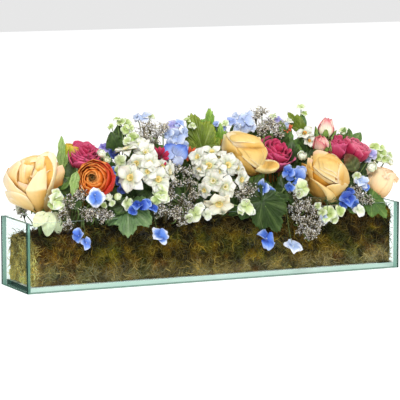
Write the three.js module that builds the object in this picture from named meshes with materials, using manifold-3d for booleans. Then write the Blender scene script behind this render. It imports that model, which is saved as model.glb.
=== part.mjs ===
// Long glass trough filled with moss and planted with an arrangement of roses,
// ranunculus, peonies, narcissus, hydrangea, leaves and fine filler sprays.
// Millimetres, +Z up. X runs along the trough, the front is -Y, and the origin is
// the centre of the trough's underside, where it rests on a table.
import * as THREE from "three";
import { mergeVertices } from "three/addons/utils/BufferGeometryUtils.js";
import Module from "manifold-3d";

const wasm = await Module();
wasm.setup();

// ---------------------------------------------------------------- dimensions
const TROUGH_LENGTH = 610; // outside
const TROUGH_DEPTH = 108; // outside
const TROUGH_HEIGHT = 102;
const WALL = 6; // thickness of the four glass walls
const BASE = 8; // thickness of the glass base
const SEAM = 0.2; // bonded seam between two sheets of glass
const FOAM = { x: 556, y: 50, z0: 8.4, z1: 72 }; // block that holds the stems
const MOSS = { x: 594, y: 92.4, z0: 8.4, z1: 91 }; // moss packed round and over it
const GAP = 0.35; // room between a piece and what passes by or through it
const PETAL_T = 2.0; // thickness of a small flower's disc of petals
const LEAF_T = 1.8;

// ------------------------------------------------------------------- plants
// Each plant is one piece: its stalks (radius, then the points they pass) and
// its heads. A bloom is base point, axis, radius, height; a floret, star or bud
// is centre, facing, radius; a leaf is stem end, tip, face normal, width; a puff
// is centre, up, radius, half height. Stalks start in the foam block.
const PLANTS = [
  {"name":"rose_left","heads":[["bloom",[-268.5,3.0,117.3],[-0.268,-0.332,0.905],36,78]],"stalks":[[3.0,[[-260.7,1.5,40.0],[-262.6,4.7,81.1],[-264.2,5.0,93.9],[-269.2,2.3,119.2]]]]},
  {"name":"rose_centre","heads":[["bloom",[77.6,-7.3,146.6],[-0.456,-0.022,0.89],36,66]],"stalks":[[3.0,[[77.8,-6.3,40.0],[82.3,-10.6,95.7],[82.3,-10.8,113.4],[80.4,-9.7,130.9],[76.6,-6.9,148.4]]]]},
  {"name":"rose_right","heads":[["bloom",[177.7,-7.9,115.1],[0.186,-0.592,0.784],36,68]],"stalks":[[3.0,[[177.5,-6.6,40.0],[177.6,-3.8,92.4],[178.1,-9.0,116.7]]]]},
  {"name":"rose_end","heads":[["bloom",[278.7,-21.9,105.1],[0.393,0.077,0.916],24,50]],"stalks":[[2.6,[[270.0,-12.3,40.0],[272.7,-17.5,73.9],[279.4,-21.8,106.9]]]]},
  {"name":"rose_back_left","heads":[["bloom",[-178.0,22.0,124.0],[-0.226,0.738,0.636],36,66]],"stalks":[[3.0,[[-172.7,7.7,40.0],[-173.7,9.6,85.6],[-174.8,12.3,99.6],[-176.4,17.0,112.7],[-178.5,23.5,125.3]]]]},
  {"name":"rose_back_right","heads":[["bloom",[132.0,26.0,128.0],[0.186,0.725,0.663],36,68]],"stalks":[[3.0,[[129.7,9.5,40.0],[129.5,12.3,87.5],[129.9,15.5,102.1],[130.9,20.6,116.0],[132.4,27.5,129.3]]]]},
  {"name":"ranunculus_orange","heads":[["bloom",[-182.0,-29.4,154.9],[-0.626,-0.743,0.239],27,34]],"stalks":[[2.2,[[-174.0,-9.5,40.0],[-172.0,-10.4,84.8],[-171.6,-12.1,106.1],[-172.9,-15.9,125.2],[-176.5,-22.5,141.6],[-183.3,-30.9,155.4]]]]},
  {"name":"ranunculus_yellow","heads":[["bloom",[-216.8,0.4,183.3],[0.308,-0.187,0.933],13.5,26]],"stalks":[[1.8,[[-211.5,-0.4,40.0],[-219.2,2.6,137.1],[-218.6,1.8,161.0],[-216.2,0.1,185.2]]]]},
  {"name":"peony_left","heads":[["bloom",[-200.2,-1.1,173.0],[0.031,-0.467,0.884],23,38]],"stalks":[[2.2,[[-197.8,5.6,40.0],[-199.3,7.6,108.8],[-199.8,6.5,130.8],[-200.1,3.2,152.7],[-200.1,-2.1,174.7]]]]},
  {"name":"peony_centre","heads":[["bloom",[118.3,19.6,156.8],[0.081,-0.566,0.82],26,48]],"stalks":[[2.2,[[115.2,6.1,40.0],[114.5,19.7,119.7],[116.1,20.3,139.1],[118.7,18.6,158.6]]]]},
  {"name":"peony_right","heads":[["bloom",[224.5,6.9,158.9],[0.013,-0.214,0.977],16,46]],"stalks":[[2.0,[[216.6,-0.3,40.0],[222.0,7.0,120.3],[224.5,6.5,160.9]]]]},
  {"name":"ranunculus_crimson","heads":[["bloom",[248.6,2.1,164.8],[0.383,-0.38,0.842],21.5,32]],"stalks":[[2.2,[[241.4,3.6,40.0],[240.9,7.0,105.1],[242.2,6.8,125.8],[245.1,4.9,146.2],[249.4,1.3,166.5]]]]},
  {"name":"rosebud_spray","heads":[["bloom",[208.7,10.3,196.1],[0.103,-0.136,0.985],13.5,33],["bloom",[198.5,-3.7,178.9],[-0.374,-0.321,0.87],13,27]],"stalks":[[1.8,[[197.5,1.2,40.0],[198.9,2.1,95.9],[200.9,4.6,132.3],[200.7,2.1,151.8]]],[1.26,[[200.7,2.1,151.8],[208.9,10.0,198.0]]],[1.26,[[200.7,2.1,151.8],[201.0,2.9,157.2],[197.7,-4.3,180.7]]]]},
  {"name":"ranunculus_back","heads":[["bloom",[-22.0,46.0,140.0],[0.05,0.799,0.599],26,34]],"stalks":[[2.2,[[-18.5,16.2,40.0],[-20.2,21.0,77.2],[-21.7,25.5,94.9],[-24.6,34.6,110.1],[-22.7,40.4,127.3],[-21.9,47.6,141.2]]]]},
  {"name":"peony_back","heads":[["bloom",[228.0,30.0,118.0],[0.351,0.621,0.701],24,42]],"stalks":[[2.2,[[222.3,13.3,40.0],[222.8,17.5,82.0],[223.9,20.8,94.9],[228.7,31.2,119.4]]]]},
  {"name":"narcissus_left","heads":[["star",[-132.0,-12.0,196.5],[-0.387,-0.094,0.917],17.4],["star",[-107.8,-26.0,193.0],[-0.259,-0.787,0.56],16.6],["star",[-125.3,-34.0,179.1],[-0.546,-0.808,0.222],14.9],["star",[-141.5,-50.0,160.2],[-0.662,-0.701,0.266],19.8],["star",[-107.5,-40.0,178.9],[-0.129,-0.748,0.651],14.9],["star",[-99.2,-50.0,155.9],[-0.071,-0.974,0.215],18.2],["star",[-78.6,-42.0,165.1],[0.697,-0.702,0.144],16.6]],"stalks":[[1.9,[[-107.0,-8.7,40.0],[-108.0,-13.1,78.9],[-111.2,-27.5,154.4]]],[1.33,[[-111.2,-27.5,154.4],[-131.6,-11.9,195.5]]],[1.33,[[-111.2,-27.5,154.4],[-108.2,-24.5,180.1],[-107.5,-25.2,192.5]]],[1.33,[[-111.2,-27.5,154.4],[-117.5,-29.4,167.4],[-124.8,-33.2,178.9]]],[1.33,[[-111.2,-27.5,154.4],[-120.9,-34.4,157.4],[-140.9,-49.3,160.0]]],[1.33,[[-111.2,-27.5,154.4],[-107.4,-39.3,178.2]]],[1.33,[[-111.2,-27.5,154.4],[-99.1,-49.0,155.7]]],[1.33,[[-111.2,-27.5,154.4],[-100.9,-31.5,159.2],[-79.3,-41.3,165.0]]]]},
  {"name":"narcissus_centre","heads":[["star",[-10.0,-38.0,170.4],[-0.455,-0.848,0.273],18.4],["star",[-23.5,-30.0,182.9],[-0.801,-0.402,0.443],14.2],["star",[3.5,-20.0,187.4],[-0.211,-0.449,0.868],14.3],["star",[18.6,-40.0,169.9],[0.05,-0.95,0.307],18.5],["star",[-8.3,-50.0,149.2],[-0.635,-0.763,0.12],15.9],["star",[9.0,-54.0,139.8],[-0.281,-0.952,0.123],16.7],["star",[38.3,-44.0,148.4],[0.4,-0.916,-0.018],16.0],["star",[-3.1,-58.0,118.5],[-0.271,-0.694,-0.668],22.2]],"stalks":[[1.9,[[3.8,-13.8,40.0],[3.6,-21.1,91.8],[3.5,-32.9,142.5]]],[1.33,[[3.5,-32.9,142.5],[-4.9,-34.5,161.5],[-9.6,-37.2,170.1]]],[1.33,[[3.5,-32.9,142.5],[-12.2,-27.9,170.2],[-17.4,-27.5,176.3],[-22.7,-29.6,182.4]]],[1.33,[[3.5,-32.9,142.5],[4.0,-22.7,171.8],[3.7,-19.6,186.5]]],[1.33,[[3.5,-32.9,142.5],[11.3,-34.7,156.8],[18.6,-39.0,169.6]]],[1.33,[[3.5,-32.9,142.5],[-7.7,-49.2,149.0]]],[1.33,[[3.5,-32.9,142.5],[9.2,-53.0,139.6]]],[1.33,[[3.5,-32.9,142.5],[21.1,-36.6,146.7],[37.9,-43.1,148.4]]],[1.33,[[3.5,-32.9,142.5],[1.3,-41.7,136.4],[-2.9,-57.3,119.1]]]]},
  {"name":"narcissus_right","heads":[["star",[174.2,8.0,206.1],[-0.475,-0.531,0.702],13.0],["star",[178.0,2.0,195.8],[-0.097,-0.925,0.367],9.2]],"stalks":[[1.6,[[173.8,7.6,40.0],[175.2,6.6,157.9]]],[1.12,[[175.2,6.6,157.9],[175.8,9.3,189.9],[174.6,8.5,205.4]]],[1.12,[[175.2,6.6,157.9],[177.4,5.7,183.5],[178.1,2.9,195.4]]]]},
  {"name":"narcissus_back","heads":[["star",[60.0,62.0,158.0],[0.101,0.858,0.504],16],["star",[84.0,66.0,140.0],[0.302,0.905,0.302],16],["star",[46.0,72.0,134.0],[-0.202,0.958,0.202],16],["star",[68.0,74.0,122.0],[0.1,0.995,0.0],16],["star",[92.0,58.0,160.0],[0.398,0.597,0.697],15]],"stalks":[[1.9,[[66.6,21.0,40.0],[67.4,27.9,72.1],[68.2,32.9,87.2],[70.5,45.7,118.4],[68.9,52.2,131.5]]],[1.33,[[68.9,52.2,131.5],[64.1,55.7,144.9],[59.9,61.1,157.5]]],[1.33,[[68.9,52.2,131.5],[83.7,65.1,139.7]]],[1.33,[[68.9,52.2,131.5],[61.0,58.0,133.3],[46.2,71.0,133.8]]],[1.33,[[68.9,52.2,131.5],[67.9,73.0,122.0]]],[1.33,[[68.9,52.2,131.5],[80.1,54.0,145.8],[91.6,57.4,159.3]]]]},
  {"name":"hydrangea_blue_left","heads":[["floret",[-232.2,-70.0,82.8],[-0.776,-0.436,0.456],11.6],["floret",[-222.2,-72.0,72.3],[0.241,-0.924,0.297],11.6],["floret",[-206.1,-68.0,137.0],[-0.277,-0.951,-0.136],14.4]],"stalks":[[1.3,[[-206.8,-21.0,40.0],[-208.3,-25.7,66.2],[-209.4,-29.3,78.6],[-213.9,-44.0,112.0]]],[0.91,[[-213.9,-44.0,112.0],[-216.6,-48.7,108.2],[-222.6,-57.7,105.7],[-225.2,-61.6,95.1],[-231.4,-69.4,82.6]]],[0.91,[[-213.9,-44.0,112.0],[-218.1,-53.4,106.0],[-219.6,-57.4,105.6],[-220.3,-61.6,90.6],[-222.1,-71.0,72.5]]],[0.91,[[-213.9,-44.0,112.0],[-209.1,-54.5,125.3],[-205.8,-67.1,136.8]]]]},
  {"name":"hydrangea_blue_upper_left","heads":[["floret",[-160.3,4.0,199.9],[0.104,-0.492,0.865],11.0],["floret",[-150.0,0.0,190.9],[0.073,-0.798,0.598],9.6],["floret",[-160.5,-26.0,167.5],[-0.212,-0.924,0.319],8.8],["floret",[-154.5,-34.0,154.8],[-0.121,-0.968,0.218],8.8],["floret",[-152.5,-44.0,144.0],[-0.233,-0.969,-0.081],8.7]],"stalks":[[1.3,[[-150.5,-5.8,40.0],[-151.5,-8.5,91.0],[-153.2,-13.2,141.8]]],[0.91,[[-153.2,-13.2,141.8],[-159.5,2.6,189.2],[-160.4,4.5,199.0]]],[0.91,[[-153.2,-13.2,141.8],[-151.2,-1.6,174.5],[-150.1,0.8,190.3]]],[0.91,[[-153.2,-13.2,141.8],[-156.6,-18.1,155.1],[-160.3,-25.1,167.2]]],[0.91,[[-153.2,-13.2,141.8],[-154.3,-33.0,154.6]]],[0.91,[[-153.2,-13.2,141.8],[-152.6,-22.8,143.8],[-152.2,-43.0,144.1]]]]},
  {"name":"hydrangea_blue_low_centre","heads":[["floret",[-134.2,-62.0,120.8],[-0.363,-0.415,0.834],15.3],["floret",[-111.9,-62.0,115.9],[0.107,-0.72,0.686],9.5],["floret",[-106.1,-72.0,75.6],[0.003,-0.831,0.556],16.8]],"stalks":[[1.3,[[-115.1,-21.0,40.0],[-115.4,-29.1,78.6],[-116.2,-44.0,112.0]]],[0.91,[[-116.2,-44.0,112.0],[-133.8,-61.2,120.5]]],[0.91,[[-116.2,-44.0,112.0],[-111.8,-61.0,115.7]]],[0.91,[[-116.2,-44.0,112.0],[-110.9,-54.3,109.0],[-108.8,-58.5,102.1],[-107.2,-62.4,90.1],[-105.7,-71.1,75.5]]]]},
  {"name":"hydrangea_blue_top_left","heads":[["floret",[-93.0,14.0,240.7],[-0.401,-0.138,0.906],13.4],["floret",[-46.7,12.0,227.1],[-0.427,-0.67,0.607],11.2],["floret",[-44.6,2.0,211.4],[-0.293,-0.86,0.418],14.9],["floret",[-58.2,-24.0,185.4],[-0.379,-0.925,-0.027],18.6]],"stalks":[[1.3,[[-57.7,1.1,40.0],[-59.1,1.4,166.3]]],[0.91,[[-59.1,1.4,166.3],[-80.9,11.9,215.3],[-92.5,14.4,239.9]]],[0.91,[[-59.1,1.4,166.3],[-49.0,11.6,206.8],[-47.2,13.1,216.5],[-46.3,12.7,226.5]]],[0.91,[[-59.1,1.4,166.3],[-48.2,4.4,196.7],[-44.3,2.9,211.0]]],[0.91,[[-59.1,1.4,166.3],[-57.9,-10.1,176.5],[-57.9,-23.1,185.1]]]]},
  {"name":"hydrangea_blue_top_centre","heads":[["floret",[73.1,12.0,228.3],[-0.205,-0.798,0.567],18.1],["floret",[53.3,18.0,228.5],[-0.511,-0.598,0.618],9.8],["floret",[35.6,16.0,220.3],[-0.562,-0.711,0.422],8.3],["floret",[136.6,22.0,227.9],[0.008,-0.71,0.704],10.7]],"stalks":[[1.3,[[73.4,7.8,40.0],[74.1,10.7,105.3],[76.0,15.3,146.5],[74.2,13.2,171.8]]],[0.91,[[74.2,13.2,171.8],[82.8,25.3,178.8],[75.8,17.3,209.9],[73.3,12.9,227.8]]],[0.91,[[74.2,13.2,171.8],[79.3,27.5,179.0],[53.8,18.6,227.9]]],[0.91,[[74.2,13.2,171.8],[75.4,29.1,177.6],[49.8,25.8,206.1],[36.2,16.7,219.9]]],[0.91,[[74.2,13.2,171.8],[90.6,21.8,180.3],[98.3,21.0,190.8],[128.1,23.4,217.5],[136.6,22.7,227.2]]]]},
  {"name":"hydrangea_blue_mid_right","heads":[["floret",[131.3,-44.0,145.3],[-0.455,-0.848,0.273],18.8],["floret",[72.4,-54.0,135.8],[-0.96,-0.216,0.18],13.4],["floret",[68.3,-71.0,60.6],[0.271,-0.759,0.592],19.4],["floret",[112.6,-73.0,46.1],[0.018,-0.691,0.723],16.5]],"stalks":[[1.3,[[94.7,-20.0,40.0],[95.1,-27.5,78.6],[95.8,-41.8,112.0]]],[0.91,[[95.8,-41.8,112.0],[101.7,-40.1,118.2],[122.0,-40.5,134.8],[131.7,-43.2,145.0]]],[0.91,[[95.8,-41.8,112.0],[91.2,-41.6,117.1],[88.6,-42.6,122.5],[73.2,-53.4,135.6]]],[0.91,[[95.8,-41.8,112.0],[90.0,-44.5,108.3],[85.2,-44.5,105.7],[79.0,-43.0,98.4],[70.4,-41.6,100.8],[62.3,-46.5,114.5],[68.8,-70.1,60.5]]],[0.91,[[95.8,-41.8,112.0],[100.5,-48.4,107.5],[108.0,-57.9,105.3],[110.5,-61.8,77.1],[112.0,-66.5,59.0],[112.9,-72.1,45.9]]]]},
  {"name":"hydrangea_blue_right","heads":[["floret",[214.0,-56.0,111.9],[-0.238,-0.748,0.619],14.4],["floret",[244.5,-44.0,134.3],[-0.087,-0.787,0.61],13.0],["floret",[280.2,-12.0,172.5],[-0.189,-0.886,0.422],10.0],["floret",[170.7,-62.0,83.7],[-0.595,-0.78,-0.192],9.1],["floret",[229.6,-64.0,92.9],[-0.003,-0.88,0.475],12.1]],"stalks":[[1.3,[[221.9,-15.7,40.0],[223.0,-21.1,78.7],[223.6,-24.2,90.7],[225.3,-32.8,113.1]]],[0.91,[[225.3,-32.8,113.1],[221.8,-40.2,113.6],[214.4,-55.1,111.7]]],[0.91,[[225.3,-32.8,113.1],[239.4,-38.8,127.3],[244.8,-43.1,133.9]]],[0.91,[[225.3,-32.8,113.1],[234.6,-28.3,124.2],[264.6,-14.2,153.2],[273.1,-11.8,162.5],[280.4,-11.1,172.1]]],[0.91,[[225.3,-32.8,113.1],[197.4,-45.5,105.9],[181.4,-53.9,106.1],[171.3,-61.2,83.9]]],[0.91,[[225.3,-32.8,113.1],[228.1,-48.4,106.3],[228.2,-53.4,107.6],[229.1,-58.0,103.4],[229.7,-63.0,92.9]]]]},
  {"name":"hydrangea_green_left","heads":[["floret",[-256.9,-44.0,133.4],[0.473,-0.873,0.124],15.1],["bud",[-176.3,-22.0,193.8],[-0.337,-0.717,0.61],7.7],["bud",[-169.9,-26.0,185.0],[-0.101,-0.942,0.32],6.6],["bud",[-181.5,-58.0,135.3],[-0.387,-0.822,0.417],6.9],["bud",[-168.1,-58.0,134.6],[0.546,-0.82,0.17],6.2]],"stalks":[[1.3,[[-185.0,-19.6,40.0],[-186.0,-23.3,86.9],[-187.9,-30.4,133.1]]],[0.91,[[-187.9,-30.4,133.1],[-199.8,-31.7,135.0],[-224.0,-34.3,134.3],[-246.6,-39.3,132.5],[-256.6,-43.1,133.1]]],[0.91,[[-187.9,-30.4,133.1],[-183.7,-23.8,141.4],[-180.0,-19.0,151.1],[-176.8,-18.2,172.5],[-175.0,-19.3,191.5]]],[0.91,[[-187.9,-30.4,133.1],[-179.3,-20.3,149.0],[-176.1,-19.5,159.0],[-169.6,-22.9,183.9]]],[0.91,[[-187.9,-30.4,133.1],[-183.0,-42.5,134.0],[-180.1,-55.2,133.9]]],[0.91,[[-187.9,-30.4,133.1],[-182.0,-38.4,134.9],[-169.8,-55.5,134.1]]]]},
  {"name":"lime_bracts_left","heads":[["oval",[-267.0,-30.0,114.9],[-288.9,-38.0,96.7],[-0.223,-0.764,0.605],20.2],["oval",[-262.4,-34.0,115.1],[-270.5,-42.0,81.6],[-0.397,-0.866,0.303],21.7],["oval",[-256.2,-34.0,114.7],[-250.3,-42.0,83.3],[-0.221,-0.954,0.201],17.3]],"stalks":[[1.3,[[-253.8,-11.8,40.0],[-255.2,-15.1,78.0],[-257.5,-20.4,101.1],[-259.1,-24.2,112.0]]],[0.91,[[-259.1,-24.2,112.0],[-267.8,-28.5,112.8],[-271.4,-31.6,111.2]]],[0.91,[[-259.1,-24.2,112.0],[-261.6,-30.3,111.5],[-264.0,-35.6,108.4]]],[0.91,[[-259.1,-24.2,112.0],[-256.8,-30.2,111.5],[-255.0,-35.6,108.5]]]]},
  {"name":"hydrangea_green_top_left","heads":[["floret",[-131.1,10.0,235.9],[-0.215,-0.69,0.691],8.1],["floret",[-147.2,8.0,230.0],[-0.684,-0.262,0.68],6.6],["floret",[-126.5,4.0,225.1],[-0.196,-0.889,0.414],8.9],["floret",[-117.8,0.0,213.2],[-0.31,-0.895,0.321],9.6],["floret",[-148.5,-26.0,183.1],[-0.575,-0.754,0.318],11.0],["floret",[-153.5,-32.0,168.5],[-0.51,-0.851,0.124],8.8],["floret",[-143.6,-44.0,173.6],[-0.415,-0.882,0.223],5.8]],"stalks":[[1.3,[[-133.0,-3.2,40.0],[-136.7,-8.8,179.4]]],[0.91,[[-136.7,-8.8,179.4],[-131.8,3.4,195.3],[-129.1,10.4,226.2],[-130.9,10.7,235.2]]],[0.91,[[-136.7,-8.8,179.4],[-140.8,-0.7,196.1],[-141.5,1.0,204.7],[-146.5,8.3,229.4]]],[0.91,[[-136.7,-8.8,179.4],[-128.6,-0.5,193.8],[-128.3,3.8,210.0],[-126.3,4.9,224.7]]],[0.91,[[-136.7,-8.8,179.4],[-125.8,0.4,196.2],[-122.4,1.7,201.9],[-117.5,0.9,212.9]]],[0.91,[[-136.7,-8.8,179.4],[-147.9,-25.2,182.8]]],[0.91,[[-136.7,-8.8,179.4],[-142.3,-16.4,176.7],[-153.0,-31.1,168.4]]],[0.91,[[-136.7,-8.8,179.4],[-138.6,-20.3,178.7],[-143.2,-43.1,173.4]]]]},
  {"name":"hydrangea_green_centre","heads":[["floret",[-97.2,-58.0,136.8],[-0.613,-0.697,0.372],14.6],["floret",[-45.3,-66.0,105.3],[-0.682,-0.6,0.417],15.4],["floret",[-24.8,-64.0,102.5],[-0.135,-0.991,0.019],9.6],["floret",[40.3,-62.0,109.9],[-0.024,-0.887,0.461],14.1],["floret",[-151.4,-56.0,124.7],[0.509,-0.843,0.172],11.6]],"stalks":[[1.3,[[-49.9,-20.7,40.0],[-51.0,-28.2,78.6],[-53.0,-42.5,112.0]]],[0.91,[[-53.0,-42.5,112.0],[-75.0,-48.1,125.5],[-96.8,-57.1,136.6]]],[0.91,[[-53.0,-42.5,112.0],[-47.7,-54.0,109.1],[-44.7,-65.2,105.2]]],[0.91,[[-53.0,-42.5,112.0],[-42.3,-48.9,110.4],[-32.3,-55.3,106.9],[-24.7,-63.0,102.5]]],[0.91,[[-53.0,-42.5,112.0],[-18.6,-44.1,117.3],[-0.9,-45.1,117.2],[15.6,-48.6,114.1],[29.3,-54.6,110.8],[40.7,-61.1,109.6]]],[0.91,[[-53.0,-42.5,112.0],[-69.9,-43.8,117.7],[-89.2,-44.2,120.0],[-124.7,-46.6,122.1],[-137.9,-49.3,124.1],[-151.9,-55.2,124.6]]]]},
  {"name":"hydrangea_green_right","heads":[["floret",[138.0,-54.0,131.6],[0.014,-0.948,0.317],15.0],["bud",[158.3,-14.0,172.9],[-0.306,-0.651,0.695],8.4],["floret",[178.5,-60.0,90.7],[-0.58,-0.629,0.517],15.1],["floret",[199.0,-60.0,94.1],[-0.121,-0.968,0.218],9.8]],"stalks":[[1.3,[[164.1,-15.7,40.0],[164.9,-20.8,79.2],[166.8,-32.2,114.5]]],[0.91,[[166.8,-32.2,114.5],[157.4,-38.2,121.3],[138.3,-53.1,131.4]]],[0.91,[[166.8,-32.2,114.5],[161.2,-27.5,122.5],[157.6,-21.4,131.4],[156.4,-16.2,141.4],[157.9,-13.2,151.4],[159.5,-11.3,170.0]]],[0.91,[[166.8,-32.2,114.5],[174.7,-46.4,107.7],[176.5,-50.7,108.8],[177.6,-55.8,117.4],[179.0,-59.1,90.5]]],[0.91,[[166.8,-32.2,114.5],[185.4,-44.4,108.3],[191.0,-49.6,109.6],[195.3,-54.0,115.2],[199.2,-59.0,93.9]]]]},
  {"name":"hydrangea_green_end","heads":[["floret",[289.2,-2.0,182.0],[-0.351,-0.51,0.786],10.0],["floret",[299.4,-6.0,172.6],[0.073,-0.798,0.598],10.0],["floret",[301.7,-10.0,164.4],[0.13,-0.942,0.309],8.5],["bud",[313.3,-10.0,156.8],[0.159,-0.853,0.497],5.4],["bud",[268.9,-32.0,153.4],[-0.337,-0.717,0.61],9.2],["floret",[243.1,12.0,207.5],[-0.429,-0.43,0.795],8.5]],"stalks":[[1.3,[[270.0,2.3,40.0],[273.7,1.1,98.3],[275.9,2.0,138.1],[282.2,-4.4,155.3]]],[0.91,[[282.2,-4.4,155.3],[289.6,-1.5,181.2]]],[0.91,[[282.2,-4.4,155.3],[294.1,-4.0,166.6],[299.4,-5.2,172.0]]],[0.91,[[282.2,-4.4,155.3],[292.0,-5.0,161.3],[301.6,-9.1,164.0]]],[0.91,[[282.2,-4.4,155.3],[292.9,-2.0,158.7],[298.8,-1.6,158.8],[309.5,-4.4,156.9],[312.8,-7.7,155.5]]],[0.91,[[282.2,-4.4,155.3],[275.7,-16.5,154.1],[270.5,-28.7,150.6]]],[0.91,[[282.2,-4.4,155.3],[277.6,1.0,164.5],[267.8,14.5,181.6],[259.0,16.0,190.0],[249.9,15.6,197.6],[243.5,12.4,206.7]]]]},
  {"name":"hydrangea_back_left","heads":[["floret",[-235.0,64.0,140.0],[-0.298,0.844,0.447],15],["floret",[-216.0,70.0,122.0],[0.0,0.98,0.2],15],["floret",[-250.0,66.0,118.0],[-0.301,0.954,0.0],14],["floret",[-228.0,76.0,96.0],[0.0,1.0,0.0],15],["floret",[-120.0,68.0,128.0],[0.0,0.954,0.301],15],["floret",[-104.0,72.0,108.0],[0.201,0.974,0.1],15]],"stalks":[[1.3,[[-186.2,20.0,40.0],[-186.5,22.4,53.5],[-187.4,29.8,79.2],[-189.4,46.6,112.9]]],[0.91,[[-189.4,46.6,112.9],[-198.7,48.5,113.8],[-207.3,50.8,118.2],[-221.3,56.0,129.6],[-234.7,63.2,139.6]]],[0.91,[[-189.4,46.6,112.9],[-194.6,49.9,112.7],[-199.6,53.4,114.3],[-216.0,69.0,121.8]]],[0.91,[[-189.4,46.6,112.9],[-220.9,53.4,117.1],[-240.8,60.3,117.2],[-249.7,65.0,118.0]]],[0.91,[[-189.4,46.6,112.9],[-210.9,55.5,108.9],[-217.3,56.5,108.7],[-223.0,54.1,114.6],[-228.0,43.0,96.0]]],[0.91,[[-189.4,46.6,112.9],[-177.3,50.0,112.7],[-164.9,52.0,118.1],[-140.4,57.7,122.7],[-120.0,67.0,127.7]]],[0.91,[[-189.4,46.6,112.9],[-174.2,51.3,112.8],[-159.2,53.9,114.6],[-144.1,56.1,112.5],[-129.7,59.6,110.1],[-116.4,64.7,108.3],[-104.2,71.0,107.9]]]]},
  {"name":"hydrangea_back_right","heads":[["floret",[176.0,74.0,118.0],[0.1,0.974,0.201],15],["floret",[192.0,68.0,138.0],[0.202,0.807,0.555],15],["floret",[18.0,74.0,112.0],[0.0,0.98,0.2],15],["floret",[4.0,70.0,128.0],[-0.101,0.909,0.404],15],["floret",[266.0,58.0,122.0],[0.497,0.795,0.348],15],["floret",[34.0,78.0,92.0],[0.0,1.0,0.0],15]],"stalks":[[1.3,[[111.1,20.4,40.0],[111.5,26.2,66.6],[111.9,30.4,79.1],[113.2,47.4,112.6]]],[0.91,[[113.2,47.4,112.6],[124.1,50.9,115.4],[146.6,58.0,116.8],[167.1,67.2,116.7],[175.9,73.0,117.8]]],[0.91,[[113.2,47.4,112.6],[155.3,54.9,121.3],[180.6,62.3,131.8],[191.8,67.2,137.4]]],[0.91,[[113.2,47.4,112.6],[98.5,45.8,121.0],[45.6,60.1,113.2],[30.9,65.9,111.7],[18.0,73.0,111.8]]],[0.91,[[113.2,47.4,112.6],[96.8,46.4,121.9],[36.6,57.5,123.0],[19.5,62.6,124.4],[4.1,69.1,127.6]]],[0.91,[[113.2,47.4,112.6],[165.1,47.7,118.5],[191.3,48.1,117.2],[216.6,50.3,113.3],[241.7,54.1,112.6],[265.5,57.2,121.7]]],[0.91,[[113.2,47.4,112.6],[99.1,43.1,118.8],[82.3,46.7,115.1],[68.5,51.1,110.5],[56.1,54.0,109.8],[44.4,53.0,120.7],[34.0,43.0,92.0]]]]},
  {"name":"leaf_top_centre","heads":[["lobed",[0.9,6.0,189.5],[-15.0,18.0,246.3],[-0.464,-0.884,0.057],56.9],["lobed",[6.1,10.0,191.9],[25.1,22.0,253.5],[-0.177,-0.954,0.24],40.7]],"stalks":[[1.5,[[3.4,2.8,40.0],[3.6,6.9,157.8]]],[1.05,[[3.6,6.9,157.8],[-1.7,7.2,191.3],[-1.5,8.3,198.9]]],[1.05,[[3.6,6.9,157.8],[7.9,9.9,179.1],[15.5,13.9,193.3],[9.0,12.0,201.3]]]]},
  {"name":"leaf_front_left","heads":[["lobed",[-144.7,-46.0,117.3],[-156.2,-72.0,81.5],[-0.313,-0.718,0.621],72.5]],"stalks":[[1.5,[[-158.5,-18.5,40.0],[-158.8,-27.3,75.6],[-157.4,-32.9,91.2],[-154.1,-38.8,102.7],[-148.5,-44.2,108.5],[-140.4,-48.8,108.7]]]]},
  {"name":"leaf_front_right","heads":[["lobed",[69.0,-56.0,115.9],[97.2,-70.0,69.3],[-0.232,-0.961,0.148],62.8],["lobed",[84.4,-52.0,117.6],[116.6,-58.0,119.6],[-0.189,-0.853,0.487],29.9]],"stalks":[[1.5,[[73.9,-20.6,40.0],[75.4,-27.1,78.5],[78.5,-40.0,112.0]]],[1.05,[[78.5,-40.0,112.0],[75.3,-50.0,111.6],[73.7,-58.6,107.4]]],[1.05,[[78.5,-40.0,112.0],[85.1,-45.7,116.5],[90.8,-53.2,118.0]]]]},
  {"name":"leaf_sprig_left","heads":[["oval",[-231.2,-8.0,169.0],[-230.7,-4.0,221.3],[-0.234,-0.969,0.076],16.0],["oval",[-220.7,-36.0,171.4],[-236.0,-50.0,141.7],[-0.547,-0.613,0.57],14.5],["oval",[-133.7,8.0,195.4],[-134.3,12.0,232.9],[-0.417,-0.904,0.091],20.7]],"stalks":[[1.5,[[-188.3,-5.3,40.0],[-193.5,-9.2,148.3]]],[1.05,[[-193.5,-9.2,148.3],[-219.8,-8.0,168.3],[-231.1,-7.2,179.0]]],[1.05,[[-193.5,-9.2,148.3],[-210.9,-21.1,161.9],[-216.3,-26.4,164.4],[-223.8,-38.8,165.5]]],[1.05,[[-193.5,-9.2,148.3],[-174.5,-2.8,167.6],[-142.7,8.0,192.7],[-133.5,8.8,202.7]]]]},
  {"name":"leaf_sprig_right","heads":[["lobed",[260.2,-46.0,107.6],[280.1,-64.0,82.4],[-0.092,-0.843,0.53],39.7],["oval",[244.3,-30.0,149.8],[229.3,-22.0,175.8],[-0.244,-0.958,0.154],24.5],["oval",[248.9,8.0,192.1],[252.9,14.0,211.6],[-0.568,-0.747,0.347],13.9]],"stalks":[[1.4,[[240.2,-11.1,40.0],[241.9,-13.4,85.8],[245.4,-17.8,131.0]]],[0.98,[[245.4,-17.8,131.0],[250.1,-30.4,124.5],[253.2,-35.7,119.7],[261.7,-44.8,108.5],[267.8,-48.8,102.9]]],[0.98,[[245.4,-17.8,131.0],[243.3,-25.6,147.1],[241.3,-28.4,155.0]]],[0.98,[[245.4,-17.8,131.0],[242.6,-7.3,152.5],[238.5,-0.3,162.0],[237.4,7.0,173.0],[240.8,12.1,186.7],[249.7,9.2,196.0]]]]},
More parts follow.
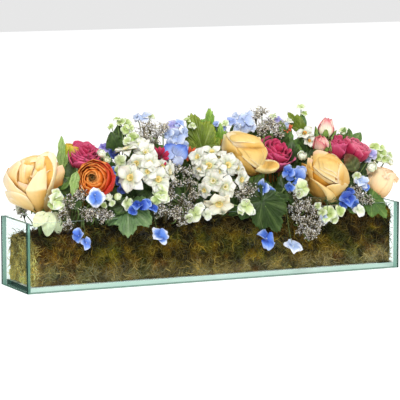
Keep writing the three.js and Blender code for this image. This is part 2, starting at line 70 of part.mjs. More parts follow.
  {"name":"leaf_sprig_top_right","heads":[["lobed",[173.1,16.0,211.6],[152.0,22.0,239.6],[-0.324,-0.945,-0.042],23.0],["oval",[174.9,16.0,210.0],[176.1,22.0,237.1],[-0.224,-0.949,0.22],12.2],["lobed",[157.2,-2.0,168.0],[148.1,4.0,201.5],[-0.408,-0.912,0.053],22.9]],"stalks":[[1.4,[[160.1,2.2,40.0],[163.6,7.2,159.0]]],[0.98,[[163.6,7.2,159.0],[168.7,12.9,188.4],[170.4,18.8,207.2],[168.9,17.2,217.2]]],[0.98,[[163.6,7.2,159.0],[169.7,12.6,186.7],[174.3,19.8,202.8],[175.1,17.2,215.4]]],[0.98,[[163.6,7.2,159.0],[155.3,-0.8,174.7]]]]},
  {"name":"leaf_sprig_back","heads":[["lobed",[-60.0,46.0,132.0],[-74.0,84.0,86.0],[0.062,0.779,0.624],52],["lobed",[96.0,50.0,112.0],[112.0,84.0,82.0],[-0.084,0.681,0.727],50],["lobed",[-130.0,40.0,128.0],[-132.0,62.0,170.0],[0.044,0.886,-0.462],38]],"stalks":[[1.5,[[-33.2,15.8,40.0],[-32.9,21.4,79.1],[-32.2,33.5,114.1]]],[1.05,[[-32.2,33.5,114.1],[-47.7,42.1,122.9],[-52.9,45.3,124.3],[-62.3,52.2,124.5]]],[1.05,[[-32.2,33.5,114.1],[-7.0,33.4,119.3],[14.2,37.7,121.9],[36.6,41.2,121.7],[58.6,46.4,118.1],[80.2,52.2,112.6],[99.2,56.8,106.0]]],[1.05,[[-32.2,33.5,114.1],[-49.2,34.3,119.8],[-66.8,34.9,123.5],[-101.3,38.2,127.8],[-116.7,40.9,131.2],[-130.4,44.4,136.4]]]]},
  {"name":"filler_left","heads":[["puff",[-235.2,-44.0,122.1],[0,0,1],14.5,17.3],["puff",[-216.1,-58.0,112.4],[0,0,1],15.9,13.0],["puff",[-192.6,-58.0,106.7],[0,0,1],11.6,8.7],["puff",[-243.5,-56.0,96.3],[0,0,1],8.6,11.5],["puff",[-221.2,-48.0,139.2],[0,0,1],10.1,11.6]],"stalks":[[1.2,[[-220.7,-16.8,40.0],[-220.9,-23.3,78.5],[-221.3,-36.6,112.0]]],[0.9,[[-221.3,-36.6,112.0],[-235.2,-44.0,116.8]]],[0.9,[[-221.3,-36.6,112.0],[-219.1,-48.9,112.1],[-216.1,-58.0,108.5]]],[0.9,[[-221.3,-36.6,112.0],[-215.1,-37.8,111.7],[-209.7,-41.4,110.3],[-200.5,-51.3,107.0],[-196.4,-54.9,107.2],[-192.6,-58.0,104.1]]],[0.9,[[-221.3,-36.6,112.0],[-234.0,-47.7,106.3],[-237.5,-50.8,107.5],[-240.7,-53.6,119.3],[-243.5,-56.0,92.8]]],[0.9,[[-221.3,-36.6,112.0],[-221.2,-48.0,135.8]]]]},
  {"name":"filler_top_left","heads":[["puff",[-94.0,10.0,224.7],[0,0,1],14.8,13.3],["puff",[-74.7,6.0,218.3],[0,0,1],13.4,13.4],["puff",[-85.5,0.0,204.4],[0,0,1],13.3,7.4]],"stalks":[[1.2,[[-82.2,1.9,40.0],[-83.6,3.8,164.5]]],[0.9,[[-83.6,3.8,164.5],[-94.0,10.0,220.7]]],[0.9,[[-83.6,3.8,164.5],[-74.7,6.0,214.3]]],[0.9,[[-83.6,3.8,164.5],[-85.5,0.0,202.2]]]]},
  {"name":"filler_centre","heads":[["puff",[-74.0,-46.0,149.1],[0,0,1],17.6,17.6],["puff",[-43.0,-42.0,148.6],[0,0,1],14.8,17.7],["puff",[-65.7,-56.0,120.1],[0,0,1],19.1,17.6],["puff",[-90.2,-60.0,105.7],[0,0,1],17.6,14.6],["puff",[-39.5,-52.0,128.7],[0,0,1],11.8,11.8],["puff",[-63.7,-62.0,97.0],[0,0,1],13.2,10.3]],"stalks":[[1.2,[[-64.3,-17.9,40.0],[-64.0,-24.2,79.2],[-63.4,-37.2,113.9]]],[0.9,[[-63.4,-37.2,113.9],[-74.0,-46.0,143.8]]],[0.9,[[-63.4,-37.2,113.9],[-43.0,-42.0,143.2]]],[0.9,[[-63.4,-37.2,113.9],[-65.8,-43.4,113.9],[-65.7,-56.0,114.8]]],[0.9,[[-63.4,-37.2,113.9],[-82.7,-53.7,106.0],[-86.7,-57.0,105.8],[-90.2,-60.0,101.3]]],[0.9,[[-63.4,-37.2,113.9],[-59.5,-39.2,116.8],[-46.6,-47.5,121.1],[-39.5,-52.0,125.1]]],[0.9,[[-63.4,-37.2,113.9],[-63.7,-51.5,106.8],[-63.7,-55.5,107.6],[-63.7,-58.9,103.4],[-63.7,-62.0,93.9]]]]},
  {"name":"filler_top_right","heads":[["puff",[95.4,18.0,236.0],[0,0,1],12.1,13.7],["puff",[113.8,14.0,228.0],[0,0,1],15.2,15.2],["puff",[128.9,10.0,212.4],[0,0,1],12.2,10.6],["puff",[100.3,14.0,216.3],[0,0,1],12.1,10.6]],"stalks":[[1.2,[[100.8,4.2,40.0],[101.8,6.1,103.6],[100.3,7.4,143.2],[105.7,9.6,168.4]]],[0.9,[[105.7,9.6,168.4],[91.1,14.6,176.6],[96.3,14.1,188.7],[97.6,14.7,199.6],[95.4,18.0,231.9]]],[0.9,[[105.7,9.6,168.4],[91.9,14.9,175.5],[108.8,13.5,205.3],[113.8,14.0,223.4]]],[0.9,[[105.7,9.6,168.4],[92.7,16.0,174.6],[99.5,16.7,187.9],[107.4,16.2,196.8],[123.4,12.0,204.9],[128.9,10.0,209.3]]],[0.9,[[105.7,9.6,168.4],[91.7,13.8,172.7],[98.6,13.0,190.6],[100.3,14.0,213.1]]]]},
  {"name":"filler_right","heads":[["puff",[127.2,-54.0,101.9],[0,0,1],13.5,15.0],["puff",[147.2,-58.0,95.2],[0,0,1],13.5,16.6],["puff",[130.6,-64.0,72.6],[0,0,1],13.5,15.0],["puff",[154.4,-64.0,71.2],[0,0,1],10.5,12.0],["puff",[238.8,-50.0,113.8],[0,0,1],12.2,12.2],["puff",[34.4,-52.0,129.3],[0,0,1],11.9,11.9]],"stalks":[[1.2,[[134.6,-20.0,40.0],[135.4,-26.8,78.5],[136.9,-40.3,112.0]]],[0.9,[[136.9,-40.3,112.0],[131.2,-48.3,107.0],[129.7,-50.5,107.4],[128.4,-52.3,126.9],[127.2,-54.0,97.4]]],[0.9,[[136.9,-40.3,112.0],[143.0,-50.9,105.9],[144.6,-53.6,107.5],[146.0,-55.9,117.8],[147.2,-58.0,90.3]]],[0.9,[[136.9,-40.3,112.0],[134.0,-51.3,105.9],[132.9,-55.5,109.3],[132.0,-58.8,100.7],[130.6,-64.0,68.1]]],[0.9,[[136.9,-40.3,112.0],[144.7,-50.9,105.9],[147.8,-55.1,109.3],[150.3,-58.5,100.6],[154.4,-64.0,67.6]]],[0.9,[[136.9,-40.3,112.0],[155.0,-42.3,114.1],[173.5,-44.4,113.8],[208.9,-47.0,108.8],[238.8,-50.0,110.1]]],[0.9,[[136.9,-40.3,112.0],[120.1,-42.2,116.7],[103.3,-44.2,119.5],[83.6,-44.0,120.3],[65.4,-45.8,121.4],[48.9,-49.4,122.1],[34.4,-52.0,125.7]]]]},
  {"name":"filler_back","heads":[["puff",[-196.0,66.0,104.0],[0,0,1],20,16],["puff",[-150.0,58.0,148.0],[0,0,1],20,16],["puff",[-48.0,70.0,112.0],[0,0,1],18,16],["puff",[150.0,70.0,100.0],[0,0,1],20,16],["puff",[214.0,66.0,104.0],[0,0,1],20,16],["puff",[110.0,44.0,172.0],[0,0,1],18,16]],"stalks":[[1.2,[[12.9,20.0,40.0],[13.0,28.2,79.0],[13.2,43.3,112.9]]],[0.9,[[13.2,43.3,112.9],[-24.0,45.1,114.1],[-61.5,45.5,109.4],[-99.8,50.6,106.8],[-135.6,52.5,105.8],[-167.8,50.1,110.2],[-196.0,43.0,99.2]]],[0.9,[[13.2,43.3,112.9],[-15.1,43.5,123.9],[-42.4,41.2,133.3],[-71.8,42.9,136.2],[-101.3,50.7,133.1],[-127.4,56.2,134.7],[-150.0,58.0,143.2]]],[0.9,[[13.2,43.3,112.9],[-9.1,53.0,112.1],[-39.8,66.4,106.4],[-48.0,70.0,107.2]]],[0.9,[[13.2,43.3,112.9],[37.9,45.7,113.0],[62.8,46.8,109.5],[110.6,43.0,94.3],[131.5,43.0,93.2],[150.0,43.0,95.2]]],[0.9,[[13.2,43.3,112.9],[49.0,42.5,115.3],[87.7,40.8,114.1],[124.5,44.4,109.3],[157.1,49.8,105.9],[187.1,50.2,110.5],[214.0,43.0,99.2]]],[0.9,[[13.2,43.3,112.9],[29.4,43.4,123.5],[46.6,43.6,132.4],[81.1,43.8,147.7],[96.4,43.9,156.6],[110.0,44.0,167.2]]]]}
];

// Roses whose bloom and stem are separate pieces.
const SPLIT = ["rose_left", "rose_centre", "rose_right", "rose_end", "rose_back_left", "rose_back_right"];

// Earlier plants keep their shape, later ones give way to them.
const PALETTE = {
  rose: "#f2c47c", ranunculus_orange: "#e0641c", ranunculus_back: "#e0641c",
  ranunculus_yellow: "#b9b83a", ranunculus_crimson: "#c01c48", peony: "#a3123f",
  rosebud: "#e08c8c", narcissus: "#f4f2ea", hydrangea_blue: "#5878d0",
  hydrangea_green: "#d3dfa0", hydrangea_back: "#7f96d8", lime: "#cfdf86",
  leaf: "#3f6b2a", filler: "#8d8290",
};
const STEM_COLOUR = "#4c6b2c";

// ------------------------------------------------------------ small helpers
function solid(geometry) {
  const g = geometry.index ? geometry.toNonIndexed() : geometry.clone();
  g.deleteAttribute("normal");
  g.deleteAttribute("uv");
  const m = mergeVertices(g, 1e-4);
  const tri = new Uint32Array(m.index.array);
  const made = new wasm.Manifold(
    new wasm.Mesh({ numProp: 3, vertProperties: m.attributes.position.array, triVerts: tri }),
  );
  if (made.volume() >= 0) return made;
  for (let i = 0; i < tri.length; i += 3) [tri[i + 1], tri[i + 2]] = [tri[i + 2], tri[i + 1]];
  return new wasm.Manifold(
    new wasm.Mesh({ numProp: 3, vertProperties: m.attributes.position.array, triVerts: tri }),
  );
}

const V = (a) => new THREE.Vector3(a[0], a[1], a[2]);
const UP = new THREE.Vector3(0, 0, 1);

// Places geometry made along +Z so that +Z points along dir at point.
function place(geometry, point, dir, spin = 0) {
  geometry.rotateZ(spin);
  geometry.applyQuaternion(new THREE.Quaternion().setFromUnitVectors(UP, V(dir).normalize()));
  geometry.translate(point[0], point[1], point[2]);
  return geometry;
}

function box(x, y, z, cx, cy, z0, grow = 0) {
  const g = new THREE.BoxGeometry(x + 2 * grow, y + 2 * grow, z + 2 * grow);
  g.translate(cx, cy, z0 + z / 2);
  return solid(g);
}

// A route through given points, straight between them.
class Route extends THREE.Curve {
  constructor(points) {
    super();
    this.points = points;
  }
  getPoint(t) {
    const n = this.points.length - 1;
    const s = Math.min(Math.max(t, 0), 1) * n;
    const i = Math.min(Math.floor(s), n - 1);
    return this.points[i].clone().lerp(this.points[i + 1], s - i);
  }
  getPointAt(t) {
    return this.getPoint(t);
  }
  getTangent(t) {
    const d = 0.5 / (this.points.length - 1);
    const a = this.getPoint(Math.max(0, t - d));
    return this.getPoint(Math.min(1, t + d)).sub(a).normalize();
  }
  getTangentAt(t) {
    return this.getTangent(t);
  }
}

// A stalk with 3 to 5 sides, thickened by grow.
function stalk(radius, points, grow) {
  const sides = radius > 2.4 ? 5 : radius > 1.4 ? 4 : 3;
  const r = radius + grow * (sides === 3 ? 1.7 : 1.3);
  const shape = new THREE.Shape();
  for (let i = 0; i < sides; i++) {
    const a = (i / sides) * Math.PI * 2;
    if (i) shape.lineTo(Math.cos(a) * r, Math.sin(a) * r);
    else shape.moveTo(r, 0);
  }
  shape.closePath();
  const p = points.map(V);
  if (grow) {
    const n = p.length - 1;
    p[0].addScaledVector(p[1].clone().sub(p[0]).normalize(), -grow);
    p[n].addScaledVector(p[n].clone().sub(p[n - 1]).normalize(), grow);
  }
  return solid(
    new THREE.ExtrudeGeometry(shape, { steps: p.length - 1, bevelEnabled: false, extrudePath: new Route(p) }),
  );
}

// A full flower head: a closed cup that swells and draws in to its opening.
function bloom([, base, dir, radius, height], grow) {
  const profile = [
    [0, 0], [0.55, 0.1], [0.96, 0.45], [0.98, 0.75], [0.6, 1], [0, 0.96],
  ].map(([r, z]) => new THREE.Vector2(r ? r * radius + grow : 0, height * z + grow * (z - 0.5) * 2.4));
  const g = new THREE.LatheGeometry(profile, 10);
  g.rotateX(Math.PI / 2);
  return solid(place(g, base, dir));
}

// A flat disc of petals with as many tips as petals.
function disc(outline, thickness, point, dir, spin) {
  const shape = new THREE.Shape(outline.map(([x, y]) => new THREE.Vector2(x, y)));
  const g = new THREE.ExtrudeGeometry(shape, { depth: thickness, bevelEnabled: false, steps: 1 });
  g.translate(0, 0, -thickness / 2);
  return solid(place(g, point, dir, spin));
}

function floret([kind, centre, dir, radius], grow) {
  const petals = kind === "star" ? 6 : 4;
  const notch = kind === "star" ? 0.6 : 0.66;
  const outline = [];
  for (let i = 0; i < petals * 2; i++) {
    const a = (i * Math.PI) / petals;
    const r = (i % 2 ? notch : 1) * radius + grow * 1.4;
    outline.push([Math.cos(a) * r, Math.sin(a) * r]);
  }
  return disc(outline, (kind === "star" ? 1.4 : 1) * PETAL_T + 2 * grow, centre, dir, 0.4);
}

function bud([, centre, dir, radius], grow) {
  const g = new THREE.SphereGeometry(radius + grow * 1.4, 5, 3);
  g.rotateX(Math.PI / 2);
  g.scale(1, 1, 1.15);
  return solid(place(g, centre, dir));
}

function puff([, centre, dir, radius, half], grow) {
  const g = new THREE.SphereGeometry(1, 6, 3);
  g.rotateX(Math.PI / 2);
  g.scale(radius + grow * 1.4, radius + grow * 1.4, half + grow * 1.4);
  return solid(place(g, centre, dir, centre[0]));
}

const LEAF_OUTLINES = {
  // distance along the leaf and half width, both as shares
  oval: [[0, 0.1], [0.25, 0.42], [0.55, 0.5], [0.85, 0.28], [1, 0.04]],
  lobed: [[0, 0.1], [0.08, 0.4], [0.3, 0.5], [0.42, 0.36], [0.66, 0.46], [0.76, 0.26], [1, 0.05]],
};

function leaf([kind, base, tip, normal, width], grow) {
  const along = V(tip).sub(V(base));
  const length = along.length();
  along.normalize();
  const side = new THREE.Vector3().crossVectors(V(normal), along).normalize();
  const half = LEAF_OUTLINES[kind];
  const points = [
    ...half.map(([t, w]) => new THREE.Vector2(t * length + (t - 0.5) * 2.6 * grow, -w * width - grow * 1.3)),
    ...half.slice().reverse().map(([t, w]) => new THREE.Vector2(t * length + (t - 0.5) * 2.6 * grow, w * width + grow * 1.3)),
  ];
  const t = LEAF_T + 2 * grow;
  const g = new THREE.ExtrudeGeometry(new THREE.Shape(points), { depth: t, bevelEnabled: false, steps: 1 });
  g.translate(0, 0, -t / 2);
  g.applyMatrix4(
    new THREE.Matrix4().makeBasis(along, side, new THREE.Vector3().crossVectors(along, side)).setPosition(V(base)),
  );
  return solid(g);
}

const HEAD = { bloom, floret, star: floret, bud, puff, oval: leaf, lobed: leaf };
const head = (h, grow) => HEAD[h[0]](h, grow);
const joined = (list) => (list.length === 1 ? list[0] : wasm.Manifold.union(list));

function near(a, b) {
  const p = a.boundingBox();
  const q = b.boundingBox();
  return [0, 1, 2].every((i) => p.min[i] <= q.max[i] && q.min[i] <= p.max[i]);
}
const cutBy = (body, cutters) => {
  const close = cutters.filter((c) => near(body, c));
  return close.length ? body.subtract(joined(close)) : body;
};
const largest = (body) => body.decompose().sort((a, b) => b.volume() - a.volume())[0];

// -------------------------------------------------------------------- glass
const L = TROUGH_LENGTH;
const Dp = TROUGH_DEPTH;
const Hh = TROUGH_HEIGHT;
const glass = [
  // name, x, y, z sizes, centre x, centre y, lowest z
  ["glass_front_panel", L, WALL, Hh, 0, -(Dp - WALL) / 2, 0],
  ["glass_back_panel", L, WALL, Hh, 0, (Dp - WALL) / 2, 0],
  ["glass_left_end", WALL, Dp - 2 * WALL - 2 * SEAM, Hh, -(L - WALL) / 2, 0, 0],
  ["glass_right_end", WALL, Dp - 2 * WALL - 2 * SEAM, Hh, (L - WALL) / 2, 0, 0],
  ["glass_base", L - 2 * WALL - 2 * SEAM, Dp - 2 * WALL - 2 * SEAM, BASE, 0, 0, 0],
].map(([name, ...a]) => ({ name, body: box(...a), wide: box(...a, GAP) }));
const glassWide = glass.map((g) => g.wide);

// ------------------------------------------------------- plants, cut to fit
const plants = PLANTS.map((p) => ({
  name: p.name,
  stalks: joined(p.stalks.map(([r, pts]) => stalk(r, pts, 0))),
  stalksWide: p.stalks.map(([r, pts]) => stalk(r, pts, GAP)),
  heads: joined(p.heads.map((h) => head(h, 0))),
  headsWide: p.heads.map((h) => head(h, GAP)),
}));

plants.forEach((p, i) => {
  const before = plants.slice(0, i).flatMap((q) => q.stalksWide);
  p.stalks = largest(cutBy(cutBy(p.stalks, before), glassWide));
});
plants.forEach((p, i) => {
  const others = plants.filter((q) => q !== p).flatMap((q) => q.stalksWide);
  const earlier = plants.slice(0, i).flatMap((q) => q.headsWide);
  p.heads = cutBy(cutBy(cutBy(p.heads, others), earlier), glassWide);
});

const nodes = []; // name, solid, colour
for (const g of glass) nodes.push([g.name, g.body, "#a9d6c4"]);
for (const p of plants) {
  const colour = PALETTE[Object.keys(PALETTE).filter((k) => p.name.startsWith(k)).sort((a, b) => b.length - a.length)[0]];
  if (SPLIT.includes(p.name)) {
    const bloomBody = largest(p.heads);
    const wide = PLANTS.find((q) => q.name === p.name).heads.map((h) => head(h, GAP));
    nodes.push([p.name + "_bloom", bloomBody, colour]);
    nodes.push([p.name + "_stem", largest(cutBy(p.stalks, wide)), STEM_COLOUR]);
  } else {
    nodes.push([p.name, largest(p.heads.add(p.stalks)), colour]);
  }
}

// ----------------------------------------------------------- foam and moss
const stalksWide = plants.flatMap((p) => p.stalksWide);
const foam = cutBy(box(FOAM.x, FOAM.y, FOAM.z1 - FOAM.z0, 0, 0, FOAM.z0), stalksWide);
nodes.push(["floral_foam", largest(foam), "#3d6b3a"]);

const mossShape = new THREE.BoxGeometry(MOSS.x, MOSS.y, MOSS.z1 - MOSS.z0, 20, 3, 1);
mossShape.translate(0, 0, (MOSS.z0 + MOSS.z1) / 2);
{
  // uneven sides and top, lower towards the left end
  const p = mossShape.attributes.position;
  const n = (x, y, z) =>
    Math.sin(x * 0.071 + z * 0.05) * Math.cos(y * 0.11 + x * 0.023) + 0.5 * Math.sin(x * 0.19 + y * 0.13 + z * 0.09);
  for (let i = 0; i < p.count; i++) {
    let x = p.getX(i), y = p.getY(i), z = p.getZ(i);
    const top = Math.max(0, (z - 50) / (MOSS.z1 - 50));
    const v = n(x, y, z);
    const atEnd = Math.abs(x) > MOSS.x / 2 - 1;
    const atSide = Math.abs(y) > MOSS.y / 2 - 1;
    if (atEnd) x -= Math.sign(x) * (2.5 + 2 * v + 3 * top);
    if (atSide) y -= Math.sign(y) * (1.6 + 1.4 * v + 2.5 * top);
    if (z > MOSS.z1 - 1) z += 3 * v - 12 * Math.max(0, (-x - 215) / 80) - (atSide ? 2 : 0);
    p.setXYZ(i, x, y, z);
  }
}
let moss = solid(mossShape);
moss = cutBy(moss, [box(FOAM.x, FOAM.y, FOAM.z1 - FOAM.z0 + 20, 0, 0, FOAM.z0 - 20, GAP)]);
moss = cutBy(moss, stalksWide);
moss = cutBy(moss, plants.flatMap((p) => p.headsWide));
moss = cutBy(moss, glassWide);
nodes.push(["moss_bed", largest(moss), "#5b5520"]);

// -------------------------------------------------------------- scene graph
const ROUGHNESS = (name) => (name.startsWith("glass") ? 0.05 : 0.75);
const centerpiece = new THREE.Group();
centerpiece.name = "floral_table_centerpiece";
for (const [name, body, colour] of nodes) {
  const m = body.getMesh();
  const n = m.numProp;
  const v = new Float32Array(m.numVert * 3);
  for (let i = 0; i < m.numVert; i++) v.set(m.vertProperties.subarray(i * n, i * n + 3), i * 3);
  const g = new THREE.BufferGeometry();
  g.setAttribute("position", new THREE.BufferAttribute(v, 3));
  g.setIndex(new THREE.BufferAttribute(new Uint32Array(m.triVerts), 1));
  g.computeVertexNormals();
  const material = new THREE.MeshStandardMaterial({
    color: colour, roughness: ROUGHNESS(name), metalness: 0,
    transparent: name.startsWith("glass"), opacity: name.startsWith("glass") ? 0.35 : 1,
  });
  const mesh = new THREE.Mesh(g, material);
  mesh.name = name;
  centerpiece.add(mesh);
}

export default centerpiece;
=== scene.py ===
import math
import bpy
import numpy as np
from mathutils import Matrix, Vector


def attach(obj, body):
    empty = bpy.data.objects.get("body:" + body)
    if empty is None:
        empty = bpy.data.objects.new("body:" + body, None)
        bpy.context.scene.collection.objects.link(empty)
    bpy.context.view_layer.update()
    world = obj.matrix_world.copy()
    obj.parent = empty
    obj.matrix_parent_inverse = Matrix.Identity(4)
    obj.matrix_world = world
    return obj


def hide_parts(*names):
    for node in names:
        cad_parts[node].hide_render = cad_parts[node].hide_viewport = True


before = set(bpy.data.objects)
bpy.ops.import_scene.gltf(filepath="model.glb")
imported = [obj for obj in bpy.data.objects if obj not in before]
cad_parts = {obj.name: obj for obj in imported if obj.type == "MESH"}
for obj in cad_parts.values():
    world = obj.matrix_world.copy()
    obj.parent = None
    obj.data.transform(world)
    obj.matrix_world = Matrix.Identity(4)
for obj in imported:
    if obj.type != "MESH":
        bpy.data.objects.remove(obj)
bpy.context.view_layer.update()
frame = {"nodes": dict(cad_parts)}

SEED = 20

# ------------------------------------------------------------------ helpers
def unit(v):
    v = np.asarray(v, float)
    return v / (np.linalg.norm(v) + 1e-12)


def basis(d, spin=0.0):
    """Two directions across d, turned by spin, and d."""
    d = unit(d)
    a = np.array([0.0, 0.0, 1.0]) if abs(d[2]) < 0.95 else np.array([1.0, 0.0, 0.0])
    u = unit(np.cross(a, d))
    v = np.cross(d, u)
    c, s = math.cos(spin), math.sin(spin)
    return np.stack([u * c + v * s, v * c - u * s, d])


def hexc(h, k=1.0):
    """A colour written as sRGB hex, as linear RGB."""
    c = np.array([int(h[i:i + 2], 16) for i in (0, 2, 4)]) / 255.0
    c = np.where(c <= 0.04045, c / 12.92, ((c + 0.055) / 1.055) ** 2.4)
    return c * k


def smooth(a, b, x):
    t = np.clip((np.asarray(x, float) - a) / (b - a), 0, 1)
    return t * t * (3 - 2 * t)


def mixc(a, b, f):
    f = np.asarray(f, float)[..., None]
    return np.asarray(a) * (1 - f) + np.asarray(b) * f


def wob(x, y, z, k=1.0):
    """A cheap smooth noise from sines, about -1 to 1."""
    return (np.sin(1.7 * x * k + 0.6 * np.sin(2.3 * y * k + 1.1)) + np.sin(2.1 * y * k + 0.7 * np.sin(1.9 * z * k + 0.5)) + np.sin(1.9 * z * k + 0.8 * np.sin(2.7 * x * k + 2.1))) / 3.0


def vnoise(p, size, seed):
    """Smooth lattice noise at the points p, 0 to 1, with lumps of the given size."""
    q = np.asarray(p, float) / size + 100.0
    i = np.floor(q).astype(np.int64)
    f = q - i
    f = f * f * (3 - 2 * f)
    out = 0.0
    for a in (0, 1):
        for b in (0, 1):
            for c in (0, 1):
                h = (i[..., 0] + a) * 73856093 ^ (i[..., 1] + b) * 19349663 ^ (i[..., 2] + c) * 83492791 ^ (seed * 2654435761 % 4294967296)
                h = (h ^ (h >> 13)) * 1274126177 & 0xFFFFFFFF
                h = (h ^ (h >> 16)) & 0xFFFF
                w = (f[..., 0] if a else 1 - f[..., 0]) * (f[..., 1] if b else 1 - f[..., 1]) * (f[..., 2] if c else 1 - f[..., 2])
                out = out + w * h / 65535.0
    return out


def fbm(p, size, seed, n=4, gain=0.55):
    t, g, k = 0.0, 1.0, 0.0
    for j in range(n):
        t = t + g * vnoise(p, size / 2 ** j, seed + 7 * j)
        k += g
        g *= gain
    return t / k


class Build:
    """Collects closed surfaces, in millimetres, and makes one mesh in metres."""

    def __init__(self):
        self.v, self.f, self.c, self.u = [], [], [], []
        self.n = 0

    def add(self, v, f, c, u=None):
        v = np.asarray(v, float).reshape(-1, 3)
        f = np.asarray(f, int)
        if f.shape[1] == 3:
            f = np.concatenate([f, -np.ones((len(f), 1), int)], axis=1)
        c = np.broadcast_to(np.asarray(c, float), (len(v), 3))
        u = np.zeros((len(v), 3)) if u is None else np.asarray(u, float).reshape(-1, 3)
        self.v.append(v); self.c.append(c); self.u.append(u)
        self.f.append(np.where(f >= 0, f + self.n, -1))
        self.n += len(v)

    def sheet(self, p, thick, c, u, closed=False, flip=False, coarse=False, c2=None):
        """A thin closed shell about the grid p (rows, columns, 3). closed joins the first and last column.
        coarse gives its back a quarter of the faces; c2 is the back's colour."""
        p = np.asarray(p, float)
        nr, nc = p.shape[:2]
        if closed:
            du = np.roll(p, -1, 1) - np.roll(p, 1, 1)
        else:
            du = np.gradient(p, axis=1)
        dv = np.gradient(p, axis=0)
        n = np.cross(du, dv)
        n /= np.linalg.norm(n, axis=2, keepdims=True) + 1e-9
        if flip:
            n = -n
        t = np.asarray(thick, float)
        t = t[..., None] if t.ndim == 2 else t
        top, bot = p + n * t / 2, p - n * t / 2
        c = np.broadcast_to(np.asarray(c, float), p.shape)
        c2 = c if c2 is None else np.broadcast_to(np.asarray(c2, float), p.shape)
        u = np.broadcast_to(np.asarray(u, float), p.shape)
        i = np.arange(nr * nc).reshape(nr, nc)
        o = nr * nc
        coarse = coarse and not closed and nr % 2 and nc % 2
        if coarse:
            bot, c2, ub = bot[::2, ::2], c2[::2, ::2], u[::2, ::2]
            k = o + np.arange(bot.shape[0] * bot.shape[1]).reshape(bot.shape[:2])
        else:
            ub, k = u, i + o

        def quads(g):
            h = np.roll(g, -1, 1) if closed else g[:, 1:]
            g = g if closed else g[:, :-1]
            return np.stack([g[:-1], h[:-1], h[1:], g[1:]], -1).reshape(-1, 4)

        faces = [quads(i), quads(k)[:, ::-1]]
        if closed:
            for a, b in ((i[0], k[0]), (i[-1][::-1], k[-1][::-1])):
                a, b = np.append(a, a[0]), np.append(b, b[0])
                faces.append(np.stack([a[1:], a[:-1], b[:-1], b[1:]], -1))
        else:
            for a, b in ((i[0], k[0]), (i[-1][::-1], k[-1][::-1]), (i[:, -1], k[:, -1]), (i[::-1, 0], k[::-1, 0])):
                if coarse:
                    q, m, e, g, h = a[:-1:2], a[1::2], a[2::2], b[:-1], b[1:]
                    w = np.full(len(m), -1)
                    faces += [np.stack([m, q, g, w], -1), np.stack([m, g, h, w], -1), np.stack([m, h, e, w], -1)]
                else:
                    faces.append(np.stack([a[1:], a[:-1], b[:-1], b[1:]], -1))
        f = np.concatenate(faces)
        if flip:
            f = np.where(f[:, 3:] < 0, np.stack([f[:, 2], f[:, 1], f[:, 0], f[:, 3]], -1), f[:, ::-1])
        self.add(np.concatenate([top.reshape(-1, 3), bot.reshape(-1, 3)]), f, np.concatenate([c.reshape(-1, 3), c2.reshape(-1, 3)]), np.concatenate([u.reshape(-1, 3), ub.reshape(-1, 3)]))

    def twig(self, a, b, ra, rb, c, u0=0.0):
        """A short closed three-sided twig from a to b."""
        e = basis(b - a)
        ang = np.arange(3) * 2 * math.pi / 3
        ring = np.cos(ang)[:, None] * e[0] + np.sin(ang)[:, None] * e[1]
        f = [(0, 1, 4, 3), (1, 2, 5, 4), (2, 0, 3, 5), (2, 1, 0, -1), (3, 4, 5, -1)]
        u = np.zeros((6, 3)); u[3:, 0] = 1; u[:, 2] = u0
        self.add(np.concatenate([a + ring * ra, b + ring * rb]), f, c, u)

    def wisp(self, q, r, c, u0):
        """A closed three-sided fibre through the points q that runs out to a point."""
        e = basis(q[-1] - q[0])
        ang = np.arange(3) * 2 * math.pi / 3
        ring = np.cos(ang)[:, None] * e[0] + np.sin(ang)[:, None] * e[1]
        n = len(q) - 1
        v = np.concatenate([q[k] + ring * r[k] for k in range(n)] + [q[-1:]])
        f = [(3 * k + a, 3 * k + (a + 1) % 3, 3 * k + 3 + (a + 1) % 3, 3 * k + 3 + a) for k in range(n - 1) for a in range(3)]
        f += [(3 * n - 3 + a, 3 * n - 3 + (a + 1) % 3, 3 * n, -1) for a in range(3)] + [(2, 1, 0, -1)]
        u = np.zeros((len(v), 3)); u[:, 2] = u0
        cc = np.concatenate([np.repeat(c[:n], 3, 0), c[n:]])
        self.add(v, f, cc, u)

    def grain(self, p, r, axis, length, c, u0=0.0):
        """A tiny closed eight-sided bud."""
        e = basis(axis)
        v = np.array([p + e[0] * r, p + e[1] * r, p - e[0] * r, p - e[1] * r, p + e[2] * length, p - e[2] * length])
        f = [(0, 1, 4), (1, 2, 4), (2, 3, 4), (3, 0, 4), (1, 0, 5), (2, 1, 5), (3, 2, 5), (0, 3, 5)]
        u = np.zeros((6, 3)); u[:, 2] = u0
        self.add(v, f, c, u)

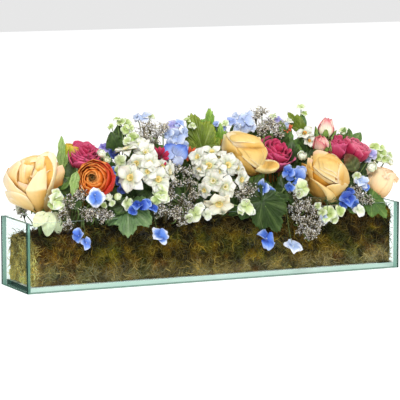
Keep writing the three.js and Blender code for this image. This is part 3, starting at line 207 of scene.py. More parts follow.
    def tube(self, pts, rad, c, sides=8, u0=0.0):
        """A closed tube through pts; rad and c may change along it."""
        p = np.asarray(pts, float)
        n = len(p)
        rad = np.broadcast_to(np.asarray(rad, float), (n,))
        t = np.gradient(p, axis=0)
        t /= np.linalg.norm(t, axis=1, keepdims=True) + 1e-9
        ref = np.array([0.31, 0.95, 0.05]) if abs(t[0][1]) < 0.8 else np.array([1.0, 0.1, 0.0])
        e = unit(np.cross(t[0], ref))
        rings = []
        for k in range(n):
            e = unit(e - t[k] * (e @ t[k]))
            g = np.cross(t[k], e)
            a = np.arange(sides) * 2 * math.pi / sides
            rings.append(p[k] + rad[k] * (np.cos(a)[:, None] * e + np.sin(a)[:, None] * g))
        v = np.concatenate(rings + [p[:1], p[-1:]])
        i = np.arange(n * sides).reshape(n, sides)
        j = np.roll(i, -1, 1)
        q = np.stack([i[:-1], j[:-1], j[1:], i[1:]], -1).reshape(-1, 4)
        cap0 = np.stack([j[0], i[0], np.full(sides, n * sides), np.full(sides, -1)], -1)
        cap1 = np.stack([i[-1], j[-1], np.full(sides, n * sides + 1), np.full(sides, -1)], -1)
        c = np.asarray(c, float)
        cc = np.repeat(np.broadcast_to(c, (n, 3)), sides, 0)
        cc = np.concatenate([cc, cc[:1], cc[-1:]])
        s = np.linspace(0, 1, n)
        uu = np.zeros((n * sides + 2, 3))
        uu[:n * sides, 0] = np.repeat(s, sides)
        uu[:, 2] = u0
        self.add(v, np.concatenate([q, cap0, cap1]), cc, uu)

    def blob(self, centre, r, axis, length, c, rows=5, cols=7, u0=0.0, bumps=0.0):
        """A closed rounded grain of radius r and half length along axis."""
        b = basis(axis)
        th = np.linspace(0, math.pi, rows + 1)[1:-1]
        ph = np.arange(cols) * 2 * math.pi / cols
        z = np.cos(th)[:, None] * length
        rr = np.sin(th)[:, None] * r
        if bumps:
            rr = rr * (1 + bumps * np.sin(3 * ph + 5 * u0)[None])
        loc = np.stack([rr * np.cos(ph), rr * np.sin(ph), np.broadcast_to(z, (rows - 1, cols))], -1)
        v = np.concatenate([loc.reshape(-1, 3), [[0, 0, length]], [[0, 0, -length]]]) @ b + np.asarray(centre)
        i = np.arange((rows - 1) * cols).reshape(rows - 1, cols)
        j = np.roll(i, -1, 1)
        q = np.stack([i[1:], j[1:], j[:-1], i[:-1]], -1).reshape(-1, 4)
        m = (rows - 1) * cols
        t0 = np.stack([i[0], j[0], np.full(cols, m), np.full(cols, -1)], -1)
        t1 = np.stack([j[-1], i[-1], np.full(cols, m + 1), np.full(cols, -1)], -1)
        uu = np.zeros((len(v), 3)); uu[:, 2] = u0
        self.add(v, np.concatenate([q, t0, t1]), c, uu)

    def make(self, name, mat, replaces=(), flat=False):
        v = np.concatenate(self.v) / 1000.0
        f = np.concatenate(self.f)
        c = np.concatenate(self.c)
        u = np.concatenate(self.u)
        tri = f[:, 3] < 0
        total = np.where(tri, 3, 4)
        start = np.concatenate([[0], np.cumsum(total)[:-1]])
        loops = f.reshape(-1)
        loops = loops[loops >= 0]
        me = bpy.data.meshes.new(name)
        me.vertices.add(len(v)); me.vertices.foreach_set("co", v.astype(np.float32).ravel())
        me.loops.add(len(loops)); me.loops.foreach_set("vertex_index", loops.astype(np.int32))
        me.polygons.add(len(f)); me.polygons.foreach_set("loop_start", start.astype(np.int32))
        me.polygons.foreach_set("loop_total", total.astype(np.int32))
        me.update(calc_edges=True)
        me.validate()
        a = me.color_attributes.new("Tint", "FLOAT_COLOR", "POINT")
        col = np.ones((len(v), 4), np.float32); col[:, :3] = np.clip(c, 0, 1)
        a.data.foreach_set("color", col.ravel())
        b = me.attributes.new("Along", "FLOAT_VECTOR", "POINT")
        b.data.foreach_set("vector", u.astype(np.float32).ravel())
        me.polygons.foreach_set("use_smooth", np.full(len(f), not flat))
        ob = bpy.data.objects.new(name, me)
        bpy.context.scene.collection.objects.link(ob)
        me.materials.append(mat)
        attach(ob, "root")
        if replaces:
            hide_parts(*replaces)
        TRIS[name] = int(np.where(tri, 1, 2).sum())
        return ob


TRIS = {}


# ---------------------------------------------------------------- materials
def nodes_of(name):
    m = bpy.data.materials.new(name)
    m.use_nodes = True
    nt = m.node_tree
    nt.nodes.clear()
    out = nt.nodes.new("ShaderNodeOutputMaterial")
    bs = nt.nodes.new("ShaderNodeBsdfPrincipled")
    nt.links.new(bs.outputs[0], out.inputs[0])
    return m, nt, bs, out


def node(nt, kind, **kw):
    n = nt.nodes.new(kind)
    for k, v in kw.items():
        if k.startswith("i_"):
            n.inputs[k[2:].replace("_", " ")].default_value = v
        else:
            setattr(n, k, v)
    return n


def ramp(nt, stops, fac=None, mode="LINEAR"):
    r = nt.nodes.new("ShaderNodeValToRGB")
    r.color_ramp.interpolation = mode
    e = r.color_ramp.elements
    while len(e) > 1:
        e.remove(e[-1])
    e[0].position, col = stops[0]
    e[0].color = (*col, 1) if len(col) == 3 else col
    for p, c in stops[1:]:
        k = e.new(p)
        k.color = (*c, 1) if len(c) == 3 else c
    if fac is not None:
        nt.links.new(fac, r.inputs[0])
    return r


def g3(v):
    return (v, v, v)


def petal_material(name, vein=0.25, vein_n=26.0, rough=0.5, sheen=0.0, sss=0.12, bump=0.25, mottle=0.10, spec=0.35):
    """Petal skin: the tint varies with fine lengthwise veins and a soft mottle, and the surface is faintly ribbed."""
    m, nt, bs, out = nodes_of(name)
    L = nt.links.new
    tint = node(nt, "ShaderNodeVertexColor", layer_name="Tint")
    al = node(nt, "ShaderNodeAttribute", attribute_type="GEOMETRY", attribute_name="Along")
    sep = nt.nodes.new("ShaderNodeSeparateXYZ"); L(al.outputs["Vector"], sep.inputs[0])
    comb = nt.nodes.new("ShaderNodeCombineXYZ")
    mx = node(nt, "ShaderNodeMath", operation="MULTIPLY"); mx.inputs[1].default_value = vein_n; L(sep.outputs[1], mx.inputs[0])
    my = node(nt, "ShaderNodeMath", operation="MULTIPLY"); my.inputs[1].default_value = 2.2; L(sep.outputs[0], my.inputs[0])
    mz = node(nt, "ShaderNodeMath", operation="MULTIPLY"); mz.inputs[1].default_value = 37.0; L(sep.outputs[2], mz.inputs[0])
    L(mx.outputs[0], comb.inputs[0]); L(my.outputs[0], comb.inputs[1]); L(mz.outputs[0], comb.inputs[2])
    veins = node(nt, "ShaderNodeTexNoise", i_Scale=1.0, i_Detail=3.0, i_Roughness=0.55)
    L(comb.outputs[0], veins.inputs["Vector"])
    tex = nt.nodes.new("ShaderNodeTexCoord")
    mott = node(nt, "ShaderNodeTexNoise", i_Scale=140.0, i_Detail=4.0, i_Roughness=0.6)
    L(tex.outputs["Object"], mott.inputs["Vector"])
    vr = ramp(nt, [(0.30, g3(1.0 - vein)), (0.55, g3(1.0)), (0.8, g3(1.0 + vein * 0.35))], veins.outputs["Fac"])
    mr = ramp(nt, [(0.25, g3(1.0 - mottle)), (0.6, g3(1.0)), (0.9, g3(1.0 + mottle * 0.4))], mott.outputs["Fac"])
    m1 = node(nt, "ShaderNodeMix", data_type="RGBA", blend_type="MULTIPLY"); m1.inputs[0].default_value = 1.0
    L(tint.outputs["Color"], m1.inputs[6]); L(vr.outputs[0], m1.inputs[7])
    m2 = node(nt, "ShaderNodeMix", data_type="RGBA", blend_type="MULTIPLY"); m2.inputs[0].default_value = 1.0
    L(m1.outputs[2], m2.inputs[6]); L(mr.outputs[0], m2.inputs[7])
    L(m2.outputs[2], bs.inputs["Base Color"])
    rr = node(nt, "ShaderNodeMapRange", i_To_Min=rough - 0.08, i_To_Max=rough + 0.12); L(mott.outputs["Fac"], rr.inputs["Value"])
    L(rr.outputs[0], bs.inputs["Roughness"])
    bs.inputs["Specular IOR Level"].default_value = spec
    bs.inputs["Subsurface Weight"].default_value = sss
    bs.inputs["Subsurface Radius"].default_value = (1.0, 0.6, 0.35)
    bs.inputs["Subsurface Scale"].default_value = 0.003
    bs.inputs["Sheen Weight"].default_value = sheen
    bs.inputs["Sheen Roughness"].default_value = 0.5
    bp = node(nt, "ShaderNodeBump", i_Strength=bump, i_Distance=0.0006)
    L(veins.outputs["Fac"], bp.inputs["Height"]); L(bp.outputs[0], bs.inputs["Normal"])
    return m


def leaf_material(name):
    """Leaf skin: tint with a pale network of small veins, satin gloss and a quilted surface."""
    m, nt, bs, out = nodes_of(name)
    L = nt.links.new
    tint = node(nt, "ShaderNodeVertexColor", layer_name="Tint")
    tex = nt.nodes.new("ShaderNodeTexCoord")
    vor = node(nt, "ShaderNodeTexVoronoi", feature="DISTANCE_TO_EDGE", i_Scale=330.0)
    L(tex.outputs["Object"], vor.inputs["Vector"])
    mott = node(nt, "ShaderNodeTexNoise", i_Scale=90.0, i_Detail=4.0, i_Roughness=0.65)
    L(tex.outputs["Object"], mott.inputs["Vector"])
    vr = ramp(nt, [(0.0, (1.25, 1.22, 1.1)), (0.12, g3(1.0)), (0.5, g3(0.93))], vor.outputs["Distance"])
    mr = ramp(nt, [(0.3, g3(0.72)), (0.55, g3(1.0)), (0.8, g3(1.16))], mott.outputs["Fac"])
    m1 = node(nt, "ShaderNodeMix", data_type="RGBA", blend_type="MULTIPLY"); m1.inputs[0].default_value = 1.0
    L(tint.outputs["Color"], m1.inputs[6]); L(vr.outputs[0], m1.inputs[7])
    m2 = node(nt, "ShaderNodeMix", data_type="RGBA", blend_type="MULTIPLY"); m2.inputs[0].default_value = 1.0
    L(m1.outputs[2], m2.inputs[6]); L(mr.outputs[0], m2.inputs[7])
    L(m2.outputs[2], bs.inputs["Base Color"])
    rr = node(nt, "ShaderNodeMapRange", i_To_Min=0.36, i_To_Max=0.6); L(mott.outputs["Fac"], rr.inputs["Value"])
    L(rr.outputs[0], bs.inputs["Roughness"])
    bs.inputs["Specular IOR Level"].default_value = 0.45
    bs.inputs["Subsurface Weight"].default_value = 0.08
    bs.inputs["Subsurface Radius"].default_value = (0.5, 1.0, 0.2)
    bs.inputs["Subsurface Scale"].default_value = 0.002
    bp = node(nt, "ShaderNodeBump", i_Strength=0.45, i_Distance=0.0008)
    L(vor.outputs["Distance"], bp.inputs["Height"]); L(bp.outputs[0], bs.inputs["Normal"])
    return m


def stalk_material(name):
    m, nt, bs, out = nodes_of(name)
    L = nt.links.new
    tint = node(nt, "ShaderNodeVertexColor", layer_name="Tint")
    tex = nt.nodes.new("ShaderNodeTexCoord")
    mp = nt.nodes.new("ShaderNodeMapping"); mp.inputs["Scale"].default_value = (1, 1, 0.15)
    L(tex.outputs["Object"], mp.inputs["Vector"])
    n1 = node(nt, "ShaderNodeTexNoise", i_Scale=900.0, i_Detail=3.0)
    L(mp.outputs[0], n1.inputs["Vector"])
    mr = ramp(nt, [(0.3, g3(0.72)), (0.6, g3(1.0)), (0.85, g3(1.18))], n1.outputs["Fac"])
    m1 = node(nt, "ShaderNodeMix", data_type="RGBA", blend_type="MULTIPLY"); m1.inputs[0].default_value = 1.0
    L(tint.outputs["Color"], m1.inputs[6]); L(mr.outputs[0], m1.inputs[7])
    L(m1.outputs[2], bs.inputs["Base Color"])
    rr = node(nt, "ShaderNodeMapRange", i_To_Min=0.42, i_To_Max=0.62); L(n1.outputs["Fac"], rr.inputs["Value"])
    L(rr.outputs[0], bs.inputs["Roughness"])
    bp = node(nt, "ShaderNodeBump", i_Strength=0.3, i_Distance=0.0003)
    L(n1.outputs["Fac"], bp.inputs["Height"]); L(bp.outputs[0], bs.inputs["Normal"])
    return m


def moss_material(name):
    """Matted moss: threads of lighter and darker fibre cross it at two sizes, over a soft mottle."""
    m, nt, bs, out = nodes_of(name)
    L = nt.links.new
    tint = node(nt, "ShaderNodeVertexColor", layer_name="Tint")
    tex = nt.nodes.new("ShaderNodeTexCoord")

    def threads(scale, warp, width):
        n = node(nt, "ShaderNodeTexNoise", i_Scale=scale, i_Detail=2.5, i_Roughness=0.55, i_Distortion=warp)
        L(tex.outputs["Object"], n.inputs["Vector"])
        a = node(nt, "ShaderNodeMath", operation="SUBTRACT"); a.inputs[1].default_value = 0.5; L(n.outputs["Fac"], a.inputs[0])
        b = node(nt, "ShaderNodeMath", operation="ABSOLUTE"); L(a.outputs[0], b.inputs[0])
        c = node(nt, "ShaderNodeMapRange", i_From_Min=0.0, i_From_Max=width, i_To_Min=1.0, i_To_Max=0.0); L(b.outputs[0], c.inputs["Value"])
        return c.outputs[0]

    t1, t2 = threads(230.0, 1.4, 0.045), threads(520.0, 1.0, 0.06)
    mx = node(nt, "ShaderNodeMath", operation="MAXIMUM"); L(t1, mx.inputs[0]); L(t2, mx.inputs[1])
    n1 = node(nt, "ShaderNodeTexNoise", i_Scale=160.0, i_Detail=6.0, i_Roughness=0.75)
    L(tex.outputs["Object"], n1.inputs["Vector"])
    tr = ramp(nt, [(0.0, (0.42, 0.42, 0.42)), (0.55, (1.0, 0.97, 0.85)), (1.0, (2.1, 1.75, 1.05))], mx.outputs[0])
    mr = ramp(nt, [(0.32, g3(0.35)), (0.5, g3(0.95)), (0.72, (1.55, 1.5, 1.2))], n1.outputs["Fac"])
    m1 = node(nt, "ShaderNodeMix", data_type="RGBA", blend_type="MULTIPLY"); m1.inputs[0].default_value = 1.0
    L(tint.outputs["Color"], m1.inputs[6]); L(mr.outputs[0], m1.inputs[7])
    m2 = node(nt, "ShaderNodeMix", data_type="RGBA", blend_type="MULTIPLY"); m2.inputs[0].default_value = 1.0
    L(m1.outputs[2], m2.inputs[6]); L(tr.outputs[0], m2.inputs[7])
    L(m2.outputs[2], bs.inputs["Base Color"])
    rr = node(nt, "ShaderNodeMapRange", i_To_Min=0.7, i_To_Max=0.95); L(n1.outputs["Fac"], rr.inputs["Value"])
    L(rr.outputs[0], bs.inputs["Roughness"])
    bs.inputs["Specular IOR Level"].default_value = 0.15
    add = node(nt, "ShaderNodeMath", operation="ADD"); L(mx.outputs[0], add.inputs[0]); L(n1.outputs["Fac"], add.inputs[1])
    bp = node(nt, "ShaderNodeBump", i_Strength=0.8, i_Distance=0.0015)
    L(add.outputs[0], bp.inputs["Height"]); L(bp.outputs[0], bs.inputs["Normal"])
    return m
# Where each flower, leaf and stalk is: millimetres, in the CAD frame.
PLANTS = {
    "rose_left": {
        "heads": [
            {"t": "cup", "P": [-268.5, 3.0, 117.3], "D": [-0.268, -0.332, 0.905], "R": 36, "H": 78},
        ],
        "stalks": [
            (3.0, 0, [(-260.7, 1.5, 40.0), (-261.1, 2.5, 54.2), (-261.7, 3.7, 67.9), (-262.6, 4.7, 81.1), (-264.2, 5.0, 93.9), (-266.4, 4.2, 106.6), (-269.2, 2.3, 119.2)]),
        ],
    },
    "rose_centre": {
        "heads": [
            {"t": "cup", "P": [77.6, -7.3, 146.6], "D": [-0.456, -0.022, 0.89], "R": 36, "H": 66},
        ],
        "stalks": [
            (3.0, 0, [(77.8, -6.3, 40.0), (79.3, -7.9, 59.1), (81.0, -9.4, 77.7), (82.3, -10.6, 95.7), (82.3, -10.8, 113.4), (80.4, -9.7, 130.9), (76.6, -6.9, 148.4)]),
        ],
    },
    "rose_right": {
        "heads": [
            {"t": "cup", "P": [177.7, -7.9, 115.1], "D": [0.186, -0.592, 0.784], "R": 36, "H": 68},
        ],
        "stalks": [
            (3.0, 0, [(177.5, -6.6, 40.0), (177.7, -5.6, 53.6), (177.6, -4.4, 66.9), (177.5, -3.6, 79.9), (177.6, -3.8, 92.4), (177.8, -5.6, 104.6), (178.1, -9.0, 116.7)]),
        ],
    },
    "rose_end": {
        "heads": [
            {"t": "cup", "P": [278.7, -21.9, 105.1], "D": [0.393, 0.077, 0.916], "R": 24, "H": 50},
        ],
        "stalks": [
            (2.6, 0, [(270.0, -12.3, 40.0), (270.7, -13.7, 51.7), (271.5, -15.5, 63.0), (272.7, -17.5, 73.9), (274.4, -19.4, 84.8), (276.7, -20.9, 95.8), (279.4, -21.8, 106.9)]),
        ],
    },
    "rose_back_left": {
        "heads": [
            {"t": "cup", "P": [-178.0, 22.0, 124.0], "D": [-0.226, 0.738, 0.636], "R": 36, "H": 66},
        ],
        "stalks": [
            (3.0, 0, [(-172.7, 7.7, 40.0), (-172.9, 7.9, 55.6), (-173.2, 8.3, 70.9), (-173.7, 9.6, 85.6), (-174.8, 12.3, 99.6), (-176.4, 17.0, 112.7), (-178.5, 23.5, 125.3)]),
        ],
    },
    "rose_back_right": {
        "heads": [
            {"t": "cup", "P": [132.0, 26.0, 128.0], "D": [0.186, 0.725, 0.663], "R": 36, "H": 68},
        ],
        "stalks": [
            (3.0, 0, [(129.7, 9.5, 40.0), (129.6, 9.9, 56.3), (129.4, 10.7, 72.2), (129.5, 12.3, 87.5), (129.9, 15.5, 102.1), (130.9, 20.6, 116.0), (132.4, 27.5, 129.3)]),
        ],
    },
    "ranunculus_orange": {
        "heads": [
            {"t": "cup", "P": [-182.0, -29.4, 154.9], "D": [-0.626, -0.743, 0.239], "R": 27, "H": 34},
        ],
        "stalks": [
            (2.2, 0, [(-174.0, -9.5, 40.0), (-173.1, -9.8, 62.5), (-172.0, -10.4, 84.8), (-171.6, -12.1, 106.1), (-172.9, -15.9, 125.2), (-176.5, -22.5, 141.6), (-183.3, -30.9, 155.4)]),
        ],
    },
    "ranunculus_yellow": {
        "heads": [
            {"t": "cup", "P": [-216.8, 0.4, 183.3], "D": [0.308, -0.187, 0.933], "R": 13.5, "H": 26},
        ],
        "stalks": [
            (1.8, 0, [(-211.5, -0.4, 40.0), (-213.4, 0.5, 65.2), (-215.8, 1.5, 89.6), (-218.0, 2.4, 113.5), (-219.2, 2.6, 137.1), (-218.6, 1.8, 161.0), (-216.2, 0.1, 185.2)]),
        ],
    },
    "peony_left": {
        "heads": [
            {"t": "cup", "P": [-200.2, -1.1, 173.0], "D": [0.031, -0.467, 0.884], "R": 23, "H": 38},
        ],
        "stalks": [
            (2.2, 0, [(-197.8, 5.6, 40.0), (-198.2, 6.4, 63.6), (-198.8, 7.3, 86.5), (-199.3, 7.6, 108.8), (-199.8, 6.5, 130.8), (-200.1, 3.2, 152.7), (-200.1, -2.1, 174.7)]),
        ],
    },
    "peony_centre": {
        "heads": [
            {"t": "cup", "P": [118.3, 19.6, 156.8], "D": [0.081, -0.566, 0.82], "R": 26, "H": 48},
        ],
        "stalks": [
            (2.2, 0, [(115.2, 6.1, 40.0), (114.7, 9.2, 60.5), (114.1, 13.0, 80.7), (114.0, 16.9, 100.3), (114.5, 19.7, 119.7), (116.1, 20.3, 139.1), (118.7, 18.6, 158.6)]),
        ],
    },
    "peony_right": {
        "heads": [
            {"t": "cup", "P": [224.5, 6.9, 158.9], "D": [0.013, -0.214, 0.977], "R": 16, "H": 46},
        ],
        "stalks": [
            (2.0, 0, [(216.6, -0.3, 40.0), (217.6, 1.3, 60.8), (218.9, 3.4, 81.0), (220.4, 5.5, 100.7), (222.0, 7.0, 120.3), (223.4, 7.3, 140.3), (224.5, 6.5, 160.9)]),
        ],
    },
    "ranunculus_crimson": {
        "heads": [
            {"t": "cup", "P": [248.6, 2.1, 164.8], "D": [0.383, -0.38, 0.842], "R": 21.5, "H": 32},
        ],
        "stalks": [
            (2.2, 0, [(241.4, 3.6, 40.0), (241.0, 4.8, 62.3), (240.7, 6.0, 84.0), (240.9, 7.0, 105.1), (242.2, 6.8, 125.8), (245.1, 4.9, 146.2), (249.4, 1.3, 166.5)]),
        ],
    },
    "rosebud_spray": {
        "heads": [
            {"t": "cup", "P": [208.7, 10.3, 196.1], "D": [0.103, -0.136, 0.985], "R": 13.5, "H": 33},
            {"t": "cup", "P": [198.5, -3.7, 178.9], "D": [-0.374, -0.321, 0.87], "R": 13, "H": 27},
        ],
        "stalks": [
            (1.8, -1, [(197.5, 1.2, 40.0), (197.8, 1.4, 59.2), (198.3, 1.6, 77.7), (198.9, 2.1, 95.9), (199.7, 2.9, 113.9), (200.9, 4.6, 132.3), (200.7, 2.1, 151.8)]),
            (1.26, 0, [(200.7, 2.1, 151.8), (202.0, 3.5, 159.8), (203.3, 5.0, 167.5), (204.7, 6.5, 175.0), (206.1, 8.0, 182.5), (207.6, 9.1, 190.1), (208.9, 10.0, 198.0)]),
            (1.26, 1, [(200.7, 2.1, 151.8), (201.0, 2.9, 157.2), (200.4, 1.1, 161.9), (199.9, -0.3, 166.5), (199.3, -1.6, 171.2), (198.6, -2.9, 175.9), (197.7, -4.3, 180.7)]),
        ],
    },
    "ranunculus_back": {
        "heads": [
            {"t": "cup", "P": [-22.0, 46.0, 140.0], "D": [0.05, 0.799, 0.599], "R": 26, "H": 34},
        ],
        "stalks": [
            (2.2, 0, [(-18.5, 16.2, 40.0), (-19.2, 18.2, 58.8), (-20.2, 21.0, 77.2), (-21.7, 25.5, 94.9), (-24.6, 34.6, 110.1), (-22.7, 40.4, 127.3), (-21.9, 47.6, 141.2)]),
        ],
    },
    "peony_back": {
        "heads": [
            {"t": "cup", "P": [228.0, 30.0, 118.0], "D": [0.351, 0.621, 0.701], "R": 24, "H": 42},
        ],
        "stalks": [
            (2.2, 0, [(222.3, 13.3, 40.0), (222.3, 14.2, 54.4), (222.4, 15.4, 68.5), (222.8, 17.5, 82.0), (223.9, 20.8, 94.9), (225.9, 25.4, 107.4), (228.7, 31.2, 119.4)]),
        ],
    },
    "narcissus_left": {
        "heads": [
            {"t": "narc", "P": [-132.0, -12.0, 196.5], "D": [-0.387, -0.094, 0.917], "R": 17.4, "col": "w"},
            {"t": "narc", "P": [-107.8, -26.0, 193.0], "D": [-0.259, -0.787, 0.56], "R": 16.6, "col": "w"},
            {"t": "narc", "P": [-125.3, -34.0, 179.1], "D": [-0.546, -0.808, 0.222], "R": 14.9, "col": "w"},
            {"t": "narc", "P": [-141.5, -50.0, 160.2], "D": [-0.662, -0.701, 0.266], "R": 19.8, "col": "w"},
            {"t": "narc", "P": [-107.5, -40.0, 178.9], "D": [-0.129, -0.748, 0.651], "R": 14.9, "col": "w"},
            {"t": "narc", "P": [-99.2, -50.0, 155.9], "D": [-0.071, -0.974, 0.215], "R": 18.2, "col": "w"},
            {"t": "narc", "P": [-78.6, -42.0, 165.1], "D": [0.697, -0.702, 0.144], "R": 16.6, "col": "w"},
        ],
        "stalks": [
            (1.9, -1, [(-107.0, -8.7, 40.0), (-107.5, -10.6, 59.8), (-108.0, -13.1, 78.9), (-108.7, -16.2, 97.6), (-109.5, -19.7, 116.1), (-110.3, -23.6, 135.0), (-111.2, -27.5, 154.4)]),
            (1.33, 0, [(-111.2, -27.5, 154.4), (-114.3, -24.9, 161.7), (-117.6, -22.1, 168.5), (-121.1, -19.2, 175.1), (-124.6, -16.4, 181.6), (-128.1, -14.0, 188.4), (-131.6, -11.9, 195.5)]),
            (1.33, 1, [(-111.2, -27.5, 154.4), (-110.4, -26.7, 161.1), (-109.7, -25.8, 167.6), (-108.9, -25.0, 173.9), (-108.2, -24.5, 180.1), (-107.7, -24.6, 186.3), (-107.5, -25.2, 192.5)]),
            (1.33, 2, [(-111.2, -27.5, 154.4), (-113.2, -28.1, 158.9), (-115.3, -28.7, 163.2), (-117.5, -29.4, 167.4), (-119.9, -30.3, 171.3), (-122.3, -31.6, 175.1), (-124.8, -33.2, 178.9)]),
            (1.33, 3, [(-111.2, -27.5, 154.4), (-116.0, -30.9, 156.3), (-120.9, -34.4, 157.4), (-125.9, -38.0, 158.0), (-130.9, -41.6, 158.3), (-135.9, -45.4, 158.9), (-140.9, -49.3, 160.0)]),
            (1.33, 4, [(-111.2, -27.5, 154.4), (-110.5, -29.2, 158.6), (-109.8, -30.9, 162.7), (-109.0, -32.8, 166.6), (-108.4, -34.8, 170.4), (-107.8, -37.0, 174.3), (-107.4, -39.3, 178.2)]),
            (1.33, 5, [(-111.2, -27.5, 154.4), (-109.0, -31.0, 155.3), (-106.8, -34.4, 155.6), (-104.6, -38.0, 155.6), (-102.5, -41.6, 155.4), (-100.7, -45.3, 155.4), (-99.1, -49.0, 155.7)]),
            (1.33, 6, [(-111.2, -27.5, 154.4), (-106.1, -29.5, 157.1), (-100.9, -31.5, 159.2), (-95.5, -33.6, 160.7), (-90.0, -35.9, 161.9), (-84.6, -38.5, 163.3), (-79.3, -41.3, 165.0)]),
        ],
    },
    "narcissus_centre": {
        "heads": [
            {"t": "narc", "P": [-10.0, -38.0, 170.4], "D": [-0.455, -0.848, 0.273], "R": 18.4, "col": "w"},
            {"t": "narc", "P": [-23.5, -30.0, 182.9], "D": [-0.801, -0.402, 0.443], "R": 14.2, "col": "w"},
            {"t": "narc", "P": [3.5, -20.0, 187.4], "D": [-0.211, -0.449, 0.868], "R": 14.3, "col": "w"},
            {"t": "narc", "P": [18.6, -40.0, 169.9], "D": [0.05, -0.95, 0.307], "R": 18.5, "col": "w"},
            {"t": "narc", "P": [-8.3, -50.0, 149.2], "D": [-0.635, -0.763, 0.12], "R": 15.9, "col": "w"},
            {"t": "narc", "P": [9.0, -54.0, 139.8], "D": [-0.281, -0.952, 0.123], "R": 16.7, "col": "w"},
            {"t": "narc", "P": [38.3, -44.0, 148.4], "D": [0.4, -0.916, -0.018], "R": 16.0, "col": "w"},
            {"t": "narc", "P": [-3.1, -58.0, 118.5], "D": [-0.271, -0.694, -0.668], "R": 22.2, "col": "c"},
        ],
        "stalks": [
            (1.9, -1, [(3.8, -13.8, 40.0), (3.7, -15.7, 57.8), (3.7, -18.0, 75.0), (3.6, -21.1, 91.8), (3.6, -24.7, 108.4), (3.5, -28.7, 125.3), (3.5, -32.9, 142.5)]),
            (1.33, 0, [(3.5, -32.9, 142.5), (1.5, -33.2, 147.5), (-0.5, -33.5, 152.4), (-2.7, -33.9, 157.0), (-4.9, -34.5, 161.5), (-7.2, -35.6, 165.8), (-9.6, -37.2, 170.1)]),
            (1.33, 1, [(3.5, -32.9, 142.5), (-0.2, -31.9, 149.8), (-4.0, -30.7, 156.8), (-8.1, -29.4, 163.6), (-12.2, -27.9, 170.2), (-17.4, -27.5, 176.3), (-22.7, -29.6, 182.4)]),
            (1.33, 2, [(3.5, -32.9, 142.5), (3.6, -30.4, 150.1), (3.8, -27.8, 157.5), (4.0, -25.1, 164.7), (4.0, -22.7, 171.8), (3.9, -20.8, 179.1), (3.7, -19.6, 186.5)]),
            (1.33, 3, [(3.5, -32.9, 142.5), (5.9, -33.4, 147.5), (8.5, -34.0, 152.2), (11.3, -34.7, 156.8), (13.9, -35.7, 161.1), (16.4, -37.2, 165.4), (18.6, -39.0, 169.6)]),
            (1.33, 4, [(3.5, -32.9, 142.5), (1.7, -35.4, 144.1), (-0.0, -38.0, 145.4), (-1.8, -40.8, 146.3), (-3.7, -43.6, 147.2), (-5.7, -46.4, 148.0), (-7.7, -49.2, 149.0)]),
            (1.33, 5, [(3.5, -32.9, 142.5), (4.6, -36.2, 142.6), (5.8, -39.5, 142.3), (6.9, -42.9, 141.5), (7.9, -46.2, 140.7), (8.7, -49.6, 140.0), (9.2, -53.0, 139.6)]),
            (1.33, 6, [(3.5, -32.9, 142.5), (9.2, -34.1, 144.5), (15.1, -35.3, 145.9), (21.1, -36.6, 146.7), (27.0, -38.3, 147.1), (32.6, -40.4, 147.6), (37.9, -43.1, 148.4)]),
            (1.33, 7, [(3.5, -32.9, 142.5), (2.3, -37.5, 139.8), (1.3, -41.7, 136.4), (0.4, -45.6, 132.2), (-0.5, -49.3, 127.7), (-1.6, -53.1, 123.3), (-2.9, -57.3, 119.1)]),
        ],
    },
    "narcissus_right": {
        "heads": [
            {"t": "narc", "P": [174.2, 8.0, 206.1], "D": [-0.475, -0.531, 0.702], "R": 13.0, "col": "o"},
            {"t": "narc", "P": [178.0, 2.0, 195.8], "D": [-0.097, -0.925, 0.367], "R": 9.2, "col": "o"},
        ],
        "stalks": [
            (1.6, -1, [(173.8, 7.6, 40.0), (174.0, 7.5, 60.2), (174.1, 7.4, 79.8), (174.4, 7.2, 99.0), (174.6, 7.0, 118.1), (174.9, 6.8, 137.7), (175.2, 6.6, 157.9)]),
            (1.12, 0, [(175.2, 6.6, 157.9), (175.4, 7.2, 166.2), (175.7, 8.0, 174.3), (175.9, 8.8, 182.1), (175.8, 9.3, 189.9), (175.4, 9.5, 197.7), (174.6, 8.5, 205.4)]),
            (1.12, 1, [(175.2, 6.6, 157.9), (175.7, 6.5, 164.6), (176.3, 6.5, 171.1), (176.9, 6.3, 177.4), (177.4, 5.7, 183.5), (177.8, 4.6, 189.5), (178.1, 2.9, 195.4)]),
        ],
    },
    "narcissus_back": {
        "heads": [
            {"t": "narc", "P": [60.0, 62.0, 158.0], "D": [0.101, 0.858, 0.504], "R": 16, "col": "w"},
            {"t": "narc", "P": [84.0, 66.0, 140.0], "D": [0.302, 0.905, 0.302], "R": 16, "col": "w"},
            {"t": "narc", "P": [46.0, 72.0, 134.0], "D": [-0.202, 0.958, 0.202], "R": 16, "col": "w"},
            {"t": "narc", "P": [68.0, 74.0, 122.0], "D": [0.1, 0.995, 0.0], "R": 16, "col": "w"},
            {"t": "narc", "P": [92.0, 58.0, 160.0], "D": [0.398, 0.597, 0.697], "R": 15, "col": "w"},
        ],
        "stalks": [
            (1.9, -1, [(66.6, 21.0, 40.0), (67.0, 24.0, 56.3), (67.4, 27.9, 72.1), (68.2, 32.9, 87.2), (69.2, 39.1, 101.9), (70.5, 45.7, 118.4), (68.9, 52.2, 131.5)]),
            (1.33, 0, [(68.9, 52.2, 131.5), (67.4, 53.3, 136.2), (65.8, 54.5, 140.7), (64.1, 55.7, 144.9), (62.5, 57.3, 149.1), (61.1, 59.1, 153.3), (59.9, 61.1, 157.5)]),
            (1.33, 1, [(68.9, 52.2, 131.5), (71.3, 54.1, 133.4), (73.8, 56.1, 134.9), (76.4, 58.1, 136.1), (79.0, 60.3, 137.2), (81.4, 62.6, 138.3), (83.7, 65.1, 139.7)]),
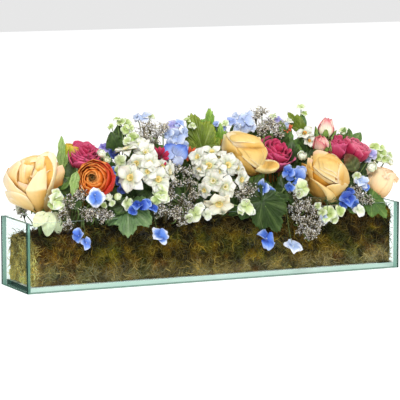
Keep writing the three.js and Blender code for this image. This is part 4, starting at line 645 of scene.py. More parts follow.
            (1.33, 2, [(68.9, 52.2, 131.5), (65.0, 55.1, 132.7), (61.0, 58.0, 133.3), (57.0, 61.0, 133.3), (53.1, 64.1, 133.2), (49.5, 67.5, 133.3), (46.2, 71.0, 133.8)]),
            (1.33, 3, [(68.9, 52.2, 131.5), (68.7, 55.8, 130.6), (68.4, 59.3, 129.1), (68.2, 62.7, 127.2), (68.0, 66.0, 125.1), (67.9, 69.5, 123.3), (67.9, 73.0, 122.0)]),
            (1.33, 4, [(68.9, 52.2, 131.5), (72.4, 52.7, 136.6), (76.2, 53.3, 141.3), (80.1, 54.0, 145.8), (84.1, 54.9, 150.1), (87.9, 56.0, 154.6), (91.6, 57.4, 159.3)]),
        ],
    },
    "hydrangea_blue_left": {
        "heads": [
            {"t": "floret", "P": [-232.2, -70.0, 82.8], "D": [-0.776, -0.436, 0.456], "R": 11.6, "col": "b"},
            {"t": "floret", "P": [-222.2, -72.0, 72.3], "D": [0.241, -0.924, 0.297], "R": 11.6, "col": "bl"},
            {"t": "floret", "P": [-206.1, -68.0, 137.0], "D": [-0.277, -0.951, -0.136], "R": 14.4, "col": "bw"},
        ],
        "stalks": [
            (1.3, -1, [(-206.8, -21.0, 40.0), (-207.4, -23.0, 53.3), (-208.3, -25.7, 66.2), (-209.4, -29.3, 78.6), (-210.7, -33.6, 90.2), (-212.3, -38.8, 101.0), (-213.9, -44.0, 112.0)]),
            (0.91, 0, [(-213.9, -44.0, 112.0), (-216.6, -48.7, 108.2), (-219.8, -53.4, 106.1), (-222.6, -57.7, 105.7), (-225.2, -61.6, 95.1), (-228.1, -65.5, 87.8), (-231.4, -69.4, 82.6)]),
            (0.91, 1, [(-213.9, -44.0, 112.0), (-215.9, -49.1, 108.4), (-218.1, -53.4, 106.0), (-219.6, -57.4, 105.6), (-220.3, -61.6, 90.6), (-221.2, -66.0, 80.3), (-222.1, -71.0, 72.5)]),
            (0.91, 2, [(-213.9, -44.0, 112.0), (-212.4, -47.3, 116.8), (-210.8, -50.8, 121.2), (-209.1, -54.5, 125.3), (-207.7, -58.5, 129.2), (-206.5, -62.7, 133.0), (-205.8, -67.1, 136.8)]),
        ],
    },
    "hydrangea_blue_upper_left": {
        "heads": [
            {"t": "floret", "P": [-160.3, 4.0, 199.9], "D": [0.104, -0.492, 0.865], "R": 11.0, "col": "v"},
            {"t": "floret", "P": [-150.0, 0.0, 190.9], "D": [0.073, -0.798, 0.598], "R": 9.6, "col": "n"},
            {"t": "floret", "P": [-160.5, -26.0, 167.5], "D": [-0.212, -0.924, 0.319], "R": 8.8, "col": "b"},
            {"t": "floret", "P": [-154.5, -34.0, 154.8], "D": [-0.121, -0.968, 0.218], "R": 8.8, "col": "n"},
            {"t": "floret", "P": [-152.5, -44.0, 144.0], "D": [-0.233, -0.969, -0.081], "R": 8.7, "col": "n"},
        ],
        "stalks": [
            (1.3, -1, [(-150.5, -5.8, 40.0), (-150.7, -6.5, 57.5), (-151.1, -7.4, 74.4), (-151.5, -8.5, 91.0), (-152.0, -9.9, 107.5), (-152.6, -11.5, 124.4), (-153.2, -13.2, 141.8)]),
            (0.91, 0, [(-153.2, -13.2, 141.8), (-154.4, -10.0, 151.7), (-155.7, -6.6, 161.3), (-156.9, -3.2, 170.6), (-157.7, -0.7, 179.7), (-159.5, 2.6, 189.2), (-160.4, 4.5, 199.0)]),
            (0.91, 1, [(-153.2, -13.2, 141.8), (-152.8, -10.3, 150.3), (-152.3, -7.3, 158.6), (-151.8, -4.2, 166.7), (-151.2, -1.6, 174.5), (-150.7, 0.1, 182.4), (-150.1, 0.8, 190.3)]),
            (0.91, 2, [(-153.2, -13.2, 141.8), (-154.3, -14.7, 146.4), (-155.4, -16.3, 150.8), (-156.6, -18.1, 155.1), (-157.8, -20.2, 159.2), (-159.1, -22.5, 163.2), (-160.3, -25.1, 167.2)]),
            (0.91, 3, [(-153.2, -13.2, 141.8), (-153.4, -16.1, 144.4), (-153.5, -19.3, 146.7), (-153.7, -22.5, 148.8), (-153.9, -25.9, 150.7), (-154.1, -29.5, 152.5), (-154.3, -33.0, 154.6)]),
            (0.91, 4, [(-153.2, -13.2, 141.8), (-152.9, -17.9, 143.1), (-152.6, -22.8, 143.8), (-152.3, -27.7, 144.0), (-152.1, -32.7, 143.9), (-152.1, -37.8, 143.8), (-152.2, -43.0, 144.1)]),
        ],
    },
    "hydrangea_blue_low_centre": {
        "heads": [
            {"t": "floret", "P": [-134.2, -62.0, 120.8], "D": [-0.363, -0.415, 0.834], "R": 15.3, "col": "db"},
            {"t": "floret", "P": [-111.9, -62.0, 115.9], "D": [0.107, -0.72, 0.686], "R": 9.5, "col": "db"},
            {"t": "floret", "P": [-106.1, -72.0, 75.6], "D": [0.003, -0.831, 0.556], "R": 16.8, "col": "bw"},
        ],
        "stalks": [
            (1.3, -1, [(-115.1, -21.0, 40.0), (-115.2, -23.0, 53.3), (-115.3, -25.6, 66.3), (-115.4, -29.1, 78.6), (-115.7, -33.4, 90.4), (-115.9, -38.5, 101.4), (-116.2, -44.0, 112.0)]),
            (0.91, 0, [(-116.2, -44.0, 112.0), (-119.0, -46.6, 114.0), (-122.0, -49.3, 115.6), (-125.0, -52.1, 116.7), (-128.0, -55.1, 117.8), (-130.9, -58.1, 119.0), (-133.8, -61.2, 120.5)]),
            (0.91, 1, [(-116.2, -44.0, 112.0), (-115.4, -46.7, 113.1), (-114.5, -49.4, 113.8), (-113.7, -52.3, 114.3), (-112.9, -55.1, 114.6), (-112.3, -58.1, 115.1), (-111.8, -61.0, 115.7)]),
            (0.91, 2, [(-116.2, -44.0, 112.0), (-113.5, -49.5, 109.9), (-110.9, -54.3, 109.0), (-108.8, -58.5, 102.1), (-107.2, -62.4, 90.1), (-106.1, -66.5, 81.7), (-105.7, -71.1, 75.5)]),
        ],
    },
    "hydrangea_blue_top_left": {
        "heads": [
            {"t": "floret", "P": [-93.0, 14.0, 240.7], "D": [-0.401, -0.138, 0.906], "R": 13.4, "col": "lw"},
            {"t": "floret", "P": [-46.7, 12.0, 227.1], "D": [-0.427, -0.67, 0.607], "R": 11.2, "col": "l"},
            {"t": "floret", "P": [-44.6, 2.0, 211.4], "D": [-0.293, -0.86, 0.418], "R": 14.9, "col": "lb"},
            {"t": "floret", "P": [-58.2, -24.0, 185.4], "D": [-0.379, -0.925, -0.027], "R": 18.6, "col": "h"},
        ],
        "stalks": [
            (1.3, -1, [(-57.7, 1.1, 40.0), (-57.9, 1.1, 61.6), (-58.1, 1.2, 82.6), (-58.3, 1.2, 103.1), (-58.6, 1.3, 123.7), (-58.8, 1.4, 144.7), (-59.1, 1.4, 166.3)]),
            (0.91, 0, [(-59.1, 1.4, 166.3), (-64.1, 4.0, 179.2), (-69.4, 6.8, 191.6), (-75.1, 9.6, 203.5), (-80.9, 11.9, 215.3), (-86.8, 13.5, 227.4), (-92.5, 14.4, 239.9)]),
            (0.91, 1, [(-59.1, 1.4, 166.3), (-56.7, 3.9, 176.9), (-54.0, 6.6, 187.1), (-51.3, 9.3, 197.1), (-49.0, 11.6, 206.8), (-47.2, 13.1, 216.5), (-46.3, 12.7, 226.5)]),
            (0.91, 2, [(-59.1, 1.4, 166.3), (-56.5, 2.2, 174.3), (-53.7, 3.2, 182.0), (-50.8, 4.0, 189.5), (-48.2, 4.4, 196.7), (-46.0, 4.0, 203.9), (-44.3, 2.9, 211.0)]),
            (0.91, 3, [(-59.1, 1.4, 166.3), (-58.7, -2.2, 170.1), (-58.3, -6.1, 173.5), (-57.9, -10.1, 176.5), (-57.7, -14.3, 179.4), (-57.6, -18.7, 182.2), (-57.9, -23.1, 185.1)]),
        ],
    },
    "hydrangea_blue_top_centre": {
        "heads": [
            {"t": "floret", "P": [73.1, 12.0, 228.3], "D": [-0.205, -0.798, 0.567], "R": 18.1, "col": "lb"},
            {"t": "floret", "P": [53.3, 18.0, 228.5], "D": [-0.511, -0.598, 0.618], "R": 9.8, "col": "bl"},
            {"t": "floret", "P": [35.6, 16.0, 220.3], "D": [-0.562, -0.711, 0.422], "R": 8.3, "col": "b"},
            {"t": "floret", "P": [136.6, 22.0, 227.9], "D": [0.008, -0.71, 0.704], "R": 10.7, "col": "l"},
        ],
        "stalks": [
            (1.3, -1, [(73.4, 7.8, 40.0), (73.5, 8.5, 62.5), (73.8, 9.4, 84.2), (74.1, 10.7, 105.3), (74.8, 12.5, 126.1), (76.0, 15.3, 146.5), (74.2, 13.2, 171.8)]),
            (0.91, 0, [(74.2, 13.2, 171.8), (82.8, 25.3, 178.8), (79.9, 22.1, 190.9), (77.7, 19.7, 200.9), (75.8, 17.3, 209.9), (74.5, 15.3, 218.9), (73.3, 12.9, 227.8)]),
            (0.91, 1, [(74.2, 13.2, 171.8), (79.3, 27.5, 179.0), (73.3, 25.7, 191.4), (68.0, 23.9, 201.3), (63.0, 21.8, 210.1), (58.3, 20.2, 218.9), (53.8, 18.6, 227.9)]),
            (0.91, 2, [(74.2, 13.2, 171.8), (75.4, 29.1, 177.6), (66.1, 28.3, 189.0), (57.7, 27.0, 198.1), (49.8, 25.8, 206.1), (42.7, 22.0, 213.3), (36.2, 16.7, 219.9)]),
            (0.91, 3, [(74.2, 13.2, 171.8), (90.6, 21.8, 180.3), (98.3, 21.0, 190.8), (108.2, 22.0, 199.9), (118.4, 23.1, 208.5), (128.1, 23.4, 217.5), (136.6, 22.7, 227.2)]),
        ],
    },
    "hydrangea_blue_mid_right": {
        "heads": [
            {"t": "floret", "P": [131.3, -44.0, 145.3], "D": [-0.455, -0.848, 0.273], "R": 18.8, "col": "bl"},
            {"t": "floret", "P": [72.4, -54.0, 135.8], "D": [-0.96, -0.216, 0.18], "R": 13.4, "col": "bl"},
            {"t": "floret", "P": [68.3, -71.0, 60.6], "D": [0.271, -0.759, 0.592], "R": 19.4, "col": "b"},
            {"t": "floret", "P": [112.6, -73.0, 46.1], "D": [0.018, -0.691, 0.723], "R": 16.5, "col": "lw"},
        ],
        "stalks": [
            (1.3, -1, [(94.7, -20.0, 40.0), (94.8, -21.8, 53.3), (94.9, -24.3, 66.2), (95.1, -27.5, 78.6), (95.3, -31.6, 90.3), (95.5, -36.5, 101.4), (95.8, -41.8, 112.0)]),
            (0.91, 0, [(95.8, -41.8, 112.0), (101.7, -40.1, 118.2), (108.7, -40.1, 124.3), (115.6, -40.2, 129.7), (122.0, -40.5, 134.8), (127.4, -41.5, 139.8), (131.7, -43.2, 145.0)]),
            (0.91, 1, [(95.8, -41.8, 112.0), (91.2, -41.6, 117.1), (88.6, -42.6, 122.5), (85.3, -45.8, 126.0), (81.3, -48.3, 128.9), (77.3, -50.8, 132.1), (73.2, -53.4, 135.6)]),
            (0.91, 2, [(95.8, -41.8, 112.0), (90.0, -44.5, 108.3), (85.2, -44.5, 105.7), (79.0, -43.0, 98.4), (70.4, -41.6, 100.8), (62.3, -46.5, 114.5), (68.8, -70.1, 60.5)]),
            (0.91, 3, [(95.8, -41.8, 112.0), (100.5, -48.4, 107.5), (104.7, -53.6, 105.9), (108.0, -57.9, 105.3), (110.5, -61.8, 77.1), (112.0, -66.5, 59.0), (112.9, -72.1, 45.9)]),
        ],
    },
    "hydrangea_blue_right": {
        "heads": [
            {"t": "floret", "P": [214.0, -56.0, 111.9], "D": [-0.238, -0.748, 0.619], "R": 14.4, "col": "db"},
            {"t": "floret", "P": [244.5, -44.0, 134.3], "D": [-0.087, -0.787, 0.61], "R": 13.0, "col": "lw"},
            {"t": "floret", "P": [280.2, -12.0, 172.5], "D": [-0.189, -0.886, 0.422], "R": 10.0, "col": "l"},
            {"t": "floret", "P": [170.7, -62.0, 83.7], "D": [-0.595, -0.78, -0.192], "R": 9.1, "col": "lw"},
            {"t": "floret", "P": [229.6, -64.0, 92.9], "D": [-0.003, -0.88, 0.475], "R": 12.1, "col": "w"},
        ],
        "stalks": [
            (1.3, -1, [(221.9, -15.7, 40.0), (222.2, -17.0, 53.3), (222.5, -18.7, 66.3), (223.0, -21.1, 78.7), (223.6, -24.2, 90.7), (224.4, -28.2, 102.1), (225.3, -32.8, 113.1)]),
            (0.91, 0, [(225.3, -32.8, 113.1), (223.6, -36.5, 113.6), (221.8, -40.2, 113.6), (220.1, -44.1, 113.2), (218.4, -48.0, 112.9), (216.5, -51.7, 112.3), (214.4, -55.1, 111.7)]),
            (0.91, 1, [(225.3, -32.8, 113.1), (228.7, -34.1, 117.1), (232.3, -35.5, 120.7), (235.9, -37.0, 124.0), (239.4, -38.8, 127.3), (242.4, -40.8, 130.5), (244.8, -43.1, 133.9)]),
            (0.91, 2, [(225.3, -32.8, 113.1), (234.6, -28.3, 124.2), (244.6, -23.7, 134.3), (254.8, -18.3, 144.0), (264.6, -14.2, 153.2), (273.1, -11.8, 162.5), (280.4, -11.1, 172.1)]),
            (0.91, 3, [(225.3, -32.8, 113.1), (215.6, -37.3, 111.4), (206.4, -41.3, 108.5), (197.4, -45.5, 105.9), (188.7, -50.4, 105.9), (181.4, -53.9, 106.1), (171.3, -61.2, 83.9)]),
            (0.91, 4, [(225.3, -32.8, 113.1), (226.4, -38.2, 111.3), (227.5, -43.3, 108.7), (228.1, -48.4, 106.3), (228.2, -53.4, 107.6), (229.1, -58.0, 103.4), (229.7, -63.0, 92.9)]),
        ],
    },
    "hydrangea_green_left": {
        "heads": [
            {"t": "floret", "P": [-256.9, -44.0, 133.4], "D": [0.473, -0.873, 0.124], "R": 15.1, "col": "gw"},
            {"t": "bud", "P": [-176.3, -22.0, 193.8], "D": [-0.337, -0.717, 0.61], "R": 7.7, "col": "gw"},
            {"t": "bud", "P": [-169.9, -26.0, 185.0], "D": [-0.101, -0.942, 0.32], "R": 6.6, "col": "g"},
            {"t": "bud", "P": [-181.5, -58.0, 135.3], "D": [-0.387, -0.822, 0.417], "R": 6.9, "col": "gw"},
            {"t": "bud", "P": [-168.1, -58.0, 134.6], "D": [0.546, -0.82, 0.17], "R": 6.2, "col": "g"},
        ],
        "stalks": [
            (1.3, -1, [(-185.0, -19.6, 40.0), (-185.2, -20.5, 56.1), (-185.5, -21.7, 71.7), (-186.0, -23.3, 86.9), (-186.5, -25.4, 102.0), (-187.2, -27.7, 117.4), (-187.9, -30.4, 133.1)]),
            (0.91, 0, [(-187.9, -30.4, 133.1), (-199.8, -31.7, 135.0), (-211.9, -32.9, 135.3), (-224.0, -34.3, 134.3), (-235.7, -36.3, 133.0), (-246.6, -39.3, 132.5), (-256.6, -43.1, 133.1)]),
            (0.91, 1, [(-187.9, -30.4, 133.1), (-183.7, -23.8, 141.4), (-180.0, -19.0, 151.1), (-178.2, -18.3, 162.3), (-176.8, -18.2, 172.5), (-175.6, -18.3, 182.1), (-175.0, -19.3, 191.5)]),
            (0.91, 2, [(-187.9, -30.4, 133.1), (-183.7, -24.8, 140.5), (-179.3, -20.3, 149.0), (-176.1, -19.5, 159.0), (-173.9, -20.2, 168.1), (-171.6, -21.1, 176.3), (-169.6, -22.9, 183.9)]),
            (0.91, 3, [(-187.9, -30.4, 133.1), (-186.3, -34.3, 133.9), (-184.6, -38.4, 134.1), (-183.0, -42.5, 134.0), (-181.7, -46.7, 133.8), (-180.8, -50.9, 133.7), (-180.1, -55.2, 133.9)]),
            (0.91, 4, [(-187.9, -30.4, 133.1), (-185.0, -34.3, 134.3), (-182.0, -38.4, 134.9), (-179.0, -42.5, 134.9), (-176.0, -46.7, 134.6), (-172.9, -51.0, 134.3), (-169.8, -55.5, 134.1)]),
        ],
    },
    "lime_bracts_left": {
        "heads": [
            {"t": "leaf", "P": [-267.0, -30.0, 114.9], "T": [-288.9, -38.0, 96.7], "N": [-0.223, -0.764, 0.605], "W": 20.2, "shape": "round", "col": "lime"},
            {"t": "leaf", "P": [-262.4, -34.0, 115.1], "T": [-270.5, -42.0, 81.6], "N": [-0.397, -0.866, 0.303], "W": 21.7, "shape": "round", "col": "lime"},
            {"t": "leaf", "P": [-256.2, -34.0, 114.7], "T": [-250.3, -42.0, 83.3], "N": [-0.221, -0.954, 0.201], "W": 17.3, "shape": "round", "col": "lime"},
        ],
        "stalks": [
            (1.3, -1, [(-253.8, -11.8, 40.0), (-254.1, -12.5, 53.0), (-254.6, -13.6, 65.7), (-255.2, -15.1, 78.0), (-256.2, -17.4, 89.8), (-257.5, -20.4, 101.1), (-259.1, -24.2, 112.0)]),
            (0.91, 0, [(-259.1, -24.2, 112.0), (-261.2, -25.3, 112.6), (-263.3, -26.5, 113.0), (-265.5, -27.5, 113.0), (-267.8, -28.5, 112.8), (-269.7, -29.9, 112.1), (-271.4, -31.6, 111.2)]),
            (0.91, 1, [(-259.1, -24.2, 112.0), (-260.0, -26.2, 112.1), (-260.8, -28.3, 112.0), (-261.6, -30.3, 111.5), (-262.4, -32.2, 110.7), (-263.2, -34.0, 109.6), (-264.0, -35.6, 108.4)]),
            (0.91, 2, [(-259.1, -24.2, 112.0), (-258.4, -26.2, 112.1), (-257.6, -28.3, 112.0), (-256.8, -30.2, 111.5), (-255.8, -32.1, 110.7), (-255.3, -33.9, 109.7), (-255.0, -35.6, 108.5)]),
        ],
    },
    "hydrangea_green_top_left": {
        "heads": [
            {"t": "floret", "P": [-131.1, 10.0, 235.9], "D": [-0.215, -0.69, 0.691], "R": 8.1, "col": "g"},
            {"t": "floret", "P": [-147.2, 8.0, 230.0], "D": [-0.684, -0.262, 0.68], "R": 6.6, "col": "g"},
            {"t": "floret", "P": [-126.5, 4.0, 225.1], "D": [-0.196, -0.889, 0.414], "R": 8.9, "col": "g"},
            {"t": "floret", "P": [-117.8, 0.0, 213.2], "D": [-0.31, -0.895, 0.321], "R": 9.6, "col": "g"},
            {"t": "floret", "P": [-148.5, -26.0, 183.1], "D": [-0.575, -0.754, 0.318], "R": 11.0, "col": "gw"},
            {"t": "floret", "P": [-153.5, -32.0, 168.5], "D": [-0.51, -0.851, 0.124], "R": 8.8, "col": "g"},
            {"t": "floret", "P": [-143.6, -44.0, 173.6], "D": [-0.415, -0.882, 0.223], "R": 5.8, "col": "g"},
        ],
        "stalks": [
            (1.3, -1, [(-133.0, -3.2, 40.0), (-133.4, -3.8, 63.9), (-133.9, -4.6, 87.1), (-134.5, -5.5, 109.7), (-135.2, -6.6, 132.3), (-135.9, -7.7, 155.5), (-136.7, -8.8, 179.4)]),
            (0.91, 0, [(-136.7, -8.8, 179.4), (-134.3, -2.6, 186.5), (-131.8, 3.4, 195.3), (-130.9, 5.0, 206.3), (-129.9, 7.7, 216.3), (-129.1, 10.4, 226.2), (-130.9, 10.7, 235.2)]),
            (0.91, 1, [(-136.7, -8.8, 179.4), (-138.5, -4.3, 187.7), (-140.8, -0.7, 196.1), (-141.5, 1.0, 204.7), (-143.1, 3.1, 213.0), (-144.8, 5.8, 221.1), (-146.5, 8.3, 229.4)]),
            (0.91, 2, [(-136.7, -8.8, 179.4), (-133.1, -5.1, 186.7), (-128.6, -0.5, 193.8), (-128.4, 2.0, 202.4), (-128.3, 3.8, 210.0), (-127.4, 4.9, 217.4), (-126.3, 4.9, 224.7)]),
            (0.91, 3, [(-136.7, -8.8, 179.4), (-133.3, -6.2, 185.4), (-129.6, -3.2, 191.0), (-125.8, 0.4, 196.2), (-122.4, 1.7, 201.9), (-119.7, 1.5, 207.4), (-117.5, 0.9, 212.9)]),
            (0.91, 4, [(-136.7, -8.8, 179.4), (-138.5, -11.4, 180.4), (-140.3, -14.1, 181.1), (-142.1, -16.9, 181.5), (-144.1, -19.7, 181.7), (-146.0, -22.5, 182.1), (-147.9, -25.2, 182.8)]),
            (0.91, 5, [(-136.7, -8.8, 179.4), (-139.5, -12.7, 178.4), (-142.3, -16.4, 176.7), (-145.0, -20.1, 174.4), (-147.5, -23.8, 172.0), (-149.9, -27.6, 170.0), (-153.0, -31.1, 168.4)]),
            (0.91, 6, [(-136.7, -8.8, 179.4), (-137.6, -14.6, 179.4), (-138.6, -20.3, 178.7), (-139.5, -25.8, 177.3), (-140.4, -31.2, 175.9), (-141.5, -36.2, 175.4), (-143.2, -43.1, 173.4)]),
        ],
    },
    "hydrangea_green_centre": {
        "heads": [
            {"t": "floret", "P": [-97.2, -58.0, 136.8], "D": [-0.613, -0.697, 0.372], "R": 14.6, "col": "gw"},
            {"t": "floret", "P": [-45.3, -66.0, 105.3], "D": [-0.682, -0.6, 0.417], "R": 15.4, "col": "gw"},
            {"t": "floret", "P": [-24.8, -64.0, 102.5], "D": [-0.135, -0.991, 0.019], "R": 9.6, "col": "w"},
            {"t": "floret", "P": [40.3, -62.0, 109.9], "D": [-0.024, -0.887, 0.461], "R": 14.1, "col": "gw"},
            {"t": "floret", "P": [-151.4, -56.0, 124.7], "D": [0.509, -0.843, 0.172], "R": 11.6, "col": "gw"},
        ],
        "stalks": [
            (1.3, -1, [(-49.9, -20.7, 40.0), (-50.2, -22.5, 53.3), (-50.5, -25.0, 66.2), (-51.0, -28.2, 78.6), (-51.5, -32.3, 90.3), (-52.2, -37.1, 101.4), (-53.0, -42.5, 112.0)]),
            (0.91, 0, [(-53.0, -42.5, 112.0), (-59.9, -44.6, 116.9), (-67.4, -46.2, 121.6), (-75.0, -48.1, 125.5), (-82.6, -50.5, 129.1), (-89.9, -53.5, 132.7), (-96.8, -57.1, 136.6)]),
            (0.91, 1, [(-53.0, -42.5, 112.0), (-51.2, -46.4, 111.6), (-49.4, -50.2, 110.6), (-47.7, -54.0, 109.1), (-46.3, -57.7, 107.4), (-45.3, -61.4, 106.1), (-44.7, -65.2, 105.2)]),
            (0.91, 2, [(-53.0, -42.5, 112.0), (-47.6, -45.7, 111.6), (-42.3, -48.9, 110.4), (-37.1, -52.0, 108.6), (-32.3, -55.3, 106.9), (-28.2, -59.0, 104.8), (-24.7, -63.0, 102.5)]),
            (0.91, 3, [(-53.0, -42.5, 112.0), (-35.9, -43.6, 115.4), (-18.6, -44.1, 117.3), (-0.9, -45.1, 117.2), (15.6, -48.6, 114.1), (29.3, -54.6, 110.8), (40.7, -61.1, 109.6)]),
            (0.91, 4, [(-53.0, -42.5, 112.0), (-69.9, -43.8, 117.7), (-89.2, -44.2, 120.0), (-107.9, -45.0, 121.2), (-124.7, -46.6, 122.1), (-137.9, -49.3, 124.1), (-151.9, -55.2, 124.6)]),
        ],
    },
    "hydrangea_green_right": {
        "heads": [
            {"t": "floret", "P": [138.0, -54.0, 131.6], "D": [0.014, -0.948, 0.317], "R": 15.0, "col": "gw"},
            {"t": "bud", "P": [158.3, -14.0, 172.9], "D": [-0.306, -0.651, 0.695], "R": 8.4, "col": "gw"},
            {"t": "floret", "P": [178.5, -60.0, 90.7], "D": [-0.58, -0.629, 0.517], "R": 15.1, "col": "g"},
            {"t": "floret", "P": [199.0, -60.0, 94.1], "D": [-0.121, -0.968, 0.218], "R": 9.8, "col": "g"},
        ],
        "stalks": [
            (1.3, -1, [(164.1, -15.7, 40.0), (164.3, -16.9, 53.5), (164.6, -18.6, 66.6), (164.9, -20.8, 79.2), (165.4, -23.9, 91.4), (166.1, -27.7, 103.1), (166.8, -32.2, 114.5)]),
            (0.91, 0, [(166.8, -32.2, 114.5), (162.2, -35.2, 118.2), (157.4, -38.2, 121.3), (152.4, -41.5, 123.9), (147.6, -45.1, 126.2), (143.0, -49.0, 128.4), (138.3, -53.1, 131.4)]),
            (0.91, 1, [(166.8, -32.2, 114.5), (161.2, -27.5, 122.5), (157.6, -21.4, 131.4), (156.4, -16.2, 141.4), (157.9, -13.2, 151.4), (159.4, -11.9, 160.8), (159.5, -11.3, 170.0)]),
            (0.91, 2, [(166.8, -32.2, 114.5), (169.6, -37.3, 112.4), (172.3, -42.0, 109.7), (174.7, -46.4, 107.7), (176.5, -50.7, 108.8), (177.6, -55.8, 117.4), (179.0, -59.1, 90.5)]),
            (0.91, 3, [(166.8, -32.2, 114.5), (173.2, -36.4, 112.8), (179.4, -40.2, 110.1), (185.4, -44.4, 108.3), (191.0, -49.6, 109.6), (195.3, -54.0, 115.2), (199.2, -59.0, 93.9)]),
        ],
    },
    "hydrangea_green_end": {
        "heads": [
            {"t": "floret", "P": [289.2, -2.0, 182.0], "D": [-0.351, -0.51, 0.786], "R": 10.0, "col": "g"},
            {"t": "floret", "P": [299.4, -6.0, 172.6], "D": [0.073, -0.798, 0.598], "R": 10.0, "col": "g"},
            {"t": "floret", "P": [301.7, -10.0, 164.4], "D": [0.13, -0.942, 0.309], "R": 8.5, "col": "g"},
            {"t": "bud", "P": [313.3, -10.0, 156.8], "D": [0.159, -0.853, 0.497], "R": 5.4, "col": "gw"},
            {"t": "bud", "P": [268.9, -32.0, 153.4], "D": [-0.337, -0.717, 0.61], "R": 9.2, "col": "gw"},
            {"t": "floret", "P": [243.1, 12.0, 207.5], "D": [-0.429, -0.43, 0.795], "R": 8.5, "col": "gw"},
        ],
        "stalks": [
            (1.3, -1, [(270.0, 2.3, 40.0), (271.0, 1.9, 59.9), (272.3, 1.5, 79.3), (273.7, 1.1, 98.3), (274.9, 1.4, 117.5), (275.9, 2.0, 138.1), (282.2, -4.4, 155.3)]),
            (0.91, 0, [(282.2, -4.4, 155.3), (283.5, -3.7, 159.8), (284.9, -3.0, 164.2), (286.4, -2.3, 168.4), (287.7, -1.8, 172.6), (288.8, -1.5, 176.9), (289.6, -1.5, 181.2)]),
            (0.91, 1, [(282.2, -4.4, 155.3), (285.0, -4.3, 158.4), (288.0, -4.1, 161.3), (291.1, -3.9, 164.0), (294.1, -4.0, 166.6), (296.8, -4.3, 169.3), (299.4, -5.2, 172.0)]),
            (0.91, 2, [(282.2, -4.4, 155.3), (285.3, -4.6, 157.5), (288.6, -4.7, 159.6), (292.0, -5.0, 161.3), (295.5, -5.8, 162.6), (298.7, -7.1, 163.5), (301.6, -9.1, 164.0)]),
            (0.91, 3, [(282.2, -4.4, 155.3), (287.3, -3.1, 157.4), (292.9, -2.0, 158.7), (298.8, -1.6, 158.8), (304.5, -2.5, 158.0), (309.5, -4.4, 156.9), (312.8, -7.7, 155.5)]),
            (0.91, 4, [(282.2, -4.4, 155.3), (280.1, -8.5, 155.4), (277.9, -12.5, 154.9), (275.7, -16.5, 154.1), (273.8, -20.6, 152.7), (272.2, -24.6, 151.3), (270.5, -28.7, 150.6)]),
            (0.91, 5, [(282.2, -4.4, 155.3), (277.6, 1.0, 164.5), (273.5, 8.0, 172.9), (267.8, 14.5, 181.6), (259.0, 16.0, 190.0), (249.9, 15.6, 197.6), (243.5, 12.4, 206.7)]),
        ],
    },
    "hydrangea_back_left": {
        "heads": [
            {"t": "floret", "P": [-235.0, 64.0, 140.0], "D": [-0.298, 0.844, 0.447], "R": 15, "col": "b"},
            {"t": "floret", "P": [-216.0, 70.0, 122.0], "D": [0.0, 0.98, 0.2], "R": 15, "col": "lb"},
            {"t": "floret", "P": [-250.0, 66.0, 118.0], "D": [-0.301, 0.954, 0.0], "R": 14, "col": "db"},
            {"t": "floret", "P": [-228.0, 76.0, 96.0], "D": [0.0, 1.0, 0.0], "R": 15, "col": "lw"},
            {"t": "floret", "P": [-120.0, 68.0, 128.0], "D": [0.0, 0.954, 0.301], "R": 15, "col": "gw"},
            {"t": "floret", "P": [-104.0, 72.0, 108.0], "D": [0.201, 0.974, 0.1], "R": 15, "col": "g"},
        ],
        "stalks": [
            (1.3, -1, [(-186.2, 20.0, 40.0), (-186.5, 22.4, 53.5), (-186.9, 25.7, 66.6), (-187.4, 29.8, 79.2), (-188.0, 34.8, 91.0), (-188.7, 40.5, 102.2), (-189.4, 46.6, 112.9)]),
            (0.91, 0, [(-189.4, 46.6, 112.9), (-198.7, 48.5, 113.8), (-207.3, 50.8, 118.2), (-214.5, 53.2, 124.1), (-221.3, 56.0, 129.6), (-228.2, 59.3, 134.5), (-234.7, 63.2, 139.6)]),
            (0.91, 1, [(-189.4, 46.6, 112.9), (-194.6, 49.9, 112.7), (-199.6, 53.4, 114.3), (-204.1, 56.9, 116.6), (-208.4, 60.7, 118.5), (-212.4, 64.7, 120.0), (-216.0, 69.0, 121.8)]),
            (0.91, 2, [(-189.4, 46.6, 112.9), (-200.1, 48.7, 113.9), (-210.4, 51.0, 116.4), (-220.9, 53.4, 117.1), (-231.2, 56.4, 117.1), (-240.8, 60.3, 117.2), (-249.7, 65.0, 118.0)]),
            (0.91, 3, [(-189.4, 46.6, 112.9), (-196.7, 50.1, 112.3), (-204.0, 53.1, 110.8), (-210.9, 55.5, 108.9), (-217.3, 56.5, 108.7), (-223.0, 54.1, 114.6), (-228.0, 43.0, 96.0)]),
            (0.91, 4, [(-189.4, 46.6, 112.9), (-177.3, 50.0, 112.7), (-164.9, 52.0, 118.1), (-152.3, 54.4, 120.9), (-140.4, 57.7, 122.7), (-129.6, 61.9, 124.8), (-120.0, 67.0, 127.7)]),
            (0.91, 5, [(-189.4, 46.6, 112.9), (-174.2, 51.3, 112.8), (-159.2, 53.9, 114.6), (-144.1, 56.1, 112.5), (-129.7, 59.6, 110.1), (-116.4, 64.7, 108.3), (-104.2, 71.0, 107.9)]),
        ],
    },
    "hydrangea_back_right": {
        "heads": [
            {"t": "floret", "P": [176.0, 74.0, 118.0], "D": [0.1, 0.974, 0.201], "R": 15, "col": "lb"},
            {"t": "floret", "P": [192.0, 68.0, 138.0], "D": [0.202, 0.807, 0.555], "R": 15, "col": "b"},
            {"t": "floret", "P": [18.0, 74.0, 112.0], "D": [0.0, 0.98, 0.2], "R": 15, "col": "db"},
            {"t": "floret", "P": [4.0, 70.0, 128.0], "D": [-0.101, 0.909, 0.404], "R": 15, "col": "gw"},
            {"t": "floret", "P": [266.0, 58.0, 122.0], "D": [0.497, 0.795, 0.348], "R": 15, "col": "gw"},
            {"t": "floret", "P": [34.0, 78.0, 92.0], "D": [0.0, 1.0, 0.0], "R": 15, "col": "lw"},
        ],
        "stalks": [
